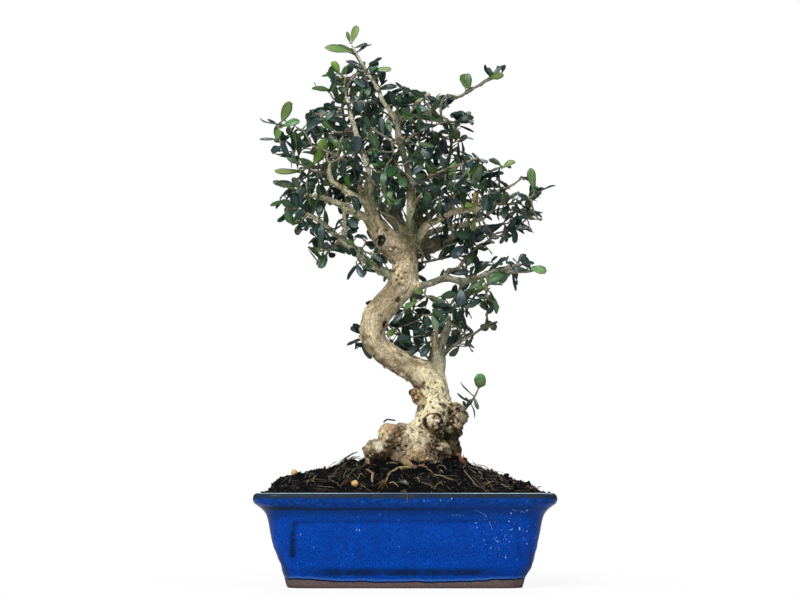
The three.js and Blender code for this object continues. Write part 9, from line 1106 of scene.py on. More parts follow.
    (43.1, 10.2, 330.3, 45, 1.5, 326.9, -.09, -.38, .92, 4.6, 0), (79.1, -25, 217.4, 88.2, -31.7, 217.9, .54, .76, .36, 5.6, 3), (-58.6, 50, 291.5, -65, 55.4, 295.5, -.33, -.79, .52, 3.8, 0),
    (46.1, 50, 247.4, 55.4, 50.5, 252.5, -.25, .89, .37, 5.2, 0), (57.6, -24, 193.4, 62.9, -33.7, 186.7, .6, -.21, .78, 5.4, 1), (30.2, 2, 190.4, 27.9, 4.8, 182.5, .67, -.62, -.41, 3.8, 0),
    (46.8, 32.9, 252.3, 55.7, 36.3, 263.3, -.72, -.23, .65, 7, 4), (40.4, 32.4, 250, 43.5, 30.6, 262.4, .19, .98, .1, 5.4, 0), (7.4, 44.5, 297.7, 9.5, 37.7, 311.9, -.98, .07, .18, 6.6, 0),
    (-40, -12.8, 339.6, -37.7, -14.5, 350.4, -.82, -.57, .08, 5.5, 0), (58.7, 40.5, 249.5, 64.6, 52.5, 249.2, .78, -.4, -.49, 6, 0), (-69.2, -34.5, 253, -70.9, -39.8, 263.4, -.71, -.57, -.41, 5.2, 0),
    (34.8, 12.6, 182.1, 41.3, 16.5, 191.7, .37, .74, -.55, 5.9, 0), (-2.2, -32.3, 285.1, 4.8, -35.9, 275.8, .71, -.28, .64, 5, 0), (-38.5, -16, 316.8, -42.7, -28, 321.9, -.41, .47, .78, 6.7, 0),
    (37.1, 33.9, 180, 35, 30.9, 196.6, -.8, -.56, -.2, 7.6, 1), (13.5, 27.7, 257.7, 6, 28.1, 264.8, .51, -.63, .58, 4.3, 3), (45.1, -18.5, 208.3, 47.4, -26.8, 216.5, -.75, -.56, -.36, 5.4, 0),
    (-34.1, 35.3, 316, -34.9, 35.6, 330.7, .54, .84, .01, 7, 0), (35.4, 22.6, 164.8, 43.4, 20.3, 175.9, .69, -.43, -.58, 6.4, 3), (-71.1, -33.8, 266.7, -76.1, -41.1, 275.7, -.24, .81, .53, 5.3, 4),
    (17.4, -18.6, 283.4, 21.6, -24, 299.8, -.6, .7, .38, 8.9, 0), (1.3, 44.2, 280.5, 9.2, 39.3, 288.5, -.24, .7, .67, 5.2, 0), (-31.3, 34.4, 310.5, -28.6, 34, 323.4, .18, -.98, -.07, 6.6, 3),
    (-2, 7.8, 302.3, 1.3, 13.1, 315.6, -.97, 0, .24, 7.4, 0), (-48.9, 48, 291.3, -38.4, 47.9, 298.7, -.53, -.41, .75, 6, 0), (57.9, -24, 204.7, 62.7, -29.4, 214.7, .04, -.87, -.49, 5.4, 4),
    (8, -8.6, 311.7, 8.8, -1.6, 325, 1, -.04, -.03, 6.8, 1), (7.6, 7, 265.4, 18.9, -0.9, 267.4, .54, .82, .2, 7, 0), (51.2, -22.5, 258.4, 52.2, -32.3, 265.5, -.47, -.55, -.69, 5.4, 0),
    (-53.8, -28.3, 265.4, -54.8, -44.1, 262.8, 0, -.17, .99, 7.9, 0), (20.9, -1.1, 173.5, 18.9, -9.8, 182.1, .71, -.57, -.42, 5.6, 1), (-2.7, 34.3, 262.3, -0.7, 32.5, 276.2, -.35, -.93, -.07, 6.4, 0),
    (-3.3, -12.6, 279.4, -14.8, -13.9, 290.3, .13, .96, .25, 6.6, 1), (-18, 15.3, 263.8, -10.8, 3.1, 270, -.88, -.39, .27, 7.4, 4), (41.6, -7.5, 200.7, 55.9, -2.3, 209.6, .57, -.15, -.81, 7.6, 4),
    (-15.2, 34.9, 293.5, -13.4, 28.2, 307, .57, .76, .31, 7.6, 3), (-61.6, -28.1, 248.5, -67.5, -22.1, 260, -.9, -.08, -.42, 6.3, 0), (-0.2, -20.5, 278.3, 9.4, -29.5, 273.1, .73, .63, .26, 5.7, 0),
    (-36.1, -28.9, 284.4, -31.9, -44.8, 283.9, -.47, -.15, .87, 6.9, 0), (-55.6, -20.9, 281.9, -56.3, -13.8, 292.5, -.99, -.11, .01, 6.1, 0), (6, 20.5, 191.4, 7.2, 25, 206.1, -.17, .95, -.27, 6.2, 0),
    (43.3, -40.1, 279, 32.4, -38.9, 265.8, .61, -.56, -.56, 7.1, 3), (-14.4, -41.7, 303.9, -17.1, -40.3, 317.2, -.15, -.99, .07, 6, 0), (-76.1, -28.2, 293.2, -77.4, -27.5, 309.9, -.41, .91, -.07, 7.8, 0),
    (52.5, -24.5, 266.4, 38.4, -25.4, 266.6, .02, -.06, 1, 6.4, 0), (20.7, -2.7, 180.5, 20, -4.1, 194.3, -.69, -.72, -.1, 6, 1), (51.2, 50.4, 292.2, 53.8, 52.3, 305.8, .91, -.4, -.12, 5.6, 0),
    (-1.7, -12.7, 305, -11, -24.5, 307.8, .59, -.28, .76, 6.7, 0), (53, -36.3, 285.6, 46.2, -24.3, 273.2, .76, .62, .19, 7.6, 4), (15.9, 32.2, 277.5, 12.3, 23.8, 284, -.61, .63, .48, 4.5, 0),
    (58.7, -14.9, 199.9, 59.9, -5.3, 192.9, -.87, .35, .33, 5.1, 0), (29.6, 33.2, 286.3, 38.3, 29.3, 300.4, -.67, -.71, .22, 8.3, 0), (12.1, -21.9, 317.4, 8.3, -24.3, 329.3, -.77, -.53, -.35, 5.3, 1),
    (-41, 21.1, 325.6, -34.6, 9.7, 333.6, .83, .54, .11, 7, 0), (14.8, 0.2, 165.9, 6.2, -5.1, 174, -.51, -.36, -.78, 5.4, 0), (-26.3, -19.2, 306.9, -21.5, -21.8, 319.9, .77, -.51, -.39, 6.5, 0),
    (57.4, 5.9, 237.3, 63.8, 1.9, 247, .61, .79, -.08, 5.4, 0), (27.9, -31.6, 275.5, 38, -30.2, 265.8, -.21, .98, -.07, 6.7, 0), (32.9, 36.2, 269.3, 36.9, 31.5, 258.9, .89, -.18, .42, 5.4, 0),
    (58.1, -11.4, 214, 62.4, 4.1, 210.6, .64, -.01, .77, 6.7, 0), (15.5, 19.7, 178, 15, 29.9, 187.2, -.17, .65, -.74, 6.1, 0), (24.4, 35.2, 292, 24.1, 34.2, 308.6, -.84, -.54, -.04, 7.4, 0),
    (-24.7, -20.1, 297.5, -18.2, -20.4, 308.6, .83, -.26, -.49, 6, 1), (-21.2, -14, 274.5, -9.4, -20, 274.4, -.21, -.43, .88, 5.9, 4), (9.6, -15.3, 304.3, 20.3, -21.7, 299.6, .09, .68, -.73, 6.5, 0),
    (-56.7, -24.5, 222.6, -55.2, -10.2, 224.4, -.94, .06, .32, 7.1, 1), (-35.4, -33.6, 291.8, -32, -35.4, 304, .09, -.98, -.17, 5.9, 1), (-26.2, -21, 285.8, -14.4, -22.1, 296.3, -.45, -.78, .43, 7.6, 0),
    (-37, -9.5, 323.9, -38.7, 1, 334.8, -.96, -.27, .11, 6.5, 3), (39, -6.8, 192.1, 47.7, -16.2, 189.4, -.2, .1, -.98, 6.1, 0), (34, 49, 311.5, 34, 49, 329.6, .09, 1, 0, 7.5, 0),
    (7.1, -16.6, 317.5, -1.3, -12.2, 325.7, .12, -.82, .56, 5.3, 1), (59, -32.7, 263.2, 56, -39.6, 252.2, .67, -.7, .26, 6.6, 3), (-41.8, -26.9, 295, -40.7, -31, 310.3, -.55, .8, .25, 7.5, 0),
    (7.6, 51.6, 285.6, 15.6, 64.4, 291.9, .2, .33, -.92, 6.8, 0), (30.7, -20.5, 269.6, 28.3, -28.6, 279.9, .95, -.32, -.03, 6.5, 0), (-33.7, -22.2, 229.8, -28.1, -30.6, 225.5, .83, .56, -.01, 4.8, 0),
    (-31.1, -1.3, 281.2, -35.6, 4.4, 295, .83, .55, .05, 7.7, 0), (-76.8, -26.1, 296, -83, -26.3, 303.9, .56, .68, .47, 4.6, 0), (-15.5, 25.2, 294.5, -5.6, 23.1, 302.6, -.16, -.98, -.06, 5.3, 1),
    (9.5, 1, 203.1, 6.4, 13, 210, .62, .51, -.6, 6.3, 0), (-7.6, 23.1, 246.4, -20.5, 13.6, 248.9, -.29, .13, -.95, 7.4, 1), (70.5, -15.3, 264, 79, -10.2, 269.8, .39, .33, -.86, 4.6, 4),
    (-56.7, -36.2, 230.3, -56.6, -37.2, 243, -.33, -.94, -.07, 6.1, 3), (-11.9, 33.7, 301.3, -9.6, 37.8, 314, .78, .54, -.32, 6.3, 0), (53.8, -9.8, 252.9, 54, 3, 257.5, .97, .06, -.22, 5.5, 3),
    (-43, 23.2, 287.1, -50.4, 21, 300, -.87, .12, -.48, 6.7, 1), (52.6, 34.5, 261.5, 60.3, 24, 274.3, -.3, .64, .71, 9, 4), (25.5, 38.4, 318.9, 19.4, 48.5, 311.5, -.07, .56, .82, 6.5, 1),
    (-42.5, -8.8, 244.6, -46.1, 2, 251.4, -.73, .17, -.66, 5.4, 1), (34, -40.8, 274.7, 20.4, -41.9, 265.1, .31, -.89, -.34, 7, 0), (44.3, 4.2, 213.2, 50.7, 17.2, 213.9, .62, -.27, -.74, 6.2, 4),
    (12.2, 2.4, 224.2, 9.7, -2.2, 233.5, .92, -.39, .05, 4.5, 3), (43.1, 3.5, 196.4, 48.5, 3.1, 207.8, .15, .99, -.04, 5.5, 1), (-13.4, 5.3, 297.4, -20.3, 11.3, 310.6, -.56, .61, -.57, 7.3, 0),
    (32.6, 20.5, 316.4, 23.7, 12.9, 316.6, -.44, .53, .73, 4.9, 0), (-56, 39.1, 292.3, -53.1, 31.8, 301.6, -.44, .64, .63, 5.8, 1), (-57, -18.7, 239.4, -62.6, -6.2, 249.7, .75, -.19, .63, 7, 0),
    (26.4, -22, 264.8, 16.4, -30.1, 273, .49, -.84, -.24, 7.2, 0), (7, 6.8, 162.5, -2.1, -1.2, 171.5, .15, -.81, -.57, 6.8, 0), (2.4, 29.1, 179.5, 2.4, 29.1, 195.1, .62, .79, 0, 7.6, 0),
    (3.4, 39.3, 310.5, -2.3, 40.2, 321.7, -.89, -.09, -.44, 5.4, 0), (32.1, -11.7, 243.9, 44.7, -9.6, 238.1, -.19, -.72, -.67, 6.7, 1), (31.1, 13.5, 259.4, 37.6, 10.2, 270.5, -.79, .28, .54, 5.7, 3),
    (-27.4, 47.3, 307.1, -22.9, 55.5, 317.4, -.87, .5, -.01, 6.4, 0), (-34.6, -9.2, 307.2, -41.1, 1.3, 317.6, .91, .23, .33, 6.8, 0), (-53.9, -11.7, 276.8, -58.2, -7.3, 287.9, -.58, .65, -.49, 6, 3),
    (-35.1, 18.2, 285.8, -40.7, 5.3, 284.5, -.4, .08, .91, 6, 0), (27.1, 27.9, 314.2, 23.5, 18.1, 315.8, -.67, .35, .66, 4.8, 0), (-0.8, 10.5, 191.7, -16.4, 10.7, 189.5, -.14, .13, .98, 6.8, 0),
    (70.5, 37.2, 254.8, 81.6, 39.3, 265, -.66, .39, .64, 7.6, 0), (6.7, 20.9, 292.3, 12.2, 26.1, 305.2, -.27, .93, -.26, 6.9, 3), (26.6, 3.7, 229.7, 25.5, 1.5, 243.5, .66, -.75, -.07, 6.3, 0),
    (-30.4, -22.1, 228.4, -21.6, -14.7, 231.2, .31, -.63, .71, 5.1, 1), (-20, -39.2, 307.7, -20, -34.3, 322.5, -.99, -.12, .04, 6.7, 0), (-48.3, -5.8, 277.5, -50.8, -1.8, 294.5, -.52, .81, -.26, 7.3, 0),
    (18.7, -8.1, 184.4, 15.5, -13.8, 197, -.11, -.89, -.44, 6.2, 0), (38.8, 22.3, 194, 45.1, 28.4, 206.5, .72, .41, -.56, 6.2, 0), (-6.6, -17, 303, -19.3, -14.3, 299.6, -.31, -.41, .86, 6.4, 0),
    (25.8, 35.2, 180.4, 19.9, 42.3, 192.9, -.77, -.63, 0, 6.6, 0), (-34.6, 19.5, 347.1, -31.3, 27.2, 358.6, -.01, -.83, .56, 6.3, 3), (-17.2, 28.8, 310.2, -15.6, 29.2, 322.8, -.33, -.94, .07, 5.4, 0),
    (-12.6, -13.5, 253.7, -2.3, -22.2, 261.7, .14, -.57, -.81, 6.3, 0), (-42, -38.5, 304.3, -29.2, -40.2, 311.8, -.51, -.14, .85, 6.4, 0), (-9.9, 9.4, 325.3, -9.5, 8.7, 342.2, -.26, .97, .05, 7.9, 0),
    (43.6, 0.5, 211.7, 54.4, 0.8, 203.6, -.01, -1, -.04, 5.5, 3), (-30.3, 24.4, 332.7, -21.1, 26.2, 342, -.72, .2, .67, 5.7, 3), (18.7, -16.1, 249.7, 18.7, -24, 258.4, -.3, -.71, -.64, 4.8, 0),
    (-18, -49.7, 292.3, -23.4, -59.5, 304.1, -.03, .78, .63, 6.6, 0), (-51.5, 18.8, 319.9, -61.9, 8.6, 326, -.67, .74, .07, 6.8, 3), (-51.6, -15.9, 323.1, -61.4, -13.2, 327, -.11, -.93, .36, 4.5, 0),
    (-48.5, -22.1, 328.1, -50.9, -33.1, 328.4, -.85, .2, .49, 5.4, 0), (-8, -12.9, 331.1, -6.7, -22.5, 336.9, -.67, .32, .67, 4.9, 3), (-53, -8, 263.2, -58.6, -6.2, 275.3, -.38, .88, -.3, 6.5, 0),
    (-12.5, -31, 272.6, -15.7, -37.5, 261.5, .63, .57, -.52, 6.4, 0), (-48.1, -17.5, 310.6, -58.9, -21.7, 320.2, -.48, .86, -.17, 7, 1), (11.9, -8, 170.3, 9.1, -18.7, 178.8, -.91, -.09, -.41, 6, 0),
    (-40.4, 21.2, 310.2, -41.2, 7.8, 318.6, -.96, .18, .19, 7.9, 1), (-64, -14.5, 261.9, -67, -3.3, 266.7, -.7, -.44, .57, 5.9, 0), (0.1, 0.8, 189.9, 7.1, -10.2, 183.4, .05, -.49, .87, 6.1, 0),
    (34, -13.2, 177.1, 33.6, -19.5, 188.5, -1, .01, -.04, 6.5, 1), (-40.9, -3.2, 270.6, -38.5, 7.1, 275.3, -.8, -.08, .59, 5.5, 1), (-12.4, -48.3, 282.2, -18.9, -60.8, 282.5, .82, -.41, .39, 6.8, 1),
    (5.8, 1, 333.7, 15.1, -1.5, 343.1, -.07, .94, .33, 5.5, 0), (-22.6, -38.4, 310, -22.7, -34.9, 322.4, -.71, -.68, .19, 6.4, 0), (39.7, -32.7, 253.8, 38.4, -49.7, 260.6, .37, -.37, -.85, 9.1, 0),
    (-73.7, -13.2, 283.8, -75.2, -3.5, 296.4, -.98, .1, -.19, 7.5, 0), (40.1, 28.8, 291.3, 43, 18.1, 295.5, .56, .42, .71, 5.5, 1), (-32.1, -27, 330.6, -28, -35.8, 339.2, .82, .54, .17, 5.3, 0),
    (24.2, -2.4, 289.6, 24.2, 3.3, 304.4, .98, .17, -.07, 7.1, 0), (-51.5, 22.9, 310.1, -63.2, 23.2, 308.7, -.12, .03, .99, 5.7, 0), (11.9, -2.9, 228.7, 12.7, -4.4, 240.8, .27, -.95, -.13, 6, 0),
    (-11.1, 18.8, 241.8, -24.8, 8.8, 247.5, .55, -.33, .77, 8.8, 0), (-50.1, 7.9, 328, -44.2, -3, 326.4, -.5, -.38, .78, 5.3, 0), (63, 18.9, 244.5, 74.3, 10.3, 243.8, .58, .75, .31, 6.8, 0),
    (-66.1, -43.6, 272.1, -64.1, -49.9, 281.3, -.98, -.01, .21, 4.6, 0), (-10.2, 8.9, 173.7, -17.1, 8.1, 182, -.49, -.72, -.48, 4.8, 3), (84.4, -15.4, 250.7, 83, 1.4, 250.6, .49, .04, .87, 8, 0),
    (68.7, 6.9, 261, 75.3, -0.1, 269.3, .38, .83, .41, 5.6, 0), (-73.6, -19.2, 247.4, -79.9, -18, 262.8, -.92, .05, -.39, 6.9, 0), (42, -9.4, 278.7, 52.1, -13, 289, -.2, .85, .5, 6, 1),
    (-3.7, -49.1, 277.1, 8.1, -61.1, 272.9, -.69, -.72, .09, 7, 1), (-45.9, -49, 286, -40.9, -53, 298.3, .57, -.68, -.46, 6.7, 4), (-0.4, 1.3, 177.9, -6.6, -7.5, 183.8, -.11, -.5, -.86, 5.8, 0),
    (-78.1, -22.8, 295.7, -74.9, -13.8, 291.5, -.83, .45, .33, 4.5, 4), (75.9, 33.8, 256.6, 81.1, 32, 269.9, .91, -.16, -.38, 7.2, 0), (-52.6, 20.1, 334.5, -65.5, 14.4, 330.7, -.45, .55, .7, 5.9, 0),
    (61.6, 7.7, 180.2, 63.4, 21.2, 176.1, -.13, .31, .94, 5.8, 0), (2.9, 28.7, 318, -5.1, 24.3, 325.6, -.72, .51, -.47, 5, 0), (87.6, -8.3, 267.2, 89.4, -1.9, 277.9, .82, -.54, .18, 5.9, 3),
    (-78.1, -21.6, 305.6, -72.8, -16.1, 313.9, -.86, .07, .51, 4.7, 3), (-51.5, 0.4, 276.2, -52.4, 4.6, 262.9, -.4, .86, .3, 6.3, 0), (55.2, 13.5, 270.3, 61, 19, 285.6, -.66, -.59, .46, 8.1, 0),
    (0.7, 19.7, 220.9, -11.2, 28.4, 217, .41, .16, -.9, 7.6, 1), (18.2, -15, 184.4, 21.5, -22.3, 173, -.32, -.84, .44, 5.7, 4), (45.5, 23.3, 195.5, 53.8, 19.7, 207.9, .73, .61, -.31, 7.1, 0),
    (-58.6, -17.4, 323.3, -69.4, -16, 311.1, -.71, -.4, .58, 6.8, 0), (49.5, 30.4, 300.4, 59.8, 35, 293, .64, -.25, .73, 5.7, 1), (-61.1, -14, 303, -62.8, -16.8, 315.5, -.74, .67, .05, 6.1, 4),
    (68.8, 5, 244.3, 76.9, 5.1, 254.5, .45, -.82, -.35, 5.3, 1), (-14.7, 8.9, 330.2, -16.5, 4.5, 344.2, -.93, -.29, -.21, 6.5, 0), (40.6, 0.6, 283.1, 41.1, 6.6, 292.8, .63, .64, -.43, 4.7, 3),
    (65.3, 16.6, 242.9, 70.4, 6.8, 243.9, .81, .46, .36, 5.3, 0), (15.6, -12.8, 335.1, 3.7, -16.6, 341.2, .23, .55, .8, 5.9, 3), (72.1, 5.6, 260.9, 80.9, 4.1, 269, .67, -.1, -.74, 5, 0),
    (-75.3, -13.5, 274.2, -88.7, -8.5, 278.5, -.12, -.81, .57, 6.5, 3), (60.6, 5.2, 190.8, 59.4, 10.7, 200.5, .47, .79, -.39, 4.9, 1), (13.7, -16.9, 196.3, 5.8, -25.3, 197, .53, -.55, -.64, 5.7, 0),
    (15.7, -41.7, 269.7, 6.3, -55.8, 271.4, .8, -.49, .35, 7, 3), (-16.1, -32.2, 267.9, -21.9, -39.9, 263.1, .79, -.61, .04, 4.7, 3), (-46.6, 13.2, 310.9, -52.4, 2.3, 312.9, -.88, .42, -.24, 5.7, 3),
    (-1.9, 18.5, 321.6, -2.9, 26.8, 336.4, -.9, .36, -.26, 7, 0), (-78.5, -20.7, 309.1, -73.7, -24.2, 317.9, -.83, .19, .52, 4.7, 0), (-29.7, -24.2, 352.3, -14.9, -21.2, 346.9, .36, -.1, .93, 6.7, 0),
    (29.5, -9.4, 321.7, 32.6, -1.2, 309.5, .79, .4, .47, 7, 0), (45.9, 25, 289.8, 53.7, 23.7, 297.7, .44, -.71, -.55, 5.3, 0), (15, -24.2, 253.8, 15.9, -36.1, 264.9, -.35, -.65, -.67, 7.4, 0),
    (-55.6, 24.2, 304.3, -69.8, 27.3, 304.8, .2, .97, -.15, 6.6, 0), (0.3, 8.9, 343.9, 3, 21.3, 343.5, -.12, .06, .99, 6.2, 4), (40, 25.7, 293.3, 35.7, 23.3, 302.7, .88, .18, .45, 5.2, 4),
    (17.2, -13.6, 196.2, 28.2, -4.8, 194.6, .63, -.75, .21, 6.9, 4), (-23.1, -41, 308, -27, -49.6, 315.5, -.7, .62, .34, 5.4, 0), (-73.5, -2.8, 265.8, -78.2, 9.5, 257.4, -.77, .13, .62, 7.3, 0),
    (84.8, -2.5, 255.5, 89, 6, 259.4, .82, -.52, .24, 5, 0), (14.1, 7, 334.8, 13.2, 12.4, 345.4, .95, .29, -.07, 5.5, 0), (19, 17.2, 328.9, 12.6, 15, 341.6, .88, -.29, .39, 6, 3),
    (52.2, 12.9, 276.8, 39.3, 14.1, 282.1, .34, -.3, .89, 6.4, 0), (27.4, -2.6, 321.6, 36, 7.4, 322.4, -.06, -.03, 1, 6, 1), (-17.7, -25.6, 225.6, -12.6, -34.2, 221.3, .53, -.11, .84, 4.9, 3),
    (74.7, 5.6, 247.8, 85, 13.7, 244.7, .42, -.21, .88, 6.5, 3), (-27.4, -38.6, 314.7, -24.4, -41.7, 330.3, -.9, -.43, .09, 6.6, 0), (-57.5, 2.6, 310.4, -69.4, 11.1, 319.8, -.21, .57, -.79, 7.8, 3),
    (70.8, 2.1, 243.4, 80.8, -8.1, 253.2, -.64, -.75, -.14, 8.3, 3), (8.2, 23.8, 316.5, 12.6, 7.6, 321.9, -.66, .07, .74, 8.5, 0), (-33.2, 19.4, 358.9, -28.8, 20.2, 369.8, -.51, -.82, .27, 5.8, 0),
    (-29.4, -9.5, 224.3, -30.1, 2.4, 221.6, -.72, -.2, -.66, 5.6, 0), (-60.2, 11.4, 291.7, -68.3, 5, 285.4, -.54, -.13, .83, 5.4, 3), (2.7, -42.3, 266.7, 0.2, -52.9, 271.6, .84, -.38, -.38, 5.2, 0),
    (-19.3, 9.4, 235.2, -27.7, 1.7, 236.6, .37, -.53, -.76, 5.2, 0), (-75.6, -6.5, 303.7, -72.3, 0.7, 315, -.64, -.55, .54, 5.8, 0), (-20.2, -0.5, 343.9, -21.6, 0.7, 356.7, .61, .79, 0, 6, 3),
    (-60.2, 13.3, 288.3, -70.8, 15.8, 284.7, -.22, .37, .9, 4.7, 0), (5, -15.1, 231.9, 11.1, -14.3, 219.5, -.47, -.84, -.29, 6.2, 0), (15.1, 23, 315, 19.3, 17.9, 304.2, .73, -.47, .5, 6.1, 0),
    (-10.5, -15.3, 329.9, -17.7, -15.7, 318.2, -.71, -.53, .46, 5.8, 0), (-3.3, -26.1, 241, -1.2, -28.9, 229.7, .31, -.91, .28, 5.5, 0), (-28.4, -1.9, 360.4, -32.1, 12.4, 356.5, .21, .31, .93, 7.3, 1),
    (-64.2, -14.3, 325.3, -66.2, 0.7, 322.3, -.37, .14, .92, 6.9, 1), (-84, -15.2, 323.8, -79, -11, 333.2, -.27, -.82, .5, 5.3, 1), (-31.6, -1.6, 362.1, -41.8, -8.3, 363.5, .05, .13, .99, 5.3, 3),
    (-36, -16.2, 366.2, -33.3, -12.6, 380.8, -.94, -.26, .24, 6.6, 0), (-32.4, -15.1, 306.8, -43.6, -13, 310.3, .28, -.1, .96, 5.4, 0), (-64, -33, 250.2, -65.8, -36.3, 264.4, -.98, -.14, -.16, 6.3, 3),
    (-52.2, -24.4, 262.4, -56.6, -25.9, 275, -.91, -.21, -.35, 5.8, 0), (-64.4, -30, 264.5, -75.3, -28.7, 257, -.57, -.04, .82, 6.2, 0), (-51.9, -24, 282.3, -40.4, -28.9, 291, -.52, .23, .82, 6.2, 0),
    (-77.5, -34, 288.8, -83.3, -38.8, 301.1, -.44, -.75, -.5, 6.6, 0), (-20.3, 19.5, 267.9, -20, 15.5, 281.1, -.45, .85, .27, 6.4, 3), (-23.2, 22, 272.4, -22.4, 21, 288.7, -.67, .74, .08, 7.5, 0),
    (-27.5, 24.4, 276.4, -33.9, 31, 274.2, -.42, -.1, .9, 4.5, 4), (28.2, 12, 247.7, 43.6, 13.6, 238.4, .45, .37, .81, 8, 0), (24.5, 38, 281.9, 37.1, 47.1, 285.6, -.13, -.22, .97, 7.5, 1),
    (30.2, 42.8, 295.9, 44.4, 43.1, 301.1, -.34, .12, .93, 7.1, 0), (31.7, 15, 227.9, 38.1, 17.2, 242.6, .67, .64, -.38, 7.1, 1), (41.2, 2, 223.4, 38.9, 3.2, 238.2, .98, -.14, .16, 6.1, 0),
    (43.1, 2.5, 225.6, 44.6, 2.1, 240.9, .99, -.06, -.1, 7, 3), (39.9, -5, 167, 45.9, -0.4, 172.3, .53, -.84, .13, 4.1, 0), (9, 17, 162.2, 8, 20, 176.6, -.58, .79, -.21, 7, 3),
    (4.9, 19.6, 165.9, -0.7, 17.9, 180.2, -.66, .74, -.17, 7.6, 0), (-3.7, 24.7, 173.8, -15.4, 31.2, 173.4, -.04, -.01, 1, 6.1, 0), (10.3, 13.7, 184.8, 12.2, 8.2, 200.9, -.73, .62, .3, 7.4, 0),
    (6.2, 14.1, 188.3, 2.8, 10.1, 199.7, -.8, .6, -.03, 5.5, 0), (-10.6, 58, 295.8, -3.2, 60.6, 304.1, -.73, -.09, .68, 4.9, 0), (27.7, 41.1, 269.6, 28.3, 52.3, 273.7, .84, -.22, .49, 5.8, 3),
    (-52.8, 49.4, 289.2, -58.1, 44.6, 301.1, -.62, .79, .04, 6, 3), (41.6, 47.4, 245.4, 45.1, 51.5, 260.4, .97, .03, -.23, 6.6, 1), (-3, 45.1, 277.6, 12, 44.5, 284, -.35, .4, .85, 7.7, 1),
    (11.3, 46, 311.4, 23.9, 46.5, 321.7, -.52, .59, .62, 8.1, 0), (-28.2, 37.7, 301.4, -26.9, 39.2, 312.3, -.83, -.53, .17, 5, 0), (-33.4, 36.7, 308.6, -30.8, 38.5, 323.7, -.9, -.38, .2, 7, 0),
    (-38.2, 34, 315.7, -37.6, 37.5, 327.8, -.78, -.59, .21, 5.6, 0), (35.2, 28.3, 168.2, 37.5, 30, 178.3, .38, .89, -.24, 5.2, 0), (40, 34.6, 178, 37.7, 29.3, 194.6, .78, .56, .28, 7.7, 4),
    (-44.2, -33, 290.2, -52, -33.2, 302.3, -.31, -.92, -.22, 7, 1), (-46.9, -34.8, 291.3, -48.7, -44.8, 297.4, -.96, .26, .13, 5.2, 0), (-60.4, -41.1, 296, -64.3, -45, 308.1, -.96, .08, -.28, 6.2, 0),
    (79, -27.2, 260.9, 84.1, -38, 261.6, .75, .39, .54, 5, 0), (36.1, 30, 321.2, 39.2, 30.7, 331.7, -.02, -1, .07, 4.4, 3), (39.6, 22.7, 325.6, 47.5, 22, 333.2, -.26, -.95, .18, 5.1, 4),
    (41, 20, 326.9, 43.1, 4.7, 325.6, .29, -.04, .96, 7.3, 0), (55.6, -22, 199.1, 63.3, -22.8, 190.9, -.7, .24, -.67, 5.5, 0), (32.9, -0.5, 193.8, 19, 8.7, 192.8, .47, .64, -.61, 7.2, 3),
    (-41.3, -8.7, 344, -37.7, 2.6, 352.8, .15, -.64, .76, 6.8, 0), (-25.9, -5.6, 278.8, -25.4, 7.7, 283.6, -.95, -.07, .29, 6.9, 1), (-16.9, 31.4, 291.4, -25.7, 27.3, 304.4, .64, -.74, .2, 7.9, 0),
    (-37.4, 26.3, 283.9, -47.9, 29.3, 290.5, .37, -.48, .8, 6.3, 0), (-53.9, -25.1, 240, -58.1, -11.7, 235.7, -.57, .08, .82, 6.1, 3), (-17, 34.9, 296.3, -9, 40.1, 304, -.45, -.45, .77, 5.2, 0),
    (-45.8, 20.3, 333.8, -57.9, 14, 336.5, .48, -.87, .1, 5.8, 0), (0.7, 25.6, 173.6, 4.8, 37.1, 173, .53, -.15, .84, 5.1, 1), (34.6, -37.4, 281, 23.5, -46.7, 277.5, .32, -.03, -.95, 7, 0),
    (29.6, -11.7, 250.6, 31.2, -21.8, 246.5, .99, .15, 0, 5.5, 0), (37.5, -0.6, 194.7, 40.3, 13, 191.2, .92, -.1, .37, 6, 1), (-10.4, -0.7, 294.9, -22.4, 3.4, 299.2, .31, -.09, .95, 5.5, 0),
    (36.1, 25.1, 320.8, 28.7, 17.6, 318.4, -.62, .4, .67, 4.6, 0), (9.5, 13.4, 162.5, 11.4, 1.4, 172.3, -.19, -.64, -.75, 7.5, 0), (-55.9, 46.2, 291.1, -67.1, 35.5, 293.7, .58, -.45, .68, 7.8, 4),
    (36.5, 39.4, 314.7, 36.8, 51.1, 328.5, .58, -.63, .52, 8.1, 0), (54, 37.4, 255.1, 51.6, 46.3, 264.4, .24, -.67, .71, 6.3, 1), (-51.2, -24.1, 229, -61.7, -17.2, 237.9, -.28, .57, -.77, 6.1, 0),
    (30.9, 34.7, 316, 20.4, 38.2, 323.1, .59, .24, .77, 5.4, 1), (30.6, -16.3, 265.9, 14.4, -20, 261, -.2, -.34, .92, 7, 0), (24.7, 9.7, 226.6, 40.2, 5.4, 229.6, -.32, -.82, .48, 6.8, 3),
    (32.9, 13.1, 252.4, 30.3, 24.5, 263.4, .09, -.68, .73, 7.4, 0), (50.8, -15.7, 255.6, 60.6, -14.8, 249.8, .42, .47, .78, 4.7, 0), (65, -29.8, 270.5, 55.9, -21.3, 273, -.38, -.62, .69, 6.2, 0),
    (-50.2, -17.6, 275, -48.8, -5.4, 275.6, -.19, -.03, .98, 5, 3), (63.6, 39.2, 253.9, 70.6, 26.7, 255.4, .57, .41, .71, 6.6, 0), (-33.4, 23.9, 282, -45, 18.7, 284.8, .28, -.12, .95, 5.4, 0),
    (31.7, 32.4, 317.3, 22.3, 34.8, 312, -.48, -.7, .53, 5.2, 1), (3.8, 14.8, 289.7, 13.9, 19.4, 295.7, -.56, .19, .81, 5.4, 1), (-29.4, 40.7, 305.2, -17.2, 49.4, 308.1, -.33, .15, .93, 7, 0),
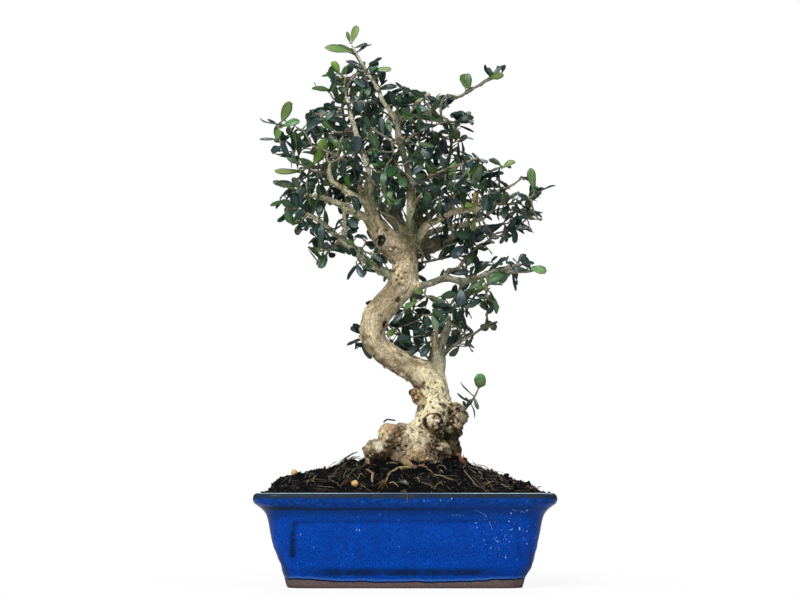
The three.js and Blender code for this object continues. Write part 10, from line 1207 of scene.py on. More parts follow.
    (-4.2, -7.5, 328.5, -4, -10.6, 338.3, 0, -.95, -.3, 4.6, 1), (-66.2, -39.7, 302.8, -67, -25.1, 309.1, -.41, -.38, .83, 7.6, 0), (-3.5, -0.7, 335.2, -7.8, 9.2, 343.2, .55, -.36, .75, 6.5, 0),
    (-46.8, -12.4, 275, -40.6, -2.5, 281.1, -.88, .4, .25, 5.9, 0), (80.1, -29, 277.7, 89.1, -23.5, 274.5, .01, .48, .88, 4.6, 0), (34.7, 17, 191.4, 45.5, 21.3, 197.9, -.58, .59, .56, 6, 0),
    (-46.4, -10.8, 334.2, -49.9, -17.2, 344.8, -.8, .6, .1, 6.4, 0), (-39, 20.8, 341.7, -35.1, 10.8, 350.1, .17, .67, .72, 6.6, 0), (-20.7, 33.5, 306.1, -24.9, 20.6, 313.8, .37, .39, .85, 7.1, 0),
    (-18.4, -10.4, 256.6, -16.5, -21.5, 249.8, .95, -.04, .32, 5.8, 0), (-44.3, -36.7, 297.7, -35.5, -44.7, 301, -.36, -.01, .93, 5.8, 1), (38.8, -8.9, 173.9, 31.9, -6.4, 180.7, .08, -.91, .42, 5, 1),
    (-40.3, 27.7, 313.1, -53.3, 23.7, 305.5, -.39, -.36, .85, 6.6, 3), (-37.2, 23.7, 331.7, -29.2, 12.5, 333.9, .26, .36, .89, 6.5, 4), (-8.5, -29.9, 278.3, -15.8, -45, 274, .29, .13, -.95, 8, 0),
    (36, -9.8, 276.5, 44.2, -11.5, 287, -.06, .98, .2, 5.7, 4), (0.2, 7.8, 189.3, -12.2, 4.8, 188, .26, -.92, -.3, 6.1, 0), (-13.3, -44.4, 292.2, -25.4, -43.3, 291.4, -.11, -.78, .61, 5.9, 1),
    (-47.8, 24.3, 322.8, -58, 25.4, 317.4, -.28, -.9, .35, 4.9, 0), (-43.2, -17.4, 327.5, -54.2, -20.9, 323, -.08, -.69, .72, 5, 0), (-47.5, -11.9, 260.6, -60.4, -12.9, 266.3, .41, .03, .91, 7, 0),
    (-41.3, -15.4, 311.4, -51, -7.8, 310.8, -.45, -.53, .72, 5.1, 0), (16.5, -2.5, 171.3, 6.3, -5.5, 174, .36, -.64, .67, 4.4, 0), (-7.5, 4.7, 320.8, -4.6, 17.6, 320.4, -.62, .16, .77, 5.6, 1),
    (-9.6, -43.4, 286.5, -24.7, -43.1, 277.7, -.16, -.96, .24, 8.1, 0), (-61.1, -20.9, 263.2, -55.6, -9.8, 260.8, -.83, .47, .29, 6, 0), (32.4, 35, 177.5, 26.4, 45.5, 182.9, -.28, .31, -.91, 6.5, 0),
    (-14.8, 30.3, 186.6, -17.7, 40.8, 196.9, -.15, -.71, .68, 6.1, 0), (58.3, 18.3, 249.7, 58.5, 28.7, 239.4, .78, .44, .45, 5.9, 0), (41, -26.3, 256.7, 31.8, -35.9, 260.6, .66, -.72, -.23, 6.7, 0),
    (4.6, 6, 180.1, -10.9, 8.1, 179.6, -.12, -.94, -.33, 7.6, 0), (62.1, 9.4, 259.8, 64.1, -2.3, 262.3, .62, .26, .74, 5.7, 3), (37.2, 34.7, 292.7, 39, 25.3, 299.7, .98, .22, .04, 5.1, 1),
    (66.7, -19.2, 271.6, 55.3, -6.4, 277.3, .65, .26, .71, 8, 3), (-48.2, 14.4, 330.4, -56.2, 11.9, 318.9, -.39, -.8, .45, 6, 3), (19.6, -5.2, 284.8, 32.7, -1.5, 288.9, -.29, -.02, .96, 6.8, 1),
    (-51.5, -44.7, 285.3, -56.9, -57.9, 282.8, .76, -.41, .5, 7.2, 0), (-4.5, -44.6, 282.6, -11.3, -55.2, 273.9, .36, -.72, .6, 7.1, 1), (-65.9, -36.6, 270.4, -71.9, -50.3, 273, .51, -.06, .86, 7.3, 0),
    (-1.2, -0.4, 332.9, 8.7, -5.7, 337.8, -.17, .48, .86, 6.1, 0), (83, -20.6, 255.4, 94.8, -21.2, 250.4, .34, .59, .73, 5.3, 0), (-68.5, -23.9, 246.9, -69.3, -9.8, 254.4, -1, -.02, -.07, 7.5, 1),
    (-47.1, 24.1, 315.6, -60.9, 22, 310.5, -.14, -.72, .68, 7.3, 1), (-37, -21.8, 331, -40.2, -30.1, 334.7, .91, -.18, .37, 3.8, 1), (7.2, 33.6, 316.7, -6.9, 30.1, 319.7, .31, -.62, .72, 6.7, 0),
    (86.4, -14.9, 264.6, 94.6, -7.2, 267, -.39, .13, .91, 5.1, 0), (57.6, 13.8, 263.5, 49.8, 21.2, 273.4, .56, -.39, .73, 6.3, 0), (5.4, 17.8, 226, -0.1, 24.6, 220.6, -.79, -.17, .59, 4.6, 0),
    (44.7, 33.5, 304.6, 42.4, 22.5, 301.7, .67, -.32, .67, 4.6, 0), (-57.2, -17.5, 298.1, -56, -5.8, 303.8, -.63, -.29, .72, 5.6, 0), (62.1, 6.6, 242.4, 67.4, -1.6, 249.4, .6, .71, .37, 5.3, 0),
    (-44.4, 17.7, 316.1, -52.7, 11.4, 309.8, -.08, -.65, .75, 5.4, 0), (-0.9, 11.7, 319.7, 11.4, 21, 320.4, -.22, .22, .95, 7.5, 0), (59.1, -1.4, 188.6, 52.6, 10.9, 193.1, .9, .41, .16, 7, 1),
    (40.8, -5.8, 280, 53.7, -7.9, 283.4, -.19, .33, .92, 5.5, 0), (16.9, -15.6, 329, 18, -5.6, 333.6, -.25, -.39, .89, 5.2, 0), (-70.7, -16.5, 278.4, -69.6, -2.9, 282.7, -.94, -.03, .35, 6.9, 0),
    (13.9, -11.2, 200.4, 1.7, -9.9, 189.9, .41, -.72, -.56, 8, 0), (18.6, -37.6, 274.9, 4.6, -43.1, 271.5, .34, -.94, .09, 6.6, 0), (24.2, 15.6, 324.8, 14.9, 17.8, 325.6, -.02, -.42, .91, 4, 0),
    (25.4, -8.8, 324.1, 15.1, -3.3, 324.7, .27, .4, .88, 4.8, 0), (-61.3, -8.8, 287, -55, 1.6, 291.6, -.57, -.02, .82, 5.5, 1), (-25.9, -9.2, 337.2, -13.2, -13.2, 328.9, .44, -.34, .83, 7.2, 0),
    (-71.2, -9.6, 265.6, -65, 2.8, 268.5, -.76, .24, .6, 7, 0), (-32.1, 20.7, 352.8, -18.7, 25.1, 360.9, -.57, .38, .73, 7.6, 0), (-51.6, -1.1, 311.9, -51.7, 10.3, 303.4, -.35, .56, .75, 5.9, 1),
    (6.2, -37, 269.5, 11.1, -49.3, 267, -.6, -.08, -.79, 5.7, 0), (-44.7, 0.4, 351.5, -55.5, 4.6, 357.6, .56, .38, .74, 5.5, 0), (-29.8, -9.6, 350.2, -29, -4.2, 357.9, .82, -.5, .27, 4.6, 0),
    (80.2, -7.1, 258.2, 92.7, -0.6, 258.5, -.13, .19, .97, 6.8, 0), (-28.6, -15.3, 227.8, -20.4, -4.5, 230.9, -.69, .34, .64, 6.2, 0), (-55.2, 16.5, 290.5, -70.3, 22.3, 293.2, -.25, -.86, .44, 7.7, 0),
    (66.7, -21.3, 286.5, 58.3, -12.4, 292, .77, .45, .45, 5.8, 4), (-74, -9.2, 297.4, -62.9, -0.4, 304.7, -.61, .11, .78, 7.6, 1), (-81.5, -15.3, 317.4, -87.7, -5.6, 315.9, -.27, -.03, .96, 4.9, 0),
    (57.8, 13.9, 256.4, 64.8, 7, 267.8, .38, .88, .3, 6.3, 0), (9.4, 10.9, 182.2, -0.2, 3, 190, -.48, -.25, -.84, 6.7, 0), (65.5, -25.8, 269.1, 63.1, -11.7, 263.6, -.43, .27, .87, 7.5, 0),
    (16.9, -10.4, 280.9, 17.7, -5.8, 293.8, 0, -.94, .33, 6.4, 1), (-52.7, -40.2, 290.5, -51.9, -55.6, 290.2, -.99, -.05, -.1, 7.2, 0), (79.6, -25.4, 259.5, 89.6, -25.5, 251, .64, .18, .75, 6.3, 0),
    (-64.1, -29.3, 248.3, -72.9, -20.8, 253.6, -.05, .49, -.87, 5.7, 0), (32.1, 39.8, 293, 38.6, 31.6, 302.9, .74, .67, .07, 7.1, 0), (-43.1, 28.7, 319.3, -48.5, 21.6, 322.5, -.52, .65, .55, 4, 4),
    (-6.2, -38.9, 286.8, -5.5, -51.9, 288.6, -.63, -.14, -.76, 5.5, 0), (42.7, -19.5, 257.6, 36.3, -24.6, 264.9, .66, -.75, .05, 4.6, 0), (10.7, 39.5, 314.5, 11.2, 31.7, 330.2, .19, -.88, -.44, 7.4, 0),
    (84.5, -21.5, 262.7, 91.7, -15.2, 273.6, .84, -.02, -.54, 6.6, 0), (58.8, -5.8, 176.7, 52.8, 6.7, 177, .84, .4, .36, 6, 0), (-54.2, -21.4, 292.9, -53.3, -19.2, 306.4, -.95, -.3, .11, 5.8, 1),
    (-43.4, 23.7, 320, -49.9, 11.3, 321.5, .48, -.35, -.81, 6.3, 0), (-1.8, 4.9, 317.5, -0.4, 9.3, 329.7, -.23, .92, -.31, 5.3, 0), (56.8, -7.7, 185.9, 54.4, -2.6, 197.4, .67, -.62, .42, 6, 0),
    (18.2, -16.7, 322.3, 23.4, -18, 333.4, -.68, .62, .39, 5.5, 0), (39.7, 37.8, 307.4, 49.9, 41, 299.8, .55, -.71, .44, 6.1, 0), (22.1, -33.1, 279.2, 15.8, -44.5, 282.8, -.56, .51, .65, 6.7, 1),
    (28.6, 20.4, 323.8, 18.2, 15.4, 334.7, -.44, .9, 0, 7.3, 1), (-59.2, -15.1, 284.2, -60.6, -10.6, 298.1, -.92, .33, -.2, 7, 1), (-32.9, -10.2, 335.5, -21.8, -18.1, 337.8, -.17, .05, .98, 6.8, 0),
    (5.5, -32.7, 275, 14.6, -42, 277, .36, .51, .78, 5.5, 0), (-68.9, -16.4, 265.2, -63.4, -2.8, 271.3, -.86, .14, .48, 7.7, 3), (-46.1, -5.6, 312.7, -56.3, -1.7, 324.1, .71, .53, .46, 7, 0),
    (77, -13.4, 259.9, 77.8, -5.5, 247.6, .82, .46, .35, 6.3, 0), (-49.3, 20.2, 288.8, -56.4, 18.6, 301.6, -.75, -.45, -.47, 6.2, 0), (-73.6, -15.2, 293.7, -73.5, -9.1, 309.3, -.7, .66, -.25, 6.9, 0),
    (35.1, 23.6, 324.5, 24.3, 26.4, 325.8, -.04, -.52, .85, 4.5, 1), (1.3, -28.8, 279.3, 1, -33.5, 269.9, .7, -.65, .29, 4.9, 0), (-65.9, -22.9, 265, -67.8, -11.8, 255.5, -.57, .47, .67, 6.6, 0),
    (-40.7, -10.3, 313.6, -45, 2.6, 313.3, -.61, -.19, .77, 6.4, 1), (-73.3, -21.5, 290.4, -63.8, -13, 295.7, -.66, .32, .68, 6.8, 0), (33.5, 39.1, 310.3, 27.6, 50.1, 311.3, -.65, -.41, .65, 5.6, 1),
    (17.1, -17.1, 325.7, 6.5, -12.9, 330.8, -.09, -.86, .51, 5.6, 0), (12.1, 12.2, 187.5, 23.7, 16.1, 185.1, .12, .24, .96, 4.9, 0), (-0.3, -1.8, 344.5, -7.1, -10.6, 338.8, -.58, -.07, .81, 5.5, 3),
    (35.7, -3.9, 197.6, 34.3, -13.9, 190.3, -.02, -.58, .81, 6.1, 0), (20.3, -35.4, 277.2, 22.7, -47.3, 274.1, .48, -.13, .86, 6, 0), (-48.7, -25.9, 239.1, -53.7, -15.3, 234.8, .61, -.03, -.79, 5.4, 0),
    (47.7, 1.5, 233.7, 46.7, 0.9, 246.1, .35, -.94, -.02, 5.6, 0), (-21.2, -3.2, 341.8, -21, -0.1, 329.7, .34, -.91, -.23, 5.4, 0), (41.1, 5.6, 223.1, 44.5, 20.3, 220.1, -.5, .28, .82, 5.9, 0),
    (44.6, -4.5, 166, 46.5, -14.7, 159, -.94, .06, -.35, 5.7, 1), (71.4, -12.1, 265.4, 68.9, -23.9, 268.4, .11, .22, .97, 4.9, 0), (57.4, -35.4, 265, 65.6, -44.2, 268.4, -.6, -.26, .76, 4.8, 4),
    (-41.1, -9, 340.4, -46.7, 0.3, 346.6, .66, .65, -.37, 5.8, 0), (-47.6, -25.8, 231.1, -37.1, -25.2, 224.4, .52, -.35, .78, 5.8, 0), (-58.3, -34.3, 248.5, -58.1, -30.2, 260.4, -.27, -.91, .32, 5.9, 1),
    (-44.8, 22, 337.5, -38.5, 11.2, 337.3, -.6, -.36, .71, 5.5, 1), (83.9, 8.4, 250, 82.9, 24.2, 250.7, -.94, -.07, .33, 6.6, 0), (3.3, 32, 181.4, 7.6, 41.7, 174.9, .6, .24, .76, 5.2, 0),
    (37.2, -6, 199.8, 44.7, -2.2, 209.1, .22, -.95, .21, 6.2, 0), (57.9, -23.9, 281, 54.2, -36.6, 278.8, .53, -.3, .79, 6, 1), (-1.3, 19.5, 170.9, -6.6, 10.2, 164.5, -.05, -.54, .84, 6.1, 3),
    (2.3, -8, 308.7, 4.5, -18.1, 301.6, .26, -.52, .81, 5.5, 4), (-72.2, -38.2, 243.4, -66.2, -48.8, 240.7, -.51, -.47, .72, 5.8, 0), (-64.6, -41.1, 299.9, -69.1, -51, 293.9, 0, -.52, .85, 5.1, 0),
    (-57.2, -21.5, 220.6, -62.8, -31.3, 226, .71, -.02, .7, 5.8, 1), (65.3, 8.1, 260.7, 71.5, -1, 252.6, .57, -.3, .77, 5.7, 0), (26.1, -7.4, 334.5, 13.7, -8.5, 335.5, .1, -.25, .96, 5.9, 3),
    (59.2, 41.9, 246.2, 48.2, 39.3, 240.9, -.22, -.62, .76, 4.8, 0), (35.1, 16.2, 228.4, 41.2, 26.8, 225.8, .53, -.1, .84, 5, 4), (-54.2, 1.2, 310.9, -61.7, -5.7, 318.1, .73, -.08, .68, 5, 0),
    (-65.5, -11.2, 261.5, -59.5, -6.4, 251.6, .79, -.58, .2, 5.4, 0), (-82.9, -35.7, 263.7, -71, -36.4, 267.4, -.3, -.38, .88, 6.2, 4), (-81.2, -30.5, 260.3, -80.3, -30.5, 272.8, .95, -.29, -.07, 5.6, 3),
    (-31.3, 21.3, 272.5, -34.1, 10.5, 260.2, .41, -.73, .55, 7.1, 3), (17.9, 1.9, 166.7, 11.2, -4.7, 156, .02, -.86, .52, 6.4, 3), (-33.9, 1, 281.5, -26.2, 10.7, 283.2, -.28, .06, .96, 5.4, 0),
    (29.4, 29.9, 316.1, 26.3, 18.5, 302.5, .52, -.71, .48, 7.1, 0), (27.1, 2.1, 232.9, 35.8, 10, 237.2, .43, -.75, .5, 4.8, 1), (-0.2, -5.1, 345.8, 2.3, -15.1, 338.8, -.32, -.6, .74, 5.9, 0),
    (7.1, 8.3, 181.2, 6.9, 19.9, 176.6, .79, .24, .57, 5.1, 0), (-30.2, 39.8, 299.3, -36.3, 29.3, 302.3, -.05, .3, .95, 5.7, 3), (30.4, 38.8, 269.7, 24.3, 22.4, 265.5, -.32, -.12, .94, 8.8, 0),
    (-63.1, -42, 296.8, -68.3, -33.4, 304.2, -.42, -.73, .54, 5.2, 1), (-26.8, 24.9, 332.8, -19.9, 15.4, 337.1, -.25, .24, .94, 5.6, 0), (-39.3, -28.9, 288.1, -39.7, -46.2, 282.9, -.13, -.28, .95, 8.7, 0),
    (58, -21.7, 283.8, 64.2, -8.8, 281.9, .36, -.03, .93, 6.6, 0), (80.9, 6.4, 250.5, 90.9, 4.1, 243.4, .42, -.51, .75, 5.9, 0), (14.7, 47, 311.4, 17.2, 54.4, 301.6, .96, -.27, .04, 5.9, 0),
    (-51.1, -32.7, 270.4, -55.3, -44.5, 271.3, -.77, .32, .55, 6.1, 0), (-75.1, -29, 296.6, -66.4, -32.9, 304.6, -.71, -.39, .58, 5.4, 0), (24.3, -24.8, 264, 22.9, -27.5, 251.9, .47, .85, -.24, 4.9, 0),
    (56, -21.3, 201.4, 56.4, -33.7, 199.4, .92, .09, -.38, 5, 0), (46.1, 1, 232.2, 45, -6.6, 242, -.8, .52, .31, 6, 0), (0.2, 2.3, 344.8, -5.3, -6.4, 337.7, .34, -.72, .61, 5.3, 4),
    (41.9, 13.1, 180.7, 43.9, 2.2, 175.1, -.61, .27, -.75, 5.5, 0), (65.4, -24, 259.7, 65.2, -17.7, 248.9, -.06, -.86, -.5, 5.3, 0), (47, -8, 171, 42.9, -22.7, 161.5, -.91, -.01, .41, 8.1, 0),
    (42.3, 50.7, 281.5, 39, 38.7, 283, .61, -.07, .79, 4.8, 0), (63.2, -25.8, 278.2, 65.9, -39, 279.1, -.08, .05, 1, 5.5, 1), (86.2, -11.6, 245, 76.8, -25.9, 242, .43, -.45, .79, 8.6, 0),
    (-28.1, -9.7, 353.4, -18.7, -17.8, 355.1, -.38, -.25, .89, 6.1, 0), (-13.5, -16.3, 328.2, -23.5, -9.5, 325.3, -.56, -.83, -.04, 5.4, 1), (-12, -16, 256.2, -17.9, -8.8, 264.5, -.72, -.69, .08, 5.3, 0),
    (-44.4, 23.4, 335.1, -42.5, 25.5, 347.2, .23, -.96, .14, 6, 1), (22.2, 40.2, 283.5, 22, 22.2, 283.6, -.49, .01, .87, 8.5, 0), (-58, -34.2, 227.6, -62, -45.2, 232.9, .77, -.48, -.42, 6.3, 0),
    (-32.9, -22, 285.1, -25.6, -33.1, 275, .17, -.6, .78, 7, 0), (2, 3.7, 179, 10, -5, 174.9, -.56, -.71, .42, 4.9, 0), (63.5, -27.5, 265.7, 51.7, -24.7, 268.8, -.11, -.91, .41, 6.1, 0),
    (-70.2, -37, 246.2, -65.5, -25.7, 243.7, .41, .03, .91, 6.1, 0), (-41.9, 0.1, 269.6, -49.5, 16.1, 272.7, -.05, -.21, .98, 7.8, 0), (-12.9, -26.4, 220.4, -19.2, -36.8, 223.3, .83, -.38, .41, 5.1, 0),
    (-5.1, -13.5, 276.5, -6.9, -22.6, 268.1, .14, -.68, .72, 6.2, 0), (6.4, 40.6, 308.9, 4.4, 47.6, 319.1, .9, .43, -.12, 5.3, 3), (38.9, -9.7, 203.9, 29.4, -24.3, 199.2, -.26, -.14, .96, 7.2, 0),
    (-20.3, -23.2, 225, -16.3, -5.8, 223, .35, .02, .94, 6.9, 0), (37.4, 48, 277.9, 37.1, 60.5, 277.9, -1, -.02, -.06, 6.1, 3), (49.1, 4.3, 231.9, 43.6, 14.5, 236.5, -.64, -.57, .51, 5.2, 3),
    (-52.7, 15.9, 318.1, -67.1, 13.6, 320.8, .23, -.76, .61, 7, 0), (-42.6, -14.5, 268.5, -46.9, -2.4, 271.2, -.05, -.24, .97, 5.4, 1), (18.8, -18, 280.2, 24.8, -9.3, 273.4, .68, -.68, -.29, 6.2, 0),
    (60.9, -19.2, 216.2, 70.4, -24.7, 222.2, -.53, 0, .85, 5.8, 3), (-17.6, -7.2, 342.9, -8, -7.8, 334.9, .36, -.79, .5, 5.5, 0), (39.3, 1.1, 220.7, 31.5, 3.2, 230.2, -.05, -.98, .18, 5.9, 0),
    (42, 20.1, 164.8, 46, 34.5, 169, .73, -.37, .57, 7.7, 0), (49.6, 35.3, 249.9, 55, 20.6, 241, -.38, -.58, .72, 7.6, 3), (76.5, 31.1, 258.9, 67.2, 22.9, 260.5, .32, -.19, .93, 5.1, 3),
    (13, -0.3, 226.5, 15.2, -11.9, 222.6, -.96, -.23, .15, 5.5, 0), (38.3, -8, 201.9, 36.4, -22.3, 195.2, .53, -.42, .74, 6.7, 1), (-73.8, -39.1, 240.3, -69.5, -27.4, 241.3, .42, -.08, -.9, 5.7, 0),
    (35.2, -3.1, 164.4, 48.6, 3.3, 162.5, .17, -.07, .98, 7.2, 0), (-66.7, -33.8, 268.3, -69.3, -21.7, 270, .25, -.08, .96, 5, 1), (51.1, 5, 234, 41.5, 8.7, 241, .06, -.85, .53, 4.9, 3),
    (2.7, 19.9, 217.9, 14.3, 21.5, 222.2, -.09, -.83, .55, 5.5, 0), (41, 36, 180.7, 44.1, 24.7, 176.2, .62, -.13, .77, 5.2, 4), (-49.3, -27, 229.9, -54.8, -32.4, 239.8, .89, -.36, .3, 5.1, 0),
    (-43.1, -50.6, 287.5, -33, -44.7, 291.9, .13, -.73, .68, 4.9, 1), (-68.3, -35.5, 248.9, -62.7, -26.4, 242.5, .45, .3, .84, 6, 0), (0.5, 5.8, 345.7, -3.9, 17.1, 348.7, -.75, -.43, .51, 6, 4),
    (52, 52.6, 294.9, 62.7, 44.6, 290.6, -.33, -.74, .58, 5.6, 0), (25.5, -8.6, 331.2, 30.6, -19.7, 328.4, -.01, -.25, .97, 4.9, 1), (-79.1, -24, 308.1, -88.1, -30.8, 302.7, -.08, -.56, .82, 5.5, 0),
    (-41.7, -31, 289.1, -42.7, -25.4, 278, -.42, -.83, -.38, 5, 0), (8.5, 23.9, 293, 8.6, 35.5, 288.3, .74, .24, .62, 5.2, 0), (29.3, 34.9, 179.4, 22.1, 44.7, 176.8, -.74, -.61, -.28, 5.7, 0),
    (19.4, 18.1, 332.4, 18.1, 16.7, 344.7, .99, .13, .12, 5.5, 0), (-19.6, 4.2, 230.5, -15.6, 5.5, 218.7, .79, -.58, .2, 5.9, 0), (86.9, -28.1, 260.5, 82.8, -16.5, 258.1, .59, .36, .72, 5.4, 0),
    (-71, -21.3, 246.1, -72.7, -33.7, 245.7, .09, -.05, .99, 5.3, 3), (38.2, -16.4, 208.6, 42.3, -18.2, 220.2, -.25, -.97, -.07, 5.1, 0), (10, -16.3, 300.8, 5.5, -27.9, 301.7, .34, -.07, .94, 5.9, 0),
    (38.6, -8.1, 278.3, 41, -16.4, 269.3, -.98, -.16, -.12, 5.3, 0), (49.7, -42, 288.5, 53.4, -58.6, 282.8, .44, -.21, .88, 8.8, 3), (-8.3, -40.9, 296.5, -5, -29.1, 298.9, .94, -.3, .18, 5.2, 0),
    (55, -6.7, 251.5, 54, -15.2, 242.5, -.93, -.21, .31, 6.1, 0), (9.2, -14.1, 307.6, 4, -11.2, 296.7, .77, -.42, -.48, 5.1, 0), (-57.5, -30, 246.3, -62.9, -37.8, 238.2, .22, -.77, .59, 5.4, 0),
    (-78.5, -12.1, 273.3, -78.1, -21.2, 264.8, -.06, -.68, .73, 5.2, 0), (-32.3, 44, 278.4, -39.4, 48.5, 269.2, -.81, -.4, .43, 4.8, 3), (-67.7, -38.4, 305.8, -55.8, -32, 317.7, .02, -.89, .46, 8.4, 0),
    (-42.9, -18, 271.1, -52, -10.1, 267.9, -.68, -.63, .38, 5.2, 0), (22, -18.8, 316.1, 19.7, -30.3, 311.8, .06, -.36, .93, 5.1, 0), (34.3, 20.3, 329.8, 38.1, 8.5, 328.3, -.68, -.31, .67, 5.4, 3),
    (40.8, -7.4, 171.4, 40.6, 0.7, 180.9, .53, -.64, .56, 4.9, 0), (-24.8, -11.2, 353.5, -14.2, -22.9, 344.9, .29, -.38, .88, 7.4, 1), (68.4, -16.3, 209.9, 70.8, -28.6, 208.2, -.53, -.21, .82, 5, 0),
    (56.7, -20.7, 203.9, 67.4, -14.4, 205.7, .04, -.33, .94, 4.8, 3), (-10, -30.6, 275.1, -0.4, -38.2, 272.2, -.54, -.79, .29, 6.2, 0), (17, -13.6, 331.9, 17.6, -25.9, 333.4, -.26, .11, .96, 5.9, 0),
    (-52.4, -9.9, 227.9, -48.2, -20.8, 223.4, -.61, -.49, .63, 4.8, 0), (75.3, 7, 260.3, 69.9, -7.4, 257.5, .12, -.23, .97, 6.5, 0), (-20.2, -10.9, 358.8, -22.6, 5.5, 357.7, .44, .12, .89, 8, 3),
    (-43, -10.5, 333, -43.1, -28, 337.3, .23, .23, .95, 8.6, 0), (30.3, -5.1, 339.7, 29.4, -16.6, 334.9, -.35, -.34, .87, 5.4, 0), (16.4, -17.9, 251.8, 9.1, -27.3, 255.5, .78, -.62, -.05, 5.3, 0),
    (62.9, -23.3, 260.2, 68.1, -12.3, 262.9, .71, -.46, .53, 6, 0), (61.6, -20.4, 217.1, 66.3, -32, 216.8, -.76, -.32, .56, 5.9, 0), (28.9, 14.3, 227.2, 30.5, 26.4, 238.6, -.37, -.61, .7, 7.5, 0),
    (34.3, -2, 195.6, 34.9, 2.5, 207.2, -.54, -.77, .33, 5.9, 0), (17.4, 11, 224.3, 15.9, -0.6, 228.5, .14, .32, .94, 4.8, 0), (38.6, 21.1, 165.2, 31.3, 13.8, 158.2, .78, -.6, -.18, 5.7, 1),
    (32.4, -13.7, 269, 23.1, -6.3, 265.1, -.4, -.01, .92, 6, 0), (48.9, 5.8, 196.9, 52.9, 17.2, 193.9, .45, .07, .89, 5.1, 0), (14.2, -5.2, 170.8, 16.5, -11.2, 160.1, .93, -.2, .31, 6.2, 1),
    (-71.1, -31, 286, -65.5, -42.2, 286.1, .61, .32, .72, 5.1, 0), (-40.9, -15.4, 246.8, -38.5, -10.3, 257.9, .31, -.88, .35, 6.1, 4), (25.2, -9.2, 327.6, 29.5, -0.1, 335.1, .1, -.66, .74, 6.2, 1),
    (-76.2, -39.2, 243, -67.5, -46.3, 252.4, -.79, -.5, .35, 7.1, 3), (35.8, 34.1, 176.7, 33.3, 51.9, 175.2, .98, .15, .15, 7.3, 3), (-8.4, 7.7, 322.5, -11, 17.9, 329.2, 0, -.55, .84, 6, 0),
    (43.6, 14.9, 331.1, 34.9, 23.8, 331.5, -.46, -.48, .75, 5.3, 1), (44.5, -11.8, 278.1, 40.5, -23.1, 274.6, .29, -.37, .88, 4.9, 3), (-0.8, 15.1, 320.8, 8.9, 17.4, 328.3, -.21, -.82, .53, 5.4, 3),
    (30.1, 13.9, 262.8, 23.7, 30.3, 259.3, -.7, -.12, .7, 8.3, 0), (0.1, 38.9, 311.9, 7.5, 33.9, 303.2, .15, -.8, .58, 5.4, 0), (60.7, 40.8, 243.1, 63, 26.4, 238.7, -.44, -.33, .83, 6.6, 0),
    (15.9, 23.2, 177.4, 24.8, 31, 181.5, -.13, -.34, .93, 5, 0), (63.2, 11.3, 190.4, 64.1, -1.1, 190.4, .29, .02, .96, 6, 0), (44.5, 14.3, 251.5, 44.8, 25.3, 245.7, .33, .43, .84, 5.5, 0),
    (-29.7, -29.6, 329.7, -27.7, -21.5, 320.4, .97, -.23, .01, 5.4, 0), (56.2, 17.1, 252.3, 51.9, 28.8, 251.9, .36, .16, .92, 5.1, 0), (-8.4, -18.5, 305.6, -7, -12.5, 316.5, -.83, .53, -.18, 5.8, 1),
    (-72.2, -6.1, 265.7, -80.6, 3, 264.4, -.35, -.18, .92, 5.6, 0), (37.7, -11.4, 188, 43, -8.3, 177.1, .81, -.53, .24, 5.8, 0), (-69.7, -23, 283.4, -61.5, -13.6, 283.7, .01, .02, -1, 5.6, 1),
    (0.9, -32.6, 286.8, 11.4, -27.4, 291.2, .16, -.81, .57, 5.1, 0), (46.5, 31.9, 255.8, 45.2, 41.7, 263.4, .05, -.61, .79, 4.8, 1), (-2.5, 0, 338.6, 1, 12.7, 337.7, -.88, .21, -.43, 6.1, 0),
    (8.9, -15.4, 314.6, 3.1, -26.2, 317, .19, .11, .98, 5.9, 0), (32.7, -13.3, 265.9, 25.8, -22.6, 270.7, .83, -.5, .24, 4.9, 0), (64.6, -29.1, 277.7, 60.4, -45.8, 272.4, .88, -.33, .34, 7.4, 0),
    (57.3, -18.1, 200.5, 54.6, -5.6, 209.6, -.66, -.53, .53, 6.4, 0), (6, 30.4, 317.7, 1.8, 33.4, 329.1, -.25, -.96, .16, 4.9, 1), (-16.3, 26.1, 312.4, -7.1, 32.8, 307.3, -.29, .8, .52, 5.8, 3),
    (-42.8, 28.8, 325.3, -51.3, 19.6, 326.3, .54, -.42, .73, 5.6, 3), (-35.1, -22, 234.6, -39.9, -33.4, 236.9, .92, -.38, .05, 4.9, 0), (90.2, -23.2, 267.4, 82, -27.7, 259.1, -.1, -.83, .55, 5.9, 0),
    (-32.4, 26.8, 280.1, -34, 9.2, 276.5, -.34, -.16, .93, 8.1, 4), (9, 2.6, 333.1, 4.9, 16.5, 329.4, .24, .31, .92, 5.8, 0), (-29.8, -20.6, 286.1, -28.2, -32.7, 283.1, .48, -.15, .86, 4.9, 0),
    (15.7, 12, 175.1, 8.6, 22.1, 177, .13, -.09, .99, 6, 0), (-29, -41, 316.9, -28.6, -31.3, 309.1, -.89, -.27, -.38, 4.8, 0), (31, 43.4, 298.5, 19.1, 46.8, 300.2, -.04, -.56, .83, 5.1, 0),
    (-1.9, 31.7, 264.7, 2.5, 30.6, 253, -.91, -.26, -.32, 5, 1), (-11.5, 9.5, 328.5, -14.7, 21.5, 326.5, -.93, -.2, .31, 4.9, 0), (13.4, 13, 180.6, 12.9, 7, 169.7, -.26, -.84, .47, 6.1, 0),
    (-23, -8.2, 339, -30.8, 0.2, 344, .14, -.4, .9, 4.8, 0), (29.6, -2.3, 164.5, 37.6, 4.9, 170.8, .69, -.73, -.04, 5.6, 3), (-72.6, -35, 254.3, -76.9, -39.9, 265, .47, -.86, -.2, 6.2, 0),
    (43.3, 0.9, 234.4, 40.3, -12.1, 234.1, .41, -.12, .9, 6.5, 0), (8.7, 43.3, 308.8, 20.7, 39.7, 309, -.12, -.35, .93, 5.4, 0), (-11.6, -42.2, 301.7, -13.4, -33.7, 310.7, .27, -.68, .68, 5.3, 0),
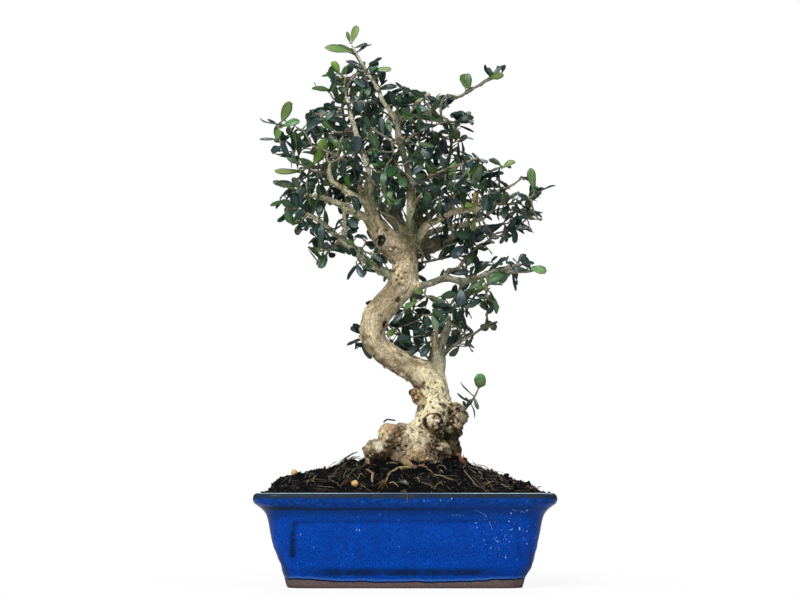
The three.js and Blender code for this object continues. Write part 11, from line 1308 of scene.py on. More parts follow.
    (6.9, 48, 297, 17.1, 47.4, 289.8, .4, -.67, .62, 6.2, 0), (26.3, -27.9, 281.9, 25.2, -23.3, 293.5, .54, -.76, .35, 6.1, 3), (4.8, 3.9, 162.4, 2.7, 16.2, 161.9, -.45, -.05, .89, 6, 0),
    (-35.9, 17.2, 289.2, -26.3, 27.5, 294.6, -.1, -.39, .92, 6.3, 0), (7, 18.3, 164, -4.4, 15.2, 159.9, .13, -.93, .35, 6.2, 0), (66.4, -24.7, 285.4, 59.2, -34, 281.2, .7, -.66, .26, 5.8, 0),
    (22.2, -17.5, 319.5, 9.9, -17.8, 321.6, .12, .61, .78, 5.7, 0), (14.5, -19.6, 315.9, 14.2, -8.3, 321.4, .84, -.22, .49, 5, 0), (32.3, 44.4, 303.5, 28.9, 55.4, 308.4, .06, -.39, .92, 5.6, 3),
    (35.4, 32.1, 319.5, 40.6, 41.8, 325.5, -.5, -.25, .83, 5.8, 0), (44, 15.1, 330.9, 46.5, 1.2, 319.8, .73, -.35, .59, 7.5, 0), (-35, -30.9, 281.6, -36.6, -18.8, 284, .26, -.15, .95, 6.2, 0),
    (-37.5, -13.1, 371.9, -37.8, -25.1, 364.7, .96, -.16, .22, 6.4, 4), (51.3, 9.7, 278, 57.6, -1.1, 278.8, -.01, .07, 1, 5.7, 0), (-28.9, -22.7, 216, -21.8, -35.6, 211.4, .68, .12, .72, 7.3, 3),
    (48.8, 21.9, 195.7, 43.2, 32.7, 192.7, -.52, -.03, .85, 6.1, 0), (-76.1, -35.2, 254.8, -67.9, -32.3, 245.8, .73, -.42, .53, 5.1, 0), (-50.2, -10, 262.1, -43.5, -15.2, 271.3, -.71, -.69, .13, 5.6, 3),
    (41.4, 44, 317.2, 43, 51.3, 306.5, .88, -.45, -.17, 5.2, 0), (-38.8, -39.5, 310.6, -41.2, -51.7, 309.6, -.92, .15, .36, 6.2, 0), (-68.7, -30, 284.8, -72.7, -41.3, 281.2, .48, -.41, .78, 5.7, 0),
    (-33.7, 23.3, 332.7, -24.1, 19.3, 325.8, -.14, -.93, .33, 5.8, 3), (54.2, 5.6, 235.6, 61.1, -1.4, 227.8, .73, -.05, .68, 5.6, 3), (-29.4, -9.8, 336.5, -27.6, -8.1, 324.2, -.1, -.98, -.15, 5.1, 1),
    (-18.4, 1.3, 346.4, -28, 6, 339.9, -.49, -.86, .1, 5.3, 0), (49.3, 54, 286.2, 58.3, 59.5, 279.6, .63, -.09, .77, 5.1, 0), (-34.8, 28, 282, -38.3, 16.8, 277.9, -.39, -.21, .9, 5.3, 3),
    (-30.9, -9.1, 346.8, -17, 0.5, 345.2, .57, -.8, .18, 8.2, 3), (56.1, -10.9, 184.3, 62.8, -7.2, 194.2, .53, -.84, -.05, 5.6, 3), (29.2, 20, 160.9, 32.1, 14.8, 171.9, -.83, -.56, -.04, 6.1, 0),
    (50.4, 52.3, 289.2, 60.4, 55.6, 279.8, .65, .15, .74, 6.9, 1), (45.3, 3, 227.9, 39.6, 17.8, 236.5, -.11, -.53, .84, 7.7, 0), (-53.4, -9, 341.6, -48.5, -16.1, 351.3, -.91, -.36, .19, 5.7, 3),
    (-44.9, -13.8, 259, -43.2, -3.6, 270.7, -.71, -.47, .52, 6.5, 0), (-45.2, 3.5, 353.3, -53.5, 7.5, 344.8, -.55, .4, .73, 6.2, 1), (-16.7, 6.3, 229.9, -21.8, 16.8, 234.2, -.81, -.51, .3, 5.5, 0),
    (-50.6, -7.7, 361.1, -51.8, -12.8, 349.7, .51, -.8, .3, 5.3, 1), (-16.3, 3, 348.9, -17.5, 14, 363.1, .28, -.75, .6, 7.8, 0), (0, 11.7, 341.6, 12.4, 11.9, 343, -.02, -.93, .37, 5.9, 0),
    (-65, -28.5, 267.7, -75.9, -22.4, 268.6, .4, .61, .68, 5.4, 0), (40.5, 1.4, 195.2, 42.9, -8.9, 188.5, .19, -.5, .84, 6, 0), (43.9, 48.7, 246.4, 44.8, 58.8, 239.1, .35, .53, .78, 5.8, 0),
    (-61.2, 13.8, 284.9, -58.6, 25.1, 280.2, .93, -.29, -.21, 6, 0), (5.2, 17.8, 291.3, 3.3, 22.3, 302.8, .49, -.78, .39, 4.9, 4), (26.2, 37.4, 289.7, 20.4, 26.4, 288, .51, -.38, .77, 5.6, 0),
    (28.4, -19.1, 265.6, 30.1, -25.7, 255.1, -.08, -.85, .52, 5, 0), (14.8, 16.1, 178.1, 21, 26.7, 175.3, .82, -.54, -.2, 4.8, 1), (35.4, 33.7, 268.7, 43.6, 20.2, 277.3, -.18, -.6, -.78, 8.4, 1),
    (-73.9, -11.7, 294.8, -63.2, -6.8, 299, .37, -.92, .13, 5.3, 0), (-41.5, -19, 246.8, -50.3, -8.4, 242.3, -.35, .1, .93, 6.6, 1), (-34.5, -24.4, 331.2, -19.6, -17.5, 334, -.09, -.2, .98, 7.4, 0),
    (-75.8, -30.6, 290.5, -85.1, -20.8, 294.5, .18, -.23, .96, 6.3, 0), (-4.5, -1.5, 331.9, 2.8, -8.1, 339.7, -.78, -.59, .23, 5.5, 0), (-66.3, -45.2, 268.9, -60.5, -33.2, 270.2, -.16, -.03, .99, 5.6, 0),
    (-0.9, -12.1, 301.5, 8.6, -6.4, 307.4, .38, -.89, .24, 6.1, 0), (-85, -33.9, 300.5, -85.7, -26.7, 310.7, .3, -.77, .56, 6.2, 0), (24.3, -25.5, 281.4, 22.8, -36.4, 275.5, .23, -.49, .84, 5, 0),
    (68.1, -24.7, 259.4, 66.8, -40, 265.3, .04, .36, .93, 7.9, 0), (-41.9, -29, 292.1, -39.1, -17.2, 289.2, -.29, .29, .91, 5.5, 0), (47.1, 3.6, 229.8, 51.8, 5.9, 218.5, .4, -.92, -.02, 5, 0),
    (-67.4, -19.7, 265.2, -62.9, -19.1, 276.8, -.28, -.95, .15, 5.1, 0), (-44.7, 25.3, 289.4, -33.6, 20, 291.4, -.39, -.52, .76, 5.5, 0), (31.1, -11.9, 247.3, 41.2, -6.8, 252.7, -.08, -.64, .77, 5.5, 0),
    (63.3, -3.1, 353.3, 57.9, 5.1, 361.1, .05, -.67, .74, 4.9, 3), (17.7, 24.3, 312.9, 14, 13.3, 317.3, .94, -.2, .29, 5.2, 0), (18.9, -18, 315.2, 21.4, -16.8, 303, -.92, -.34, -.22, 5.4, 0),
    (10, 53.3, 283.6, 8.9, 59.1, 272.5, -.04, -.89, -.46, 5.1, 1), (71.3, -0.9, 241.5, 67.4, 10.1, 236.9, -.41, .22, .89, 4.8, 0), (43.9, 33.9, 181.4, 48.2, 43.1, 174.2, .67, .24, .7, 5.8, 3),
    (50, -26.4, 268.1, 56, -33.3, 276.7, -.83, -.53, .15, 4.9, 1), (44.3, -40.2, 286.8, 44.4, -56.1, 280.4, -.55, -.32, .78, 7.7, 3), (-34.4, -7.3, 340.9, -24.1, -5.5, 334.2, .4, -.84, .37, 5.7, 0),
    (-37.7, -5.9, 324, -26.1, -10.6, 324, -.3, -.75, -.59, 5.2, 0), (-62.1, -3.6, 344.1, -63.5, 6.8, 350.9, -.17, -.55, .82, 5.2, 0), (70.8, -25.3, 259.2, 67.3, -35.1, 247.9, -.29, -.68, .67, 6.4, 0),
    (-69.4, -36.9, 308.7, -69.7, -24.5, 309.2, .16, -.04, .99, 4.9, 0), (53, -23.1, 194.9, 43.7, -29.2, 187.5, .27, -.88, .39, 5.6, 0), (1, 22, 169.5, -7.6, 25.8, 161.3, -.15, -.95, -.28, 4.9, 0),
    (-72.8, -36.4, 309.5, -68.3, -43.6, 300.3, .91, .07, .4, 4.9, 0), (-83.6, -15.6, 320.3, -91.7, -11.1, 311.9, -.62, -.76, .19, 5.3, 0), (-20.3, -7.5, 360, -22.7, 8.8, 367.4, -.69, -.38, .62, 8.9, 0),
    (11.8, 23.9, 315.8, 22.2, 30.1, 319, .24, -.74, .63, 5.9, 0), (-27.1, -23.3, 234.3, -37, -11.3, 237.1, -.19, -.37, .91, 6.6, 0), (72, -22.9, 212.8, 77.8, -6.9, 206.8, .95, -.28, .17, 8.8, 0),
    (-37.6, -20.7, 346.2, -26, -25.1, 344.3, -.25, -.86, .44, 5.8, 0), (33.3, 12.8, 248.8, 24.8, -0.4, 251, .63, -.29, .72, 6.8, 0), (-32.6, 0.3, 368, -46.2, 4.7, 375.5, .27, -.53, .8, 7.8, 0),
    (-72.9, -29.6, 310, -76.9, -41.4, 309.5, -.4, .09, .91, 5.3, 0), (-77.7, -35.5, 268.6, -84, -49.7, 259.4, -.67, -.17, .72, 7, 3), (46.9, 52.9, 284.6, 48.2, 64.7, 280.7, .98, -.05, .17, 5.5, 0),
    (11.8, -1.2, 164.6, 3.1, -6.1, 157.1, 0, -.84, .55, 5.6, 0), (-66.1, -26.5, 247.2, -68.3, -14.8, 242.6, -.73, .12, .67, 5.1, 0), (-3.9, -46.9, 279.9, -0.9, -58.8, 277.7, -.26, -.24, .94, 5.8, 0),
    (-38.7, 18.4, 325.1, -26.9, 14.6, 323.9, .26, .59, .76, 6, 0), (-37, 45.8, 281.3, -32.5, 48.1, 292.7, .11, -.98, .15, 5.5, 0), (-4.6, 42.6, 272, -9, 31.1, 274.4, -.15, .26, .95, 6, 0),
    (17.9, 29.4, 266.7, 4.1, 41, 267.1, -.64, -.76, .02, 7.4, 1), (-67.2, -22.3, 280.1, -72.6, -38.4, 274.2, -.52, -.14, .84, 7.5, 0), (10.1, 2.9, 329.7, 13.9, 1.5, 341.6, .47, .88, -.04, 5.4, 3),
    (74.9, -20.1, 261.4, 80.3, -13, 252.6, .79, -.61, -.01, 5.6, 0), (61.8, 18.7, 241.1, 66.4, 29.7, 244.9, .47, -.46, .76, 5.6, 0), (23.2, 12.8, 225.8, 19.4, 24.1, 229.7, .05, -.31, .95, 4.8, 0),
    (20.1, -8, 207.4, 11.7, -11.6, 222.9, .8, -.5, .32, 7, 3), (71.2, -21.4, 218.8, 71.9, -10, 223.9, .5, -.38, .78, 6, 3), (56.1, 28.9, 298, 53.8, 16.9, 295.5, .97, -.21, .13, 6.2, 0),
    (-1.4, 23.4, 171.7, -6, 14.4, 179.1, .93, -.24, .28, 6.1, 0), (-38, -14.9, 368.8, -52.9, -8.9, 369.1, 0, -.05, 1, 6.7, 1), (58.2, 14.1, 260, 69.5, 18.9, 258, .14, .07, .99, 4.8, 0),
    (-57.5, -18.6, 218.5, -65.9, -24, 228.5, .81, -.23, .54, 6.3, 0), (38.2, 25.3, 324.3, 49.9, 22.8, 327.8, -.34, -.49, .8, 5.7, 1), (-16.1, -10.2, 344.3, -16.3, -21.8, 339.7, .19, -.37, .91, 5.4, 0),
    (-0.9, 0.6, 341.8, -13.3, -0.4, 342, .04, -.34, .94, 6, 0), (-84.6, -31.6, 295.4, -92.6, -21.5, 298.3, -.77, -.63, .05, 5.4, 0), (-18.1, 8.1, 331, -11.5, -2.7, 340.8, -.35, -.74, -.57, 7, 0),
    (-34.9, -24.4, 286.1, -25.3, -32.3, 286.6, -.52, -.6, .61, 5.4, 3), (73.8, -15.9, 212.8, 67.1, 0, 207.7, -.41, .12, .9, 7.6, 0), (-57.5, -15.2, 239.6, -67, -9.8, 233.7, -.58, -.14, .8, 5.3, 0),
    (-48.2, -29.5, 239.4, -42.5, -36.8, 247.8, -.89, -.35, .3, 6.2, 0),
]
# More leaves, close behind and between the others: foot, tip, normal, width, kind.
MORE_LEAVES = [
    (-74, -9.2, 297.4, -62.2, -12.3, 292.1, 0.05, -0.95, 0.31, 5.6, 2),
    (-27.4, 27.9, 172.8, -38.5, 26.2, 178.9, 0.02, -0.92, 0.39, 5.6, 0),
    (37.2, 0, 218.2, 34.1, -0.3, 230.4, -0.03, -0.93, 0.36, 5.6, 0),
    (42.2, 1.7, 218.6, 49.2, 2.8, 229.3, -0.04, -0.93, 0.36, 5.6, 1),
    (86.6, -28, 212.9, 79.8, -30.4, 223, -0.06, -0.93, 0.36, 5.6, 0),
    (79.2, -32.3, 276.6, 87.7, -33.3, 267.6, -0.06, -0.94, 0.33, 4, 0),
    (-78.6, -22.8, 306.8, -90.7, -22.4, 304.2, 0.06, -0.95, 0.31, 5.6, 1),
    (76.2, 5.4, 248.9, 77, 2.3, 235.8, -0.06, -0.94, 0.35, 5.6, 3),
    (-31.1, 28.2, 166.9, -23.5, 26.5, 156.5, 0.02, -0.92, 0.39, 4, 0),
    (58.7, 8.5, 242.7, 49.2, 8.2, 238, -0.04, -0.94, 0.35, 5.6, 0),
    (-52.1, -20.6, 228.6, -39.8, -19.5, 229.2, 0.03, -0.94, 0.35, 5.6, 1),
    (47.4, -28.8, 268.7, 40.6, -31.2, 260.5, -0.04, -0.94, 0.33, 5.6, 0),
    (45, -2.8, 343, 44.2, -3.8, 355.6, -0.04, -0.96, 0.28, 5.6, 2),
    (65.3, 5.5, 243.6, 68.1, 5.9, 256.1, -0.05, -0.94, 0.34, 5.6, 0),
    (-14.7, 8.9, 330.2, -21.9, 5.8, 319, 0.01, -0.95, 0.3, 5.6, 3),
    (56.2, 17.1, 252.3, 66.8, 16.8, 253.3, -0.05, -0.94, 0.34, 4, 3),
    (-87.2, -33.7, 303, -99.6, -32.6, 303.2, 0.07, -0.95, 0.31, 2.4, 0),
    (5.9, 18.8, 190.6, 18.4, 16.5, 188.5, -0.01, -0.93, 0.38, 5.6, 0),
    (-36.1, -8, 372.6, -39, -9, 382.7, 0.03, -0.96, 0.26, 5.6, 2),
    (64.9, -29.6, 282.5, 74.6, -29.2, 286, -0.05, -0.95, 0.32, 5.6, 2),
    (35.4, -3.8, 339, 26.9, -6.9, 332, -0.03, -0.96, 0.29, 5.6, 0),
    (65.3, 16.6, 242.9, 75.8, 14.9, 242.7, -0.05, -0.94, 0.35, 5.6, 0),
    (74.1, -14.2, 212.6, 76.7, -14.5, 200.4, -0.06, -0.93, 0.37, 2.4, 0),
    (-62.5, 4.9, 307.6, -58.7, 6, 320.1, 0.04, -0.95, 0.3, 5.6, 1),
    (8.9, -19, 298.7, 19.4, -21.4, 291.6, -0.01, -0.95, 0.31, 5.6, 0),
    (23.2, 12.8, 225.8, 32.7, 11.8, 234.1, -0.02, -0.93, 0.35, 5.6, 1),
    (-44.8, -7.8, 353.9, -51.2, -7.4, 365.1, 0.03, -0.96, 0.28, 5.6, 2),
    (-37.4, -16, 267.8, -32.2, -19.1, 255.9, 0.02, -0.94, 0.33, 5.6, 0),
    (33.8, 45.9, 307.5, 45.7, 44.2, 301.7, -0.03, -0.95, 0.31, 5.6, 1),
    (22.2, 0.7, 176.6, 30.4, 0.4, 186.1, -0.02, -0.92, 0.38, 5.6, 0),
    (-22.9, -22.2, 285, -17.5, -21.1, 273.9, 0.01, -0.95, 0.32, 5.6, 0),
    (61.1, -8.6, 197.6, 63.5, -11, 185.1, -0.05, -0.93, 0.38, 4, 2),
    (72.2, 36.8, 254.8, 76.4, 35.8, 267.1, -0.05, -0.94, 0.34, 5.6, 3),
    (86.9, -28.1, 260.5, 94.1, -27.7, 270.8, -0.07, -0.94, 0.33, 5.6, 1),
    (89.4, -27, 252, 77.1, -30.2, 249.1, -0.06, -0.94, 0.34, 4, 0),
    (-82.8, -30.5, 261.5, -88.1, -32.2, 255.1, 0.06, -0.94, 0.33, 2.4, 0),
    (-6.4, -2.6, 318.4, -10.5, -2.8, 306.2, 0, -0.95, 0.3, 5.6, 0),
    (-0.2, -5.1, 345.8, -11.5, -4, 340.4, 0, -0.96, 0.29, 2.4, 0),
    (-85.8, -34.3, 312.1, -84.2, -35.3, 324.3, 0.06, -0.95, 0.3, 5.6, 2),
    (-21.9, -7.5, 340.2, -13.8, -7.1, 342.6, 0.01, -0.96, 0.29, 5.6, 0),
    (-18.4, 1.3, 346.4, -12.1, -1.8, 351.5, 0.01, -0.96, 0.28, 2.4, 0),
    (-42.4, 3.6, 268.9, -44.9, 1.9, 256.2, 0.03, -0.94, 0.33, 5.6, 0),
    (63.2, -25.8, 278.2, 51.2, -26.1, 281.1, -0.04, -0.95, 0.32, 5.6, 0),
    (-29.7, -29.6, 329.7, -17.5, -28.5, 332.1, 0.02, -0.96, 0.29, 5.6, 1),
    (-23.2, -22.2, 224, -11.8, -24.6, 219.1, 0.01, -0.93, 0.36, 5.6, 0),
    (39.3, 32.8, 251.4, 40.5, 31.8, 238.3, -0.03, -0.94, 0.35, 5.6, 0),
    (2.2, 6.4, 345.2, -6.5, 6.8, 351.6, -0, -0.96, 0.28, 2.4, 0),
    (-45.9, -8, 354.3, -58.3, -11.2, 351.8, 0.04, -0.96, 0.28, 2.4, 1),
    (-29.1, -44.5, 316.1, -41.2, -46.2, 314.7, 0.02, -0.95, 0.3, 4, 0),
    (30.2, -4, 214.6, 41.9, -4.3, 210.2, -0.03, -0.93, 0.36, 5.6, 0),
    (-28.4, -3.5, 280.4, -34.5, -2.4, 274.7, 0.02, -0.95, 0.33, 5.6, 0),
    (48.1, 8, 213.4, 54.8, 5.6, 223.9, -0.04, -0.93, 0.36, 5.6, 0),
    (-62.9, -32.5, 249.6, -61.9, -33.5, 261.8, 0.04, -0.94, 0.34, 5.6, 1),
    (78.1, -25, 212.7, 71.1, -24.6, 220.3, -0.06, -0.93, 0.36, 4, 0),
    (-36.1, -8, 372.6, -32.5, -9.7, 382.3, 0.02, -0.96, 0.26, 2.4, 1),
    (43.1, 3.5, 196.4, 43.2, 3.2, 183.7, -0.03, -0.93, 0.38, 2.4, 0),
    (-14.4, -33.2, 264.9, -18.7, -32.1, 258, 0.01, -0.94, 0.33, 4, 1),
    (13.4, 13, 180.6, 1.2, 10.6, 176.9, -0.01, -0.92, 0.38, 5.6, 0),
    (-31.6, -1.6, 362.1, -37.7, -2.6, 373.2, 0.02, -0.96, 0.27, 2.4, 0),
    (-34, -7.5, 369, -25.8, -7.1, 375.7, 0.02, -0.96, 0.27, 2.4, 0),
    (-77.2, -37.6, 282.8, -88.5, -40.7, 278, 0.06, -0.95, 0.32, 4, 2),
    (38.2, 25.3, 324.3, 49.9, 23.6, 318.7, -0.03, -0.95, 0.3, 2.4, 0),
    (33, 45, 306.1, 22.9, 44.7, 314.5, -0.02, -0.95, 0.31, 5.6, 0),
    (-73.6, -15.2, 293.7, -62.8, -14.1, 287.6, 0.05, -0.95, 0.32, 5.6, 2),
    (-56.7, -24.5, 222.6, -66.3, -26.9, 230, 0.04, -0.93, 0.35, 4, 2),
    (-76.2, -39.2, 243, -81.5, -40.2, 251.6, 0.06, -0.94, 0.34, 5.6, 1),
    (40.8, -5.8, 280, 28.3, -5.4, 281.6, -0.03, -0.95, 0.32, 5.6, 3),
    (-32.1, -8, 343.6, -35.8, -11.1, 330.8, 0.02, -0.96, 0.29, 5.6, 3),
    (-1.5, 6.5, 301.2, -3, 4.8, 288.1, -0, -0.95, 0.32, 5.6, 3),
    (51.1, 5, 234, 46.7, 4.7, 226.7, -0.04, -0.93, 0.35, 5.6, 0),
    (-57.8, -35.5, 233.7, -45.6, -34.4, 233.9, 0.04, -0.94, 0.35, 5.6, 0),
    (-72.3, -20.2, 246.8, -74, -22.7, 238.3, 0.05, -0.94, 0.34, 5.6, 0),
    (60.6, -2.6, 351.8, 68.9, -3.5, 361.4, -0.05, -0.96, 0.28, 4, 1),
    (83.8, -28.3, 214, 73.5, -27.9, 213.7, -0.06, -0.93, 0.36, 4, 0),
    (23.7, -3.5, 209.6, 27.2, -6.6, 216.9, -0.02, -0.93, 0.36, 2.4, 0),
    (31.9, -24, 273.4, 24.4, -25.7, 265.9, -0.02, -0.94, 0.33, 4, 0),
    (55.8, -2.6, 348.9, 66.4, -2.9, 356, -0.05, -0.96, 0.28, 4, 2),
    (25.4, -8.9, 329.4, 16.3, -7.8, 338.5, -0.02, -0.96, 0.29, 5.6, 0),
    (-74, -37.3, 310.6, -86.1, -39.7, 309.1, 0.06, -0.95, 0.3, 5.6, 1),
    (-24.8, -11.2, 353.5, -18.5, -12.2, 361.8, 0.01, -0.96, 0.28, 5.6, 1),
    (-67.2, -22.3, 280.1, -63.6, -21.9, 268.2, 0.05, -0.94, 0.33, 5.6, 0),
    (-66.1, -43.6, 272.1, -71, -46.7, 260.4, 0.05, -0.94, 0.33, 5.6, 0),
    (77.5, -19.8, 219.5, 83.1, -20.2, 225.6, -0.06, -0.93, 0.36, 5.6, 0),
    (80.9, 6.4, 250.5, 89.8, 7.5, 244.9, -0.06, -0.94, 0.34, 4, 0),
    (-76.1, -35.2, 254.8, -70.2, -37.6, 245.9, 0.05, -0.94, 0.34, 4, 1),
    (1.7, 11.1, 189.3, -9.5, 10.1, 183.4, 0, -0.92, 0.38, 5.6, 1),
    (34.3, 20.3, 329.8, 46.4, 20.7, 325.5, -0.03, -0.95, 0.3, 5.6, 0),
    (-83.4, -32.8, 294.6, -73.8, -35.8, 286.1, 0.06, -0.95, 0.31, 5.6, 1),
    (83, -20.6, 255.4, 95.2, -22.3, 253.7, -0.07, -0.94, 0.34, 2.4, 0),
    (-3.3, 12, 305.4, -16.1, 11.7, 305, 0, -0.95, 0.31, 5.6, 0),
    (57.6, -35.7, 268.6, 64.3, -34.6, 260.9, -0.05, -0.94, 0.33, 5.6, 0),
    (55.9, -18, 212, 65, -20.4, 220, -0.05, -0.93, 0.36, 4, 0),
    (53.6, 36.7, 256.7, 53, 35.7, 243.5, -0.04, -0.94, 0.35, 5.6, 0),
    (-12.2, -6.8, 215.6, -14.5, -6.5, 207.6, 0.01, -0.93, 0.36, 2.4, 0),
    (58.2, -26.1, 278.2, 68, -29.2, 280.3, -0.05, -0.95, 0.32, 4, 0),
    (-27.4, 27.9, 172.8, -36.7, 26.2, 181.4, 0.02, -0.92, 0.39, 5.6, 0),
    (43, -40, 280.8, 41.5, -40.2, 290.9, -0.03, -0.95, 0.32, 5.6, 0),
    (51.5, -39.3, 287.1, 45.8, -38.2, 293.1, -0.04, -0.95, 0.31, 2.4, 0),
    (50.6, -0.5, 346.9, 43.2, -2.9, 342, -0.04, -0.96, 0.29, 4, 0),
    (60.1, -22.5, 219.7, 52, -23.5, 218, -0.04, -0.93, 0.36, 2.4, 0),
    (-72.7, -16.5, 282.9, -85.2, -16.1, 282.9, 0.06, -0.95, 0.32, 2.4, 1),
    (27.4, -2.6, 321.6, 30.2, -5.7, 313, -0.02, -0.95, 0.3, 4, 0),
    (-17.2, -4.9, 214.8, -29.1, -6.6, 218.3, 0.01, -0.93, 0.36, 5.6, 0),
    (46.7, -7.2, 199, 57.1, -7.5, 205.9, -0.04, -0.93, 0.37, 4, 2),
    (52.9, 35.2, 259.9, 40.1, 36.3, 261.6, -0.04, -0.94, 0.34, 5.6, 0),
    (-45.9, -8, 354.3, -35.5, -10.5, 361.1, 0.03, -0.96, 0.28, 5.6, 1),
    (-50.2, -7.7, 357.5, -51.3, -7.3, 366.1, 0.04, -0.96, 0.27, 5.6, 2),
    (-46.6, 13.2, 310.9, -35.3, 11.5, 316.7, 0.03, -0.95, 0.31, 4, 0),
    (15.4, -17.1, 183.7, 16, -17.4, 175.4, -0.01, -0.92, 0.38, 5.6, 0),
    (-64.2, -23.3, 248.8, -59.5, -22.2, 237.4, 0.04, -0.94, 0.34, 4, 0),
    (-5.8, -10.5, 329.7, -17.2, -12.9, 323.8, 0.01, -0.96, 0.29, 5.6, 0),
    (3.7, -30.7, 277.4, 12.8, -31.7, 285.6, -0.01, -0.95, 0.32, 5.6, 3),
    (-53.4, -9, 341.6, -65.9, -8.6, 343.3, 0.04, -0.96, 0.29, 4, 2),
    (36.2, -9.1, 320.4, 48.3, -12.2, 322.7, -0.03, -0.95, 0.3, 4, 0),
    (-18.1, 12.3, 237.1, -26.3, 10.6, 246.6, 0.01, -0.94, 0.35, 5.6, 0),
    (-82.8, -34.4, 270.1, -90.1, -34.8, 273.9, 0.06, -0.94, 0.33, 4, 1),
    (56.4, -12.5, 176.6, 64, -14.9, 179.2, -0.05, -0.92, 0.38, 2.4, 0),
    (57.1, 13.6, 265.2, 64.4, 14, 257.5, -0.05, -0.94, 0.34, 4, 0),
    (89.5, -26.2, 269.3, 89, -29.3, 281.3, -0.07, -0.94, 0.32, 2.4, 0),
    (-32.3, 17.9, 273, -34.1, 16.2, 260, 0.02, -0.94, 0.33, 5.6, 0),
    (57.4, -6.2, 186.6, 57.3, -5, 174.2, -0.04, -0.92, 0.38, 2.4, 0),
    (-26.2, 30.3, 313.5, -34.5, 27.9, 303.1, 0.02, -0.95, 0.31, 2.4, 0),
    (-62.1, -17, 324.2, -67.9, -18, 315.3, 0.05, -0.95, 0.3, 5.6, 0),
    (-41.7, -21, 240.6, -32, -20.6, 248.4, 0.02, -0.94, 0.34, 5.6, 0),
    (-40.7, 7.2, 349.5, -52.8, 4.1, 352.5, 0.03, -0.96, 0.28, 5.6, 1),
    (52.5, -12.9, 254.1, 60.1, -14.6, 250.6, -0.04, -0.94, 0.34, 2.4, 0),
    (60.6, -2.6, 351.8, 58.7, -2.8, 360.1, -0.05, -0.96, 0.28, 4, 1),
    (-42.8, -26.8, 296.6, -51.3, -25.7, 290.9, 0.03, -0.95, 0.31, 5.6, 1),
    (22, -18.8, 316.1, 10.1, -21.2, 311.6, -0.01, -0.95, 0.3, 5.6, 0),
    (34.2, 15.6, 190.4, 40.6, 14.5, 179.4, -0.03, -0.92, 0.38, 5.6, 0),
    (36.5, 32.4, 268.1, 49, 29.3, 270.5, -0.03, -0.94, 0.33, 5.6, 0),
    (79.2, 5.8, 250.2, 83.6, 4.1, 242.8, -0.06, -0.94, 0.34, 2.4, 0),
    (-86.8, -34.3, 313.2, -94.2, -34.6, 316.8, 0.07, -0.95, 0.3, 2.4, 0),
    (-63.3, -8.2, 306.6, -71.2, -7.1, 296.9, 0.05, -0.95, 0.31, 5.6, 1),
    (12.4, 5.9, 223.3, 8.2, 4.9, 215.9, -0.01, -0.93, 0.36, 5.6, 0),
    (-41.7, -2.8, 242.9, -31.9, -2.4, 246.5, 0.02, -0.94, 0.35, 4, 0),
    (-36.9, -22.2, 231.4, -34.5, -25.3, 223, 0.02, -0.94, 0.35, 5.6, 0),
    (52.6, 5.3, 234.8, 60.8, 3.6, 236.5, -0.04, -0.94, 0.35, 2.4, 0),
    (30.4, -11.8, 249, 23.3, -12.1, 259.3, -0.02, -0.94, 0.34, 5.6, 0),
    (84.5, -21.5, 262.7, 77.7, -20.4, 267.4, -0.06, -0.94, 0.33, 2.4, 0),
    (-51.5, 0.4, 276.2, -42.8, -2, 266.5, 0.03, -0.94, 0.33, 5.6, 0),
    (71.9, 38, 254, 73.3, 38.4, 241.1, -0.05, -0.94, 0.35, 4, 0),
    (-45.5, -20.1, 328, -35.3, -23.2, 329.6, 0.03, -0.96, 0.29, 2.4, 0),
    (-84.9, -34.3, 313.2, -85, -36, 325.4, 0.06, -0.95, 0.3, 4, 1),
    (-36.1, -8, 372.6, -48.2, -8.3, 369, 0.03, -0.96, 0.27, 4, 2),
    (86.8, -28.9, 268.1, 97.1, -27.8, 269.7, -0.07, -0.94, 0.33, 2.4, 0),
    (-20.2, -10.9, 358.8, -10.3, -13.3, 354.6, 0.01, -0.96, 0.28, 4, 2),
    (42.8, 16, 329.9, 32.2, 15, 329.1, -0.03, -0.95, 0.3, 5.6, 0),
    (50, -26.4, 268.1, 38.7, -26, 273.1, -0.04, -0.94, 0.33, 4, 0),
    (-75.3, -13.5, 274.2, -85.1, -16.6, 266.2, 0.06, -0.94, 0.33, 2.4, 0),
]


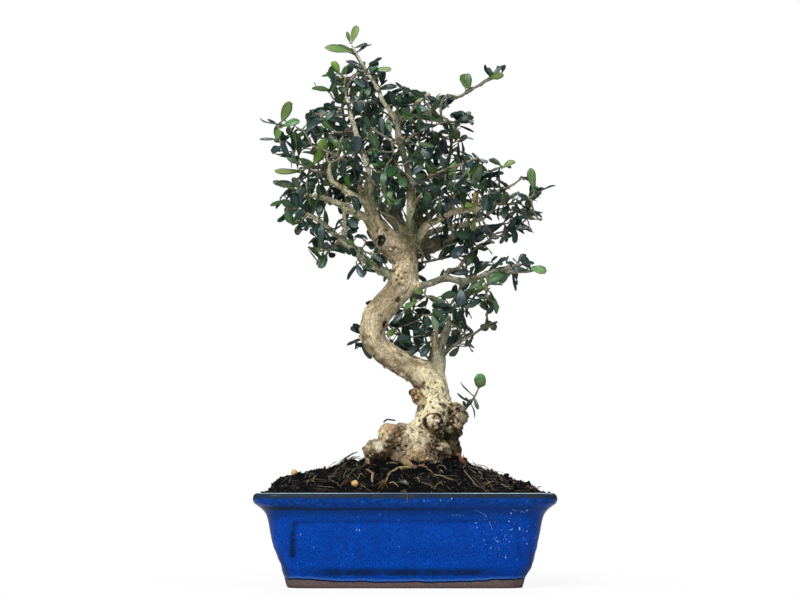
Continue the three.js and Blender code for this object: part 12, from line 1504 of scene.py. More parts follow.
# ------------------------------------------------------------------ shader helpers
class Nodes:
    """A small helper that makes and joins shader nodes."""

    def __init__(self, name):
        self.m = bpy.data.materials.new(name)
        self.m.use_nodes = True
        self.t = self.m.node_tree
        self.t.nodes.clear()
        self.out = self.t.nodes.new("ShaderNodeOutputMaterial")
        self.bsdf = self.t.nodes.new("ShaderNodeBsdfPrincipled")
        self.t.links.new(self.bsdf.outputs[0], self.out.inputs[0])

    def set(self, socket, value):
        """A constant, or a link when value is a socket."""
        s = self.bsdf.inputs[socket]
        if isinstance(value, bpy.types.NodeSocket):
            self.t.links.new(value, s)
        else:
            s.default_value = value
        return self

    def node(self, kind, **fields):
        n = self.t.nodes.new(kind)
        for k, v in fields.items():
            setattr(n, k, v)
        return n

    def feed(self, socket, value):
        if isinstance(value, bpy.types.NodeSocket):
            self.t.links.new(value, socket)
        elif value is not None:
            socket.default_value = value

    def attr(self, name, out="Color"):
        return self.node("ShaderNodeAttribute", attribute_name=name, attribute_type="GEOMETRY").outputs[out]

    def place(self):
        return self.node("ShaderNodeTexCoord").outputs["Object"]

    def noise(self, vector, scale, detail=3.0, rough=0.55, warp=0.0, out=0):
        n = self.node("ShaderNodeTexNoise")
        self.feed(n.inputs["Vector"], vector)
        n.inputs["Scale"].default_value = scale
        n.inputs["Detail"].default_value = detail
        n.inputs["Roughness"].default_value = rough
        n.inputs["Distortion"].default_value = warp
        return n.outputs[out]

    def cells(self, vector, scale, feature="F1", out="Distance", random=1.0):
        n = self.node("ShaderNodeTexVoronoi", feature=feature)
        self.feed(n.inputs["Vector"], vector)
        n.inputs["Scale"].default_value = scale
        n.inputs["Randomness"].default_value = random
        return n.outputs[out]

    def math(self, op, a, b=None, c=None, clamp=False):
        n = self.node("ShaderNodeMath", operation=op, use_clamp=clamp)
        for s, x in zip(n.inputs, (a, b, c)):
            self.feed(s, x)
        return n.outputs[0]

    def vmath(self, op, a, b=None):
        n = self.node("ShaderNodeVectorMath", operation=op)
        self.feed(n.inputs[0], a)
        if b is not None:
            self.feed(n.inputs[1], b)
        return n.outputs[0]

    def remap(self, x, a, b, lo=0.0, hi=1.0):
        n = self.node("ShaderNodeMapRange", interpolation_type="SMOOTHSTEP")
        self.feed(n.inputs["Value"], x)
        for s, v in (("From Min", a), ("From Max", b), ("To Min", lo), ("To Max", hi)):
            n.inputs[s].default_value = v
        return n.outputs["Result"]

    def mix(self, t, a, b, blend="MIX"):
        n = self.node("ShaderNodeMix", data_type="RGBA", blend_type=blend)
        self.feed(n.inputs[0], t)
        for s, x in ((n.inputs[6], a), (n.inputs[7], b)):
            if isinstance(x, bpy.types.NodeSocket):
                self.t.links.new(x, s)
            else:
                s.default_value = (*[float(c) for c in x][:3], 1.0)
        return n.outputs[2]

    def split(self, vector):
        n = self.node("ShaderNodeSeparateXYZ")
        self.feed(n.inputs[0], vector)
        return n.outputs

    def bump(self, height, strength=0.5, distance=0.0005, after=None):
        n = self.node("ShaderNodeBump")
        n.inputs["Strength"].default_value = strength
        n.inputs["Distance"].default_value = distance
        self.feed(n.inputs["Height"], height)
        if after is not None:
            self.feed(n.inputs["Normal"], after)
        return n.outputs[0]


def bark_material():
    """Bark: the painted colour at each vertex, broken up by pits, pores, scales and fine streaks along the grain."""
    k = Nodes("bark")
    paint = k.attr("paint")
    grain = k.attr("grain", "Vector")       # straightened along the limb, in mm
    coarse = k.attr("coarse", "Fac")
    at = k.vmath("MULTIPLY", k.place(), (1000.0, 1000.0, 1000.0))
    n1 = k.noise(k.vmath("MULTIPLY", grain, (1.0, 1.0, 0.68)), 0.90, 5.0, 0.68)
    n2 = k.noise(at, 0.42, 4.0, 0.62)
    fine = k.noise(at, 2.6, 3.0, 0.7)
    shade = k.math("ADD", k.remap(n1, 0.35, 0.65, 0.60, 1.34), k.remap(n2, 0.3, 0.7, -0.12, 0.12))
    shade = k.math("MULTIPLY", shade, k.remap(fine, 0.3, 0.7, 0.80, 1.14))
    n = k.node("ShaderNodeVectorMath", operation="SCALE")
    k.feed(n.inputs[0], paint)
    k.feed(n.inputs["Scale"], shade)
    c = n.outputs[0]
    # grey-green film in patches, and pale worn spots
    c = k.mix(k.remap(n2, 0.55, 0.74, 0.0, 0.55), c, k.mix(1.0, c, (0.70, 0.76, 0.74), "MULTIPLY"))
    c = k.mix(k.math("MULTIPLY", k.remap(n1, 0.60, 0.76), 0.35), c, k.mix(0.5, c, srgb(236, 230, 212)))

    def pits(vector, scale, r0, r1, least):
        v = k.node("ShaderNodeTexVoronoi", feature="F1")
        k.feed(v.inputs["Vector"], vector)
        v.inputs["Scale"].default_value = scale
        pick = k.split(v.outputs["Color"])[0]
        return k.math("MULTIPLY", k.remap(v.outputs["Distance"], r0, r1, 1.0, 0.0), k.remap(pick, least, least + 0.06))
    bent = k.node("ShaderNodeVectorMath", operation="ADD")
    k.feed(bent.inputs[0], grain)
    wav = k.node("ShaderNodeVectorMath", operation="SCALE")
    k.feed(wav.inputs[0], k.noise(at, 0.8, 2.0, 0.5, out=1))
    wav.inputs["Scale"].default_value = 1.6
    k.feed(bent.inputs[1], wav.outputs[0])
    bent = bent.outputs[0]
    p1 = pits(k.vmath("MULTIPLY", bent, (0.85, 0.85, 1.5)), 0.40, 0.10, 0.26, 0.62)
    p2 = pits(k.vmath("MULTIPLY", bent, (0.9, 0.9, 1.3)), 0.19, 0.09, 0.18, 0.66)
    p3 = pits(bent, 0.9, 0.12, 0.34, 0.58)
    pit = k.math("MAXIMUM", k.math("MAXIMUM", k.math("MULTIPLY", p1, 0.75), p2), k.math("MULTIPLY", p3, 0.42))
    c = k.mix(k.math("MULTIPLY", pit, 0.88), c, k.mix(0.22, srgb(52, 38, 24), c))
    # fine creases across the grain
    lay = k.noise(k.vmath("MULTIPLY", bent, (0.5, 0.5, 2.4)), 0.42, 3.0, 0.6)
    crease = k.math("MULTIPLY", k.remap(k.math("ABSOLUTE", k.math("SUBTRACT", lay, 0.5)), 0.0, 0.028, 1.0, 0.0), k.remap(n2, 0.36, 0.58))
    c = k.mix(k.math("MULTIPLY", crease, 0.42), c, srgb(92, 72, 46))
    # scales and crevices of the rough wood, darkened in the crevices: partly bark colour, partly painted shade
    cell = k.cells(at, 0.55, feature="DISTANCE_TO_EDGE")
    crack = k.math("MULTIPLY", k.remap(cell, 0.02, 0.15, 1.0, 0.0), coarse)
    crack = k.math("MULTIPLY", crack, k.remap(fine, 0.25, 0.55, 0.45, 1.0))
    c = k.mix(k.math("MULTIPLY", crack, 0.62), c, srgb(50, 37, 24))
    k.set("Base Color", c)
    k.set("Roughness", 0.78).set("Specular IOR Level", 0.2)
    h = k.math("ADD", k.math("MULTIPLY", n1, 0.8), k.math("MULTIPLY", fine, 0.4))
    h = k.math("SUBTRACT", h, k.math("MULTIPLY", pit, 0.9))
    h = k.math("SUBTRACT", h, k.math("MULTIPLY", crack, 1.0))
    h = k.math("SUBTRACT", h, k.math("MULTIPLY", crease, 0.45))
    k.set("Normal", k.bump(h, 0.75, 0.0009))
    return k.m


# ------------------------------------------------------------------ wood
BARK = bark_material()
STEP = 1.6
VOXEL = 0.71

# The middle lines of every limb, close together, for shape, grain and colour.
LINES = {}
for name, pts in LIMBS.items():
    if name == "sprout":
        continue
    c = catmull(pts, STEP)
    c[:, 3] = np.maximum(c[:, 3], 0.35)
    LINES[name] = c

# How each limb is tinted: its screen colour in the light
TINTS = {
    "whitish": (206, 194, 178), "stub1": (182, 160, 124), "curl": (170, 146, 108), "T1": (204, 188, 166), "T2": (200, 188, 160), "T3": (205, 190, 165),
    "M3u": (166, 166, 148), "M3": (196, 178, 146), "M3s": (190, 160, 132), "M1": (138, 122, 98), "M2": (140, 124, 98), "R1": (176, 158, 130), "R2": (142, 128, 104),
    "R3": (124, 112, 88), "RD": (118, 102, 84), "R4": (142, 140, 124), "R5": (140, 136, 122), "R5s": (156, 146, 130), "L1": (178, 172, 148), "L1b": (172, 158, 134),
    "L2": (196, 178, 146), "L3": (200, 182, 150), "S1": (192, 180, 150), "S2": (158, 138, 102), "S3": (126, 118, 100), "S3b": (130, 120, 104), "S4": (140, 128, 106),
    "S5": (140, 128, 106), "leader": (192, 174, 138), "R1v": (190, 160, 84), "Rthin": (150, 128, 110), "BK1": (140, 124, 100),
}
DEFAULT_TINT = (148, 138, 118)
for n, t in TINTS.items():                   # the photo shows them greyer and paler than they feel
    grey = sum(t) / 3
    TINTS[n] = tuple(min(238, (grey + (x - grey) * 0.66) * 1.07 + 3) for x in t)
for n in ("whitish", "T1", "T2", "T3"):
    TINTS[n] = tuple(min(240, x * 1.06) for x in TINTS[n])
for names, factor in ((("L1", "L1b"), 1.07), (("L2",), 1.10), (("L3", "S2", "S4", "S5"), 1.14), (("R1", "R2", "R3", "RD", "R4", "M1", "M2", "M3"), 1.22)):
    for n in names:
        TINTS[n] = tuple(min(238, x * factor) for x in TINTS[n])
for n, t in TINTS.items():                   # and a little greener
    TINTS[n] = (t[0] * 0.985, min(238, t[1] * 1.025), t[2] * 0.985)


def surface_point(bvh, u, v):
    hit, n, _, _ = bvh.ray_cast(Vector(CAM_AT), Vector(ray(u, v)))
    return (np.array(hit), np.array(n)) if hit else (None, None)


class Grain:
    """Finds, for any point, the limb it belongs to, and its place in that limb straightened out."""

    def __init__(self, names):
        self.rows, T, U, W, S, R, K = [], [], [], [], [], [], []
        for k, n in enumerate(names):
            L = LINES[n]
            t, u, w = frames_along(L[:, :3])
            s = np.concatenate([[0], np.cumsum(np.linalg.norm(np.diff(L[:, :3], axis=0), axis=1))])
            self.rows.append(L[:, :3]); T.append(t); U.append(u); W.append(w); S.append(s); R.append(L[:, 3]); K.append(np.full(len(L), k))
        self.P, self.T, self.U, self.W = np.vstack(self.rows), np.vstack(T), np.vstack(U), np.vstack(W)
        self.S, self.R, self.K, self.names = np.concatenate(S), np.concatenate(R), np.concatenate(K), names
        self.tree = KDTree(len(self.P))
        for i, p in enumerate(self.P):
            self.tree.insert(p, i)
        self.tree.balance()

    def find(self, V):
        out = np.zeros(len(V), int)
        find_n, R = self.tree.find_n, self.R
        for i, p in enumerate(V):
            best, who = 1e9, 0
            for _, j, d in find_n(p, 6):
                e = d - R[j]
                if e < best:
                    best, who = e, j
            out[i] = who
        d = V - self.P[out]
        g = np.stack([(d * self.U[out]).sum(1), (d * self.W[out]).sum(1), self.S[out] + (d * self.T[out]).sum(1)], 1)
        return out, g


def project(V):
    """Where points fall in the 800 x 600 picture."""
    d = V - np.array(CAM_AT)
    c, s = math.cos(CAM_PITCH), math.sin(CAM_PITCH)
    deep = d[:, 1] * c + d[:, 2] * s
    up = d[:, 2] * c - d[:, 1] * s
    return np.column_stack([400 + CAM_F * d[:, 0] / deep, 300 - CAM_F * up / deep])


def blot(uv, chain):
    """1 inside a chain of circles (u, v, radius) joined up, falling to 0 over a third of the radius."""
    best = np.full(len(uv), 9.0)
    for (u0, v0, r0), (u1, v1, r1) in zip(chain[:-1], chain[1:]):
        a, d = np.array([u0, v0]), np.array([u1 - u0, v1 - v0], float)
        t = np.clip(((uv - a) @ d) / (d @ d), 0, 1)
        q = np.linalg.norm(uv - a - t[:, None] * d, axis=1) / (r0 + (r1 - r0) * t)
        best = np.minimum(best, q)
    return 1 - smooth(0.8, 1.2, best)


def near(V, c, r):
    """1 at c falling to 0 at distance r."""
    return 1 - smooth(0, 1, np.linalg.norm(V - np.asarray(c), axis=1) / r)


SOIL_LINE = [(-93, 62.2), (-91.4, 67.2), (-88.8, 71.2), (-84, 73.0), (-74.7, 74), (-62.3, 77.4), (-53, 78.6), (-43.8, 82), (-37.6, 84.8), (-28, 86), (0, 87), (30, 86.2), (38.2, 84), (42.9, 82.8), (49, 79.6), (58.4, 77.4),
             (70.8, 72.4), (80, 70.4), (87.7, 66.6), (93, 61.5)]
SX, SZ = np.array(SOIL_LINE).T


def soil_top(x, y):
    t = np.minimum(1, np.abs(y) / 69.5)
    foot = np.sqrt(((x - 10.5) / 26) ** 2 + (y / 22) ** 2)      # heaped a little against the wood
    return 61.5 + (np.interp(x, SX, SZ) - 61.5) * np.maximum(1 - t ** 1.4, 0) ** 0.95 + 2.0 * (1 - smooth(0.95, 1.7, foot)) * (y < 12) + 1.7 * np.exp(-(((x + 75.5) / 5) ** 2 + ((y + 13) / 5) ** 2))


def on_mound(u, v, up=0.0):
    """Where the line of sight through (u, v) meets the heap of soil, raised by up."""
    d = ray(u, v)
    k = (np.arange(-66, 10, 0.25) - CAM_AT[1]) / d[1]
    P = np.array(CAM_AT) + k[:, None] * d
    under = P[:, 2] < soil_top(P[:, 0], P[:, 1])
    i = int(np.argmax(under)) if under.any() else len(P) - 1
    return P[i] + np.array([0, 0, up])


BUTT = ("trunk", "leader", "S1")            # thick wood, in one shell with the burls and roots
rng = np.random.default_rng(11)


def collar(name, length):
    """The foot of a limb inside the thick wood's shell, thinning to nothing, so that the two shells blend."""
    L = LINES[name]
    s = np.concatenate([[0], np.cumsum(np.linalg.norm(np.diff(L[:, :3], axis=0), axis=1))])
    keep = L[s <= length].copy()
    if len(keep) < 2:
        keep = L[:2].copy()
    f = np.linspace(0, 1, len(keep))
    keep[:, 3] = keep[:, 3] * (1.12 - 0.9 * f ** 1.5)
    return keep


def thick_wood():
    lo, hi = np.array([-52, -46, 70.0]), np.array([66, 46, 300.0])
    F = Field(lo, hi, VOXEL, far=5.0)
    F.limb(LINES["trunk"], 1.0)
    F.limb(LINES["leader"], 3.0)
    F.limb(LINES["S1"], 4.0)
    for k, (x, y, z, r) in enumerate(BURLS):
        if k == 4:
            F.limb([(5.4, -6, 131.2, 2.7), (7.6, -6.5, 130.0, 3.8), (10.0, -7, 127.6, 4.2)], 2.2)
        elif k == 21:
            F.ball((x - 3.5, y, z), 4.2, 3.2)
            F.ball((37.4, -4, 121.0), 3.1, 2.6)
            F.ball((9.0, -6.5, 126.2), 4.0, 2.6)
        elif k in (0, 1):
            F.ball((x + 0.6, y, z - 1.2), r * 0.97, 3.2)
        else:
            F.ball((x, y, z), r * (0.82 if k == 6 else 0.88 if k == 8 else 0.97), 3.2)
    # knobs that break up the burls
    knobs = rng.normal(size=(90, 3))
    knobs /= np.linalg.norm(knobs, axis=1)[:, None]
    pick = rng.integers(0, len(BURLS), 90)
    size = rng.uniform(1.6, 3.8, 90)
    for d, k, s in zip(knobs, pick, size):
        x, y, z, r = BURLS[k]
        c = np.array([x, y, z]) + d * r * 0.93
        if (k in (0, 1, 6, 21) and c[2] > z - 1) or (k == 8 and c[0] > x):
            continue
        if 72 < c[2] < 124:
            F.ball(c, s, 1.6)
    for r in ROOTS.values():
        F.limb(catmull(np.array(r) * [1, 1, 1, 0.8] - [0, 0, 0.6, 0], 2.0), 2.0)
    # the smooth foot of a root between the left burls and the soil in front
    F.limb([np.append(on_mound(u, v, up), r) for u, v, up, r in ((385.5, 453, -0.5, 3.2), (393, 455.5, -0.4, 3.9), (401, 459.5, -0.4, 3.5), (408, 463.5, -0.5, 2.6), (413, 466, -0.9, 1.6))], 1.6)
    for name, L in LINES.items():
        if name in BUTT:
            continue
        p = L[0, :3]
        for host in BUTT:
            H = LINES[host]
            d = np.linalg.norm(H[:, :3] - p, axis=1) - H[:, 3]
            if d.min() < 2.5:
                j = int(d.argmin())
                F.limb(collar(name, 2.2 * H[j, 3] + 5.0), min(4.5, 0.9 * L[0, 3] + 0.8))
                break
    V, Q = F.surface()
    V = relax(V, Q, 2, 0.5)
    return V, Q


def thin_wood(names, lo, hi):
    F = Field(lo, hi, VOXEL, far=3.5)
    for name in names:
        L = LINES[name]
        F.limb(L, min(3.2, 0.75 * L[0, 3] + 0.6))
        # bumps where side shoots were pruned off
        n = max(2, int(len(L) * STEP / 7))
        for _ in range(n):
            i = rng.integers(2, max(3, len(L) - 1))
            d = rng.normal(size=3)
            d /= np.linalg.norm(d)
            r = L[i, 3]
            if rng.random() < 0.6:
                F.ball(L[i, :3] + d * r * 0.75, r * 0.42 + 0.25, 0.7)
            else:
                a = L[i, :3] + d * r * 0.5
                b = L[i, :3] + d * (r + rng.uniform(0.8, 2.4)) + np.array([0, 0, rng.uniform(0, 0.8)])
                F.limb([(*a, 0.7), (*b, 0.45)], 0.6)
    V, Q = F.surface()
    return relax(V, Q, 1, 0.5), Q


def keep_hue(c, most=0.93):
    """Colours too bright for a surface are dimmed as a whole, so that they keep their hue."""
    return np.maximum(c * np.minimum(1, most / np.maximum(c.max(1), 1e-6))[:, None], 0.002)


def wood_paint(V, N, G, g, who, pits, rough, dark):
    """Colour of the bark at each vertex."""
    z = V[:, 2]
    names = np.array(G.names)
    tint = np.array([srgb(*TINTS.get(n, DEFAULT_TINT)) for n in names])[G.K[who]]
    trunk = np.isin(names[G.K[who]], ("trunk",))
    # the trunk goes from tan under the crown to cream above the burls
    cream = srgb(240, 230, 198)
    beige = srgb(222, 209, 178)
    tan = srgb(197, 185, 152)
    up = smooth(200, 236, z)[:, None]
    mid = smooth(138, 168, z)[:, None]
    body = lerp(lerp(cream, beige, mid), tan, up)
    c = np.where(trunk[:, None], body, tint)
    c = np.where((names[G.K[who]] == "leader")[:, None], lerp(tan, tint, smooth(236, 262, z)[:, None]), c)
    c = np.where((names[G.K[who]] == "S1")[:, None], lerp(body, tint, smooth(140, 158, z)[:, None]), c)
    # broad patches
    n = fbm(V, 14, 3, 5)[:, None]
    c = c * (1 + 0.14 * n)
    n = fbm(g * np.array([1, 1, 0.4]), 2.6, 3, 9)[:, None]
    deep = np.where(trunk[:, None], np.array([0.59, 0.53, 0.43]), np.array([0.62, 0.61, 0.52]))
    seen = project(V)
    # clear: the smooth front of the lower trunk. It gets fewer dark patches and is brightened while the rest is dimmed:
    # partly its pale bark, partly a painted highlight
    clear = (blot(seen, [(424, 378, 12), (436, 392, 15), (432, 404, 13), (424, 412, 9), (414, 428, 8), (408, 434, 7)]) * (V[:, 1] < 4))[:, None]
    c = lerp(c, c * deep, smooth(0.04, 0.55, n) * (0.85 - 0.6 * clear))
    c = lerp(c, c * np.array([1.22, 1.20, 1.17]), smooth(0.10, 0.7, -n) * 0.8)
    c = c * lerp(np.array([0.84, 0.82, 0.79])[None, :], np.array([1.12, 1.11, 1.06])[None, :], clear)
    c = c * (1 - blot(seen, [(428, 372, 15), (436, 386, 9)])[:, None] * np.array([0.17, 0.18, 0.21]))
    duller = blot(seen, [(384, 356, 9), (398, 362, 9), (410, 366, 8)])[:, None]
    c = c * (1 - duller * np.array([0.20, 0.22, 0.25]))
    c = lerp(c, srgb(84, 62, 38), (dark * 0.9)[:, None])
    c = lerp(c, srgb(58, 42, 26), (pits * 0.92)[:, None])
    return keep_hue(c)


def dent(V, N, c, r, depth, sharp=1.0, axis=None, ratio=1.0):
    """Weight, at each vertex, of a dent or bump at c, falling to 0 at distance r, and that distance in radii; depth is
    not used.
    """
    d = V - c
    if axis is not None:
        a = axis / np.linalg.norm(axis)
        along = d @ a
        across = np.sqrt(np.maximum((d * d).sum(1) - along ** 2, 0))
        q = np.sqrt((along / (r * ratio)) ** 2 + (across / r) ** 2)
    else:
        q = np.linalg.norm(d, axis=1) / r
    w = (1 - smooth(0, 1, q)) ** sharp
    return w, q


class Wood:
    """A shell of wood being shaped and coloured."""

    def __init__(self, V, Q, names):
        self.V, self.Q = V, Q
        self.N = normals_of(V, Q)
        self.G = Grain(names)
        self.who, self.g = self.G.find(V)
        self.r = self.G.R[self.who]
        self.limb = np.array(names)[self.G.K[self.who]]
        self.bvh = BVHTree.FromPolygons([tuple(p) for p in V], [tuple(int(i) for i in q) for q in Q])
        self.move = np.zeros(len(V))
        self.pits = np.zeros(len(V))
        self.dark = np.zeros(len(V))
        self.marks = []
        self.coarse = np.zeros(len(V))

    def at(self, u, v):
        hit, n, _, _ = self.bvh.ray_cast(Vector(CAM_AT), Vector(ray(u, v)))
        if hit is None:
            return None, None
        return np.array(hit), np.array(n)

    contrast = None

    def facing(self, n):
        return smooth(-0.15, 0.45, self.N @ n)

    def mark(self, u, v, px, colour, strength=1.0, depth=0.0, rim=0.0, rimcolour=None, tall=1.0, lean=0.0, rough=0.25, edge=0.35):
        """A mark seen at (u, v), px wide in the picture: tall is its height over its width, lean turns it clockwise in degrees."""
        c, n = self.at(u, v)
        if c is None:
            return
        r = px * 0.5 * 0.693
        a = math.radians(lean)
        up = np.array([math.sin(a), 0, math.cos(a)])
        d = self.V - c
        d = d + 0.35 * r * rough * np.stack([fbm(self.V, r * 0.9, 2, 31), fbm(self.V, r * 0.9, 2, 37), fbm(self.V, r * 0.9, 2, 41)], 1)
        along = d @ up
        across = np.sqrt(np.maximum((d * d).sum(1) - along ** 2, 0))
        q = np.sqrt((along / (r * tall)) ** 2 + (across / r) ** 2)
        f = self.facing(n)
        inside = (1 - smooth(1 - edge, 1 + edge, q)) * f
        if depth:
            self.move -= depth * (1 - smooth(0.35, 1.1, q)) * f
        if rim:
            ring = np.exp(-((q - 1.15) / 0.32) ** 2) * f
            self.move += rim * ring
            if rimcolour is not None:
                self.marks.append((ring * 0.9, srgb(*rimcolour)))
        if colour is not None:
            self.marks.append((inside * strength, srgb(*colour)))

    def object(self, name):
        V = self.V + self.N * self.move[:, None]
        c = wood_paint(V, self.N, self.G, self.g, self.who, self.pits, None, self.dark)
        vary = (1 + 0.18 * fbm(V, 1.7, 2, 77))[:, None]
        for w, col in self.marks:
            c = lerp(c, col * vary, np.clip(w, 0, 1)[:, None])
        if self.contrast is not None:
            c = c * lerp(1.0, np.clip((c.mean(1) / 0.24) ** 0.32, 0.6, 1.12), self.contrast)[:, None]
        b = Build()
        b.add(V, quads=self.Q, paint=rgba(keep_hue(c)), grain=self.g, coarse=self.coarse)
        o = b.object(name, [BARK])
        piece(o, "bark", "trunk_and_branches")
        print(name, len(self.V), "vertices", b.triangles(), "triangles")
        return o


# --- the trunk, its burls and its roots
V, Q = thick_wood()
W = Wood(V, Q, list(BUTT))
z = V[:, 2]
uv = project(np.column_stack([V[:, 0], np.zeros(len(V)), V[:, 2]]))
wander = np.column_stack([fbm(V, 6, 2, 15), fbm(V, 6, 2, 16)]) * 3.2
smooth_bark = blot(uv + wander, [(428, 380, 22), (434, 402, 20), (425, 420, 14.5), (417, 436, 11), (412, 447, 8)])
east = smooth(25, 31, V[:, 0])
low = 1 - smooth(112 + 7 * east, 128 + 2 * east, z)
calm = np.maximum(blot(uv + wander * 0.6, [(379, 430, 8), (384, 433, 7)]), 0.9 * blot(uv + wander * 0.6, [(371, 448, 6), (380, 447, 6.5)]))
calm = np.maximum(calm, blot(uv, [(386, 453, 4.5), (394, 456, 5), (402, 460, 4.5), (410, 465, 3.4)]))
calm = np.maximum(calm, 0.9 * blot(uv, [(462.8, 414.5, 4.2), (463, 423.5, 4.4)]))
calm = np.maximum(calm, 0.8 * blot(uv, [(444, 448.5, 4.6), (447, 451, 4.6)]))
calm = np.maximum(calm, 0.8 * blot(uv, [(390, 427.5, 4.4), (384, 428, 7)]))
W.coarse = np.clip(low * (1 - smooth_bark) * (1 - 0.75 * calm), 0, 1)
W.coarse = np.maximum(W.coarse, 0.85 * near(V, (6.5, -9, 130), 8.0) ** 0.6)
base = W.coarse
W.move += np.minimum(0.09 * W.r, 0.9) * fbm(V, 8.5, 3, 3) * (1 - 0.4 * base)
W.move += 0.30 * fbm(W.g * np.array([1, 1, 0.28]), 3.4, 2, 13) * (1 - base)
W.move += 0.16 * fbm(V, 1.7, 2, 14)
W.move += base * (1.05 * fbm(V, 7.5, 2, 21))
warp = V + 0.9 * np.column_stack([fbm(V, 3, 2, 23), fbm(V, 3, 2, 24), fbm(V, 3, 2, 25)])
f1, f2_, num = worley(warp, 3.5, 5)
g1, g2_, gum = worley(warp, 2.0, 6)
W.move += base * (1.5 * (0.5 - f1) + 0.7 * (0.5 - g1))
crevice = (1 - smooth(0.02, 0.20, f2_ - f1)) * base
small_crevice = (1 - smooth(0.02, 0.2, g2_ - g1)) * base
W.move -= 0.7 * crevice
hole = (1 - smooth(0.15, 0.5, f1)) * (num > 0.86) * base
W.move -= 2.2 * hole
# lumps of many colours between the crevices
lumps = np.array([srgb(236, 212, 170), srgb(208, 172, 128), srgb(168, 132, 94), srgb(248, 240, 216), srgb(224, 192, 150), srgb(134, 104, 74), srgb(226, 206, 170), srgb(192, 152, 108)])
W.marks.append((base * 0.75, lumps[(num * 7.99).astype(int)]))
W.marks.append((base * 0.35, lumps[(gum * 7.99).astype(int)]))
# pale specks at the middle of the small lumps: painted highlights on their tops
W.marks.append(((1 - smooth(0.1, 0.45, g1)) * (gum > 0.45) * base * 0.8, srgb(252, 242, 214)))
# dark crevices and near black deep holes: partly bark colour, partly painted shade in the recesses
W.marks.append((np.maximum(crevice * 0.9, small_crevice * 0.42), srgb(50, 36, 23)))
W.marks.append((hole, srgb(26, 18, 12)))
# scattered little warts on the trunk, thick along its lower left side
f1, f2_, num = worley(W.g, (2.6, 2.6, 3.0), 8)
leftlow = smooth(0.15, 0.75, -0.75 * W.N[:, 0] - 0.65 * W.N[:, 2]) * (1 - smooth(196, 214, z)) * (1 - base)
wart = (1 - smooth(0.12, 0.42, f1)) * (num > 0.80 - 0.42 * leftlow) * (1 - base)
W.move += 0.42 * wart * (1 + 1.6 * leftlow)
# on faces turned down and to the left the warts are darker and a brown wash is laid: painted shade on that side
W.marks.append((wart * (0.30 + 0.60 * leftlow), srgb(84, 62, 40)))
W.marks.append((leftlow * smooth(-0.6, 0.35, fbm(V, 3.0, 3, 53)) * 0.72, srgb(112, 88, 58)))
f1, f2_, num = worley(W.g, (3.0, 3.0, 4.4), 9)
small = (1 - smooth(0.10, 0.32, f1)) * (num > 0.76) * (1 - base)
W.move -= 0.38 * small
W.pits = np.maximum(W.pits, small * 0.75)
mottle = smooth(0.15, 0.7, fbm(V, 7.0, 2, 61)) * base
W.marks.append((mottle * 0.25, srgb(150, 118, 84)))
# moss and damp near the soil and on the right of the foot
soilside = 1 - smooth(80, 92, z)
W.marks.append((soilside * smooth(-0.3, 0.5, fbm(V, 5.5, 3, 65)) * 0.85, srgb(78, 58, 38)))
right = smooth(29, 36, V[:, 0]) * (1 - smooth(118, 130, z)) * smooth(66, 80, z)
W.marks.append((right * smooth(-0.2, 0.4, fbm(V, 4.0, 3, 67)) * 0.6, srgb(66, 56, 38)))
W.contrast = base
W.mark(445.8, 424, 9.5, (244, 230, 200), 0.85, depth=-0.3, rough=0.8, edge=0.3, tall=1.5)
W.mark(404, 425, 8, (240, 228, 208), 0.8, rough=0.8, tall=0.8)
W.mark(387, 455, 9, (150, 124, 96), 0.7, rough=0.8)
W.mark(443, 455.5, 13, (46, 38, 30), 0.8, rough=0.8, tall=0.6)
W.mark(457, 456, 9, (160, 124, 88), 0.7, rough=0.8, tall=0.9)
for u, v, px in ((420.0, 421, 2.3), (421.2, 425.5, 2.7), (419.2, 427.8, 2.3), (422.2, 429, 2.5), (419.8, 432.4, 2.5), (422.8, 432.8, 2.1), (423.8, 436.2, 1.8), (414.2, 426.8, 2.0), (411.8, 432.4, 2.2), (408.4, 436.0, 2.0), (423, 406.6, 2.6), (421.4, 396.8, 2.0),
                 (430.4, 402, 2.2), (439.5, 399, 2.2), (439.6, 403.8, 2.4), (432.7, 407.4, 2.0), (427.0, 411.0, 1.8), (445.0, 396.2, 2.0), (448.6, 401.2, 2.2), (443.4, 390.0, 2.2), (448.0, 392.4, 1.8), (424.6, 389.0, 1.8)):
    W.mark(u, v, px, (44, 33, 21), 0.95, depth=0.35, rough=0.7, edge=0.2, tall=1.2)
for u, v, px, tall in ((451.4, 404.4, 7.5, 0.9), (449.6, 411.5, 6.5, 1.5), (450.4, 420.5, 5.5, 1.5), (457.6, 404.4, 5.0, 0.7), (455.2, 430.0, 7.0, 0.8), (446.6, 434.6, 8.0, 0.7), (459.8, 410.6, 4.0, 0.8)):
    W.mark(u, v, px, (52, 42, 26), 0.9, depth=0.5, rough=1.0, edge=0.3, tall=tall)
for u, v, px in ((453.6, 402.6, 2.4), (456.2, 407.2, 2.2), (448.8, 406.0, 2.0), (458.4, 417.6, 2.6), (452.8, 414.4, 2.2), (455.6, 424.2, 2.8), (449.0, 427.8, 2.2), (445.4, 414.4, 3.4), (446.2, 408.4, 2.6)):
    W.mark(u, v, px, (236, 216, 172), 0.9, depth=-0.3, rough=0.6, edge=0.25)
below = blot(uv + wander, [(421, 436, 7), (428, 441, 10), (414, 444, 7), (436, 447, 9)]) * base
W.marks.append((below * smooth(-0.35, 0.35, fbm(V, 2.1, 3, 74)) * 0.80, srgb(58, 43, 29)))
W.marks.append((below * smooth(0.25, 0.6, -fbm(V, 1.7, 2, 75)) * 0.85, srgb(222, 198, 160)))
between = blot(uv + wander * 0.6, [(449, 394, 4.5), (450.5, 408, 5), (450, 420, 5), (446, 432, 5)]) * base
W.marks.append((between * smooth(-0.4, 0.3, fbm(V, 1.9, 3, 76)) * 0.80, srgb(50, 40, 25)))
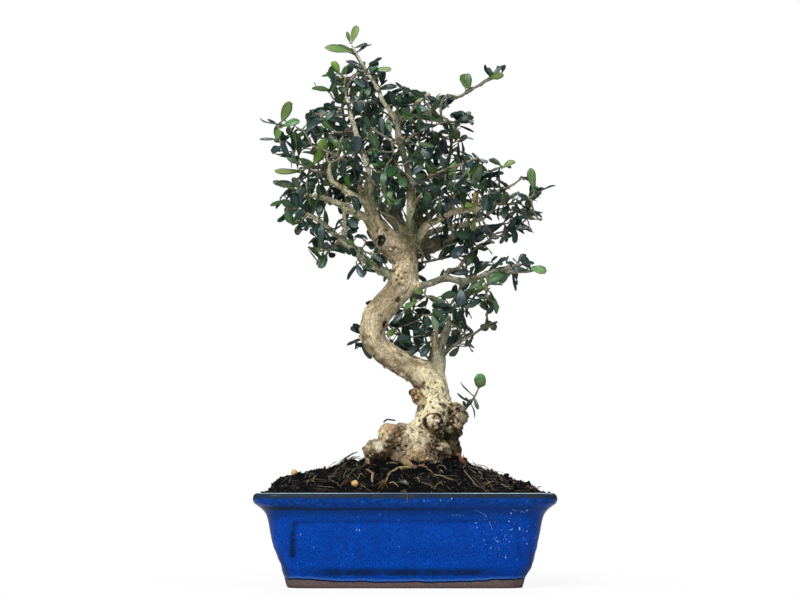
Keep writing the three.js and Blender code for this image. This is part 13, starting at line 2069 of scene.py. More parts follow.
W.marks.append((between * smooth(0.2, 0.55, -fbm(V, 1.6, 2, 78)) * 0.85, srgb(232, 214, 172)))
knob = blot(uv, [(413, 390, 6.5), (417, 399, 4.5)])
W.marks.append((knob * smooth(-0.3, 0.4, fbm(V, 1.8, 3, 79)) * 0.85, srgb(112, 82, 44)))
W.marks.append((knob * smooth(0.1, 0.5, -fbm(V, 1.5, 2, 80)) * 0.8, srgb(226, 192, 134)))
faces = smooth(0.05, 0.5, fbm(V, 4.2, 2, 70)) * blot(uv, [(464, 406, 7), (464, 425, 8)])
W.marks.append((faces * 0.8, srgb(226, 206, 170)))
dusk = blot(uv + wander, [(437, 438, 9), (452, 440, 14), (458, 426, 6)]) * base
W.marks.append((dusk * smooth(-0.8, 0.3, fbm(V, 3.0, 2, 68)) * 0.85, srgb(54, 44, 28)))
back = smooth(4, 14, V[:, 1]) * low
W.marks.append((back * smooth(-0.3, 0.5, fbm(V, 6.0, 3, 69)) * 0.4, srgb(104, 84, 58)))
# the hollow knot in the upper trunk, and the carved bark below it
W.mark(380.0, 241.8, 15.5, (208, 194, 168), 0.80, depth=-0.8, rough=0.5, tall=1.15, lean=22)
W.mark(384.5, 230.8, 8, (78, 54, 34), 0.85, depth=0.5, rough=1.0, tall=0.6)
# of these dark marks, the one at (375.2, 251.6) is a painted shadow line under the hollow's rim
for u, v, px, tall, lean in ((377.4, 230.4, 2.6, 2.2, 42), (387.6, 229.6, 2.8, 1.2, 0), (375.2, 251.6, 2.6, 2.2, -48), (388.2, 234.8, 2.4, 1.6, 30), (378.6, 227.6, 2.0, 1.0, 0)):
    W.mark(u, v, px, (58, 40, 24), 0.92, depth=0.5, rough=0.8, tall=tall, lean=lean)
W.mark(380.2, 229.8, 2.4, (232, 216, 176), 0.85, depth=-0.4, rough=0.7, tall=2.6, lean=46)
W.mark(389.0, 240.5, 9, (196, 172, 160), 0.6, rough=0.9, tall=1.4)
W.mark(373.2, 237.5, 4, (200, 168, 132), 0.5, rough=0.9)
# the hollow's inside is painted near black: painted shade in the hollow
W.mark(380.8, 241.0, 9.6, (17, 13, 8), 0.99, depth=2.8, rim=0.5, rimcolour=(204, 190, 164), rough=0.45, edge=0.18, tall=1.45, lean=22)
W.mark(381.8, 240.6, 2.4, (104, 106, 80), 0.75, rough=0.6, tall=2.4, lean=24)
W.mark(390.8, 249.6, 6.8, (70, 54, 34), 0.9, depth=0.3, rough=0.8)
W.mark(390.3, 249.4, 3.4, (236, 220, 184), 0.95, depth=-0.9, rough=0.6)
W.mark(395.0, 247.4, 2.4, (56, 42, 26), 0.9, depth=0.4)
for u, v, px, tall, lean in ((397, 272, 3.0, 2.4, 10), (400.6, 275.2, 2.4, 2.0, 30), (395.6, 276.5, 2.4, 1.8, 0), (402.6, 280.5, 2.6, 1.4, 60), (393.8, 283.5, 4.6, 1.6, 0), (399.4, 268.6, 2.2, 1.2, 40)):
    W.mark(u, v, px, (240, 218, 168), 0.85, depth=-0.4, rough=0.7, tall=tall, lean=lean)
for u, v, px, tall, lean in ((398.7, 275.6, 2.2, 1.6, 20), (401.8, 278.4, 2.6, 1.0, 40), (396.6, 279.8, 3.0, 1.2, 0), (398.8, 283.6, 3.0, 1.2, -20), (396.0, 268.0, 2.6, 0.9, 0), (397.6, 266.4, 2.2, 1.0, 0), (394.8, 263.4, 2.4, 1.0, 30), (392.8, 260.4, 2.6, 0.8, 40),
                             (405.5, 272.6, 3.4, 0.8, 0), (403.0, 262.0, 1.8, 1.0, 0), (405.0, 259.0, 1.8, 0.8, 0), (393.8, 272.8, 2.0, 1.2, 0), (402.6, 285.6, 2.2, 1.0, 0), (370.6, 229.2, 2.2, 1.0, 0), (405.8, 251.2, 2.0, 1.0, 0), (398.0, 252.8, 1.8, 1.0, 0)):
    W.mark(u, v, px, (74, 56, 33), 0.92, depth=0.5, rough=0.7, tall=tall, lean=lean)
W.mark(398, 300, 6.5, (84, 60, 40), 0.92, depth=0.6, rim=0.25)
W.mark(384.5, 324.5, 6.4, (56, 40, 27), 0.97, depth=0.9, tall=1.4)
W.mark(382, 333, 5, (120, 92, 62), 0.7, depth=0.5, tall=1.3, rough=0.9)
W.mark(381.5, 431, 16, (216, 196, 150), 0.85, rough=0.7, edge=0.5, tall=1.1)
W.mark(384, 424.5, 10, (224, 188, 156), 0.8, rough=0.9, edge=0.5, tall=0.6)
W.mark(391, 427.5, 9.5, (218, 172, 138), 0.85, rough=0.9, edge=0.5, tall=1.0)
W.mark(377.5, 430.5, 3.2, (70, 50, 36), 0.85, rough=0.9, tall=1.6)
W.mark(383.5, 434.5, 4, (150, 132, 84), 0.6, rough=1.0)
W.mark(387.2, 431.5, 1.9, (86, 62, 42), 0.9, depth=0.5, rough=0.8, tall=2.6)
W.mark(389.6, 435, 2.4, (60, 42, 28), 0.95, depth=0.7, rough=0.8, tall=1.6)
W.mark(394.6, 433, 3.6, (48, 34, 22), 0.95, depth=0.8, rough=0.9, tall=0.8)
# white spots on the left burl, here and in the next four lines: painted highlights
W.mark(396.6, 428.4, 2.8, (252, 238, 206), 0.9, depth=-0.3, rough=0.8)
W.mark(392, 431.8, 2.6, (250, 234, 206), 0.9, depth=-0.3, rough=0.8)
W.mark(390.8, 438.5, 3, (244, 226, 196), 0.8, depth=-0.3, rough=0.8)
W.mark(398.8, 439.5, 3, (252, 240, 214), 0.9, depth=-0.3, rough=0.8, tall=1.6)
W.mark(401.6, 435, 2.8, (248, 232, 208), 0.85, depth=-0.3, rough=0.8, tall=1.6)
W.mark(399.7, 434.5, 2.2, (40, 28, 18), 0.95, depth=0.8, rough=0.8, tall=1.8)
W.mark(401, 428.5, 10, (104, 88, 62), 0.65, rough=1.0, edge=0.5, tall=0.9)
W.mark(404, 435.5, 6, (112, 78, 56), 0.6, rough=1.0, edge=0.5, tall=1.6)
W.mark(394, 446, 19, (76, 58, 44), 0.6, rough=1.2, edge=0.6, tall=0.6)
for u, v, px, tall in ((386.8, 442.5, 2.6, 1.4), (390.5, 446.5, 2.8, 0.8), (395, 449.3, 3.0, 0.8), (398.6, 445.6, 2.6, 1.2), (402.4, 450.4, 2.8, 1.0), (393.6, 442.6, 2.4, 0.8), (406.4, 446.5, 2.4, 1.2)):
    W.mark(u, v, px, (34, 24, 16), 0.95, depth=0.9, rough=0.9, tall=tall)
W.mark(398, 448.6, 3, (214, 190, 176), 0.85, depth=-0.4, rough=0.8)
W.mark(403.8, 452.6, 3.2, (226, 196, 170), 0.85, depth=-0.4, rough=0.8)
W.mark(388.5, 444.5, 2.6, (196, 176, 150), 0.8, depth=-0.3, rough=0.8)
W.mark(379.5, 446, 13.5, (250, 244, 214), 0.95, rough=0.6, edge=0.45, tall=0.62, lean=0)
W.mark(384, 450, 5, (246, 238, 204), 0.9, rough=0.6, edge=0.45, tall=0.7)
W.mark(368, 451.2, 5.5, (226, 206, 160), 0.85, rough=0.9, edge=0.5, tall=0.9)
W.mark(373, 451.5, 6, (70, 62, 42), 0.75, rough=1.1, edge=0.5, tall=0.9)
W.mark(376, 458.0, 16, (52, 47, 34), 0.70, rough=1.0, edge=0.5, tall=0.42)
W.mark(371.5, 444, 4.5, (120, 112, 76), 0.75, rough=0.9, edge=0.5, tall=0.8)
W.mark(433.4, 421.8, 25, (190, 164, 120), 0.5, depth=-0.9, rough=0.6)
W.mark(433.6, 421.8, 26.5, (38, 27, 16), 0.98, rough=0.4, edge=0.10, depth=0.8, tall=0.84)
W.mark(433.8, 421.6, 19.5, (180, 152, 106), 0.97, depth=-0.3, rough=0.8, edge=0.12, tall=0.80)
# in the wound, the pale streak here and the white patches below are painted highlights on its pale wood
W.mark(444.2, 420.5, 2.6, (250, 238, 208), 0.85, depth=-0.3, rough=0.6, tall=3.4, lean=-10)
W.mark(430.0, 418.7, 5.2, (255, 242, 210), 0.95, depth=-0.4, rough=0.9, tall=1.1, lean=20)
W.mark(429.6, 423.6, 4.4, (246, 236, 212), 0.9, depth=-0.3, rough=0.9)
W.mark(435.0, 415.8, 4.2, (116, 88, 56), 0.9, depth=0.3, rough=0.9, tall=0.7)
W.mark(434.2, 421, 3.4, (208, 184, 134), 0.85, rough=0.9)
W.mark(430.4, 419.0, 7.0, (255, 243, 212), 1.0, depth=-0.4, rough=0.7, edge=0.2, tall=1.1)
for u, v, px, tall, lean in ((425.4, 421.8, 3.8, 2.4, -6), (428.6, 414.4, 3.4, 1.7, 52), (434.6, 413.4, 3.4, 1.7, 88), (427.0, 428.0, 4.0, 1.7, -40), (434.0, 426.4, 3.6, 1.3, 30), (437.2, 420.6, 3.2, 1.8, 0), (433.8, 417.4, 2.6, 1.6, 20), (441.6, 416.2, 4.6, 1.2, -30), (442.6, 421.4, 4.4, 1.5, 0), (440.2, 426.4, 4.4, 1.2, 30), (437.4, 414.8, 3.2, 0.8, 0)):
    W.mark(u, v, px, (40, 29, 18), 0.97, depth=0.45, rough=0.5, edge=0.2, tall=tall, lean=lean)
for u, v, px, tall in ((438.4, 429.8, 4.4, 0.8), (441.8, 431.2, 3.4, 1.0), (434.6, 431.6, 3.6, 0.7)):
    W.mark(u, v, px, (54, 40, 26), 0.92, depth=0.4, rough=0.8, edge=0.25, tall=tall)
# white dots in the wound, here and the pale marks a few lines below: painted highlights
for u, v, px in ((439.8, 431.6, 2.2), (436.6, 432.4, 2.1), (443.2, 428.6, 2.0), (442.6, 433.4, 1.8), (437.4, 417.2, 2.0), (439.4, 422.0, 1.9), (436.0, 420.6, 2.4), (434.2, 424.2, 2.1), (437.6, 425.2, 1.8), (441.0, 424.6, 1.7), (439.6, 418.8, 1.5)):
    W.mark(u, v, px, (254, 244, 216), 0.95, depth=-0.3, rough=0.5, edge=0.2)
W.mark(433.4, 425.2, 2.4, (80, 58, 36), 0.9, depth=0.4, rough=0.9)
W.mark(439.4, 417.0, 4.6, (38, 28, 18), 0.97, depth=0.6, rough=0.6, tall=0.9, lean=50)
W.mark(441.4, 420.8, 4.0, (34, 25, 16), 0.97, depth=0.6, rough=0.6, tall=1.4)
W.mark(439.2, 424.4, 4.0, (38, 28, 18), 0.97, depth=0.6, rough=0.6, tall=1.1, lean=35)
W.mark(437.9, 420.8, 2.6, (252, 246, 234), 0.95, depth=-0.4, rough=0.8)
W.mark(441.2, 424.8, 2.4, (240, 226, 204), 0.9, depth=-0.3, rough=0.8)
W.mark(436.3, 427.2, 4.4, (244, 228, 206), 0.85, depth=-0.4, rough=0.8, tall=0.6)
W.mark(434.5, 431.5, 13, (154, 124, 92), 0.7, depth=0.5, rough=1.0, tall=0.45)
W.mark(441.3, 430.5, 4.2, (206, 172, 140), 0.8, depth=-0.5, rough=1.0, tall=1.3, lean=-30)
W.mark(431.5, 430.2, 3, (76, 56, 38), 0.85, depth=0.5, rough=1.0, tall=0.7)
W.mark(437.5, 432.6, 2.6, (60, 44, 30), 0.85, depth=0.5, rough=1.0)
W.mark(440.5, 438.8, 15, (66, 54, 44), 0.85, depth=0.8, rough=1.0, tall=0.5)
W.mark(448.3, 432.5, 5, (196, 184, 132), 0.8, depth=-0.4, rough=1.0, tall=1.2)
W.mark(448.6, 419.5, 4, (226, 212, 160), 0.8, depth=-0.4, rough=1.0, tall=1.6)
W.mark(449.6, 427.8, 4.4, (240, 226, 186), 0.8, depth=-0.4, rough=1.0, tall=1.2)
W.mark(463, 419, 9.5, (140, 126, 104), 0.85, depth=-0.6, rough=0.7, edge=0.4, tall=1.6)
W.mark(465.5, 413.5, 4, (60, 50, 38), 0.8, depth=0.3, rough=1.0, tall=1.4, lean=30)
# white spots on the left of the right lump: painted highlights
W.mark(457.2, 415, 3.6, (248, 234, 206), 0.9, depth=-0.4, rough=1.0, tall=1.2, lean=-30)
W.mark(455.7, 421.3, 2.4, (250, 238, 210), 0.9, depth=-0.3, rough=0.8, tall=1.9)
W.mark(456.5, 403, 8, (206, 196, 146), 0.7, depth=-0.3, rough=1.0, tall=0.5)
W.mark(457.6, 408.8, 5, (60, 48, 34), 0.85, depth=0.7, rough=1.0, tall=0.8)
W.mark(464, 408.6, 4, (206, 160, 104), 0.8, rough=0.9, tall=0.8)
W.mark(456.2, 437.5, 7.5, (42, 44, 34), 0.85, depth=0.8, rough=1.0, tall=1.3)
W.mark(443.5, 445.8, 13, (206, 188, 150), 0.85, depth=-0.6, rough=0.8, tall=0.34)
W.mark(446.3, 450.6, 8.5, (92, 76, 66), 0.85, depth=-0.3, rough=0.9, tall=0.75)
W.mark(455.3, 450.5, 7, (84, 84, 60), 0.75, rough=1.0, tall=0.9)
W.mark(414, 454.5, 17, (190, 156, 112), 0.6, rough=1.2, edge=0.6, tall=0.7)
# a white spot on the base: painted highlight
W.mark(424.4, 449.6, 2.6, (254, 244, 222), 0.9, depth=-0.4, rough=0.8)
for u, v in ((443.2, 382.6), (445.4, 384.6), (448.6, 391), (450.4, 398.6)):
    W.mark(u, v, 2.8, (84, 68, 46), 0.9, depth=-0.9, rough=0.6)
for u, v, px, tall, lean in ((423.8, 383, 3.6, 1.0, 40), (435.4, 382.6, 3.4, 0.7, 0), (429.6, 384.2, 2.4, 0.6, -20), (428, 388, 2.4, 1.3, 30), (437, 392.4, 3.4, 0.5, 0), (431.8, 393.8, 2.6, 0.6, 25), (437.8, 397, 2.4, 0.8, 0), (446.4, 395, 2.4, 0.8, 0),
                             (446.2, 398.2, 2.6, 0.7, 0), (441, 404.6, 4.4, 0.7, 20), (445.8, 406, 3.4, 0.5, 0), (433.4, 408.2, 2.8, 0.6, 0), (423.6, 407.6, 1.9, 2.4, 12), (440.4, 411.7, 3.4, 0.4, 0), (428.6, 413.2, 3.2, 0.4, -20), (420.3, 415.6, 1.9, 1.2, 20),
                             (417, 416, 1.8, 1.6, 30), (420.2, 421.3, 2.2, 2.0, 18), (419.6, 427.2, 2.6, 1.2, -40), (421.8, 428, 3.2, 1.2, 0), (422.6, 425.6, 2.2, 1.0, 0), (412.8, 430.4, 2.8, 0.8, 0), (419.2, 433.4, 3.2, 0.5, 0), (421.8, 432, 2.6, 0.8, 30),
                             (420.8, 443.3, 2.2, 0.7, 0), (409, 442, 2.2, 0.9, 0), (436.6, 387.8, 1.8, 0.8, 0), (426.4, 398, 1.8, 1.0, 0), (430.2, 402.6, 1.8, 0.8, 0), (442, 388, 1.8, 1.0, 0)):
    W.mark(u, v, px, (58, 44, 27), 0.95, depth=0.6, rough=0.5, tall=tall, lean=lean)
W.mark(416, 393, 15, (172, 140, 98), 0.5, rough=1.2)
W.mark(409.6, 391.5, 3.4, (58, 41, 26), 0.95, depth=0.5, rough=0.8, tall=2.6, lean=8)
W.mark(415, 401, 7, (66, 47, 30), 0.85, depth=0.8, rough=0.9, tall=0.5)
W.mark(422.5, 394, 3.6, (78, 56, 35), 0.9, depth=0.8, rough=0.9, tall=2.2, lean=-10)
W.mark(417.5, 387, 3.2, (84, 61, 38), 0.85, depth=0.6, rough=0.9, tall=0.7)
W.mark(413.5, 394.5, 3.0, (52, 37, 24), 0.95, depth=0.7, rough=0.9)
W.mark(418.5, 396.5, 2.6, (56, 40, 25), 0.9, depth=0.6, rough=0.9, tall=1.4)
W.mark(412.5, 388.5, 3.6, (244, 226, 182), 0.9, depth=-0.4, rough=0.8)
W.mark(419, 391, 3.2, (240, 222, 178), 0.9, depth=-0.4, rough=0.8)
W.mark(415.8, 398, 2.8, (232, 210, 166), 0.85, depth=-0.3, rough=0.8)
W.mark(423, 386, 5, (110, 84, 54), 0.7, depth=0.4, rough=1.2, tall=1.4)
W.mark(443.5, 414, 4.4, (48, 35, 22), 0.9, depth=0.9, rough=0.9, tall=1.6, lean=20)
W.mark(447.5, 424, 4.6, (44, 32, 20), 0.9, depth=1.2, rough=0.9, tall=1.8)
W.mark(449.5, 413.5, 4.0, (52, 38, 24), 0.9, depth=1.0, rough=0.9)
W.mark(455.5, 431, 5.4, (44, 33, 22), 0.85, depth=1.0, rough=0.9, tall=0.6)
W.mark(404, 408, 6, (110, 82, 54), 0.75, depth=0.8, rough=0.9, tall=1.4)
W.mark(460, 457, 12, (170, 112, 74), 0.75, rough=0.7, tall=1.3, lean=-35)
W.mark(421, 453, 15, (220, 190, 148), 0.6, rough=0.9, edge=0.6)
front = blot(uv, [(386, 453, 4.5), (394, 456, 5), (402, 460, 4.5), (410, 465, 3.4)]) * (V[:, 1] < -12)
W.marks.append((front[:, None][:, 0] * 0.85, srgb(138, 116, 88)))
W.mark(405, 463, 11, (190, 158, 112), 0.7, rough=1.0, edge=0.6, tall=0.55, lean=0)
W.mark(396, 461.5, 9, (70, 54, 38), 0.7, rough=1.0, edge=0.5, tall=0.35)
W.mark(396, 436, 15, (128, 94, 62), 0.45, rough=1.2, edge=0.6)
W.mark(447, 436, 9, (52, 40, 26), 0.85, depth=1.3, rough=0.9, tall=1.5)
W.mark(444, 406, 6, (64, 48, 32), 0.8, depth=0.9, rough=0.9, tall=1.4)
W.object("trunk_wood")

# --- the limbs
names = [n for n in LINES if n != "trunk"]
V, Q = thin_wood([n for n in names if n not in ("leader", "S1")], [-86, -54, 126.0], [98, 66, 388.0])
W = Wood(V, Q, names)
W.move += np.minimum(0.11 * W.r, 0.5) * fbm(V, 5.0, 3, 103)
W.move += 0.10 * np.minimum(W.r, 2.0) * fbm(W.g * np.array([1, 1, 0.5]), 1.9, 2, 113)
f1, f2_, num = worley(W.g, (2.4, 2.4, 3.6), 18)
small = (1 - smooth(0.10, 0.36, f1)) * (num > 0.8)
W.move -= 0.10 * np.minimum(W.r, 2.5) * small
W.pits = np.maximum(W.pits, small * 0.5)
W.dark = np.maximum(W.dark, smooth(0.2, 0.9, fbm(V, 9.0, 3, 151)) * 0.45)
W.marks.append((smooth(0.35, 0.9, fbm(V, 6.0, 2, 163)) * 0.45, srgb(206, 194, 168)))
W.coarse = 0.35 * smooth(0.1, 0.8, fbm(V, 12.0, 2, 171))
W.object("limb_wood")


# ------------------------------------------------------------------ leaves and twigs
def leaf_material(name):
    """Leathery leaf: dark shiny top with a fine pale midrib and a darkened rim (painted edge shade), dull grey-green
    underside.
    """
    k = Nodes(name)
    col = k.attr("leafcol")
    under = k.attr("leafback")
    uv = k.split(k.attr("leafuv", "Vector"))
    u, t, side = uv[0], uv[1], uv[2]
    at = k.vmath("MULTIPLY", k.place(), (1000.0, 1000.0, 1000.0))
    a = k.math("ABSOLUTE", t)
    # side veins lean forward: waves of u plus a share of |t|
    vein = k.math("SINE", k.math("MULTIPLY", k.math("SUBTRACT", u, k.math("MULTIPLY", a, 0.16)), 62.0))
    vein = k.math("MULTIPLY", k.remap(vein, 0.72, 1.0), k.remap(a, 0.05, 0.9, 1.0, 0.15))
    blot = k.noise(at, 0.42, 3.0, 0.6)
    grain = k.noise(at, 2.4, 2.0, 0.6)
    speck = k.math("MULTIPLY", k.remap(k.cells(at, 1.7), 0.05, 0.13, 1.0, 0.0), k.remap(blot, 0.48, 0.6))
    top = k.mix(k.remap(blot, 0.3, 0.75, 0.0, 0.45), col, k.mix(1.0, col, (0.55, 0.62, 0.6), "MULTIPLY"))
    top = k.mix(k.math("MULTIPLY", k.remap(grain, 0.4, 0.8), 0.22), top, k.mix(1.0, col, (1.7, 1.6, 1.5), "MULTIPLY"))
    top = k.mix(k.math("MULTIPLY", vein, 0.16), top, srgb(92, 118, 100))
    top = k.mix(k.math("MULTIPLY", k.remap(a, 0.02, 0.08, 1.0, 0.0), 0.20), top, srgb(120, 140, 104))
    # the rim of the top face is darkened: painted edge shade
    top = k.mix(k.math("MULTIPLY", k.remap(a, 0.70, 0.88), 0.85), top, k.mix(1.0, top, (0.28, 0.30, 0.40), "MULTIPLY"))
    top = k.mix(k.math("MULTIPLY", speck, 0.35), top, srgb(150, 158, 140))
    back = k.mix(k.math("MULTIPLY", k.remap(grain, 0.3, 0.8), 0.3), under, k.mix(1.0, under, (1.35, 1.35, 1.3), "MULTIPLY"))
    back = k.mix(k.math("MULTIPLY", k.remap(a, 0.04, 0.12, 1.0, 0.0), 0.5), back, srgb(156, 166, 120))
    back = k.mix(k.math("MULTIPLY", vein, 0.12), back, srgb(84, 100, 76))
    isback = k.remap(side, -0.15, 0.15, 1.0, 0.0)
    c = k.mix(isback, top, back)
    k.set("Base Color", k.mix(1.0, c, (0.88, 0.91, 0.88), "MULTIPLY"))
    k.set("Roughness", k.math("ADD", k.math("MULTIPLY", isback, 0.30), k.remap(blot, 0.3, 0.7, 0.36, 0.50)))
    k.set("Specular IOR Level", 0.55)
    k.set("Specular Tint", (0.80, 0.93, 1.0, 1.0))
    h = k.math("ADD", k.math("MULTIPLY", k.remap(a, 0.0, 0.14, 0.0, 1.0), 0.9), k.math("MULTIPLY", vein, -0.25))
    h = k.math("ADD", h, k.math("MULTIPLY", grain, 0.25))
    k.set("Normal", k.bump(h, 0.35, 0.00022))
    return k.m


def twig_material():
    k = Nodes("twig")
    col = k.attr("leafcol")
    at = k.vmath("MULTIPLY", k.place(), (1000.0, 1000.0, 1000.0))
    n = k.noise(at, 1.6, 3.0, 0.6)
    p = k.remap(k.cells(at, 2.1), 0.1, 0.24, 1.0, 0.0)
    c = k.mix(k.remap(n, 0.3, 0.7, 0.0, 0.6), col, k.mix(1.0, col, (0.6, 0.55, 0.5), "MULTIPLY"))
    c = k.mix(k.math("MULTIPLY", p, 0.35), c, srgb(186, 174, 146))
    k.set("Base Color", c)
    k.set("Roughness", 0.7).set("Specular IOR Level", 0.25)
    k.set("Normal", k.bump(n, 0.4, 0.0003))
    return k.m


LEAF = leaf_material("leaf")
YOUNG = leaf_material("leaf_young")
TWIG = twig_material()

# upper face colour of each kind: the fourth, slate, is a painted slate-blue sheen; the third, bright, is partly painted
# backlight
TOPS = [srgb(22, 48, 38), srgb(44, 80, 38), srgb(94, 126, 60), srgb(38, 62, 62), srgb(29, 54, 42)]
BACKS = [srgb(62, 88, 56), srgb(72, 104, 52), srgb(112, 138, 70), srgb(68, 90, 74), srgb(90, 112, 84)]
# Leaves seen square on in the picture: foot (u, v), tip (u, v), width in pixels, colour as the leaf looks under the
# light: its own colour with painted light in it, the slate-blue sheen of some and extra brightness on one that lies in
# shade
FACING = [(352, 52.5, 325, 47.5, 8.6, (104, 140, 72)), (351.5, 44, 357.2, 25.5, 8.4, (122, 150, 84)), (350.5, 43.5, 346.8, 31.5, 4.6, (92, 122, 66)), (341, 71, 332.5, 60, 9.5, (104, 146, 58)),
          (374, 69.5, 391.6, 69.5, 6.6, (100, 132, 72)), (331.5, 91, 311.3, 88.4, 7.6, (58, 92, 50)), (280.8, 124, 290, 101, 10.4, (78, 106, 48)), (311, 168, 324.8, 138.8, 12.6, (132, 174, 74)),
          (279, 129, 299, 121.5, 8.4, (72, 118, 58)), (276, 141, 279, 129.5, 9.6, (78, 124, 48)), (355, 158, 357, 136, 14.0, (42, 62, 70)), (352, 93, 362, 112, 13.0, (36, 58, 60)), (350, 189, 347.5, 173, 10.4, (82, 142, 40)),
          (305, 170.5, 275, 170.8, 6.4, (112, 134, 76)), (502.5, 171.3, 516, 163, 8.2, (106, 136, 68)), (534.5, 191, 531, 168, 9.6, (80, 116, 58)), (531, 266, 547.6, 271.5, 9.0, (88, 138, 58)),
          (508, 274, 488, 282.5, 11.4, (50, 92, 44)), (467, 247, 451.5, 258, 12.4, (52, 72, 84)), (441.5, 275, 468.5, 273, 8.0, (32, 52, 54)), (504.5, 223, 479.5, 232, 11.0, (30, 54, 58)), (463, 285, 461, 305, 13.0, (34, 54, 64)),
          (344, 152, 333, 139, 8.6, (72, 110, 54)), (339, 106, 326, 119, 8.0, (40, 74, 52)), (411, 313, 402, 326, 12.0, (62, 104, 46))]
RING_T = np.array([-0.88, -0.46, 0.0, 0.46, 0.88, 1.0, 0.66, 0.0, -0.66, -1.0])
RING_S = np.array([1, 1, 1, 1, 1, 0, -1, -1, -1, 0.0])
ROWS = np.array([0.0, 0.055, 0.10, 0.17, 0.28, 0.42, 0.56, 0.70, 0.82, 0.91, 0.97])


def leaf_shells(L, seed, petiole=0.075):
    """Vertices of every leaf of table L at once, as (leaf, row, ring point, 3) with its two end points, and their (u, t, side)."""
    g = np.random.default_rng(seed)
    n = len(L)
    foot, tip, nrm, wid, kind = L[:, 0:3], L[:, 3:6], L[:, 6:9], L[:, 9], L[:, 10].astype(int)
    a = tip - foot
    length = np.linalg.norm(a, axis=1)
    a /= length[:, None]
    nrm = np.where(((kind == 4) & (nrm[:, 1] < 0))[:, None], -nrm, nrm)
    nrm = nrm + np.where(kind >= 5, 0.04, 0.13)[:, None] * g.normal(size=(n, 3))
    nrm -= (nrm * a).sum(1)[:, None] * a
    nrm /= np.linalg.norm(nrm, axis=1)[:, None]
    b = np.cross(a, nrm)
    u = ROWS[None, :]
    blade = np.clip((u - petiole) / (1 - petiole), 0, 1)
    power = np.where(kind >= 5, 1.35, 1.0)[:, None] * g.uniform(1.05, 1.55, (n, 1)) ** np.where(kind >= 5, 0.3, 1.0)[:, None]
    s = blade ** power
    sharp = g.uniform(0.50, 0.68, (n, 1))
    half = 0.5 * wid[:, None] * np.maximum(4 * s * (1 - s), 0) ** sharp
    stalk = np.clip(0.34 + 0.02 * length[:, None], 0.4, 0.7)
    half = np.maximum(half, np.where(u < 0.2, stalk * (1 - 0.25 * smooth(0.0, 0.1, u)), 0.16))
    half = half * (1 + np.where(kind >= 5, 0.012, 0.05)[:, None] * np.sin(u * 19 + g.uniform(0, 6, (n, 1))))
    bow = g.normal(0.035, 0.05, (n, 1)) * length[:, None]
    droop = g.uniform(-0.02, 0.07, (n, 1)) * length[:, None]
    sway = g.normal(0, 0.025, (n, 1)) * length[:, None]
    wave = g.uniform(0, 6.28, (n, 1))
    lift = bow * 4 * u * (1 - u) - droop * np.maximum(u - 0.62, 0) ** 2 * 6
    shift = sway * 4 * u * (1 - u)
    twist = g.normal(0, 0.28, (n, 1)) * (u - 0.25)
    fold = np.radians(np.clip(g.normal(15, 10, (n, 1)), -6, 42)) * smooth(0.02, 0.25, u) * (1 - 0.5 * smooth(0.75, 1, u))
    t = RING_T[None, None, :]
    side = RING_S[None, None, :]
    h = half[:, :, None]
    y = h * t * np.cos(fold)[:, :, None]
    z = h * np.sin(fold)[:, :, None] * (np.sqrt(t * t + 0.02) - 0.141)
    z = z - h * 0.13 * np.maximum(np.abs(t) - 0.6, 0) ** 2 * 6
    z = z + 0.055 * h * np.sin(u[:, :, None] * 13 + wave[:, :, None] + 1.6 * np.sign(t)) * np.abs(t) ** 2
    thick = (0.20 * (1 - np.abs(t) ** 4) + 0.02) * (1 - 0.45 * smooth(0.6, 1.0, u))[:, :, None]
    round_ = (1 - smooth(0.03, 0.15, u))[:, :, None]
    thick = thick * (1 - round_) + round_ * stalk[:, :, None] * np.sqrt(np.maximum(1 - t * t, 0)) * 0.8
    z = z + side * thick + (side < 0) * (np.abs(t) < 0.1) * -0.14 * (1 - u[:, :, None]) - (side > 0) * (np.abs(t) < 0.1) * 0.05
    ct, st = np.cos(twist)[:, :, None], np.sin(twist)[:, :, None]
    y, z = y * ct - z * st, y * st + z * ct
    y = y + shift[:, :, None]
    z = z + lift[:, :, None]
    x = u[:, :, None] * length[:, None, None] * np.ones_like(y)
    P = foot[:, None, None, :] + x[..., None] * a[:, None, None, :] + y[..., None] * b[:, None, None, :] + z[..., None] * nrm[:, None, None, :]
    ends = np.stack([foot - a * 0.25, foot + a * length[:, None] + b * 0 + nrm * (lift[:, -1:] * 0.8)], 1)
    U = np.stack([np.broadcast_to(blade[:, :, None] * np.ones_like(t), y.shape), np.broadcast_to(t, y.shape), np.broadcast_to(side, y.shape)], -1)
    return P, ends, U, kind


def leaf_faces():
    rows, cols = len(ROWS), len(RING_T)
    Q = grid_quads(rows, cols)[:, ::-1]
    j = np.arange(cols)
    e0, e1 = rows * cols, rows * cols + 1
    T = np.vstack([np.stack([np.full(cols, e0), j, (j + 1) % cols], 1),
                   np.stack([np.full(cols, e1), (rows - 1) * cols + (j + 1) % cols, (rows - 1) * cols + j], 1)])
    return Q, T


LQ, LT = leaf_faces()


def volume(V, Q, T):
    A = np.vstack([Q[:, [0, 1, 2]], Q[:, [0, 2, 3]], T])
    return float(np.einsum("ij,ij->i", V[A[:, 0]], np.cross(V[A[:, 1]], V[A[:, 2]])).sum() / 6)


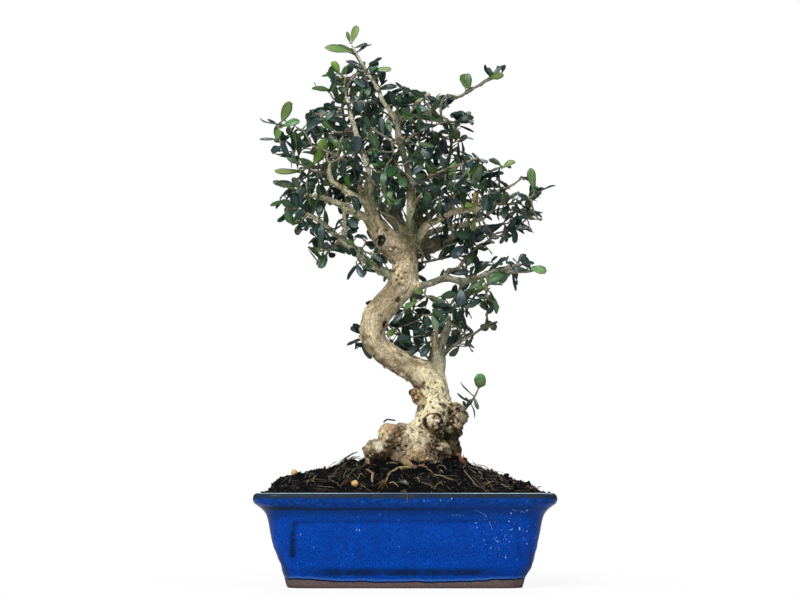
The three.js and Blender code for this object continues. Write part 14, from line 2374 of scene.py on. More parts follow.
def add_leaves(b, L, seed, tint=None, **more):
    P, ends, U, kind = leaf_shells(L, seed, **more)
    g = np.random.default_rng(seed + 1)
    flip = None
    for i in range(len(L)):
        V = np.vstack([P[i].reshape(-1, 3), ends[i]])
        if flip is None:
            flip = volume(V - V.mean(0), LQ, LT) < 0
        Q, T = (LQ[:, ::-1], LT[:, ::-1]) if flip else (LQ, LT)
        uv = np.vstack([U[i].reshape(-1, 3), [0, 0, 0], [1, 0, 0]])
        k = kind[i]
        vary, warm = g.uniform(0.70, 1.3), g.normal()
        if k >= 5:
            vary, warm = 1 + (vary - 1) * 0.25, warm * 0.2
        c = TOPS[k] * vary * (1 + np.array([0.14, 0.05, -0.10]) * warm)
        d = BACKS[k] * g.uniform(0.8, 1.2)
        if tint is not None:
            c, d = tint(c, d, L[i])
        foot = (1 - smooth(0.0, 0.13, np.concatenate([np.repeat(ROWS, len(RING_T)), [0, 1]])))[:, None]
        b.add(V, quads=Q, tris=T, mat=0, leafcol=rgba(np.clip(lerp(c[None, :], srgb(112, 122, 66)[None, :], foot * 0.8), 0.002, 0.9)),
              leafback=rgba(np.clip(np.tile(d, (len(V), 1)), 0.002, 0.9)), leafuv=uv)


def add_twigs(b, chains, seed, slim=0.40):
    g = np.random.default_rng(seed)
    for c in chains:
        c = np.array(c, float)
        if len(c) < 2 or np.linalg.norm(c[-1, :3] - c[0, :3]) < 0.3:
            continue
        P = catmull(c, 1.9)
        R = np.maximum(P[:, 3], 0.3)
        R = np.where(R > 0.55, 0.55 + slim * (R - 0.55), R)
        # a swelling at each node of the twig
        for q in c[1:-1]:
            d = np.linalg.norm(P[:, :3] - q[:3], axis=1)
            R = R * (1 + 0.28 * np.exp(-(d / 0.9) ** 2))
        R = R * (1 + 0.07 * g.normal(size=len(R)))
        wob = g.normal(size=(len(P), 3)) * 0.10
        wob[0] = 0
        sides = 8 if R.max() > 0.8 else 7 if R.max() > 0.45 else 6
        V, Q, T, along = tube(P[:, :3] + wob, R, sides)
        if volume(V - V.mean(0), Q, T) < 0:
            Q, T = Q[:, ::-1], T[:, ::-1]
        thick = smooth(0.40, 0.75, R.max())
        base = lerp(srgb(90, 98, 70), srgb(128, 122, 106), thick) * g.uniform(0.7, 1.15)
        young = srgb(104, 120, 76) * g.uniform(0.8, 1.1)
        col = lerp(base[None, :], young[None, :], (along * (1 - thick) * 0.8)[:, None])
        b.add(V, quads=Q, tris=T, mat=1, leafcol=rgba(col), leafback=rgba(col), leafuv=np.zeros((len(V), 3)))


def turned(row, angle):
    """The leaf swung about its foot, as the camera sees it."""
    c, s = math.cos(angle), math.sin(angle)
    out = row.copy()
    for i in (3, 6):
        x, z = (row[3] - row[0], row[5] - row[2]) if i == 3 else (row[6], row[8])
        out[i], out[i + 2] = c * x + s * z, c * z - s * x
    out[3] += row[0]
    out[5] += row[2]
    return out


def open_wood(L, used):
    """Leaves in front of the stems that the picture shows bare are swung aside, and many at the right are seen edge on."""
    bare = []
    for name, margin, k0 in (("T1", 4.4, 0), ("whitish", 5.0, 0), ("M3u", 4.4, 8), ("R1v", 7.0, 0)):
        P = LINES[name][k0:]
        bare.append((project(P[:, :3]), P[:, 1], margin))

    def hides(row):
        n = 0
        for f in (0.3, 0.6, 0.95):
            p = row[:3] + (row[3:6] - row[:3]) * f
            q = project(p[None, :])[0]
            for uv, y, margin in bare:
                d = np.linalg.norm(uv - q, axis=1)
                j = int(d.argmin())
                n += bool(d[j] < margin and p[1] < y[j])
        return n
    pull = 0
    for i in range(len(L)):
        if i in used:
            continue
        n = hides(L[i])
        if n:
            best = min((hides(turned(L[i], a)), abs(a), a) for a in (0, 0.9, -0.9, 1.6, -1.6, 2.3, -2.3, 3.1))
            if best[0] < n:
                L[i] = turned(L[i], best[2])
                pull += 1
    g = np.random.default_rng(77)
    mid = project((L[:, :3] + L[:, 3:6]) / 2)
    edge = 0
    for i in range(len(L)):
        u, v = mid[i]
        share = 0.52 if 440 < u < 560 and 150 < v < 290 else 0.16
        draw = g.random()
        if i in used or draw > share or L[i, 10] == 2 or i >= len(LEAVES):
            continue
        a = L[i, 3:6] - L[i, :3]
        view = (L[i, :3] + L[i, 3:6]) / 2 - np.array(CAM_AT)
        n = np.cross(a, view)
        if np.linalg.norm(n) < 1e-6:
            continue
        n /= np.linalg.norm(n)
        if n[2] < 0:
            n = -n
        L[i, 6:9] = n - 0.50 * view / np.linalg.norm(view)
        L[i, 9] *= 0.9
        edge += 1
    print("leaves swung aside", pull, "seen edge on", edge)


def shoots():
    """Every leaf and twig goes with the shoot it belongs to, so that each shoot is one piece."""
    nodes = [n for n in frame["nodes"] if n.startswith("leafy_shoot_")]
    tree = KDTree(sum(len(frame["nodes"][n].data.vertices) for n in nodes) + len(frame["nodes"]["base_sprout"].data.vertices))
    owner = []
    for n in nodes + ["base_sprout"]:
        for v in frame["nodes"][n].data.vertices:
            tree.insert(v.co, len(owner))
            owner.append(n)
    tree.balance()

    def who(*points):
        votes = {}
        for p in points:
            _, i, d = tree.find(Vector(p) * MM)
            votes[owner[i]] = votes.get(owner[i], 0) + 1 / (d + 0.0005)
        return max(votes, key=votes.get)

    L = np.array(LEAVES + MORE_LEAVES, float)
    feet = project(L[:, :3])
    used = set()
    for n, (fu, fv, tu, tv, px, colour) in enumerate(FACING):
        cost = np.linalg.norm(feet - [fu, fv], axis=1) + 0.10 * (L[:, 1] + 50)
        cost[list(used)] = 1e9
        cost[(L[:, 2] < 140) & (L[:, 0] > 36)] = 1e9
        i = int(cost.argmin())
        used.add(i)
        foot = L[i, :3]
        if n in (0, 1, 2):                   # at the end of the top stem
            foot = np.array(CAM_AT) + ray(fu, fv) * ((-8.0 - CAM_AT[1]) / ray(fu, fv)[1])
            feet[i] = fu, fv
        if n in (10, 11):                    # on the front of the limb behind them
            near = LINES["whitish"][np.linalg.norm(project(LINES["whitish"][:, :3]) - [fu, fv], axis=1).argmin()]
            foot = np.array(CAM_AT) + ray(fu, fv) * ((near[1] - near[3] - 1.5 - CAM_AT[1]) / ray(fu, fv)[1])
            feet[i] = fu, fv
        tip = np.array(CAM_AT) + ray(tu + 0.5 * (feet[i, 0] - fu), tv + 0.5 * (feet[i, 1] - fv)) * ((foot[1] - 2.5 - CAM_AT[1]) / ray(tu, tv)[1])
        face = np.array([0.05 if tu < 400 else -0.05, -0.96, 0.28])
        L[i] = [*foot, *tip, *face, px * 0.70, len(TOPS)]
        TOPS.append(srgb(*colour) * np.array([1.18, 1.06, 0.96]))
        BACKS.append(srgb(*colour) * 1.2)
    open_wood(L, used)
    # nothing lies on or just before a leaf that is seen square on
    mid = (L[:, :3] + L[:, 3:6]) / 2
    flat = project(mid)
    drop = set()
    ends = [project(L[:, :3] + (L[:, 3:6] - L[:, :3]) * f) for f in (0.1, 0.35, 0.6, 0.95)]
    for u, v, px in ((380.8, 241, 11), (388, 248, 9), (396, 262, 8), (398, 275, 9), (392, 235, 7), (401, 238, 8), (416, 250, 8), (421, 262, 6)):
        for e in ends:
            drop |= {int(j) for j in np.where((np.linalg.norm(e - [u, v], axis=1) < px) & (mid[:, 1] < 2))[0]}
    low = np.where((flat[:, 0] > 392) & (flat[:, 0] < 434) & (flat[:, 1] > 298) & (flat[:, 1] < 342))[0]
    drop |= {int(j) for j in low[::7] if int(j) not in used}
    for e in ends:                           # and the left edge of the trunk stays bare
        drop |= {int(j) for j in np.where((np.linalg.norm(e - [367, 353], axis=1) < 7) & (mid[:, 1] < 20))[0]}
    for i in used:
        far = np.linalg.norm(L[i, 3:6] - L[i, :3]) / 0.693
        for q in (L[i, :3] * 0.6 + L[i, 3:6] * 0.4, L[i, :3] * 0.3 + L[i, 3:6] * 0.7):
            d = np.linalg.norm(flat - project(q[None, :])[0], axis=1)
            drop |= {int(j) for j in np.where((d < 0.36 * far) & (mid[:, 1] < q[1] + 4.0))[0] if int(j) not in used}
    print("leaves cleared", len(drop))
    L = L[[j for j in range(len(L)) if j not in drop]]
    leaves = {}
    for row in L:
        leaves.setdefault(who(row[:3], (row[:3] + row[3:6]) / 2, row[3:6]), []).append(row)
    twigs = {}
    for i, c in enumerate(TWIGS):
        if i == 361:
            continue
        a = np.array(c[:10] if i == 15 else c[:9] if i == 360 else c)
        c = [tuple(p) for p in a]
        twigs.setdefault(who(a[len(a) // 2][:3], a[-1][:3]), []).append(c)
    total = 0
    for n in nodes:
        b = Build()
        k = int(n[-2:])
        if n in leaves:
            add_leaves(b, np.array(leaves[n]), 500 + k)
        if n in twigs:
            add_twigs(b, twigs[n], 700 + k)
        if not b.v:
            print("EMPTY", n)
            continue
        o = b.object("shoot_%02d" % k, [LEAF, TWIG])
        piece(o, "foliage", n)
        total += b.triangles()
    print("shoots", total, "triangles", len(L), "leaves")
    # the young shoot at the foot
    b = Build()
    rows = [(50.5, -11, 133.1, 52.3, -14.5, 143.6, -0.08, -0.94, -0.32, 8.3, 2), (50.9, -12.6, 133.4, 52.3, -16.2, 139.3, 0.05, -0.97, -0.2, 7.9, 2), (47.9, -9.5, 127.9, 37.9, -12.5, 137.6, -0.47, -0.58, -0.66, 1.9, 0),
            (45, -8.6, 124, 35.9, -11.6, 130.5, -0.28, -0.66, -0.7, 1.9, 0), (47.9, -9.5, 127.9, 50.4, -12.5, 119, -0.08, -0.95, 0.3, 3.2, 1), (45, -8.6, 124, 47.8, -11.6, 113, 0.75, -0.57, 0.34, 2.3, 0), (42.2, -8.2, 121.0, 45.4, -12.2, 126.2, 0.15, -0.9, 0.4, 3.0, 0), (43.0, -8.0, 120.6, 39.8, -12.0, 124.8, 0.1, -0.9, 0.4, 2.6, 0),
            (44.4, -9.2, 123.2, 41.2, -12.2, 127.2, 0.1, -0.7, 0.7, 2.6, 0), (43.6, -8.2, 121.4, 46.4, -11.2, 125.4, 0.2, -0.9, 0.3, 2.0, 0)]

    def young(c, d, row):
        if row[9] > 8:
            return srgb(66, 128, 44), srgb(96, 140, 66)
        if row[9] > 6:
            return srgb(100, 126, 64), srgb(110, 132, 74)
        return srgb(48, 66, 54) if row[9] < 3 else srgb(78, 92, 66), srgb(96, 108, 90)
    add_leaves(b, np.array(rows), 901, tint=young, petiole=0.06)
    add_twigs(b, [[(38.6, -6, 118.4, 1.9), (41.6, -7, 120.6, 1.55), (44.2, -8.2, 123.2, 1.1), (46.6, -9, 125.9, 0.72), (49, -10, 129.8, 0.6), (50.7, -11.2, 133.6, 0.5)]], 903, slim=1.0)
    piece(b.object("young_shoot", [YOUNG, TWIG]), "young_foliage", "base_sprout")


shoots()


# ------------------------------------------------------------------ pot
OUTSIDE = [(77.6, 0.0), (77.9, 0.5), (78.3, 1.6), (78.8, 3.2), (79.4, 5.6), (80.3, 7.8), (82.4, 11.2), (83.5, 13.6), (83.8, 14.6), (84.9, 19.9), (87.2, 26.5), (87.6, 28), (89.0, 35), (90.5, 43.5), (92.2, 48.6),
           (95.2, 52.2), (98.6, 54.8), (99.2, 55.3), (100.0, 56.7), (100.3, 57.8), (100.2, 59.2), (99.6, 61.0), (98.6, 61.8), (97.6, 62.2)]
INSIDE = [(96.2, 62.3), (94.6, 62.25), (93.4, 61.7), (92.4, 60.8), (91.3, 58.0), (90.2, 53), (87.4, 40), (83.2, 22), (80.2, 14.2), (78.9, 12.3)]
FLOOR_Z, RECESS_Z, HOLE_R, HOLE_X = 12.0, 5.0, 7.0, 38.0
RING_PARTS = (100, 68, 20)               # points along the long faces, the short faces and round a corner


def ring(h, corner=0.17, parts=RING_PARTS):
    """A rounded rectangle of half length h: points, outward normals, face number (0 front, 1 right, 2 back, 3 left, -1 corner) and place round a corner, 0 to 1."""
    hx, hy, r = h, 0.75 * h, corner * h
    nx, ny, nc = parts
    P, N, F, C = [], [], [], []
    faces = [(np.array([-hx + r, -hy]), np.array([hx - r, -hy]), (0, -1), nx), (np.array([hx, -hy + r]), np.array([hx, hy - r]), (1, 0), ny),
             (np.array([hx - r, hy]), np.array([-hx + r, hy]), (0, 1), nx), (np.array([-hx, hy - r]), np.array([-hx, -hy + r]), (-1, 0), ny)]
    mids = [(hx - r, -hy + r, -90), (hx - r, hy - r, 0), (-hx + r, hy - r, 90), (-hx + r, -hy + r, 180)]
    for k in range(4):
        a, b, n, m = faces[k]
        t = np.arange(m) / m
        P.append(a + (b - a) * t[:, None])
        N.append(np.tile(n, (m, 1)))
        F.append(np.full(m, k))
        C.append(np.zeros(m))
        cx, cy, start = mids[k]
        ang = np.radians(start + 90 * np.arange(nc) / nc)
        P.append(np.stack([cx + r * np.cos(ang), cy + r * np.sin(ang)], 1))
        N.append(np.stack([np.cos(ang), np.sin(ang)], 1))
        F.append(np.full(nc, -1))
        q = np.arange(nc) / nc
        C.append(q if k % 2 == 0 else 1 - q)     # 0 by the long face, 1 by the short face
    return np.vstack(P), np.vstack(N).astype(float), np.concatenate(F), np.concatenate(C)


def profile(rows, step):
    return catmull([(a, 0, b) for a, b in rows], step)[:, [0, 2]]


def glaze_material():
    k = Nodes("glaze")
    at = k.vmath("MULTIPLY", k.place(), (1000.0, 1000.0, 1000.0))
    p = k.split(at)
    face = k.split(k.attr("wall", "Vector"))     # x: corner place, y: outside 1 or inside 0, z: share of panel edge
    corner, outside, panel = face[0], face[1], face[2]
    z = p[2]
    wob = k.noise(at, 0.22, 3.0, 0.55)
    wob2 = k.noise(at, 0.9, 3.0, 0.6)
    zz = k.math("ADD", z, k.math("MULTIPLY", k.math("SUBTRACT", wob2, 0.5), 1.6))
    zz = k.math("ADD", zz, k.math("MULTIPLY", k.math("SUBTRACT", wob, 0.5), 1.4))
    grains = k.noise(k.vmath("MULTIPLY", at, (1.0, 1.0, 0.62)), 1.45, 4.0, 0.72)
    cloud = k.noise(at, 0.075, 3.0, 0.6)
    c = k.mix(k.remap(grains, 0.32, 0.68), srgb(0, 34, 122), srgb(0, 88, 204))
    c = k.mix(k.remap(cloud, 0.38, 0.66, 0.0, 0.45), c, srgb(2, 55, 144))
    # duller just under the lip
    c = k.mix(k.math("MULTIPLY", k.math("MULTIPLY", k.remap(z, 41, 50), outside), 0.62), c, srgb(12, 54, 120))
    # panel edge: thinner, darker glaze
    c = k.mix(k.math("MULTIPLY", panel, k.remap(wob2, 0.34, 0.56, 0.35, 0.97)), c, srgb(10, 26, 44))
    # dark band where the wall turns in above the foot
    low = k.math("MULTIPLY", k.remap(zz, 7.9, 9.0), k.remap(zz, 11.8, 14.0, 1.0, 0.0))
    mid = k.math("ABSOLUTE", k.math("DIVIDE", p[0], 78.0))
    low = k.math("MULTIPLY", low, k.math("MULTIPLY", k.remap(mid, 0.55, 0.92, 1.0, 0.12), k.remap(wob, 0.30, 0.62, 0.55, 1.0)))
    c = k.mix(k.math("MULTIPLY", low, 0.9), c, srgb(10, 36, 70))
    # groove under the lip, dark olive and broken, wider at the left: partly thin glaze, partly painted shadow under the
    # lip
    left = k.remap(p[0], -50, -76)
    zl = k.math("ADD", z, k.math("MULTIPLY", k.math("SUBTRACT", wob, 0.5), 2.0))
    under = k.math("MULTIPLY", k.remap(zl, 50.4, 51.6), k.remap(zl, 52.2, 53.2, 1.0, 0.0))
    wide = k.math("MULTIPLY", k.math("MULTIPLY", k.remap(zl, 50.6, 51.4), k.remap(zl, 52.9, 54.4, 1.0, 0.0)), left)
    under = k.math("MAXIMUM", k.math("MULTIPLY", under, k.remap(p[0], 55, -10, 0.28, 0.85)), wide)
    c = k.mix(k.math("MULTIPLY", k.math("MULTIPLY", under, outside), 0.9), c, srgb(20, 40, 52))
    # the roll of the lip: brighter, runny blue
    roll = k.math("MULTIPLY", k.math("MULTIPLY", k.remap(zl, 53.4, 54.8), k.remap(zl, 58.0, 59.4, 1.0, 0.0)), outside)
    runs = k.noise(k.vmath("MULTIPLY", at, (1.0, 1.0, 1.6)), 0.34, 4.0, 0.7, 0.6)
    c = k.mix(k.math("MULTIPLY", roll, k.remap(runs, 0.50, 0.68, 0.0, 0.6)), c, srgb(26, 104, 206))
    c = k.mix(k.math("MULTIPLY", roll, k.remap(runs, 0.46, 0.34, 0.0, 0.7)), c, srgb(6, 30, 72))
    # top of the lip, where the glaze has run thin to olive brown
    zt = k.math("ADD", k.math("ADD", z, k.math("MULTIPLY", k.math("SUBTRACT", wob, 0.5), 1.8)), k.math("MULTIPLY", k.math("SUBTRACT", runs, 0.5), 4.0))
    top = k.math("MULTIPLY", k.remap(zt, 58.1, 59.4), k.remap(z, 61.7, 62.1, 1.0, 0.0))
    c = k.mix(k.math("MULTIPLY", k.math("MULTIPLY", top, outside), k.remap(wob2, 0.28, 0.6, 0.75, 0.98)), c, k.mix(wob, srgb(28, 36, 44), srgb(66, 64, 60)))
    # a pale line along the top edge of the lip: painted reflection of the light above
    edge = k.math("MULTIPLY", k.remap(z, 61.75, 62.12), k.remap(k.math("ABSOLUTE", p[0]), 10, 45, 0.55, 1.0))
    c = k.mix(k.math("MULTIPLY", edge, k.remap(wob2, 0.3, 0.55, 0.45, 1.0)), c, srgb(216, 222, 236))
    # corners: olive where the glaze is thin over the edge
    cw = k.math("ADD", corner, k.math("MULTIPLY", k.math("SUBTRACT", wob2, 0.5), 0.5))
    thin = k.math("MULTIPLY", k.remap(cw, 0.66, 0.82), k.remap(cw, 1.0, 1.2, 1.0, 0.6))
    c = k.mix(k.math("MULTIPLY", k.math("MULTIPLY", thin, outside), k.remap(grains, 0.3, 0.6, 0.75, 0.97)), c, srgb(20, 30, 30))
    cw = k.math("ADD", corner, k.math("MULTIPLY", k.math("SUBTRACT", wob, 0.5), 0.16))
    foot = k.math("MULTIPLY", k.math("MULTIPLY", k.remap(cw, 0.42, 0.50), k.remap(cw, 0.56, 0.66, 1.0, 0.0)), k.remap(z, 18, 28, 1.0, 0.0))
    c = k.mix(k.math("MULTIPLY", k.math("MULTIPLY", foot, outside), 0.7), c, srgb(22, 46, 60))
    # inside: thinner, greyer
    c = k.mix(k.math("MULTIPLY", k.math("SUBTRACT", 1.0, outside), k.remap(z, 56, 61.5, 1.0, 0.0)), c, srgb(40, 58, 92))
    # the glaze ends above the foot in a wavy, dark edged line, with bare clay below it
    drip = k.noise(k.vmath("MULTIPLY", at, (1.0, 1.0, 0.05)), 0.13, 4.0, 0.65)
    end = k.math("ADD", k.remap(k.math("ABSOLUTE", p[0]), 35, 72, 2.5, 4.2), k.math("MULTIPLY", drip, 2.8))
    over = k.math("SUBTRACT", z, end)
    clayn = k.noise(at, 0.8, 4.0, 0.65)
    clay = k.mix(k.remap(clayn, 0.3, 0.7), srgb(100, 75, 74), srgb(134, 102, 99))
    clay = k.mix(k.math("MULTIPLY", k.remap(k.cells(at, 0.8), 0.10, 0.2, 1.0, 0.0), 0.5), clay, srgb(64, 45, 41))
    clay = k.mix(k.remap(z, 2.6, 0.4, 0.0, 0.55), clay, srgb(76, 58, 54))
    bare = k.math("MULTIPLY", k.remap(over, -0.12, 0.12, 1.0, 0.0), k.remap(z, 7.9, 8.4, 1.0, 0.0))
    rim = k.math("MULTIPLY", k.remap(over, -0.3, 0.1), k.remap(over, 0.7, 1.3, 1.0, 0.0))
    c = k.mix(k.math("MULTIPLY", rim, 0.95), c, srgb(12, 20, 34))
    # a paler strip on the ledge just above the glaze's end: painted highlight
    ledge = k.math("MULTIPLY", k.remap(over, 0.7, 1.3), k.remap(over, 1.7, 2.8, 1.0, 0.0))
    c = k.mix(k.math("MULTIPLY", ledge, 0.5), c, srgb(84, 124, 190))
    c = k.mix(bare, c, clay)
    k.set("Base Color", k.mix(1.0, c, (0.66, 0.86, 0.87), "MULTIPLY"))
    k.set("Roughness", k.math("ADD", k.remap(grains, 0.3, 0.7, 0.20, 0.27), k.math("MULTIPLY", bare, 0.55)))
    k.set("Specular IOR Level", 0.06)
    h = k.math("ADD", k.math("MULTIPLY", wob2, 0.5), k.math("MULTIPLY", grains, 0.14))
    h = k.math("ADD", h, k.math("MULTIPLY", k.math("SUBTRACT", 1.0, bare), 0.5))
    h = k.math("ADD", h, k.math("MULTIPLY", k.math("MULTIPLY", clayn, bare), 0.5))
    k.set("Normal", k.bump(h, 0.35, 0.0006))
    return k.m


GLAZE = glaze_material()


def stitch(ia, pa, ib, pb, centre):
    """Triangles between an outer loop (numbers ia, points pa) and an inner loop, both seen whole from the centre."""
    ang = [np.arctan2(*(p - centre).T[::-1]) for p in (pa, pb)]
    A, B = np.argsort(ang[0]), np.argsort(ang[1])
    i = j = 0
    out = []

    def angle(k, order, n):
        return ang[k][order[n % len(order)]] + 2 * math.pi * (n // len(order))
    while i < len(A) or j < len(B):
        a0, b0 = ia[A[i % len(A)]], ib[B[j % len(B)]]
        if j >= len(B) or (i < len(A) and angle(0, A, i + 1) < angle(1, B, j + 1)):
            out.append((a0, ia[A[(i + 1) % len(A)]], b0))
            i += 1
        else:
            out.append((a0, ib[B[(j + 1) % len(B)]], b0))
            j += 1
    return np.array(out)


def make_pot():
    out = profile(OUTSIDE, 1.05)
    ins = profile(INSIDE, 3.2)
    foot = np.array([(71.5, RECESS_Z), (71.7, 4.0), (71.9, 1.2), (72.3, 0.25), (73.0, 0.0), (76.8, 0.0)])
    P = np.vstack([foot, out, ins])
    kind = np.concatenate([np.zeros(len(foot)), np.ones(len(out)), np.zeros(len(ins))])
    rows, walls = [], []
    for (h, z), o in zip(P, kind):
        xy, n, f, c = ring(h)
        z3 = np.full(len(xy), z)
        panel = np.zeros(len(xy))
        shift = np.zeros(len(xy))
        if o:
            # a shallow panel sunk in each face
            for k in range(4):
                half = 73.4 + (42 - z) * 0.03 if k % 2 == 0 else 53.0 + (42 - z) * 0.10
                s = xy[:, 0] if k % 2 == 0 else xy[:, 1]
                d = np.maximum(np.abs(s) - half + 7, 0)
                e = np.maximum(abs(z - 28.6) - 15.4 + 7, 0)
                sd = np.sqrt(d * d + e * e) - 7 + np.minimum(np.maximum(np.abs(s) - half + 7, abs(z - 28.6) - 15.4 + 7), 0)
                here = (f == k) | ((f == -1) & (np.abs(n[:, 1 if k % 2 == 0 else 0]) > 0.9) & (np.sign(n[:, 1 if k % 2 == 0 else 0]) == (-1 if k in (0, 3) else 1)))
                sunk = (1 - smooth(-1.5, 0.9, sd)) * here
                shift -= 0.75 * sunk
                upright = smooth(4.0, 1.0, np.abs(np.abs(s) - half + 0.6)) * (z > 20) * np.where((s < 0) == (k in (0, 1)), 1.0, 0.25)
                broken = 1 - 0.85 * math.exp(-((z - 38.6) / 1.3) ** 2) * upright
                panel = np.maximum(panel, np.exp(-((sd + 0.2) / (1.3 + 1.5 * upright)) ** 2) * here * (0.26 + 0.74 * upright) * broken)
            shift += 0.16 * fbm(np.column_stack([xy, z3]), 26, 2, 401) * (z < 60) * (z > 1)
        q = xy + n * shift[:, None]
        if o:
            # the hand made pot leans a little: the lower left corner is drawn in, the right one stands out
            q[:, 0] += np.interp(z, [0, 3, 6, 9, 11, 13, 16, 19, 24], [-0.1, -0.1, -0.1, 0.4, 1.1, 1.7, 1.0, 0, 0]) * smooth(-55, -75, q[:, 0])
            q[:, 0] += np.interp(z, [6, 11, 13, 16, 19, 24, 30], [0, 0, 0.4, 1.2, 1.6, 0.9, 0]) * smooth(55, 75, q[:, 0])
        rows.append(np.column_stack([q, z3]))
        walls.append(np.column_stack([c, np.full(len(xy), o), panel]))
    V = np.vstack(rows)
    wall = np.vstack(walls)
    cols = len(rows[0])
    Q = grid_quads(len(rows), cols)
    b = Build()
    holes = [np.column_stack([x0 + HOLE_R * np.cos(a), HOLE_R * np.sin(a)]) for x0 in (-HOLE_X, HOLE_X) for a in [np.arange(48) * math.pi / 24 + 0.01]]
    base = len(V)
    extra, tris, quads = [], [], []
    lower, upper = [], []
    for hp in holes:
        i0 = base + sum(len(e) for e in extra)
        stack = [np.column_stack([hp, np.full(len(hp), zz)]) for zz in (RECESS_Z, RECESS_Z + 0.6, 8.5, FLOOR_Z - 0.3, rows[-1][0, 2])]
        extra += stack
        quads.append(grid_quads(len(stack), len(hp))[:, ::-1] + i0)
        lower.append(i0 + np.arange(len(hp)))
        upper.append(i0 + (len(stack) - 1) * len(hp) + np.arange(len(hp)))
    # the plate under the recess and the floor inside, each half joined from its outline to its drain hole
    nx, ny, nc = RING_PARTS
    front, back = nx // 2, nx + nc + ny + nc + nx // 2
    halves = (np.r_[back:cols, 0:front + 1], np.r_[front:back + 1])
    for start, ids, up in ((0, lower, False), ((len(rows) - 1) * cols, upper, True)):
        outline, zz = rows[0 if not up else -1][:, :2], rows[0 if not up else -1][0, 2]
        i0 = base + sum(len(e) for e in extra)
        middle = np.linspace(outline[front, 1], outline[back, 1], 32)[1:-1]
        extra.append(np.column_stack([np.zeros(30), middle, np.full(30, zz)]))
        for side in (0, 1):
            order = np.arange(30) if side == 0 else np.arange(30)[::-1]
            ia = np.concatenate([start + halves[side], i0 + order])
            pa = np.vstack([outline[halves[side]], np.column_stack([np.zeros(30), middle[order]])])
            t = stitch(ia, pa, ids[side], holes[side], np.array([(-1, 1)[side] * HOLE_X, 0.0]))
            tris.append(t if up else t[:, ::-1])
    V = np.vstack([V] + extra)
    wall = np.vstack([wall, np.tile([0.0, 0.0, 0.0], (len(V) - len(wall), 1))])
    b.add(V, quads=np.vstack([Q] + quads), tris=np.vstack(tris), wall=wall)
    print("pot", b.triangles(), "triangles; open or crossed edges", open_edges(np.vstack([Q] + quads), np.vstack(tris)), "volume", round(volume(V, np.vstack([Q] + quads), np.vstack(tris))))
    o = b.object("glazed_pot", [GLAZE])
    piece(o, "glaze", "pot")
    return o


def open_edges(Q, T):
    E = np.vstack([Q[:, [0, 1]], Q[:, [1, 2]], Q[:, [2, 3]], Q[:, [3, 0]], T[:, [0, 1]], T[:, [1, 2]], T[:, [2, 0]]]).astype(np.int64)
    key = E[:, 0] * 10 ** 9 + E[:, 1]
    back = E[:, 1] * 10 ** 9 + E[:, 0]
    u, n = np.unique(key, return_counts=True)
    return int((n > 1).sum() + (~np.isin(back, u)).sum())


POT = make_pot()


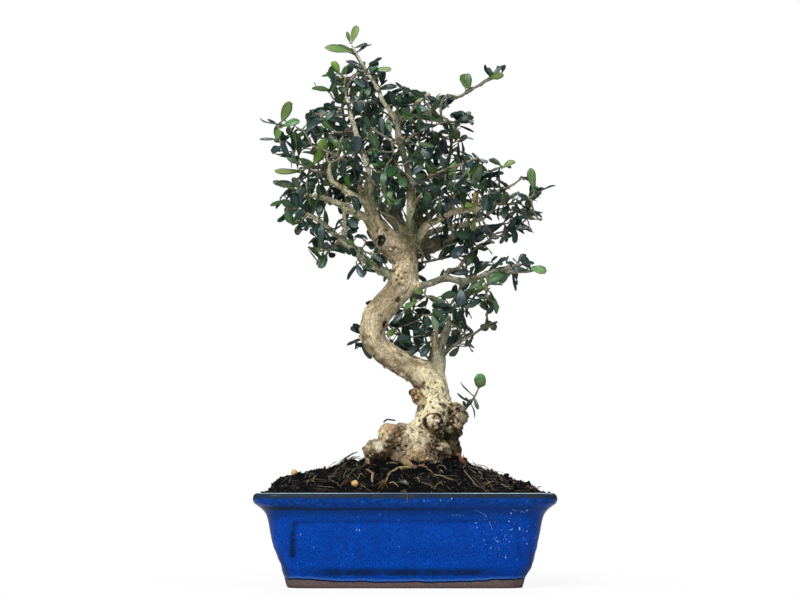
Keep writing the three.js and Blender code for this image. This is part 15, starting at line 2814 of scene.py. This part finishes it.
def scuffs():
    """Pale chips and scratches in the glaze: thin flakes that lie on the wall."""
    me = POT.data
    co = np.empty(len(me.vertices) * 3, np.float32)
    me.vertices.foreach_get("co", co)
    bvh = BVHTree.FromPolygons([tuple(p) for p in co.reshape(-1, 3) / MM], [tuple(p.vertices) for p in me.polygons])
    g = np.random.default_rng(19)
    b = Build()

    def wall(u, v):
        hit, n, _, _ = bvh.ray_cast(Vector(CAM_AT), Vector(ray(u, v)))
        return (np.array(hit), np.array(n)) if hit is not None else (None, None)

    def flake(u, v, r, tall=1.0, lean=0.0):
        c, n = wall(u, v)
        if c is None:
            return
        up = np.array([math.sin(math.radians(lean)), 0, math.cos(math.radians(lean))])
        up -= n * (up @ n)
        up /= np.linalg.norm(up)
        side = np.cross(up, n)
        m = 10
        a = np.arange(m) * 2 * math.pi / m
        rr = r * (1 + 0.3 * g.normal(size=m))
        rim = c + (np.cos(a) * rr)[:, None] * side + (np.sin(a) * rr * tall)[:, None] * up
        V = np.vstack([rim + n * 0.015, rim - n * 0.12, [c + n * 0.07], [c - n * 0.12]])
        j = np.arange(m)
        Q = np.stack([m + j, m + (j + 1) % m, (j + 1) % m, j], 1)
        T = np.vstack([np.stack([j, (j + 1) % m, np.full(m, 2 * m)], 1), np.stack([m + (j + 1) % m, m + j, np.full(m, 2 * m + 1)], 1)])
        if volume(V - c, Q, T) < 0:
            Q, T = Q[:, ::-1], T[:, ::-1]
        b.add(V, quads=Q, tris=T)

    def scratch(points, r):
        P = [wall(u, v) for u, v in points]
        P = [c + n * 0.0 for c, n in P if c is not None]
        if len(P) < 2:
            return
        line = catmull(P, 0.8)
        line = line + 0.12 * g.normal(size=line.shape)
        V, Q, T, _ = tube(line, r * (0.6 + 0.5 * g.random(len(line))), 5)
        if volume(V - V.mean(0), Q, T) < 0:
            Q, T = Q[:, ::-1], T[:, ::-1]
        b.add(V, quads=Q, tris=T)

    for u, v in [(356.3, 530), (359.5, 530.2), (300.6, 534.5), (489.7, 522.5), (509, 521.3), (512.2, 529.3), (519.3, 527.7), (519.5, 529.5), (527, 531), (497.8, 541.2), (509.5, 541.8), (527, 543.8),
                    (505.6, 557.5), (476, 523), (484, 540), (511, 513), (452, 498.5), (441, 500.5), (424, 501), (527, 510.5), (491, 548)]:
        flake(u, v, 0.34 + 0.16 * g.random(), 1.0 + 0.6 * g.random(), g.uniform(-30, 30))
    for _ in range(22):
        flake(g.uniform(300, 525), g.uniform(508, 564), g.uniform(0.10, 0.2), 1.3, g.uniform(-60, 60))
    for _ in range(46):
        flake(g.normal(503, 15), g.uniform(508, 560), g.uniform(0.12, 0.24), 1.5, g.uniform(-60, 60))
    scratch([(474, 509.5), (480, 512), (485, 515), (489, 521)], 0.13)
    scratch([(489, 521), (491, 526), (492.5, 531)], 0.11)
    scratch([(494, 538), (497, 541.5), (500, 542)], 0.16)
    scratch([(497, 545), (499.5, 549.5)], 0.15)
    scratch([(510, 509.5), (519, 511), (529, 512.6)], 0.1)
    scratch([(284.5, 518.8), (288, 518.2)], 0.12)
    scratch([(452, 515.5), (457, 514.7), (461, 515.8)], 0.09)
    k = Nodes("scuff")
    at = k.vmath("MULTIPLY", k.place(), (1000.0, 1000.0, 1000.0))
    n = k.noise(at, 1.5, 3.0, 0.6)
    k.set("Base Color", k.mix(k.remap(n, 0.3, 0.7), srgb(58, 104, 190), srgb(176, 200, 236)))
    k.set("Roughness", 0.5).set("Specular IOR Level", 0.3)
    piece(b.object("glaze_scuffs", [k.m]), "glaze", "pot")


scuffs()


# ------------------------------------------------------------------ soil
def soil_material():
    k = Nodes("soil")
    col = k.attr("soilcol")
    at = k.vmath("MULTIPLY", k.place(), (1000.0, 1000.0, 1000.0))
    n = k.noise(at, 0.9, 5.0, 0.68)
    hair = k.noise(k.vmath("MULTIPLY", at, (0.6, 2.6, 2.2)), 0.75, 3.0, 0.6, 1.4)
    hair2 = k.noise(k.vmath("MULTIPLY", at, (2.4, 0.7, 1.6)), 0.8, 3.0, 0.6, 1.6)
    strand = k.remap(k.math("ABSOLUTE", k.math("SUBTRACT", hair, 0.5)), 0.0, 0.022, 1.0, 0.0)
    strand2 = k.remap(k.math("ABSOLUTE", k.math("SUBTRACT", hair2, 0.5)), 0.0, 0.02, 1.0, 0.0)
    c = k.mix(k.remap(n, 0.32, 0.68), k.mix(1.0, col, (0.42, 0.42, 0.44), "MULTIPLY"), k.mix(1.0, col, (1.6, 1.6, 1.6), "MULTIPLY"))
    c = k.mix(k.math("MULTIPLY", k.math("MAXIMUM", strand, strand2), k.remap(n, 0.45, 0.6, 0.0, 0.42)), c, srgb(92, 84, 72))
    speck = k.remap(k.cells(at, 0.55), 0.035, 0.07, 1.0, 0.0)
    c = k.mix(k.math("MULTIPLY", speck, 0.6), c, srgb(150, 142, 128))
    k.set("Base Color", k.mix(1.0, c, (0.33, 0.41, 0.52), "MULTIPLY"))
    k.set("Roughness", 0.95).set("Specular IOR Level", 0.10)
    k.set("Normal", k.bump(k.math("ADD", n, k.math("MULTIPLY", strand, 0.4)), 0.9, 0.0012))
    return k.m


def fibre_material():
    k = Nodes("root_fibre")
    col = k.attr("soilcol")
    at = k.vmath("MULTIPLY", k.place(), (1000.0, 1000.0, 1000.0))
    n = k.noise(at, 1.3, 3.0, 0.6)
    k.set("Base Color", k.mix(k.remap(n, 0.3, 0.7), k.mix(1.0, col, (0.32, 0.32, 0.33), "MULTIPLY"), k.mix(1.0, col, (0.88, 0.90, 0.95), "MULTIPLY")))
    k.set("Roughness", 0.8).set("Specular IOR Level", 0.2)
    k.set("Normal", k.bump(n, 0.4, 0.0003))
    return k.m


def prill_material():
    k = Nodes("prill")
    at = k.vmath("MULTIPLY", k.place(), (1000.0, 1000.0, 1000.0))
    n = k.noise(at, 0.5, 4.0, 0.6)
    f = k.noise(at, 2.2, 3.0, 0.6)
    c = k.mix(k.remap(n, 0.35, 0.65), srgb(196, 146, 84), srgb(226, 190, 132))
    c = k.mix(k.remap(f, 0.55, 0.75, 0.0, 0.5), c, srgb(168, 104, 44))
    k.set("Base Color", c)
    k.set("Roughness", k.remap(f, 0.3, 0.7, 0.3, 0.5)).set("Specular IOR Level", 0.5)
    k.set("Subsurface Weight", 0.25)
    k.set("Subsurface Radius", (0.002, 0.0012, 0.0005))
    k.set("Normal", k.bump(f, 0.3, 0.0003))
    return k.m


def mesh_material():
    k = Nodes("drain_mesh")
    at = k.vmath("MULTIPLY", k.place(), (1000.0, 1000.0, 1000.0))
    n = k.noise(at, 0.7, 4.0, 0.6)
    k.set("Base Color", k.mix(k.remap(n, 0.3, 0.7), srgb(16, 17, 16), srgb(44, 42, 38)))
    k.set("Roughness", k.remap(n, 0.3, 0.7, 0.5, 0.7)).set("Specular IOR Level", 0.3)
    k.set("Normal", k.bump(n, 0.3, 0.0004))
    return k.m


SOIL, FIBRE, PRILL, DRAIN = soil_material(), fibre_material(), prill_material(), mesh_material()

ICO_V, ICO_T = None, None


def ico(level):
    p = (1 + 5 ** 0.5) / 2
    V = [(-1, p, 0), (1, p, 0), (-1, -p, 0), (1, -p, 0), (0, -1, p), (0, 1, p), (0, -1, -p), (0, 1, -p), (p, 0, -1), (p, 0, 1), (-p, 0, -1), (-p, 0, 1)]
    T = [(0, 11, 5), (0, 5, 1), (0, 1, 7), (0, 7, 10), (0, 10, 11), (1, 5, 9), (5, 11, 4), (11, 10, 2), (10, 7, 6), (7, 1, 8), (3, 9, 4), (3, 4, 2), (3, 2, 6), (3, 6, 8), (3, 8, 9), (4, 9, 5), (2, 4, 11), (6, 2, 10),
         (8, 6, 7), (9, 8, 1)]
    V = [np.array(v) / np.linalg.norm(v) for v in V]
    for _ in range(level):
        mid, N = {}, []

        def half(a, b):
            key = (min(a, b), max(a, b))
            if key not in mid:
                m = V[a] + V[b]
                mid[key] = len(V)
                V.append(m / np.linalg.norm(m))
            return mid[key]
        for a, b, c in T:
            ab, bc, ca = half(a, b), half(b, c), half(c, a)
            N += [(a, ab, ca), (b, bc, ab), (c, ca, bc), (ab, bc, ca)]
        T = N
    return np.array(V), np.array(T)


def inner_wall(z):
    """Half length of the inside of the pot at height z."""
    P = np.array(INSIDE)[::-1]
    return np.interp(z, P[:, 1], P[:, 0])


def make_soil():
    cols = (104, 72, 16)
    n = 2 * cols[0] + 2 * cols[1] + 4 * cols[2]
    rows = 86
    hmax = 92.9
    V, C = [], []
    fr = (np.arange(1, rows + 1) / rows) ** 0.80
    for f in fr:
        xy, _, _, _ = ring(hmax * f, corner=0.17, parts=cols)
        V.append(np.column_stack([xy, np.zeros(n)]))
    V = np.vstack(V)
    x, y = V[:, 0], V[:, 1]
    edge = np.repeat(fr, n)
    t = np.minimum(1, np.abs(y) / 69.5)
    ease = (1 - smooth(0.93, 1.0, edge))
    P = np.column_stack([x, y, np.zeros(len(x))])
    z = soil_top(x, y)
    f1, f2_, num = worley(P, 4.2, 91)
    g1, g2, gn = worley(P, 2.1, 93)
    lump = 1.0 * fbm(P, 11, 2, 301) + 1.0 * fbm(P, 4.2, 2, 303) + 0.6 * fbm(P, 1.9, 2, 307)
    lump += 1.5 * (0.55 - f1) * (num > 0.35) + 0.8 * (0.5 - g1)
    V[:, 2] = z + lump * (0.30 + 0.70 * ease) * (1 - smooth(0.965, 1.0, edge) * 0.55) - 0.5
    V[:, 2] = np.minimum(V[:, 2], 61.6 + 165 * np.maximum(1.0 - edge, 0))
    dark = srgb(20, 20, 21)
    brown = srgb(36, 33, 30)
    m = smooth(-0.3, 0.7, fbm(P, 16, 3, 311))[:, None]
    C = lerp(dark, brown, m * 0.8) * (0.72 + 0.5 * smooth(-1.2, 1.6, lump))[:, None]
    C = lerp(C, srgb(56, 40, 33), (smooth(0.35, 0.9, fbm(P, 9, 2, 313)) * smooth(30, 75, x) * 0.6)[:, None])
    skirt = []
    for zz in (60.2, 58, 54, 48, 40, 31, 22, 16, 13.2, 12.4):
        h = min(inner_wall(zz) - 0.35, 92.0)
        if zz == 12.4:
            h -= 1.0
        xy, _, _, _ = ring(h, corner=0.17, parts=cols)
        skirt.append(np.column_stack([xy, np.full(n, zz)]))
    S = np.vstack(skirt)
    allV = np.vstack([V, S, [[0, 0, soil_top(0.0, 0.0) - 0.5], [0, 0, 12.4]]])
    allC = np.vstack([C, np.tile(dark, (len(S) + 2, 1))])
    total = rows + len(skirt)
    Q = grid_quads(total, n)[:, ::-1]
    j = np.arange(n)
    top, bottom = total * n, total * n + 1
    T = np.vstack([np.stack([np.full(n, top), j, (j + 1) % n], 1), np.stack([np.full(n, bottom), (total - 1) * n + (j + 1) % n, (total - 1) * n + j], 1)])
    if volume(allV, Q, T) < 0:
        Q, T = Q[:, ::-1], T[:, ::-1]
    b = Build()
    b.add(allV, quads=Q, tris=T, soilcol=rgba(allC))
    topQ = Q[(Q < rows * n).all(1)]
    bvh = BVHTree.FromPolygons([tuple(p) for p in allV[:rows * n]], [tuple(int(i) for i in q) for q in topQ])
    print("soil", b.triangles(), "open", open_edges(Q, T))
    piece(b.object("peaty_soil", [SOIL]), "soil", "soil")
    return bvh


SOIL_BVH = make_soil()


def ground(x, y):
    hit, nrm, _, _ = SOIL_BVH.ray_cast(Vector((x, y, 120)), Vector((0, 0, -1)))
    if hit is None:
        return soil_top(x, y)
    return hit.z


def inside_pot(x, y, share):
    """Whether (x, y) lies inside the soil's outline scaled by share."""
    hx, hy, r = 92.4 * share, 69.3 * share, 15.7 * share
    dx, dy = max(abs(x) - hx + r, 0), max(abs(y) - hy + r, 0)
    return abs(x) <= hx and abs(y) <= hy and dx * dx + dy * dy <= r * r


def under_wood(x, y):
    return ((x - 10.5) / 23) ** 2 + (y / 19) ** 2 < 1


def crumbs():
    """Clods, and sharp little crumbs of peat between them."""
    g = np.random.default_rng(41)
    fine, clod = ico(0), ico(1)
    b = Build()

    def crumb(x, y, z, r, shape):
        V0, T0 = shape
        V = V0 * (1 + (0.26 if shape is clod else 0.34) * g.normal(size=(len(V0), 1)))
        V = V * g.uniform(0.5, 1.3, 3)
        a = g.uniform(0, 6.28)
        ca, sa = math.cos(a), math.sin(a)
        V = V @ np.array([[ca, -sa, 0], [sa, ca, 0], [0, 0, 0.95]])
        V = V * r + np.array([x, y, z])
        pick = g.random()
        if pick < 0.80:
            c = srgb(*(np.array([23, 23, 24]) * g.uniform(0.55, 1.6)))
        elif pick < 0.93:
            c = srgb(*(np.array([50, 46, 42]) * g.uniform(0.8, 1.4)))
        elif pick < 0.98:
            c = srgb(*(np.array([80, 62, 48]) * g.uniform(0.8, 1.2)))
        else:
            c = srgb(150, 142, 128)
        b.add(V, tris=T0, soilcol=rgba(np.tile(np.clip(c, 0, 1), (len(V), 1))))
    made = 0
    while made < 2900:
        x, y = g.uniform(-92, 92), g.uniform(-69, 69)
        if not inside_pot(x, y, 0.99) or under_wood(x, y):
            continue
        big = made % 7 == 0
        r = float(np.exp(g.normal(0.1, 0.38))) if big else float(np.exp(g.normal(-0.42, 0.36)))
        r = min(max(r, 0.3), 2.2)
        if not inside_pot(x, y, 0.93):
            r = min(r, 0.8)
        crumb(x, y, ground(x, y) + r * g.uniform(-0.1, 0.5), r, clod if big else fine)
        made += 1
    # the heap round the half buried prill
    for _ in range(46):
        a, d = g.uniform(0, 6.28), 2.3 + abs(g.normal(0, 1.0))
        x, y = -75.5 + d * math.cos(a), -13 + d * math.sin(a)
        crumb(x, y, ground(x, y) + g.uniform(-0.2, 0.9), g.uniform(0.5, 1.1), fine)
    # a few that lie on the lip at either end
    for side in (-1, 1):
        for _ in range(56 if side < 0 else 34):
            x, y = side * g.uniform(90.0, 95.6), g.uniform(-50, 46)
            r = g.uniform(0.35, 0.9)
            crumb(x, y, float(np.interp(abs(x), [91, 92.4, 93.4, 94.6], [60.6, 60.9, 61.8, 62.35])) + r * 0.55, r, fine)
    print("crumbs", b.triangles())
    piece(b.object("soil_crumbs", [SOIL], flat=True), "soil", "soil")


def strand(b, P, r0, r1, colour, sides=4, g=None):
    P = np.array(P, float)
    R = np.linspace(r0, r1, len(P))
    if g is not None:
        R = R * (1 + 0.12 * g.normal(size=len(R)))
    V, Q, T, along = tube(P, np.maximum(R, 0.06), sides)
    if volume(V - V.mean(0), Q, T) < 0:
        Q, T = Q[:, ::-1], T[:, ::-1]
    c = np.tile(colour, (len(V), 1)) * (1 - 0.25 * along)[:, None]
    b.add(V, quads=Q, tris=T, soilcol=rgba(np.clip(c, 0.001, 1)))


def on_soil(points, lift=0.5, ends=-0.4, y0=None):
    """Points of the picture brought down on the soil, with how far each is lifted."""
    P, last = [], y0
    m = len(points)
    for i, (u, v) in enumerate(points):
        d = ray(u, v)
        hit, _, _, _ = SOIL_BVH.ray_cast(Vector(CAM_AT), Vector(d))
        if hit is not None and (y0 is None or abs(hit.y - (last if last is not None else hit.y)) < 22):
            p = np.array(hit)
            last = p[1]
        else:
            yy = last if last is not None else -20.0
            k = (yy - CAM_AT[1]) / d[1]
            p = np.array(CAM_AT) + d * k
        s = i / max(m - 1, 1)
        up = lift * math.sin(math.pi * s) + ends * (abs(s - 0.5) * 2) ** 3
        P.append(p - np.array([0, 0.55 * up, 0]) + np.array([0, 0, up * 0.35]))
    return P


def smooth_line(P, step=1.2):
    P = np.array(P, float)
    return catmull(P, step)


def fibres():
    g = np.random.default_rng(57)
    b = Build()
    pale = [srgb(200, 186, 158), srgb(176, 162, 136), srgb(150, 134, 110), srgb(128, 112, 92), srgb(104, 90, 74), srgb(86, 74, 62), srgb(68, 60, 52), srgb(140, 106, 78)]
    made = 0
    while made < 330:
        x, y = g.uniform(-90, 90), g.uniform(-67, 67)
        if not inside_pot(x, y, 0.97) or (under_wood(x, y) and g.random() < 0.8):
            continue
        n = int(g.integers(7, 14))
        step = g.uniform(0.9, 2.0)
        a = g.uniform(0, 6.28)
        bend = g.normal(0, 0.22)
        lift = abs(g.normal(0.3, 0.9))
        if not inside_pot(x, y, 0.93):
            lift = min(lift, 0.4)
        P = []
        px, py = x, y
        for i in range(n):
            s = i / (n - 1)
            if not inside_pot(px, py, 0.975):
                break
            P.append((px, py, ground(px, py) + 0.05 + lift * math.sin(math.pi * s) - 0.5 * (abs(s - 0.5) * 2) ** 4))
            a += bend + g.normal(0, 0.16)
            px += step * math.cos(a)
            py += step * math.sin(a)
        if len(P) < 4:
            continue
        P = np.array(P)
        P[1:-1] = (P[:-2] + 2 * P[1:-1] + P[2:]) / 4
        r = g.uniform(0.11, 0.24)
        c = pale[int(g.integers(0, len(pale)))] * g.uniform(0.65, 1.15)
        strand(b, P, r, r * 0.6, c, g=g)
        made += 1
    # fine hairs that stand out of the peat
    for _ in range(760):
        x, y = g.uniform(-91, 91), g.uniform(-68, 68)
        if not inside_pot(x, y, 0.975) or under_wood(x, y):
            continue
        z = ground(x, y)
        d = np.array([g.normal(0, 0.7), g.normal(0, 0.7), abs(g.normal(0.5, 0.4)) + 0.1])
        d /= np.linalg.norm(d)
        l = g.uniform(1.0, 3.4)
        if not inside_pot(x, y, 0.93):
            l = min(l, 1.3)
        side = g.normal(0, 0.35, 3)
        P = [np.array([x, y, z - 0.4]) + d * l * s + side * s * s for s in (0, 0.35, 0.7, 1.0)]
        strand(b, P, 0.16, 0.08, srgb(*(np.array([56, 50, 44]) * g.uniform(0.4, 1.9))), sides=3, g=g)
    # those that can be told apart in the picture
    def bundle(points, n, spread, colours, lift=0.8, r=(0.14, 0.3)):
        for _ in range(n):
            off = g.normal(0, spread, 2)
            bow = g.normal(0, spread * 0.6, 2)
            m = len(points)
            q = [(u + off[0] + bow[0] * math.sin(3.14 * i / (m - 1)), min(v + off[1] + bow[1] * math.sin(3.14 * i / (m - 1)), 490.8)) for i, (u, v) in enumerate(points)]
            a = g.uniform(0.0, 0.35)
            i0 = int(a * m)
            q = q[i0:max(i0 + 3, m - int(g.uniform(0, 0.35) * m))]
            c = colours[int(g.integers(0, len(colours)))] * g.uniform(0.6, 1.2)
            w = g.uniform(*r)
            strand(b, smooth_line(on_soil(q, lift * g.uniform(0.4, 1.6)), 1.6), w, w * 0.6, c, g=g)

    def seen(points, r0, r1, colour, lift=0.6, y0=None, sides=5):
        strand(b, smooth_line(on_soil(points, lift, y0=y0)), r0, r1, srgb(*colour), sides=sides, g=g)
    seen([(345.5, 463), (341, 466.5), (336, 472), (331.5, 477.5), (328, 482)], 0.42, 0.25, (134, 108, 82), 0.7)
    seen([(349, 461), (343, 465), (337.5, 470.5), (333, 476), (330.5, 480)], 0.34, 0.2, (116, 92, 70), 0.9)
    seen([(365, 457), (359, 462), (354, 466), (350, 469)], 0.36, 0.2, (124, 100, 76), 0.6)
    seen([(352, 460.5), (356, 465), (360, 469)], 0.3, 0.2, (110, 88, 66), 0.6)
    seen([(366.5, 469.5), (370.5, 472), (373, 475), (372.4, 480)], 0.85, 0.45, (190, 150, 116), 0.7, sides=7)
    seen([(377, 468.5), (375, 471), (373, 475)], 0.6, 0.5, (172, 132, 102), 0.7, sides=6)
    seen([(357, 483), (358.5, 478), (361, 474), (365, 477.5)], 0.4, 0.28, (206, 172, 120), 1.2, sides=6)
    seen([(305, 484.5), (309, 481), (313, 481.5), (316, 484.5)], 0.3, 0.22, (176, 152, 116), 1.2)
    seen([(313, 479), (315, 476.5), (317.5, 474.8)], 0.32, 0.26, (206, 184, 146), 0.8)
    seen([(331, 480), (336, 483), (341.5, 488)], 0.3, 0.2, (168, 142, 106), 0.9)
    seen([(360, 486.5), (363.5, 486.5), (367, 489.5)], 0.34, 0.24, (196, 150, 116), 0.9)
    seen([(389, 483), (393, 482.5), (397, 485.5), (399, 488)], 0.36, 0.22, (220, 196, 140), 1.1)
    seen([(323, 489), (331, 487.5), (336, 489.8)], 0.26, 0.18, (150, 126, 96), 0.7)
    bundle([(354, 458), (347, 463.5), (341, 469), (335, 475.5), (330, 482)], 20, 3.4, pale[2:7], 1.0)
    bundle([(362, 460), (356, 466), (350, 472), (344, 479), (340, 486)], 16, 4.5, pale[1:7], 1.0)
    bundle([(345, 470), (352, 476), (360, 483), (366, 489)], 9, 5, pale[1:6], 0.8)
    bundle([(470, 466), (476, 473), (482, 480), (487, 488)], 16, 5, pale[0:6], 0.8)
    bundle([(480, 484), (490, 481.5), (500, 482), (510, 486)], 12, 4.5, pale[0:6], 0.8)
    bundle([(505, 486), (515, 487), (526, 488), (536, 489.5)], 12, 2.6, pale[0:6], 0.5)
    bundle([(300, 485), (312, 484), (324, 485), (336, 487)], 12, 3.6, pale[2:7], 0.8)
    bundle([(280, 488), (290, 485), (300, 486)], 10, 3.0, pale[3:7], 0.8)
    bundle([(405, 474), (412, 478), (420, 480), (430, 486)], 10, 5, pale[1:6], 0.8)
    bundle([(440, 478), (446, 484), (450, 489)], 10, 5, pale[0:6], 0.8)
    for k in range(15):
        a = -1.9 + k * 0.16 + g.normal(0, 0.06)
        l = g.uniform(5, 9)
        q = [(384 + g.normal(0, 1.2), 480 + g.normal(0, 0.6))]
        for s in (0.4, 0.75, 1.0):
            q.append((q[0][0] + math.sin(a) * l * s * 1.25, min(q[0][1] + math.cos(a * 0.62) * l * s * 1.15, 490.6)))
        seen(q, 0.3, 0.16, np.array([150, 118, 82]) * g.uniform(0.6, 1.25), 0.9)
    seen([(434, 474.5), (441, 476), (448, 478.8), (456, 480.5)], 0.55, 0.42, (186, 160, 118), 0.9, sides=6)
    seen([(417.5, 477), (419, 480.5), (419.8, 487)], 0.4, 0.28, (204, 180, 138), 1.0)
    seen([(466.5, 464), (463.5, 468), (465, 472), (470, 478), (476, 485), (482, 490.5)], 0.5, 0.3, (176, 158, 130), 0.9, sides=6)
    seen([(474, 462.5), (476, 465), (481, 465.6), (486, 467), (490.5, 471.5)], 0.32, 0.22, (96, 80, 66), 0.6, y0=-8)
    seen([(486, 484.3), (491, 482.3), (497, 482.6), (505, 486)], 0.42, 0.28, (186, 154, 112), 1.2)
    seen([(519, 489.8), (525, 488), (529, 486.6), (536, 487.5)], 0.45, 0.3, (160, 104, 76), 1.1)
    seen([(513, 481), (516, 486.5), (519, 490)], 0.3, 0.2, (150, 116, 84), 0.8)
    seen([(536, 489.5), (538.5, 487), (541.5, 486.6)], 0.36, 0.22, (70, 54, 44), 0.6, y0=-20)
    seen([(457, 487), (461, 483), (464, 480.5)], 0.3, 0.2, (150, 124, 92), 0.8)
    seen([(434, 489), (437, 485), (441, 482.6), (442.5, 479)], 0.42, 0.26, (182, 140, 92), 1.0)
    seen([(426.5, 469), (430.5, 471), (433.5, 474)], 0.4, 0.28, (176, 146, 108), 0.8)
    seen([(416, 466.3), (409, 467.2), (400, 468.4), (393.3, 471.5), (388.6, 475), (386.8, 479), (386, 481.5)], 1.05, 0.6, (216, 188, 140), 0.9, sides=10)
    seen([(419, 465), (424, 466.5), (428, 468)], 0.8, 0.5, (190, 134, 96), 0.5, sides=8)
    seen([(372.4, 474.4), (372, 479), (372.6, 485.4)], 0.75, 0.5, (226, 194, 152), 0.6, sides=7)
    seen([(386.5, 463.5), (393, 463), (399, 465), (404, 466.5)], 0.5, 0.35, (176, 154, 122), 0.7, sides=6)
    # the dry sliver that lies on the left burl
    sliver = []
    for u, v in ((383.6, 422.4), (385.4, 420.4), (387.5, 419.5), (391.5, 419.9), (395.2, 420.4)):
        d = ray(u, v)
        sliver.append(np.array(CAM_AT) + d * ((-14.5 - CAM_AT[1]) / d[1]))
    strand(b, catmull(sliver, 0.8), 0.55, 0.5, srgb(34, 36, 38), sides=8)
    # the fibre that hangs over the lip
    lip = [(-1.2, -66.5, 63.6), (-0.9, -69.5, 63.7), (0.2, -71.6, 63.1), (0.9, -73.6, 62.8), (1.4, -75.4, 60.8), (1.3, -75.7, 58.0), (1.6, -75.4, 56.0)]
    strand(b, catmull(lip, 1.0), 0.45, 0.28, srgb(128, 112, 92), sides=6, g=g)
    strand(b, catmull([(-2.6, -67.5, 63.2), (-1.6, -70.3, 63.3), (-0.4, -72.6, 62.8)], 1.0), 0.3, 0.2, srgb(150, 130, 100), sides=5, g=g)
    print("fibres", b.triangles())
    piece(b.object("root_fibres", [FIBRE]), "soil", "soil")


def prills():
    V0, T0 = ico(3)
    g = np.random.default_rng(71)
    for k, (x, y) in enumerate([(-75.5, -13), (-33, -62), (58, 28)], 1):
        lo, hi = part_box("fertiliser_prill_%d" % k)
        c = (np.array(lo) + np.array(hi)) / 2 / MM
        V = V0 * (2.3 * (1 + 0.05 * fbm(V0 + 9 * k, 1.1, 2, 81))[:, None]) * g.uniform(0.94, 1.04, 3)
        V = V * (1 - 0.10 * (1 - smooth(0, 0.6, np.linalg.norm(V0 - np.array([0.2, -0.85, 0.4]), axis=1))))[:, None]
        b = Build()
        b.add(V + c, tris=T0)
        piece(b.object("prill_%d" % k, [PRILL]), "fertiliser", "fertiliser_prill_%d" % k)


crumbs()
fibres()
prills()

# a fallen leaf at the foot of the mound, lying on the soil
b = Build()
u = on_soil([(398.5, 483), (408.5, 485.8)], 0.0, ends=0.9)
a, c = np.array(u[0]), np.array(u[1])
LEAF_ROW = np.array([[*(a + [0, -0.6, 0.6]), *(c + [0, -0.8, 0.7]), 0.1, -0.75, 0.65, 4.6, 0]])
add_leaves(b, LEAF_ROW, 55, tint=lambda c, d, row: (srgb(62, 70, 46), srgb(110, 112, 80)))
u = on_soil([(345, 487.8), (351, 490)], 0.0, ends=0.9)
for n in ("drainage_mesh_left", "drainage_mesh_right"):
    o = frame["nodes"][n]
    if not o.material_slots:
        o.data.materials.append(DRAIN)
    for s in o.material_slots:
        s.material = DRAIN
piece(b.object("fallen_leaf", [LEAF, TWIG]), "foliage", "soil")


# ------------------------------------------------------------------ studio
def lamp(name, at, to, size, power, colour=(1, 1, 1), size_y=None):
    d = bpy.data.lights.new(name, "AREA")
    d.energy = power
    d.color = colour
    d.shape = "RECTANGLE"
    d.size = size
    d.size_y = size_y or size
    o = bpy.data.objects.new(name, d)
    o.location = at
    o.rotation_euler = (Vector(to) - Vector(at)).to_track_quat("-Z", "Y").to_euler()
    bpy.context.scene.collection.objects.link(o)
    return o


world = bpy.data.worlds.new("studio")
bpy.context.scene.world = world
world.use_nodes = True
bg = world.node_tree.nodes["Background"]
bg.inputs[0].default_value = (1.0, 1.0, 1.0, 1.0)
bg.inputs[1].default_value = 0.16
white = world.node_tree.nodes.new("ShaderNodeBackground")
white.inputs[0].default_value = (1.0, 1.0, 1.0, 1.0)
path = world.node_tree.nodes.new("ShaderNodeLightPath")
both = world.node_tree.nodes.new("ShaderNodeMixShader")
world.node_tree.links.new(path.outputs["Is Camera Ray"], both.inputs[0])
world.node_tree.links.new(bg.outputs[0], both.inputs[1])
world.node_tree.links.new(white.outputs[0], both.inputs[2])
world.node_tree.links.new(both.outputs[0], world.node_tree.nodes["World Output"].inputs[0])

lamp("key", (-0.55, -1.05, 1.25), (0, 0, 0.2), 0.42, 27.0, (1.0, 0.985, 0.96))
lamp("fill", (0.9, -0.9, 0.7), (0, 0, 0.2), 0.8, 2.5, (0.95, 0.98, 1.0))
lamp("back", (0.3, 1.1, 1.1), (0, 0, 0.2), 0.9, 6.0, (0.97, 0.99, 1.0))

me = bpy.data.meshes.new("floor")
s = 6.0
me.from_pydata([(-s, -s, 0), (s, -s, 0), (s, s, 0), (-s, s, 0)], [], [(0, 1, 2, 3)])
floor = bpy.data.objects.new("floor", me)
bpy.context.scene.collection.objects.link(floor)
k = Nodes("floor")
n = k.noise(k.place(), 3.0, 2.0, 0.5)
k.set("Base Color", k.mix(n, (0.90, 0.90, 0.90), (0.94, 0.94, 0.94))).set("Roughness", 0.9).set("Specular IOR Level", 0.1)
# seen straight on, the floor fades to the white of the backdrop
far = k.math("SQRT", k.math("ADD", k.math("POWER", k.split(k.place())[0], 2.0), k.math("POWER", k.split(k.place())[1], 2.0)))
glow = k.node("ShaderNodeEmission")
glow.inputs[0].default_value = (1.0, 1.0, 1.0, 1.0)
look = k.node("ShaderNodeLightPath").outputs["Is Camera Ray"]
both = k.node("ShaderNodeMixShader")
k.feed(both.inputs[0], k.math("MULTIPLY", look, k.remap(far, 0.05, 0.30, 0.90, 1.0)))
k.t.links.new(k.bsdf.outputs[0], both.inputs[1])
k.t.links.new(glow.outputs[0], both.inputs[2])
k.t.links.new(both.outputs[0], k.out.inputs[0])
me.materials.append(k.m)

scene = bpy.context.scene
scene.view_settings.view_transform = "Standard"
scene.view_settings.look = "None"
scene.view_settings.exposure = 0.0
scene.view_settings.gamma = 1.0

# ------------------------------------------------------------------ the end
import json
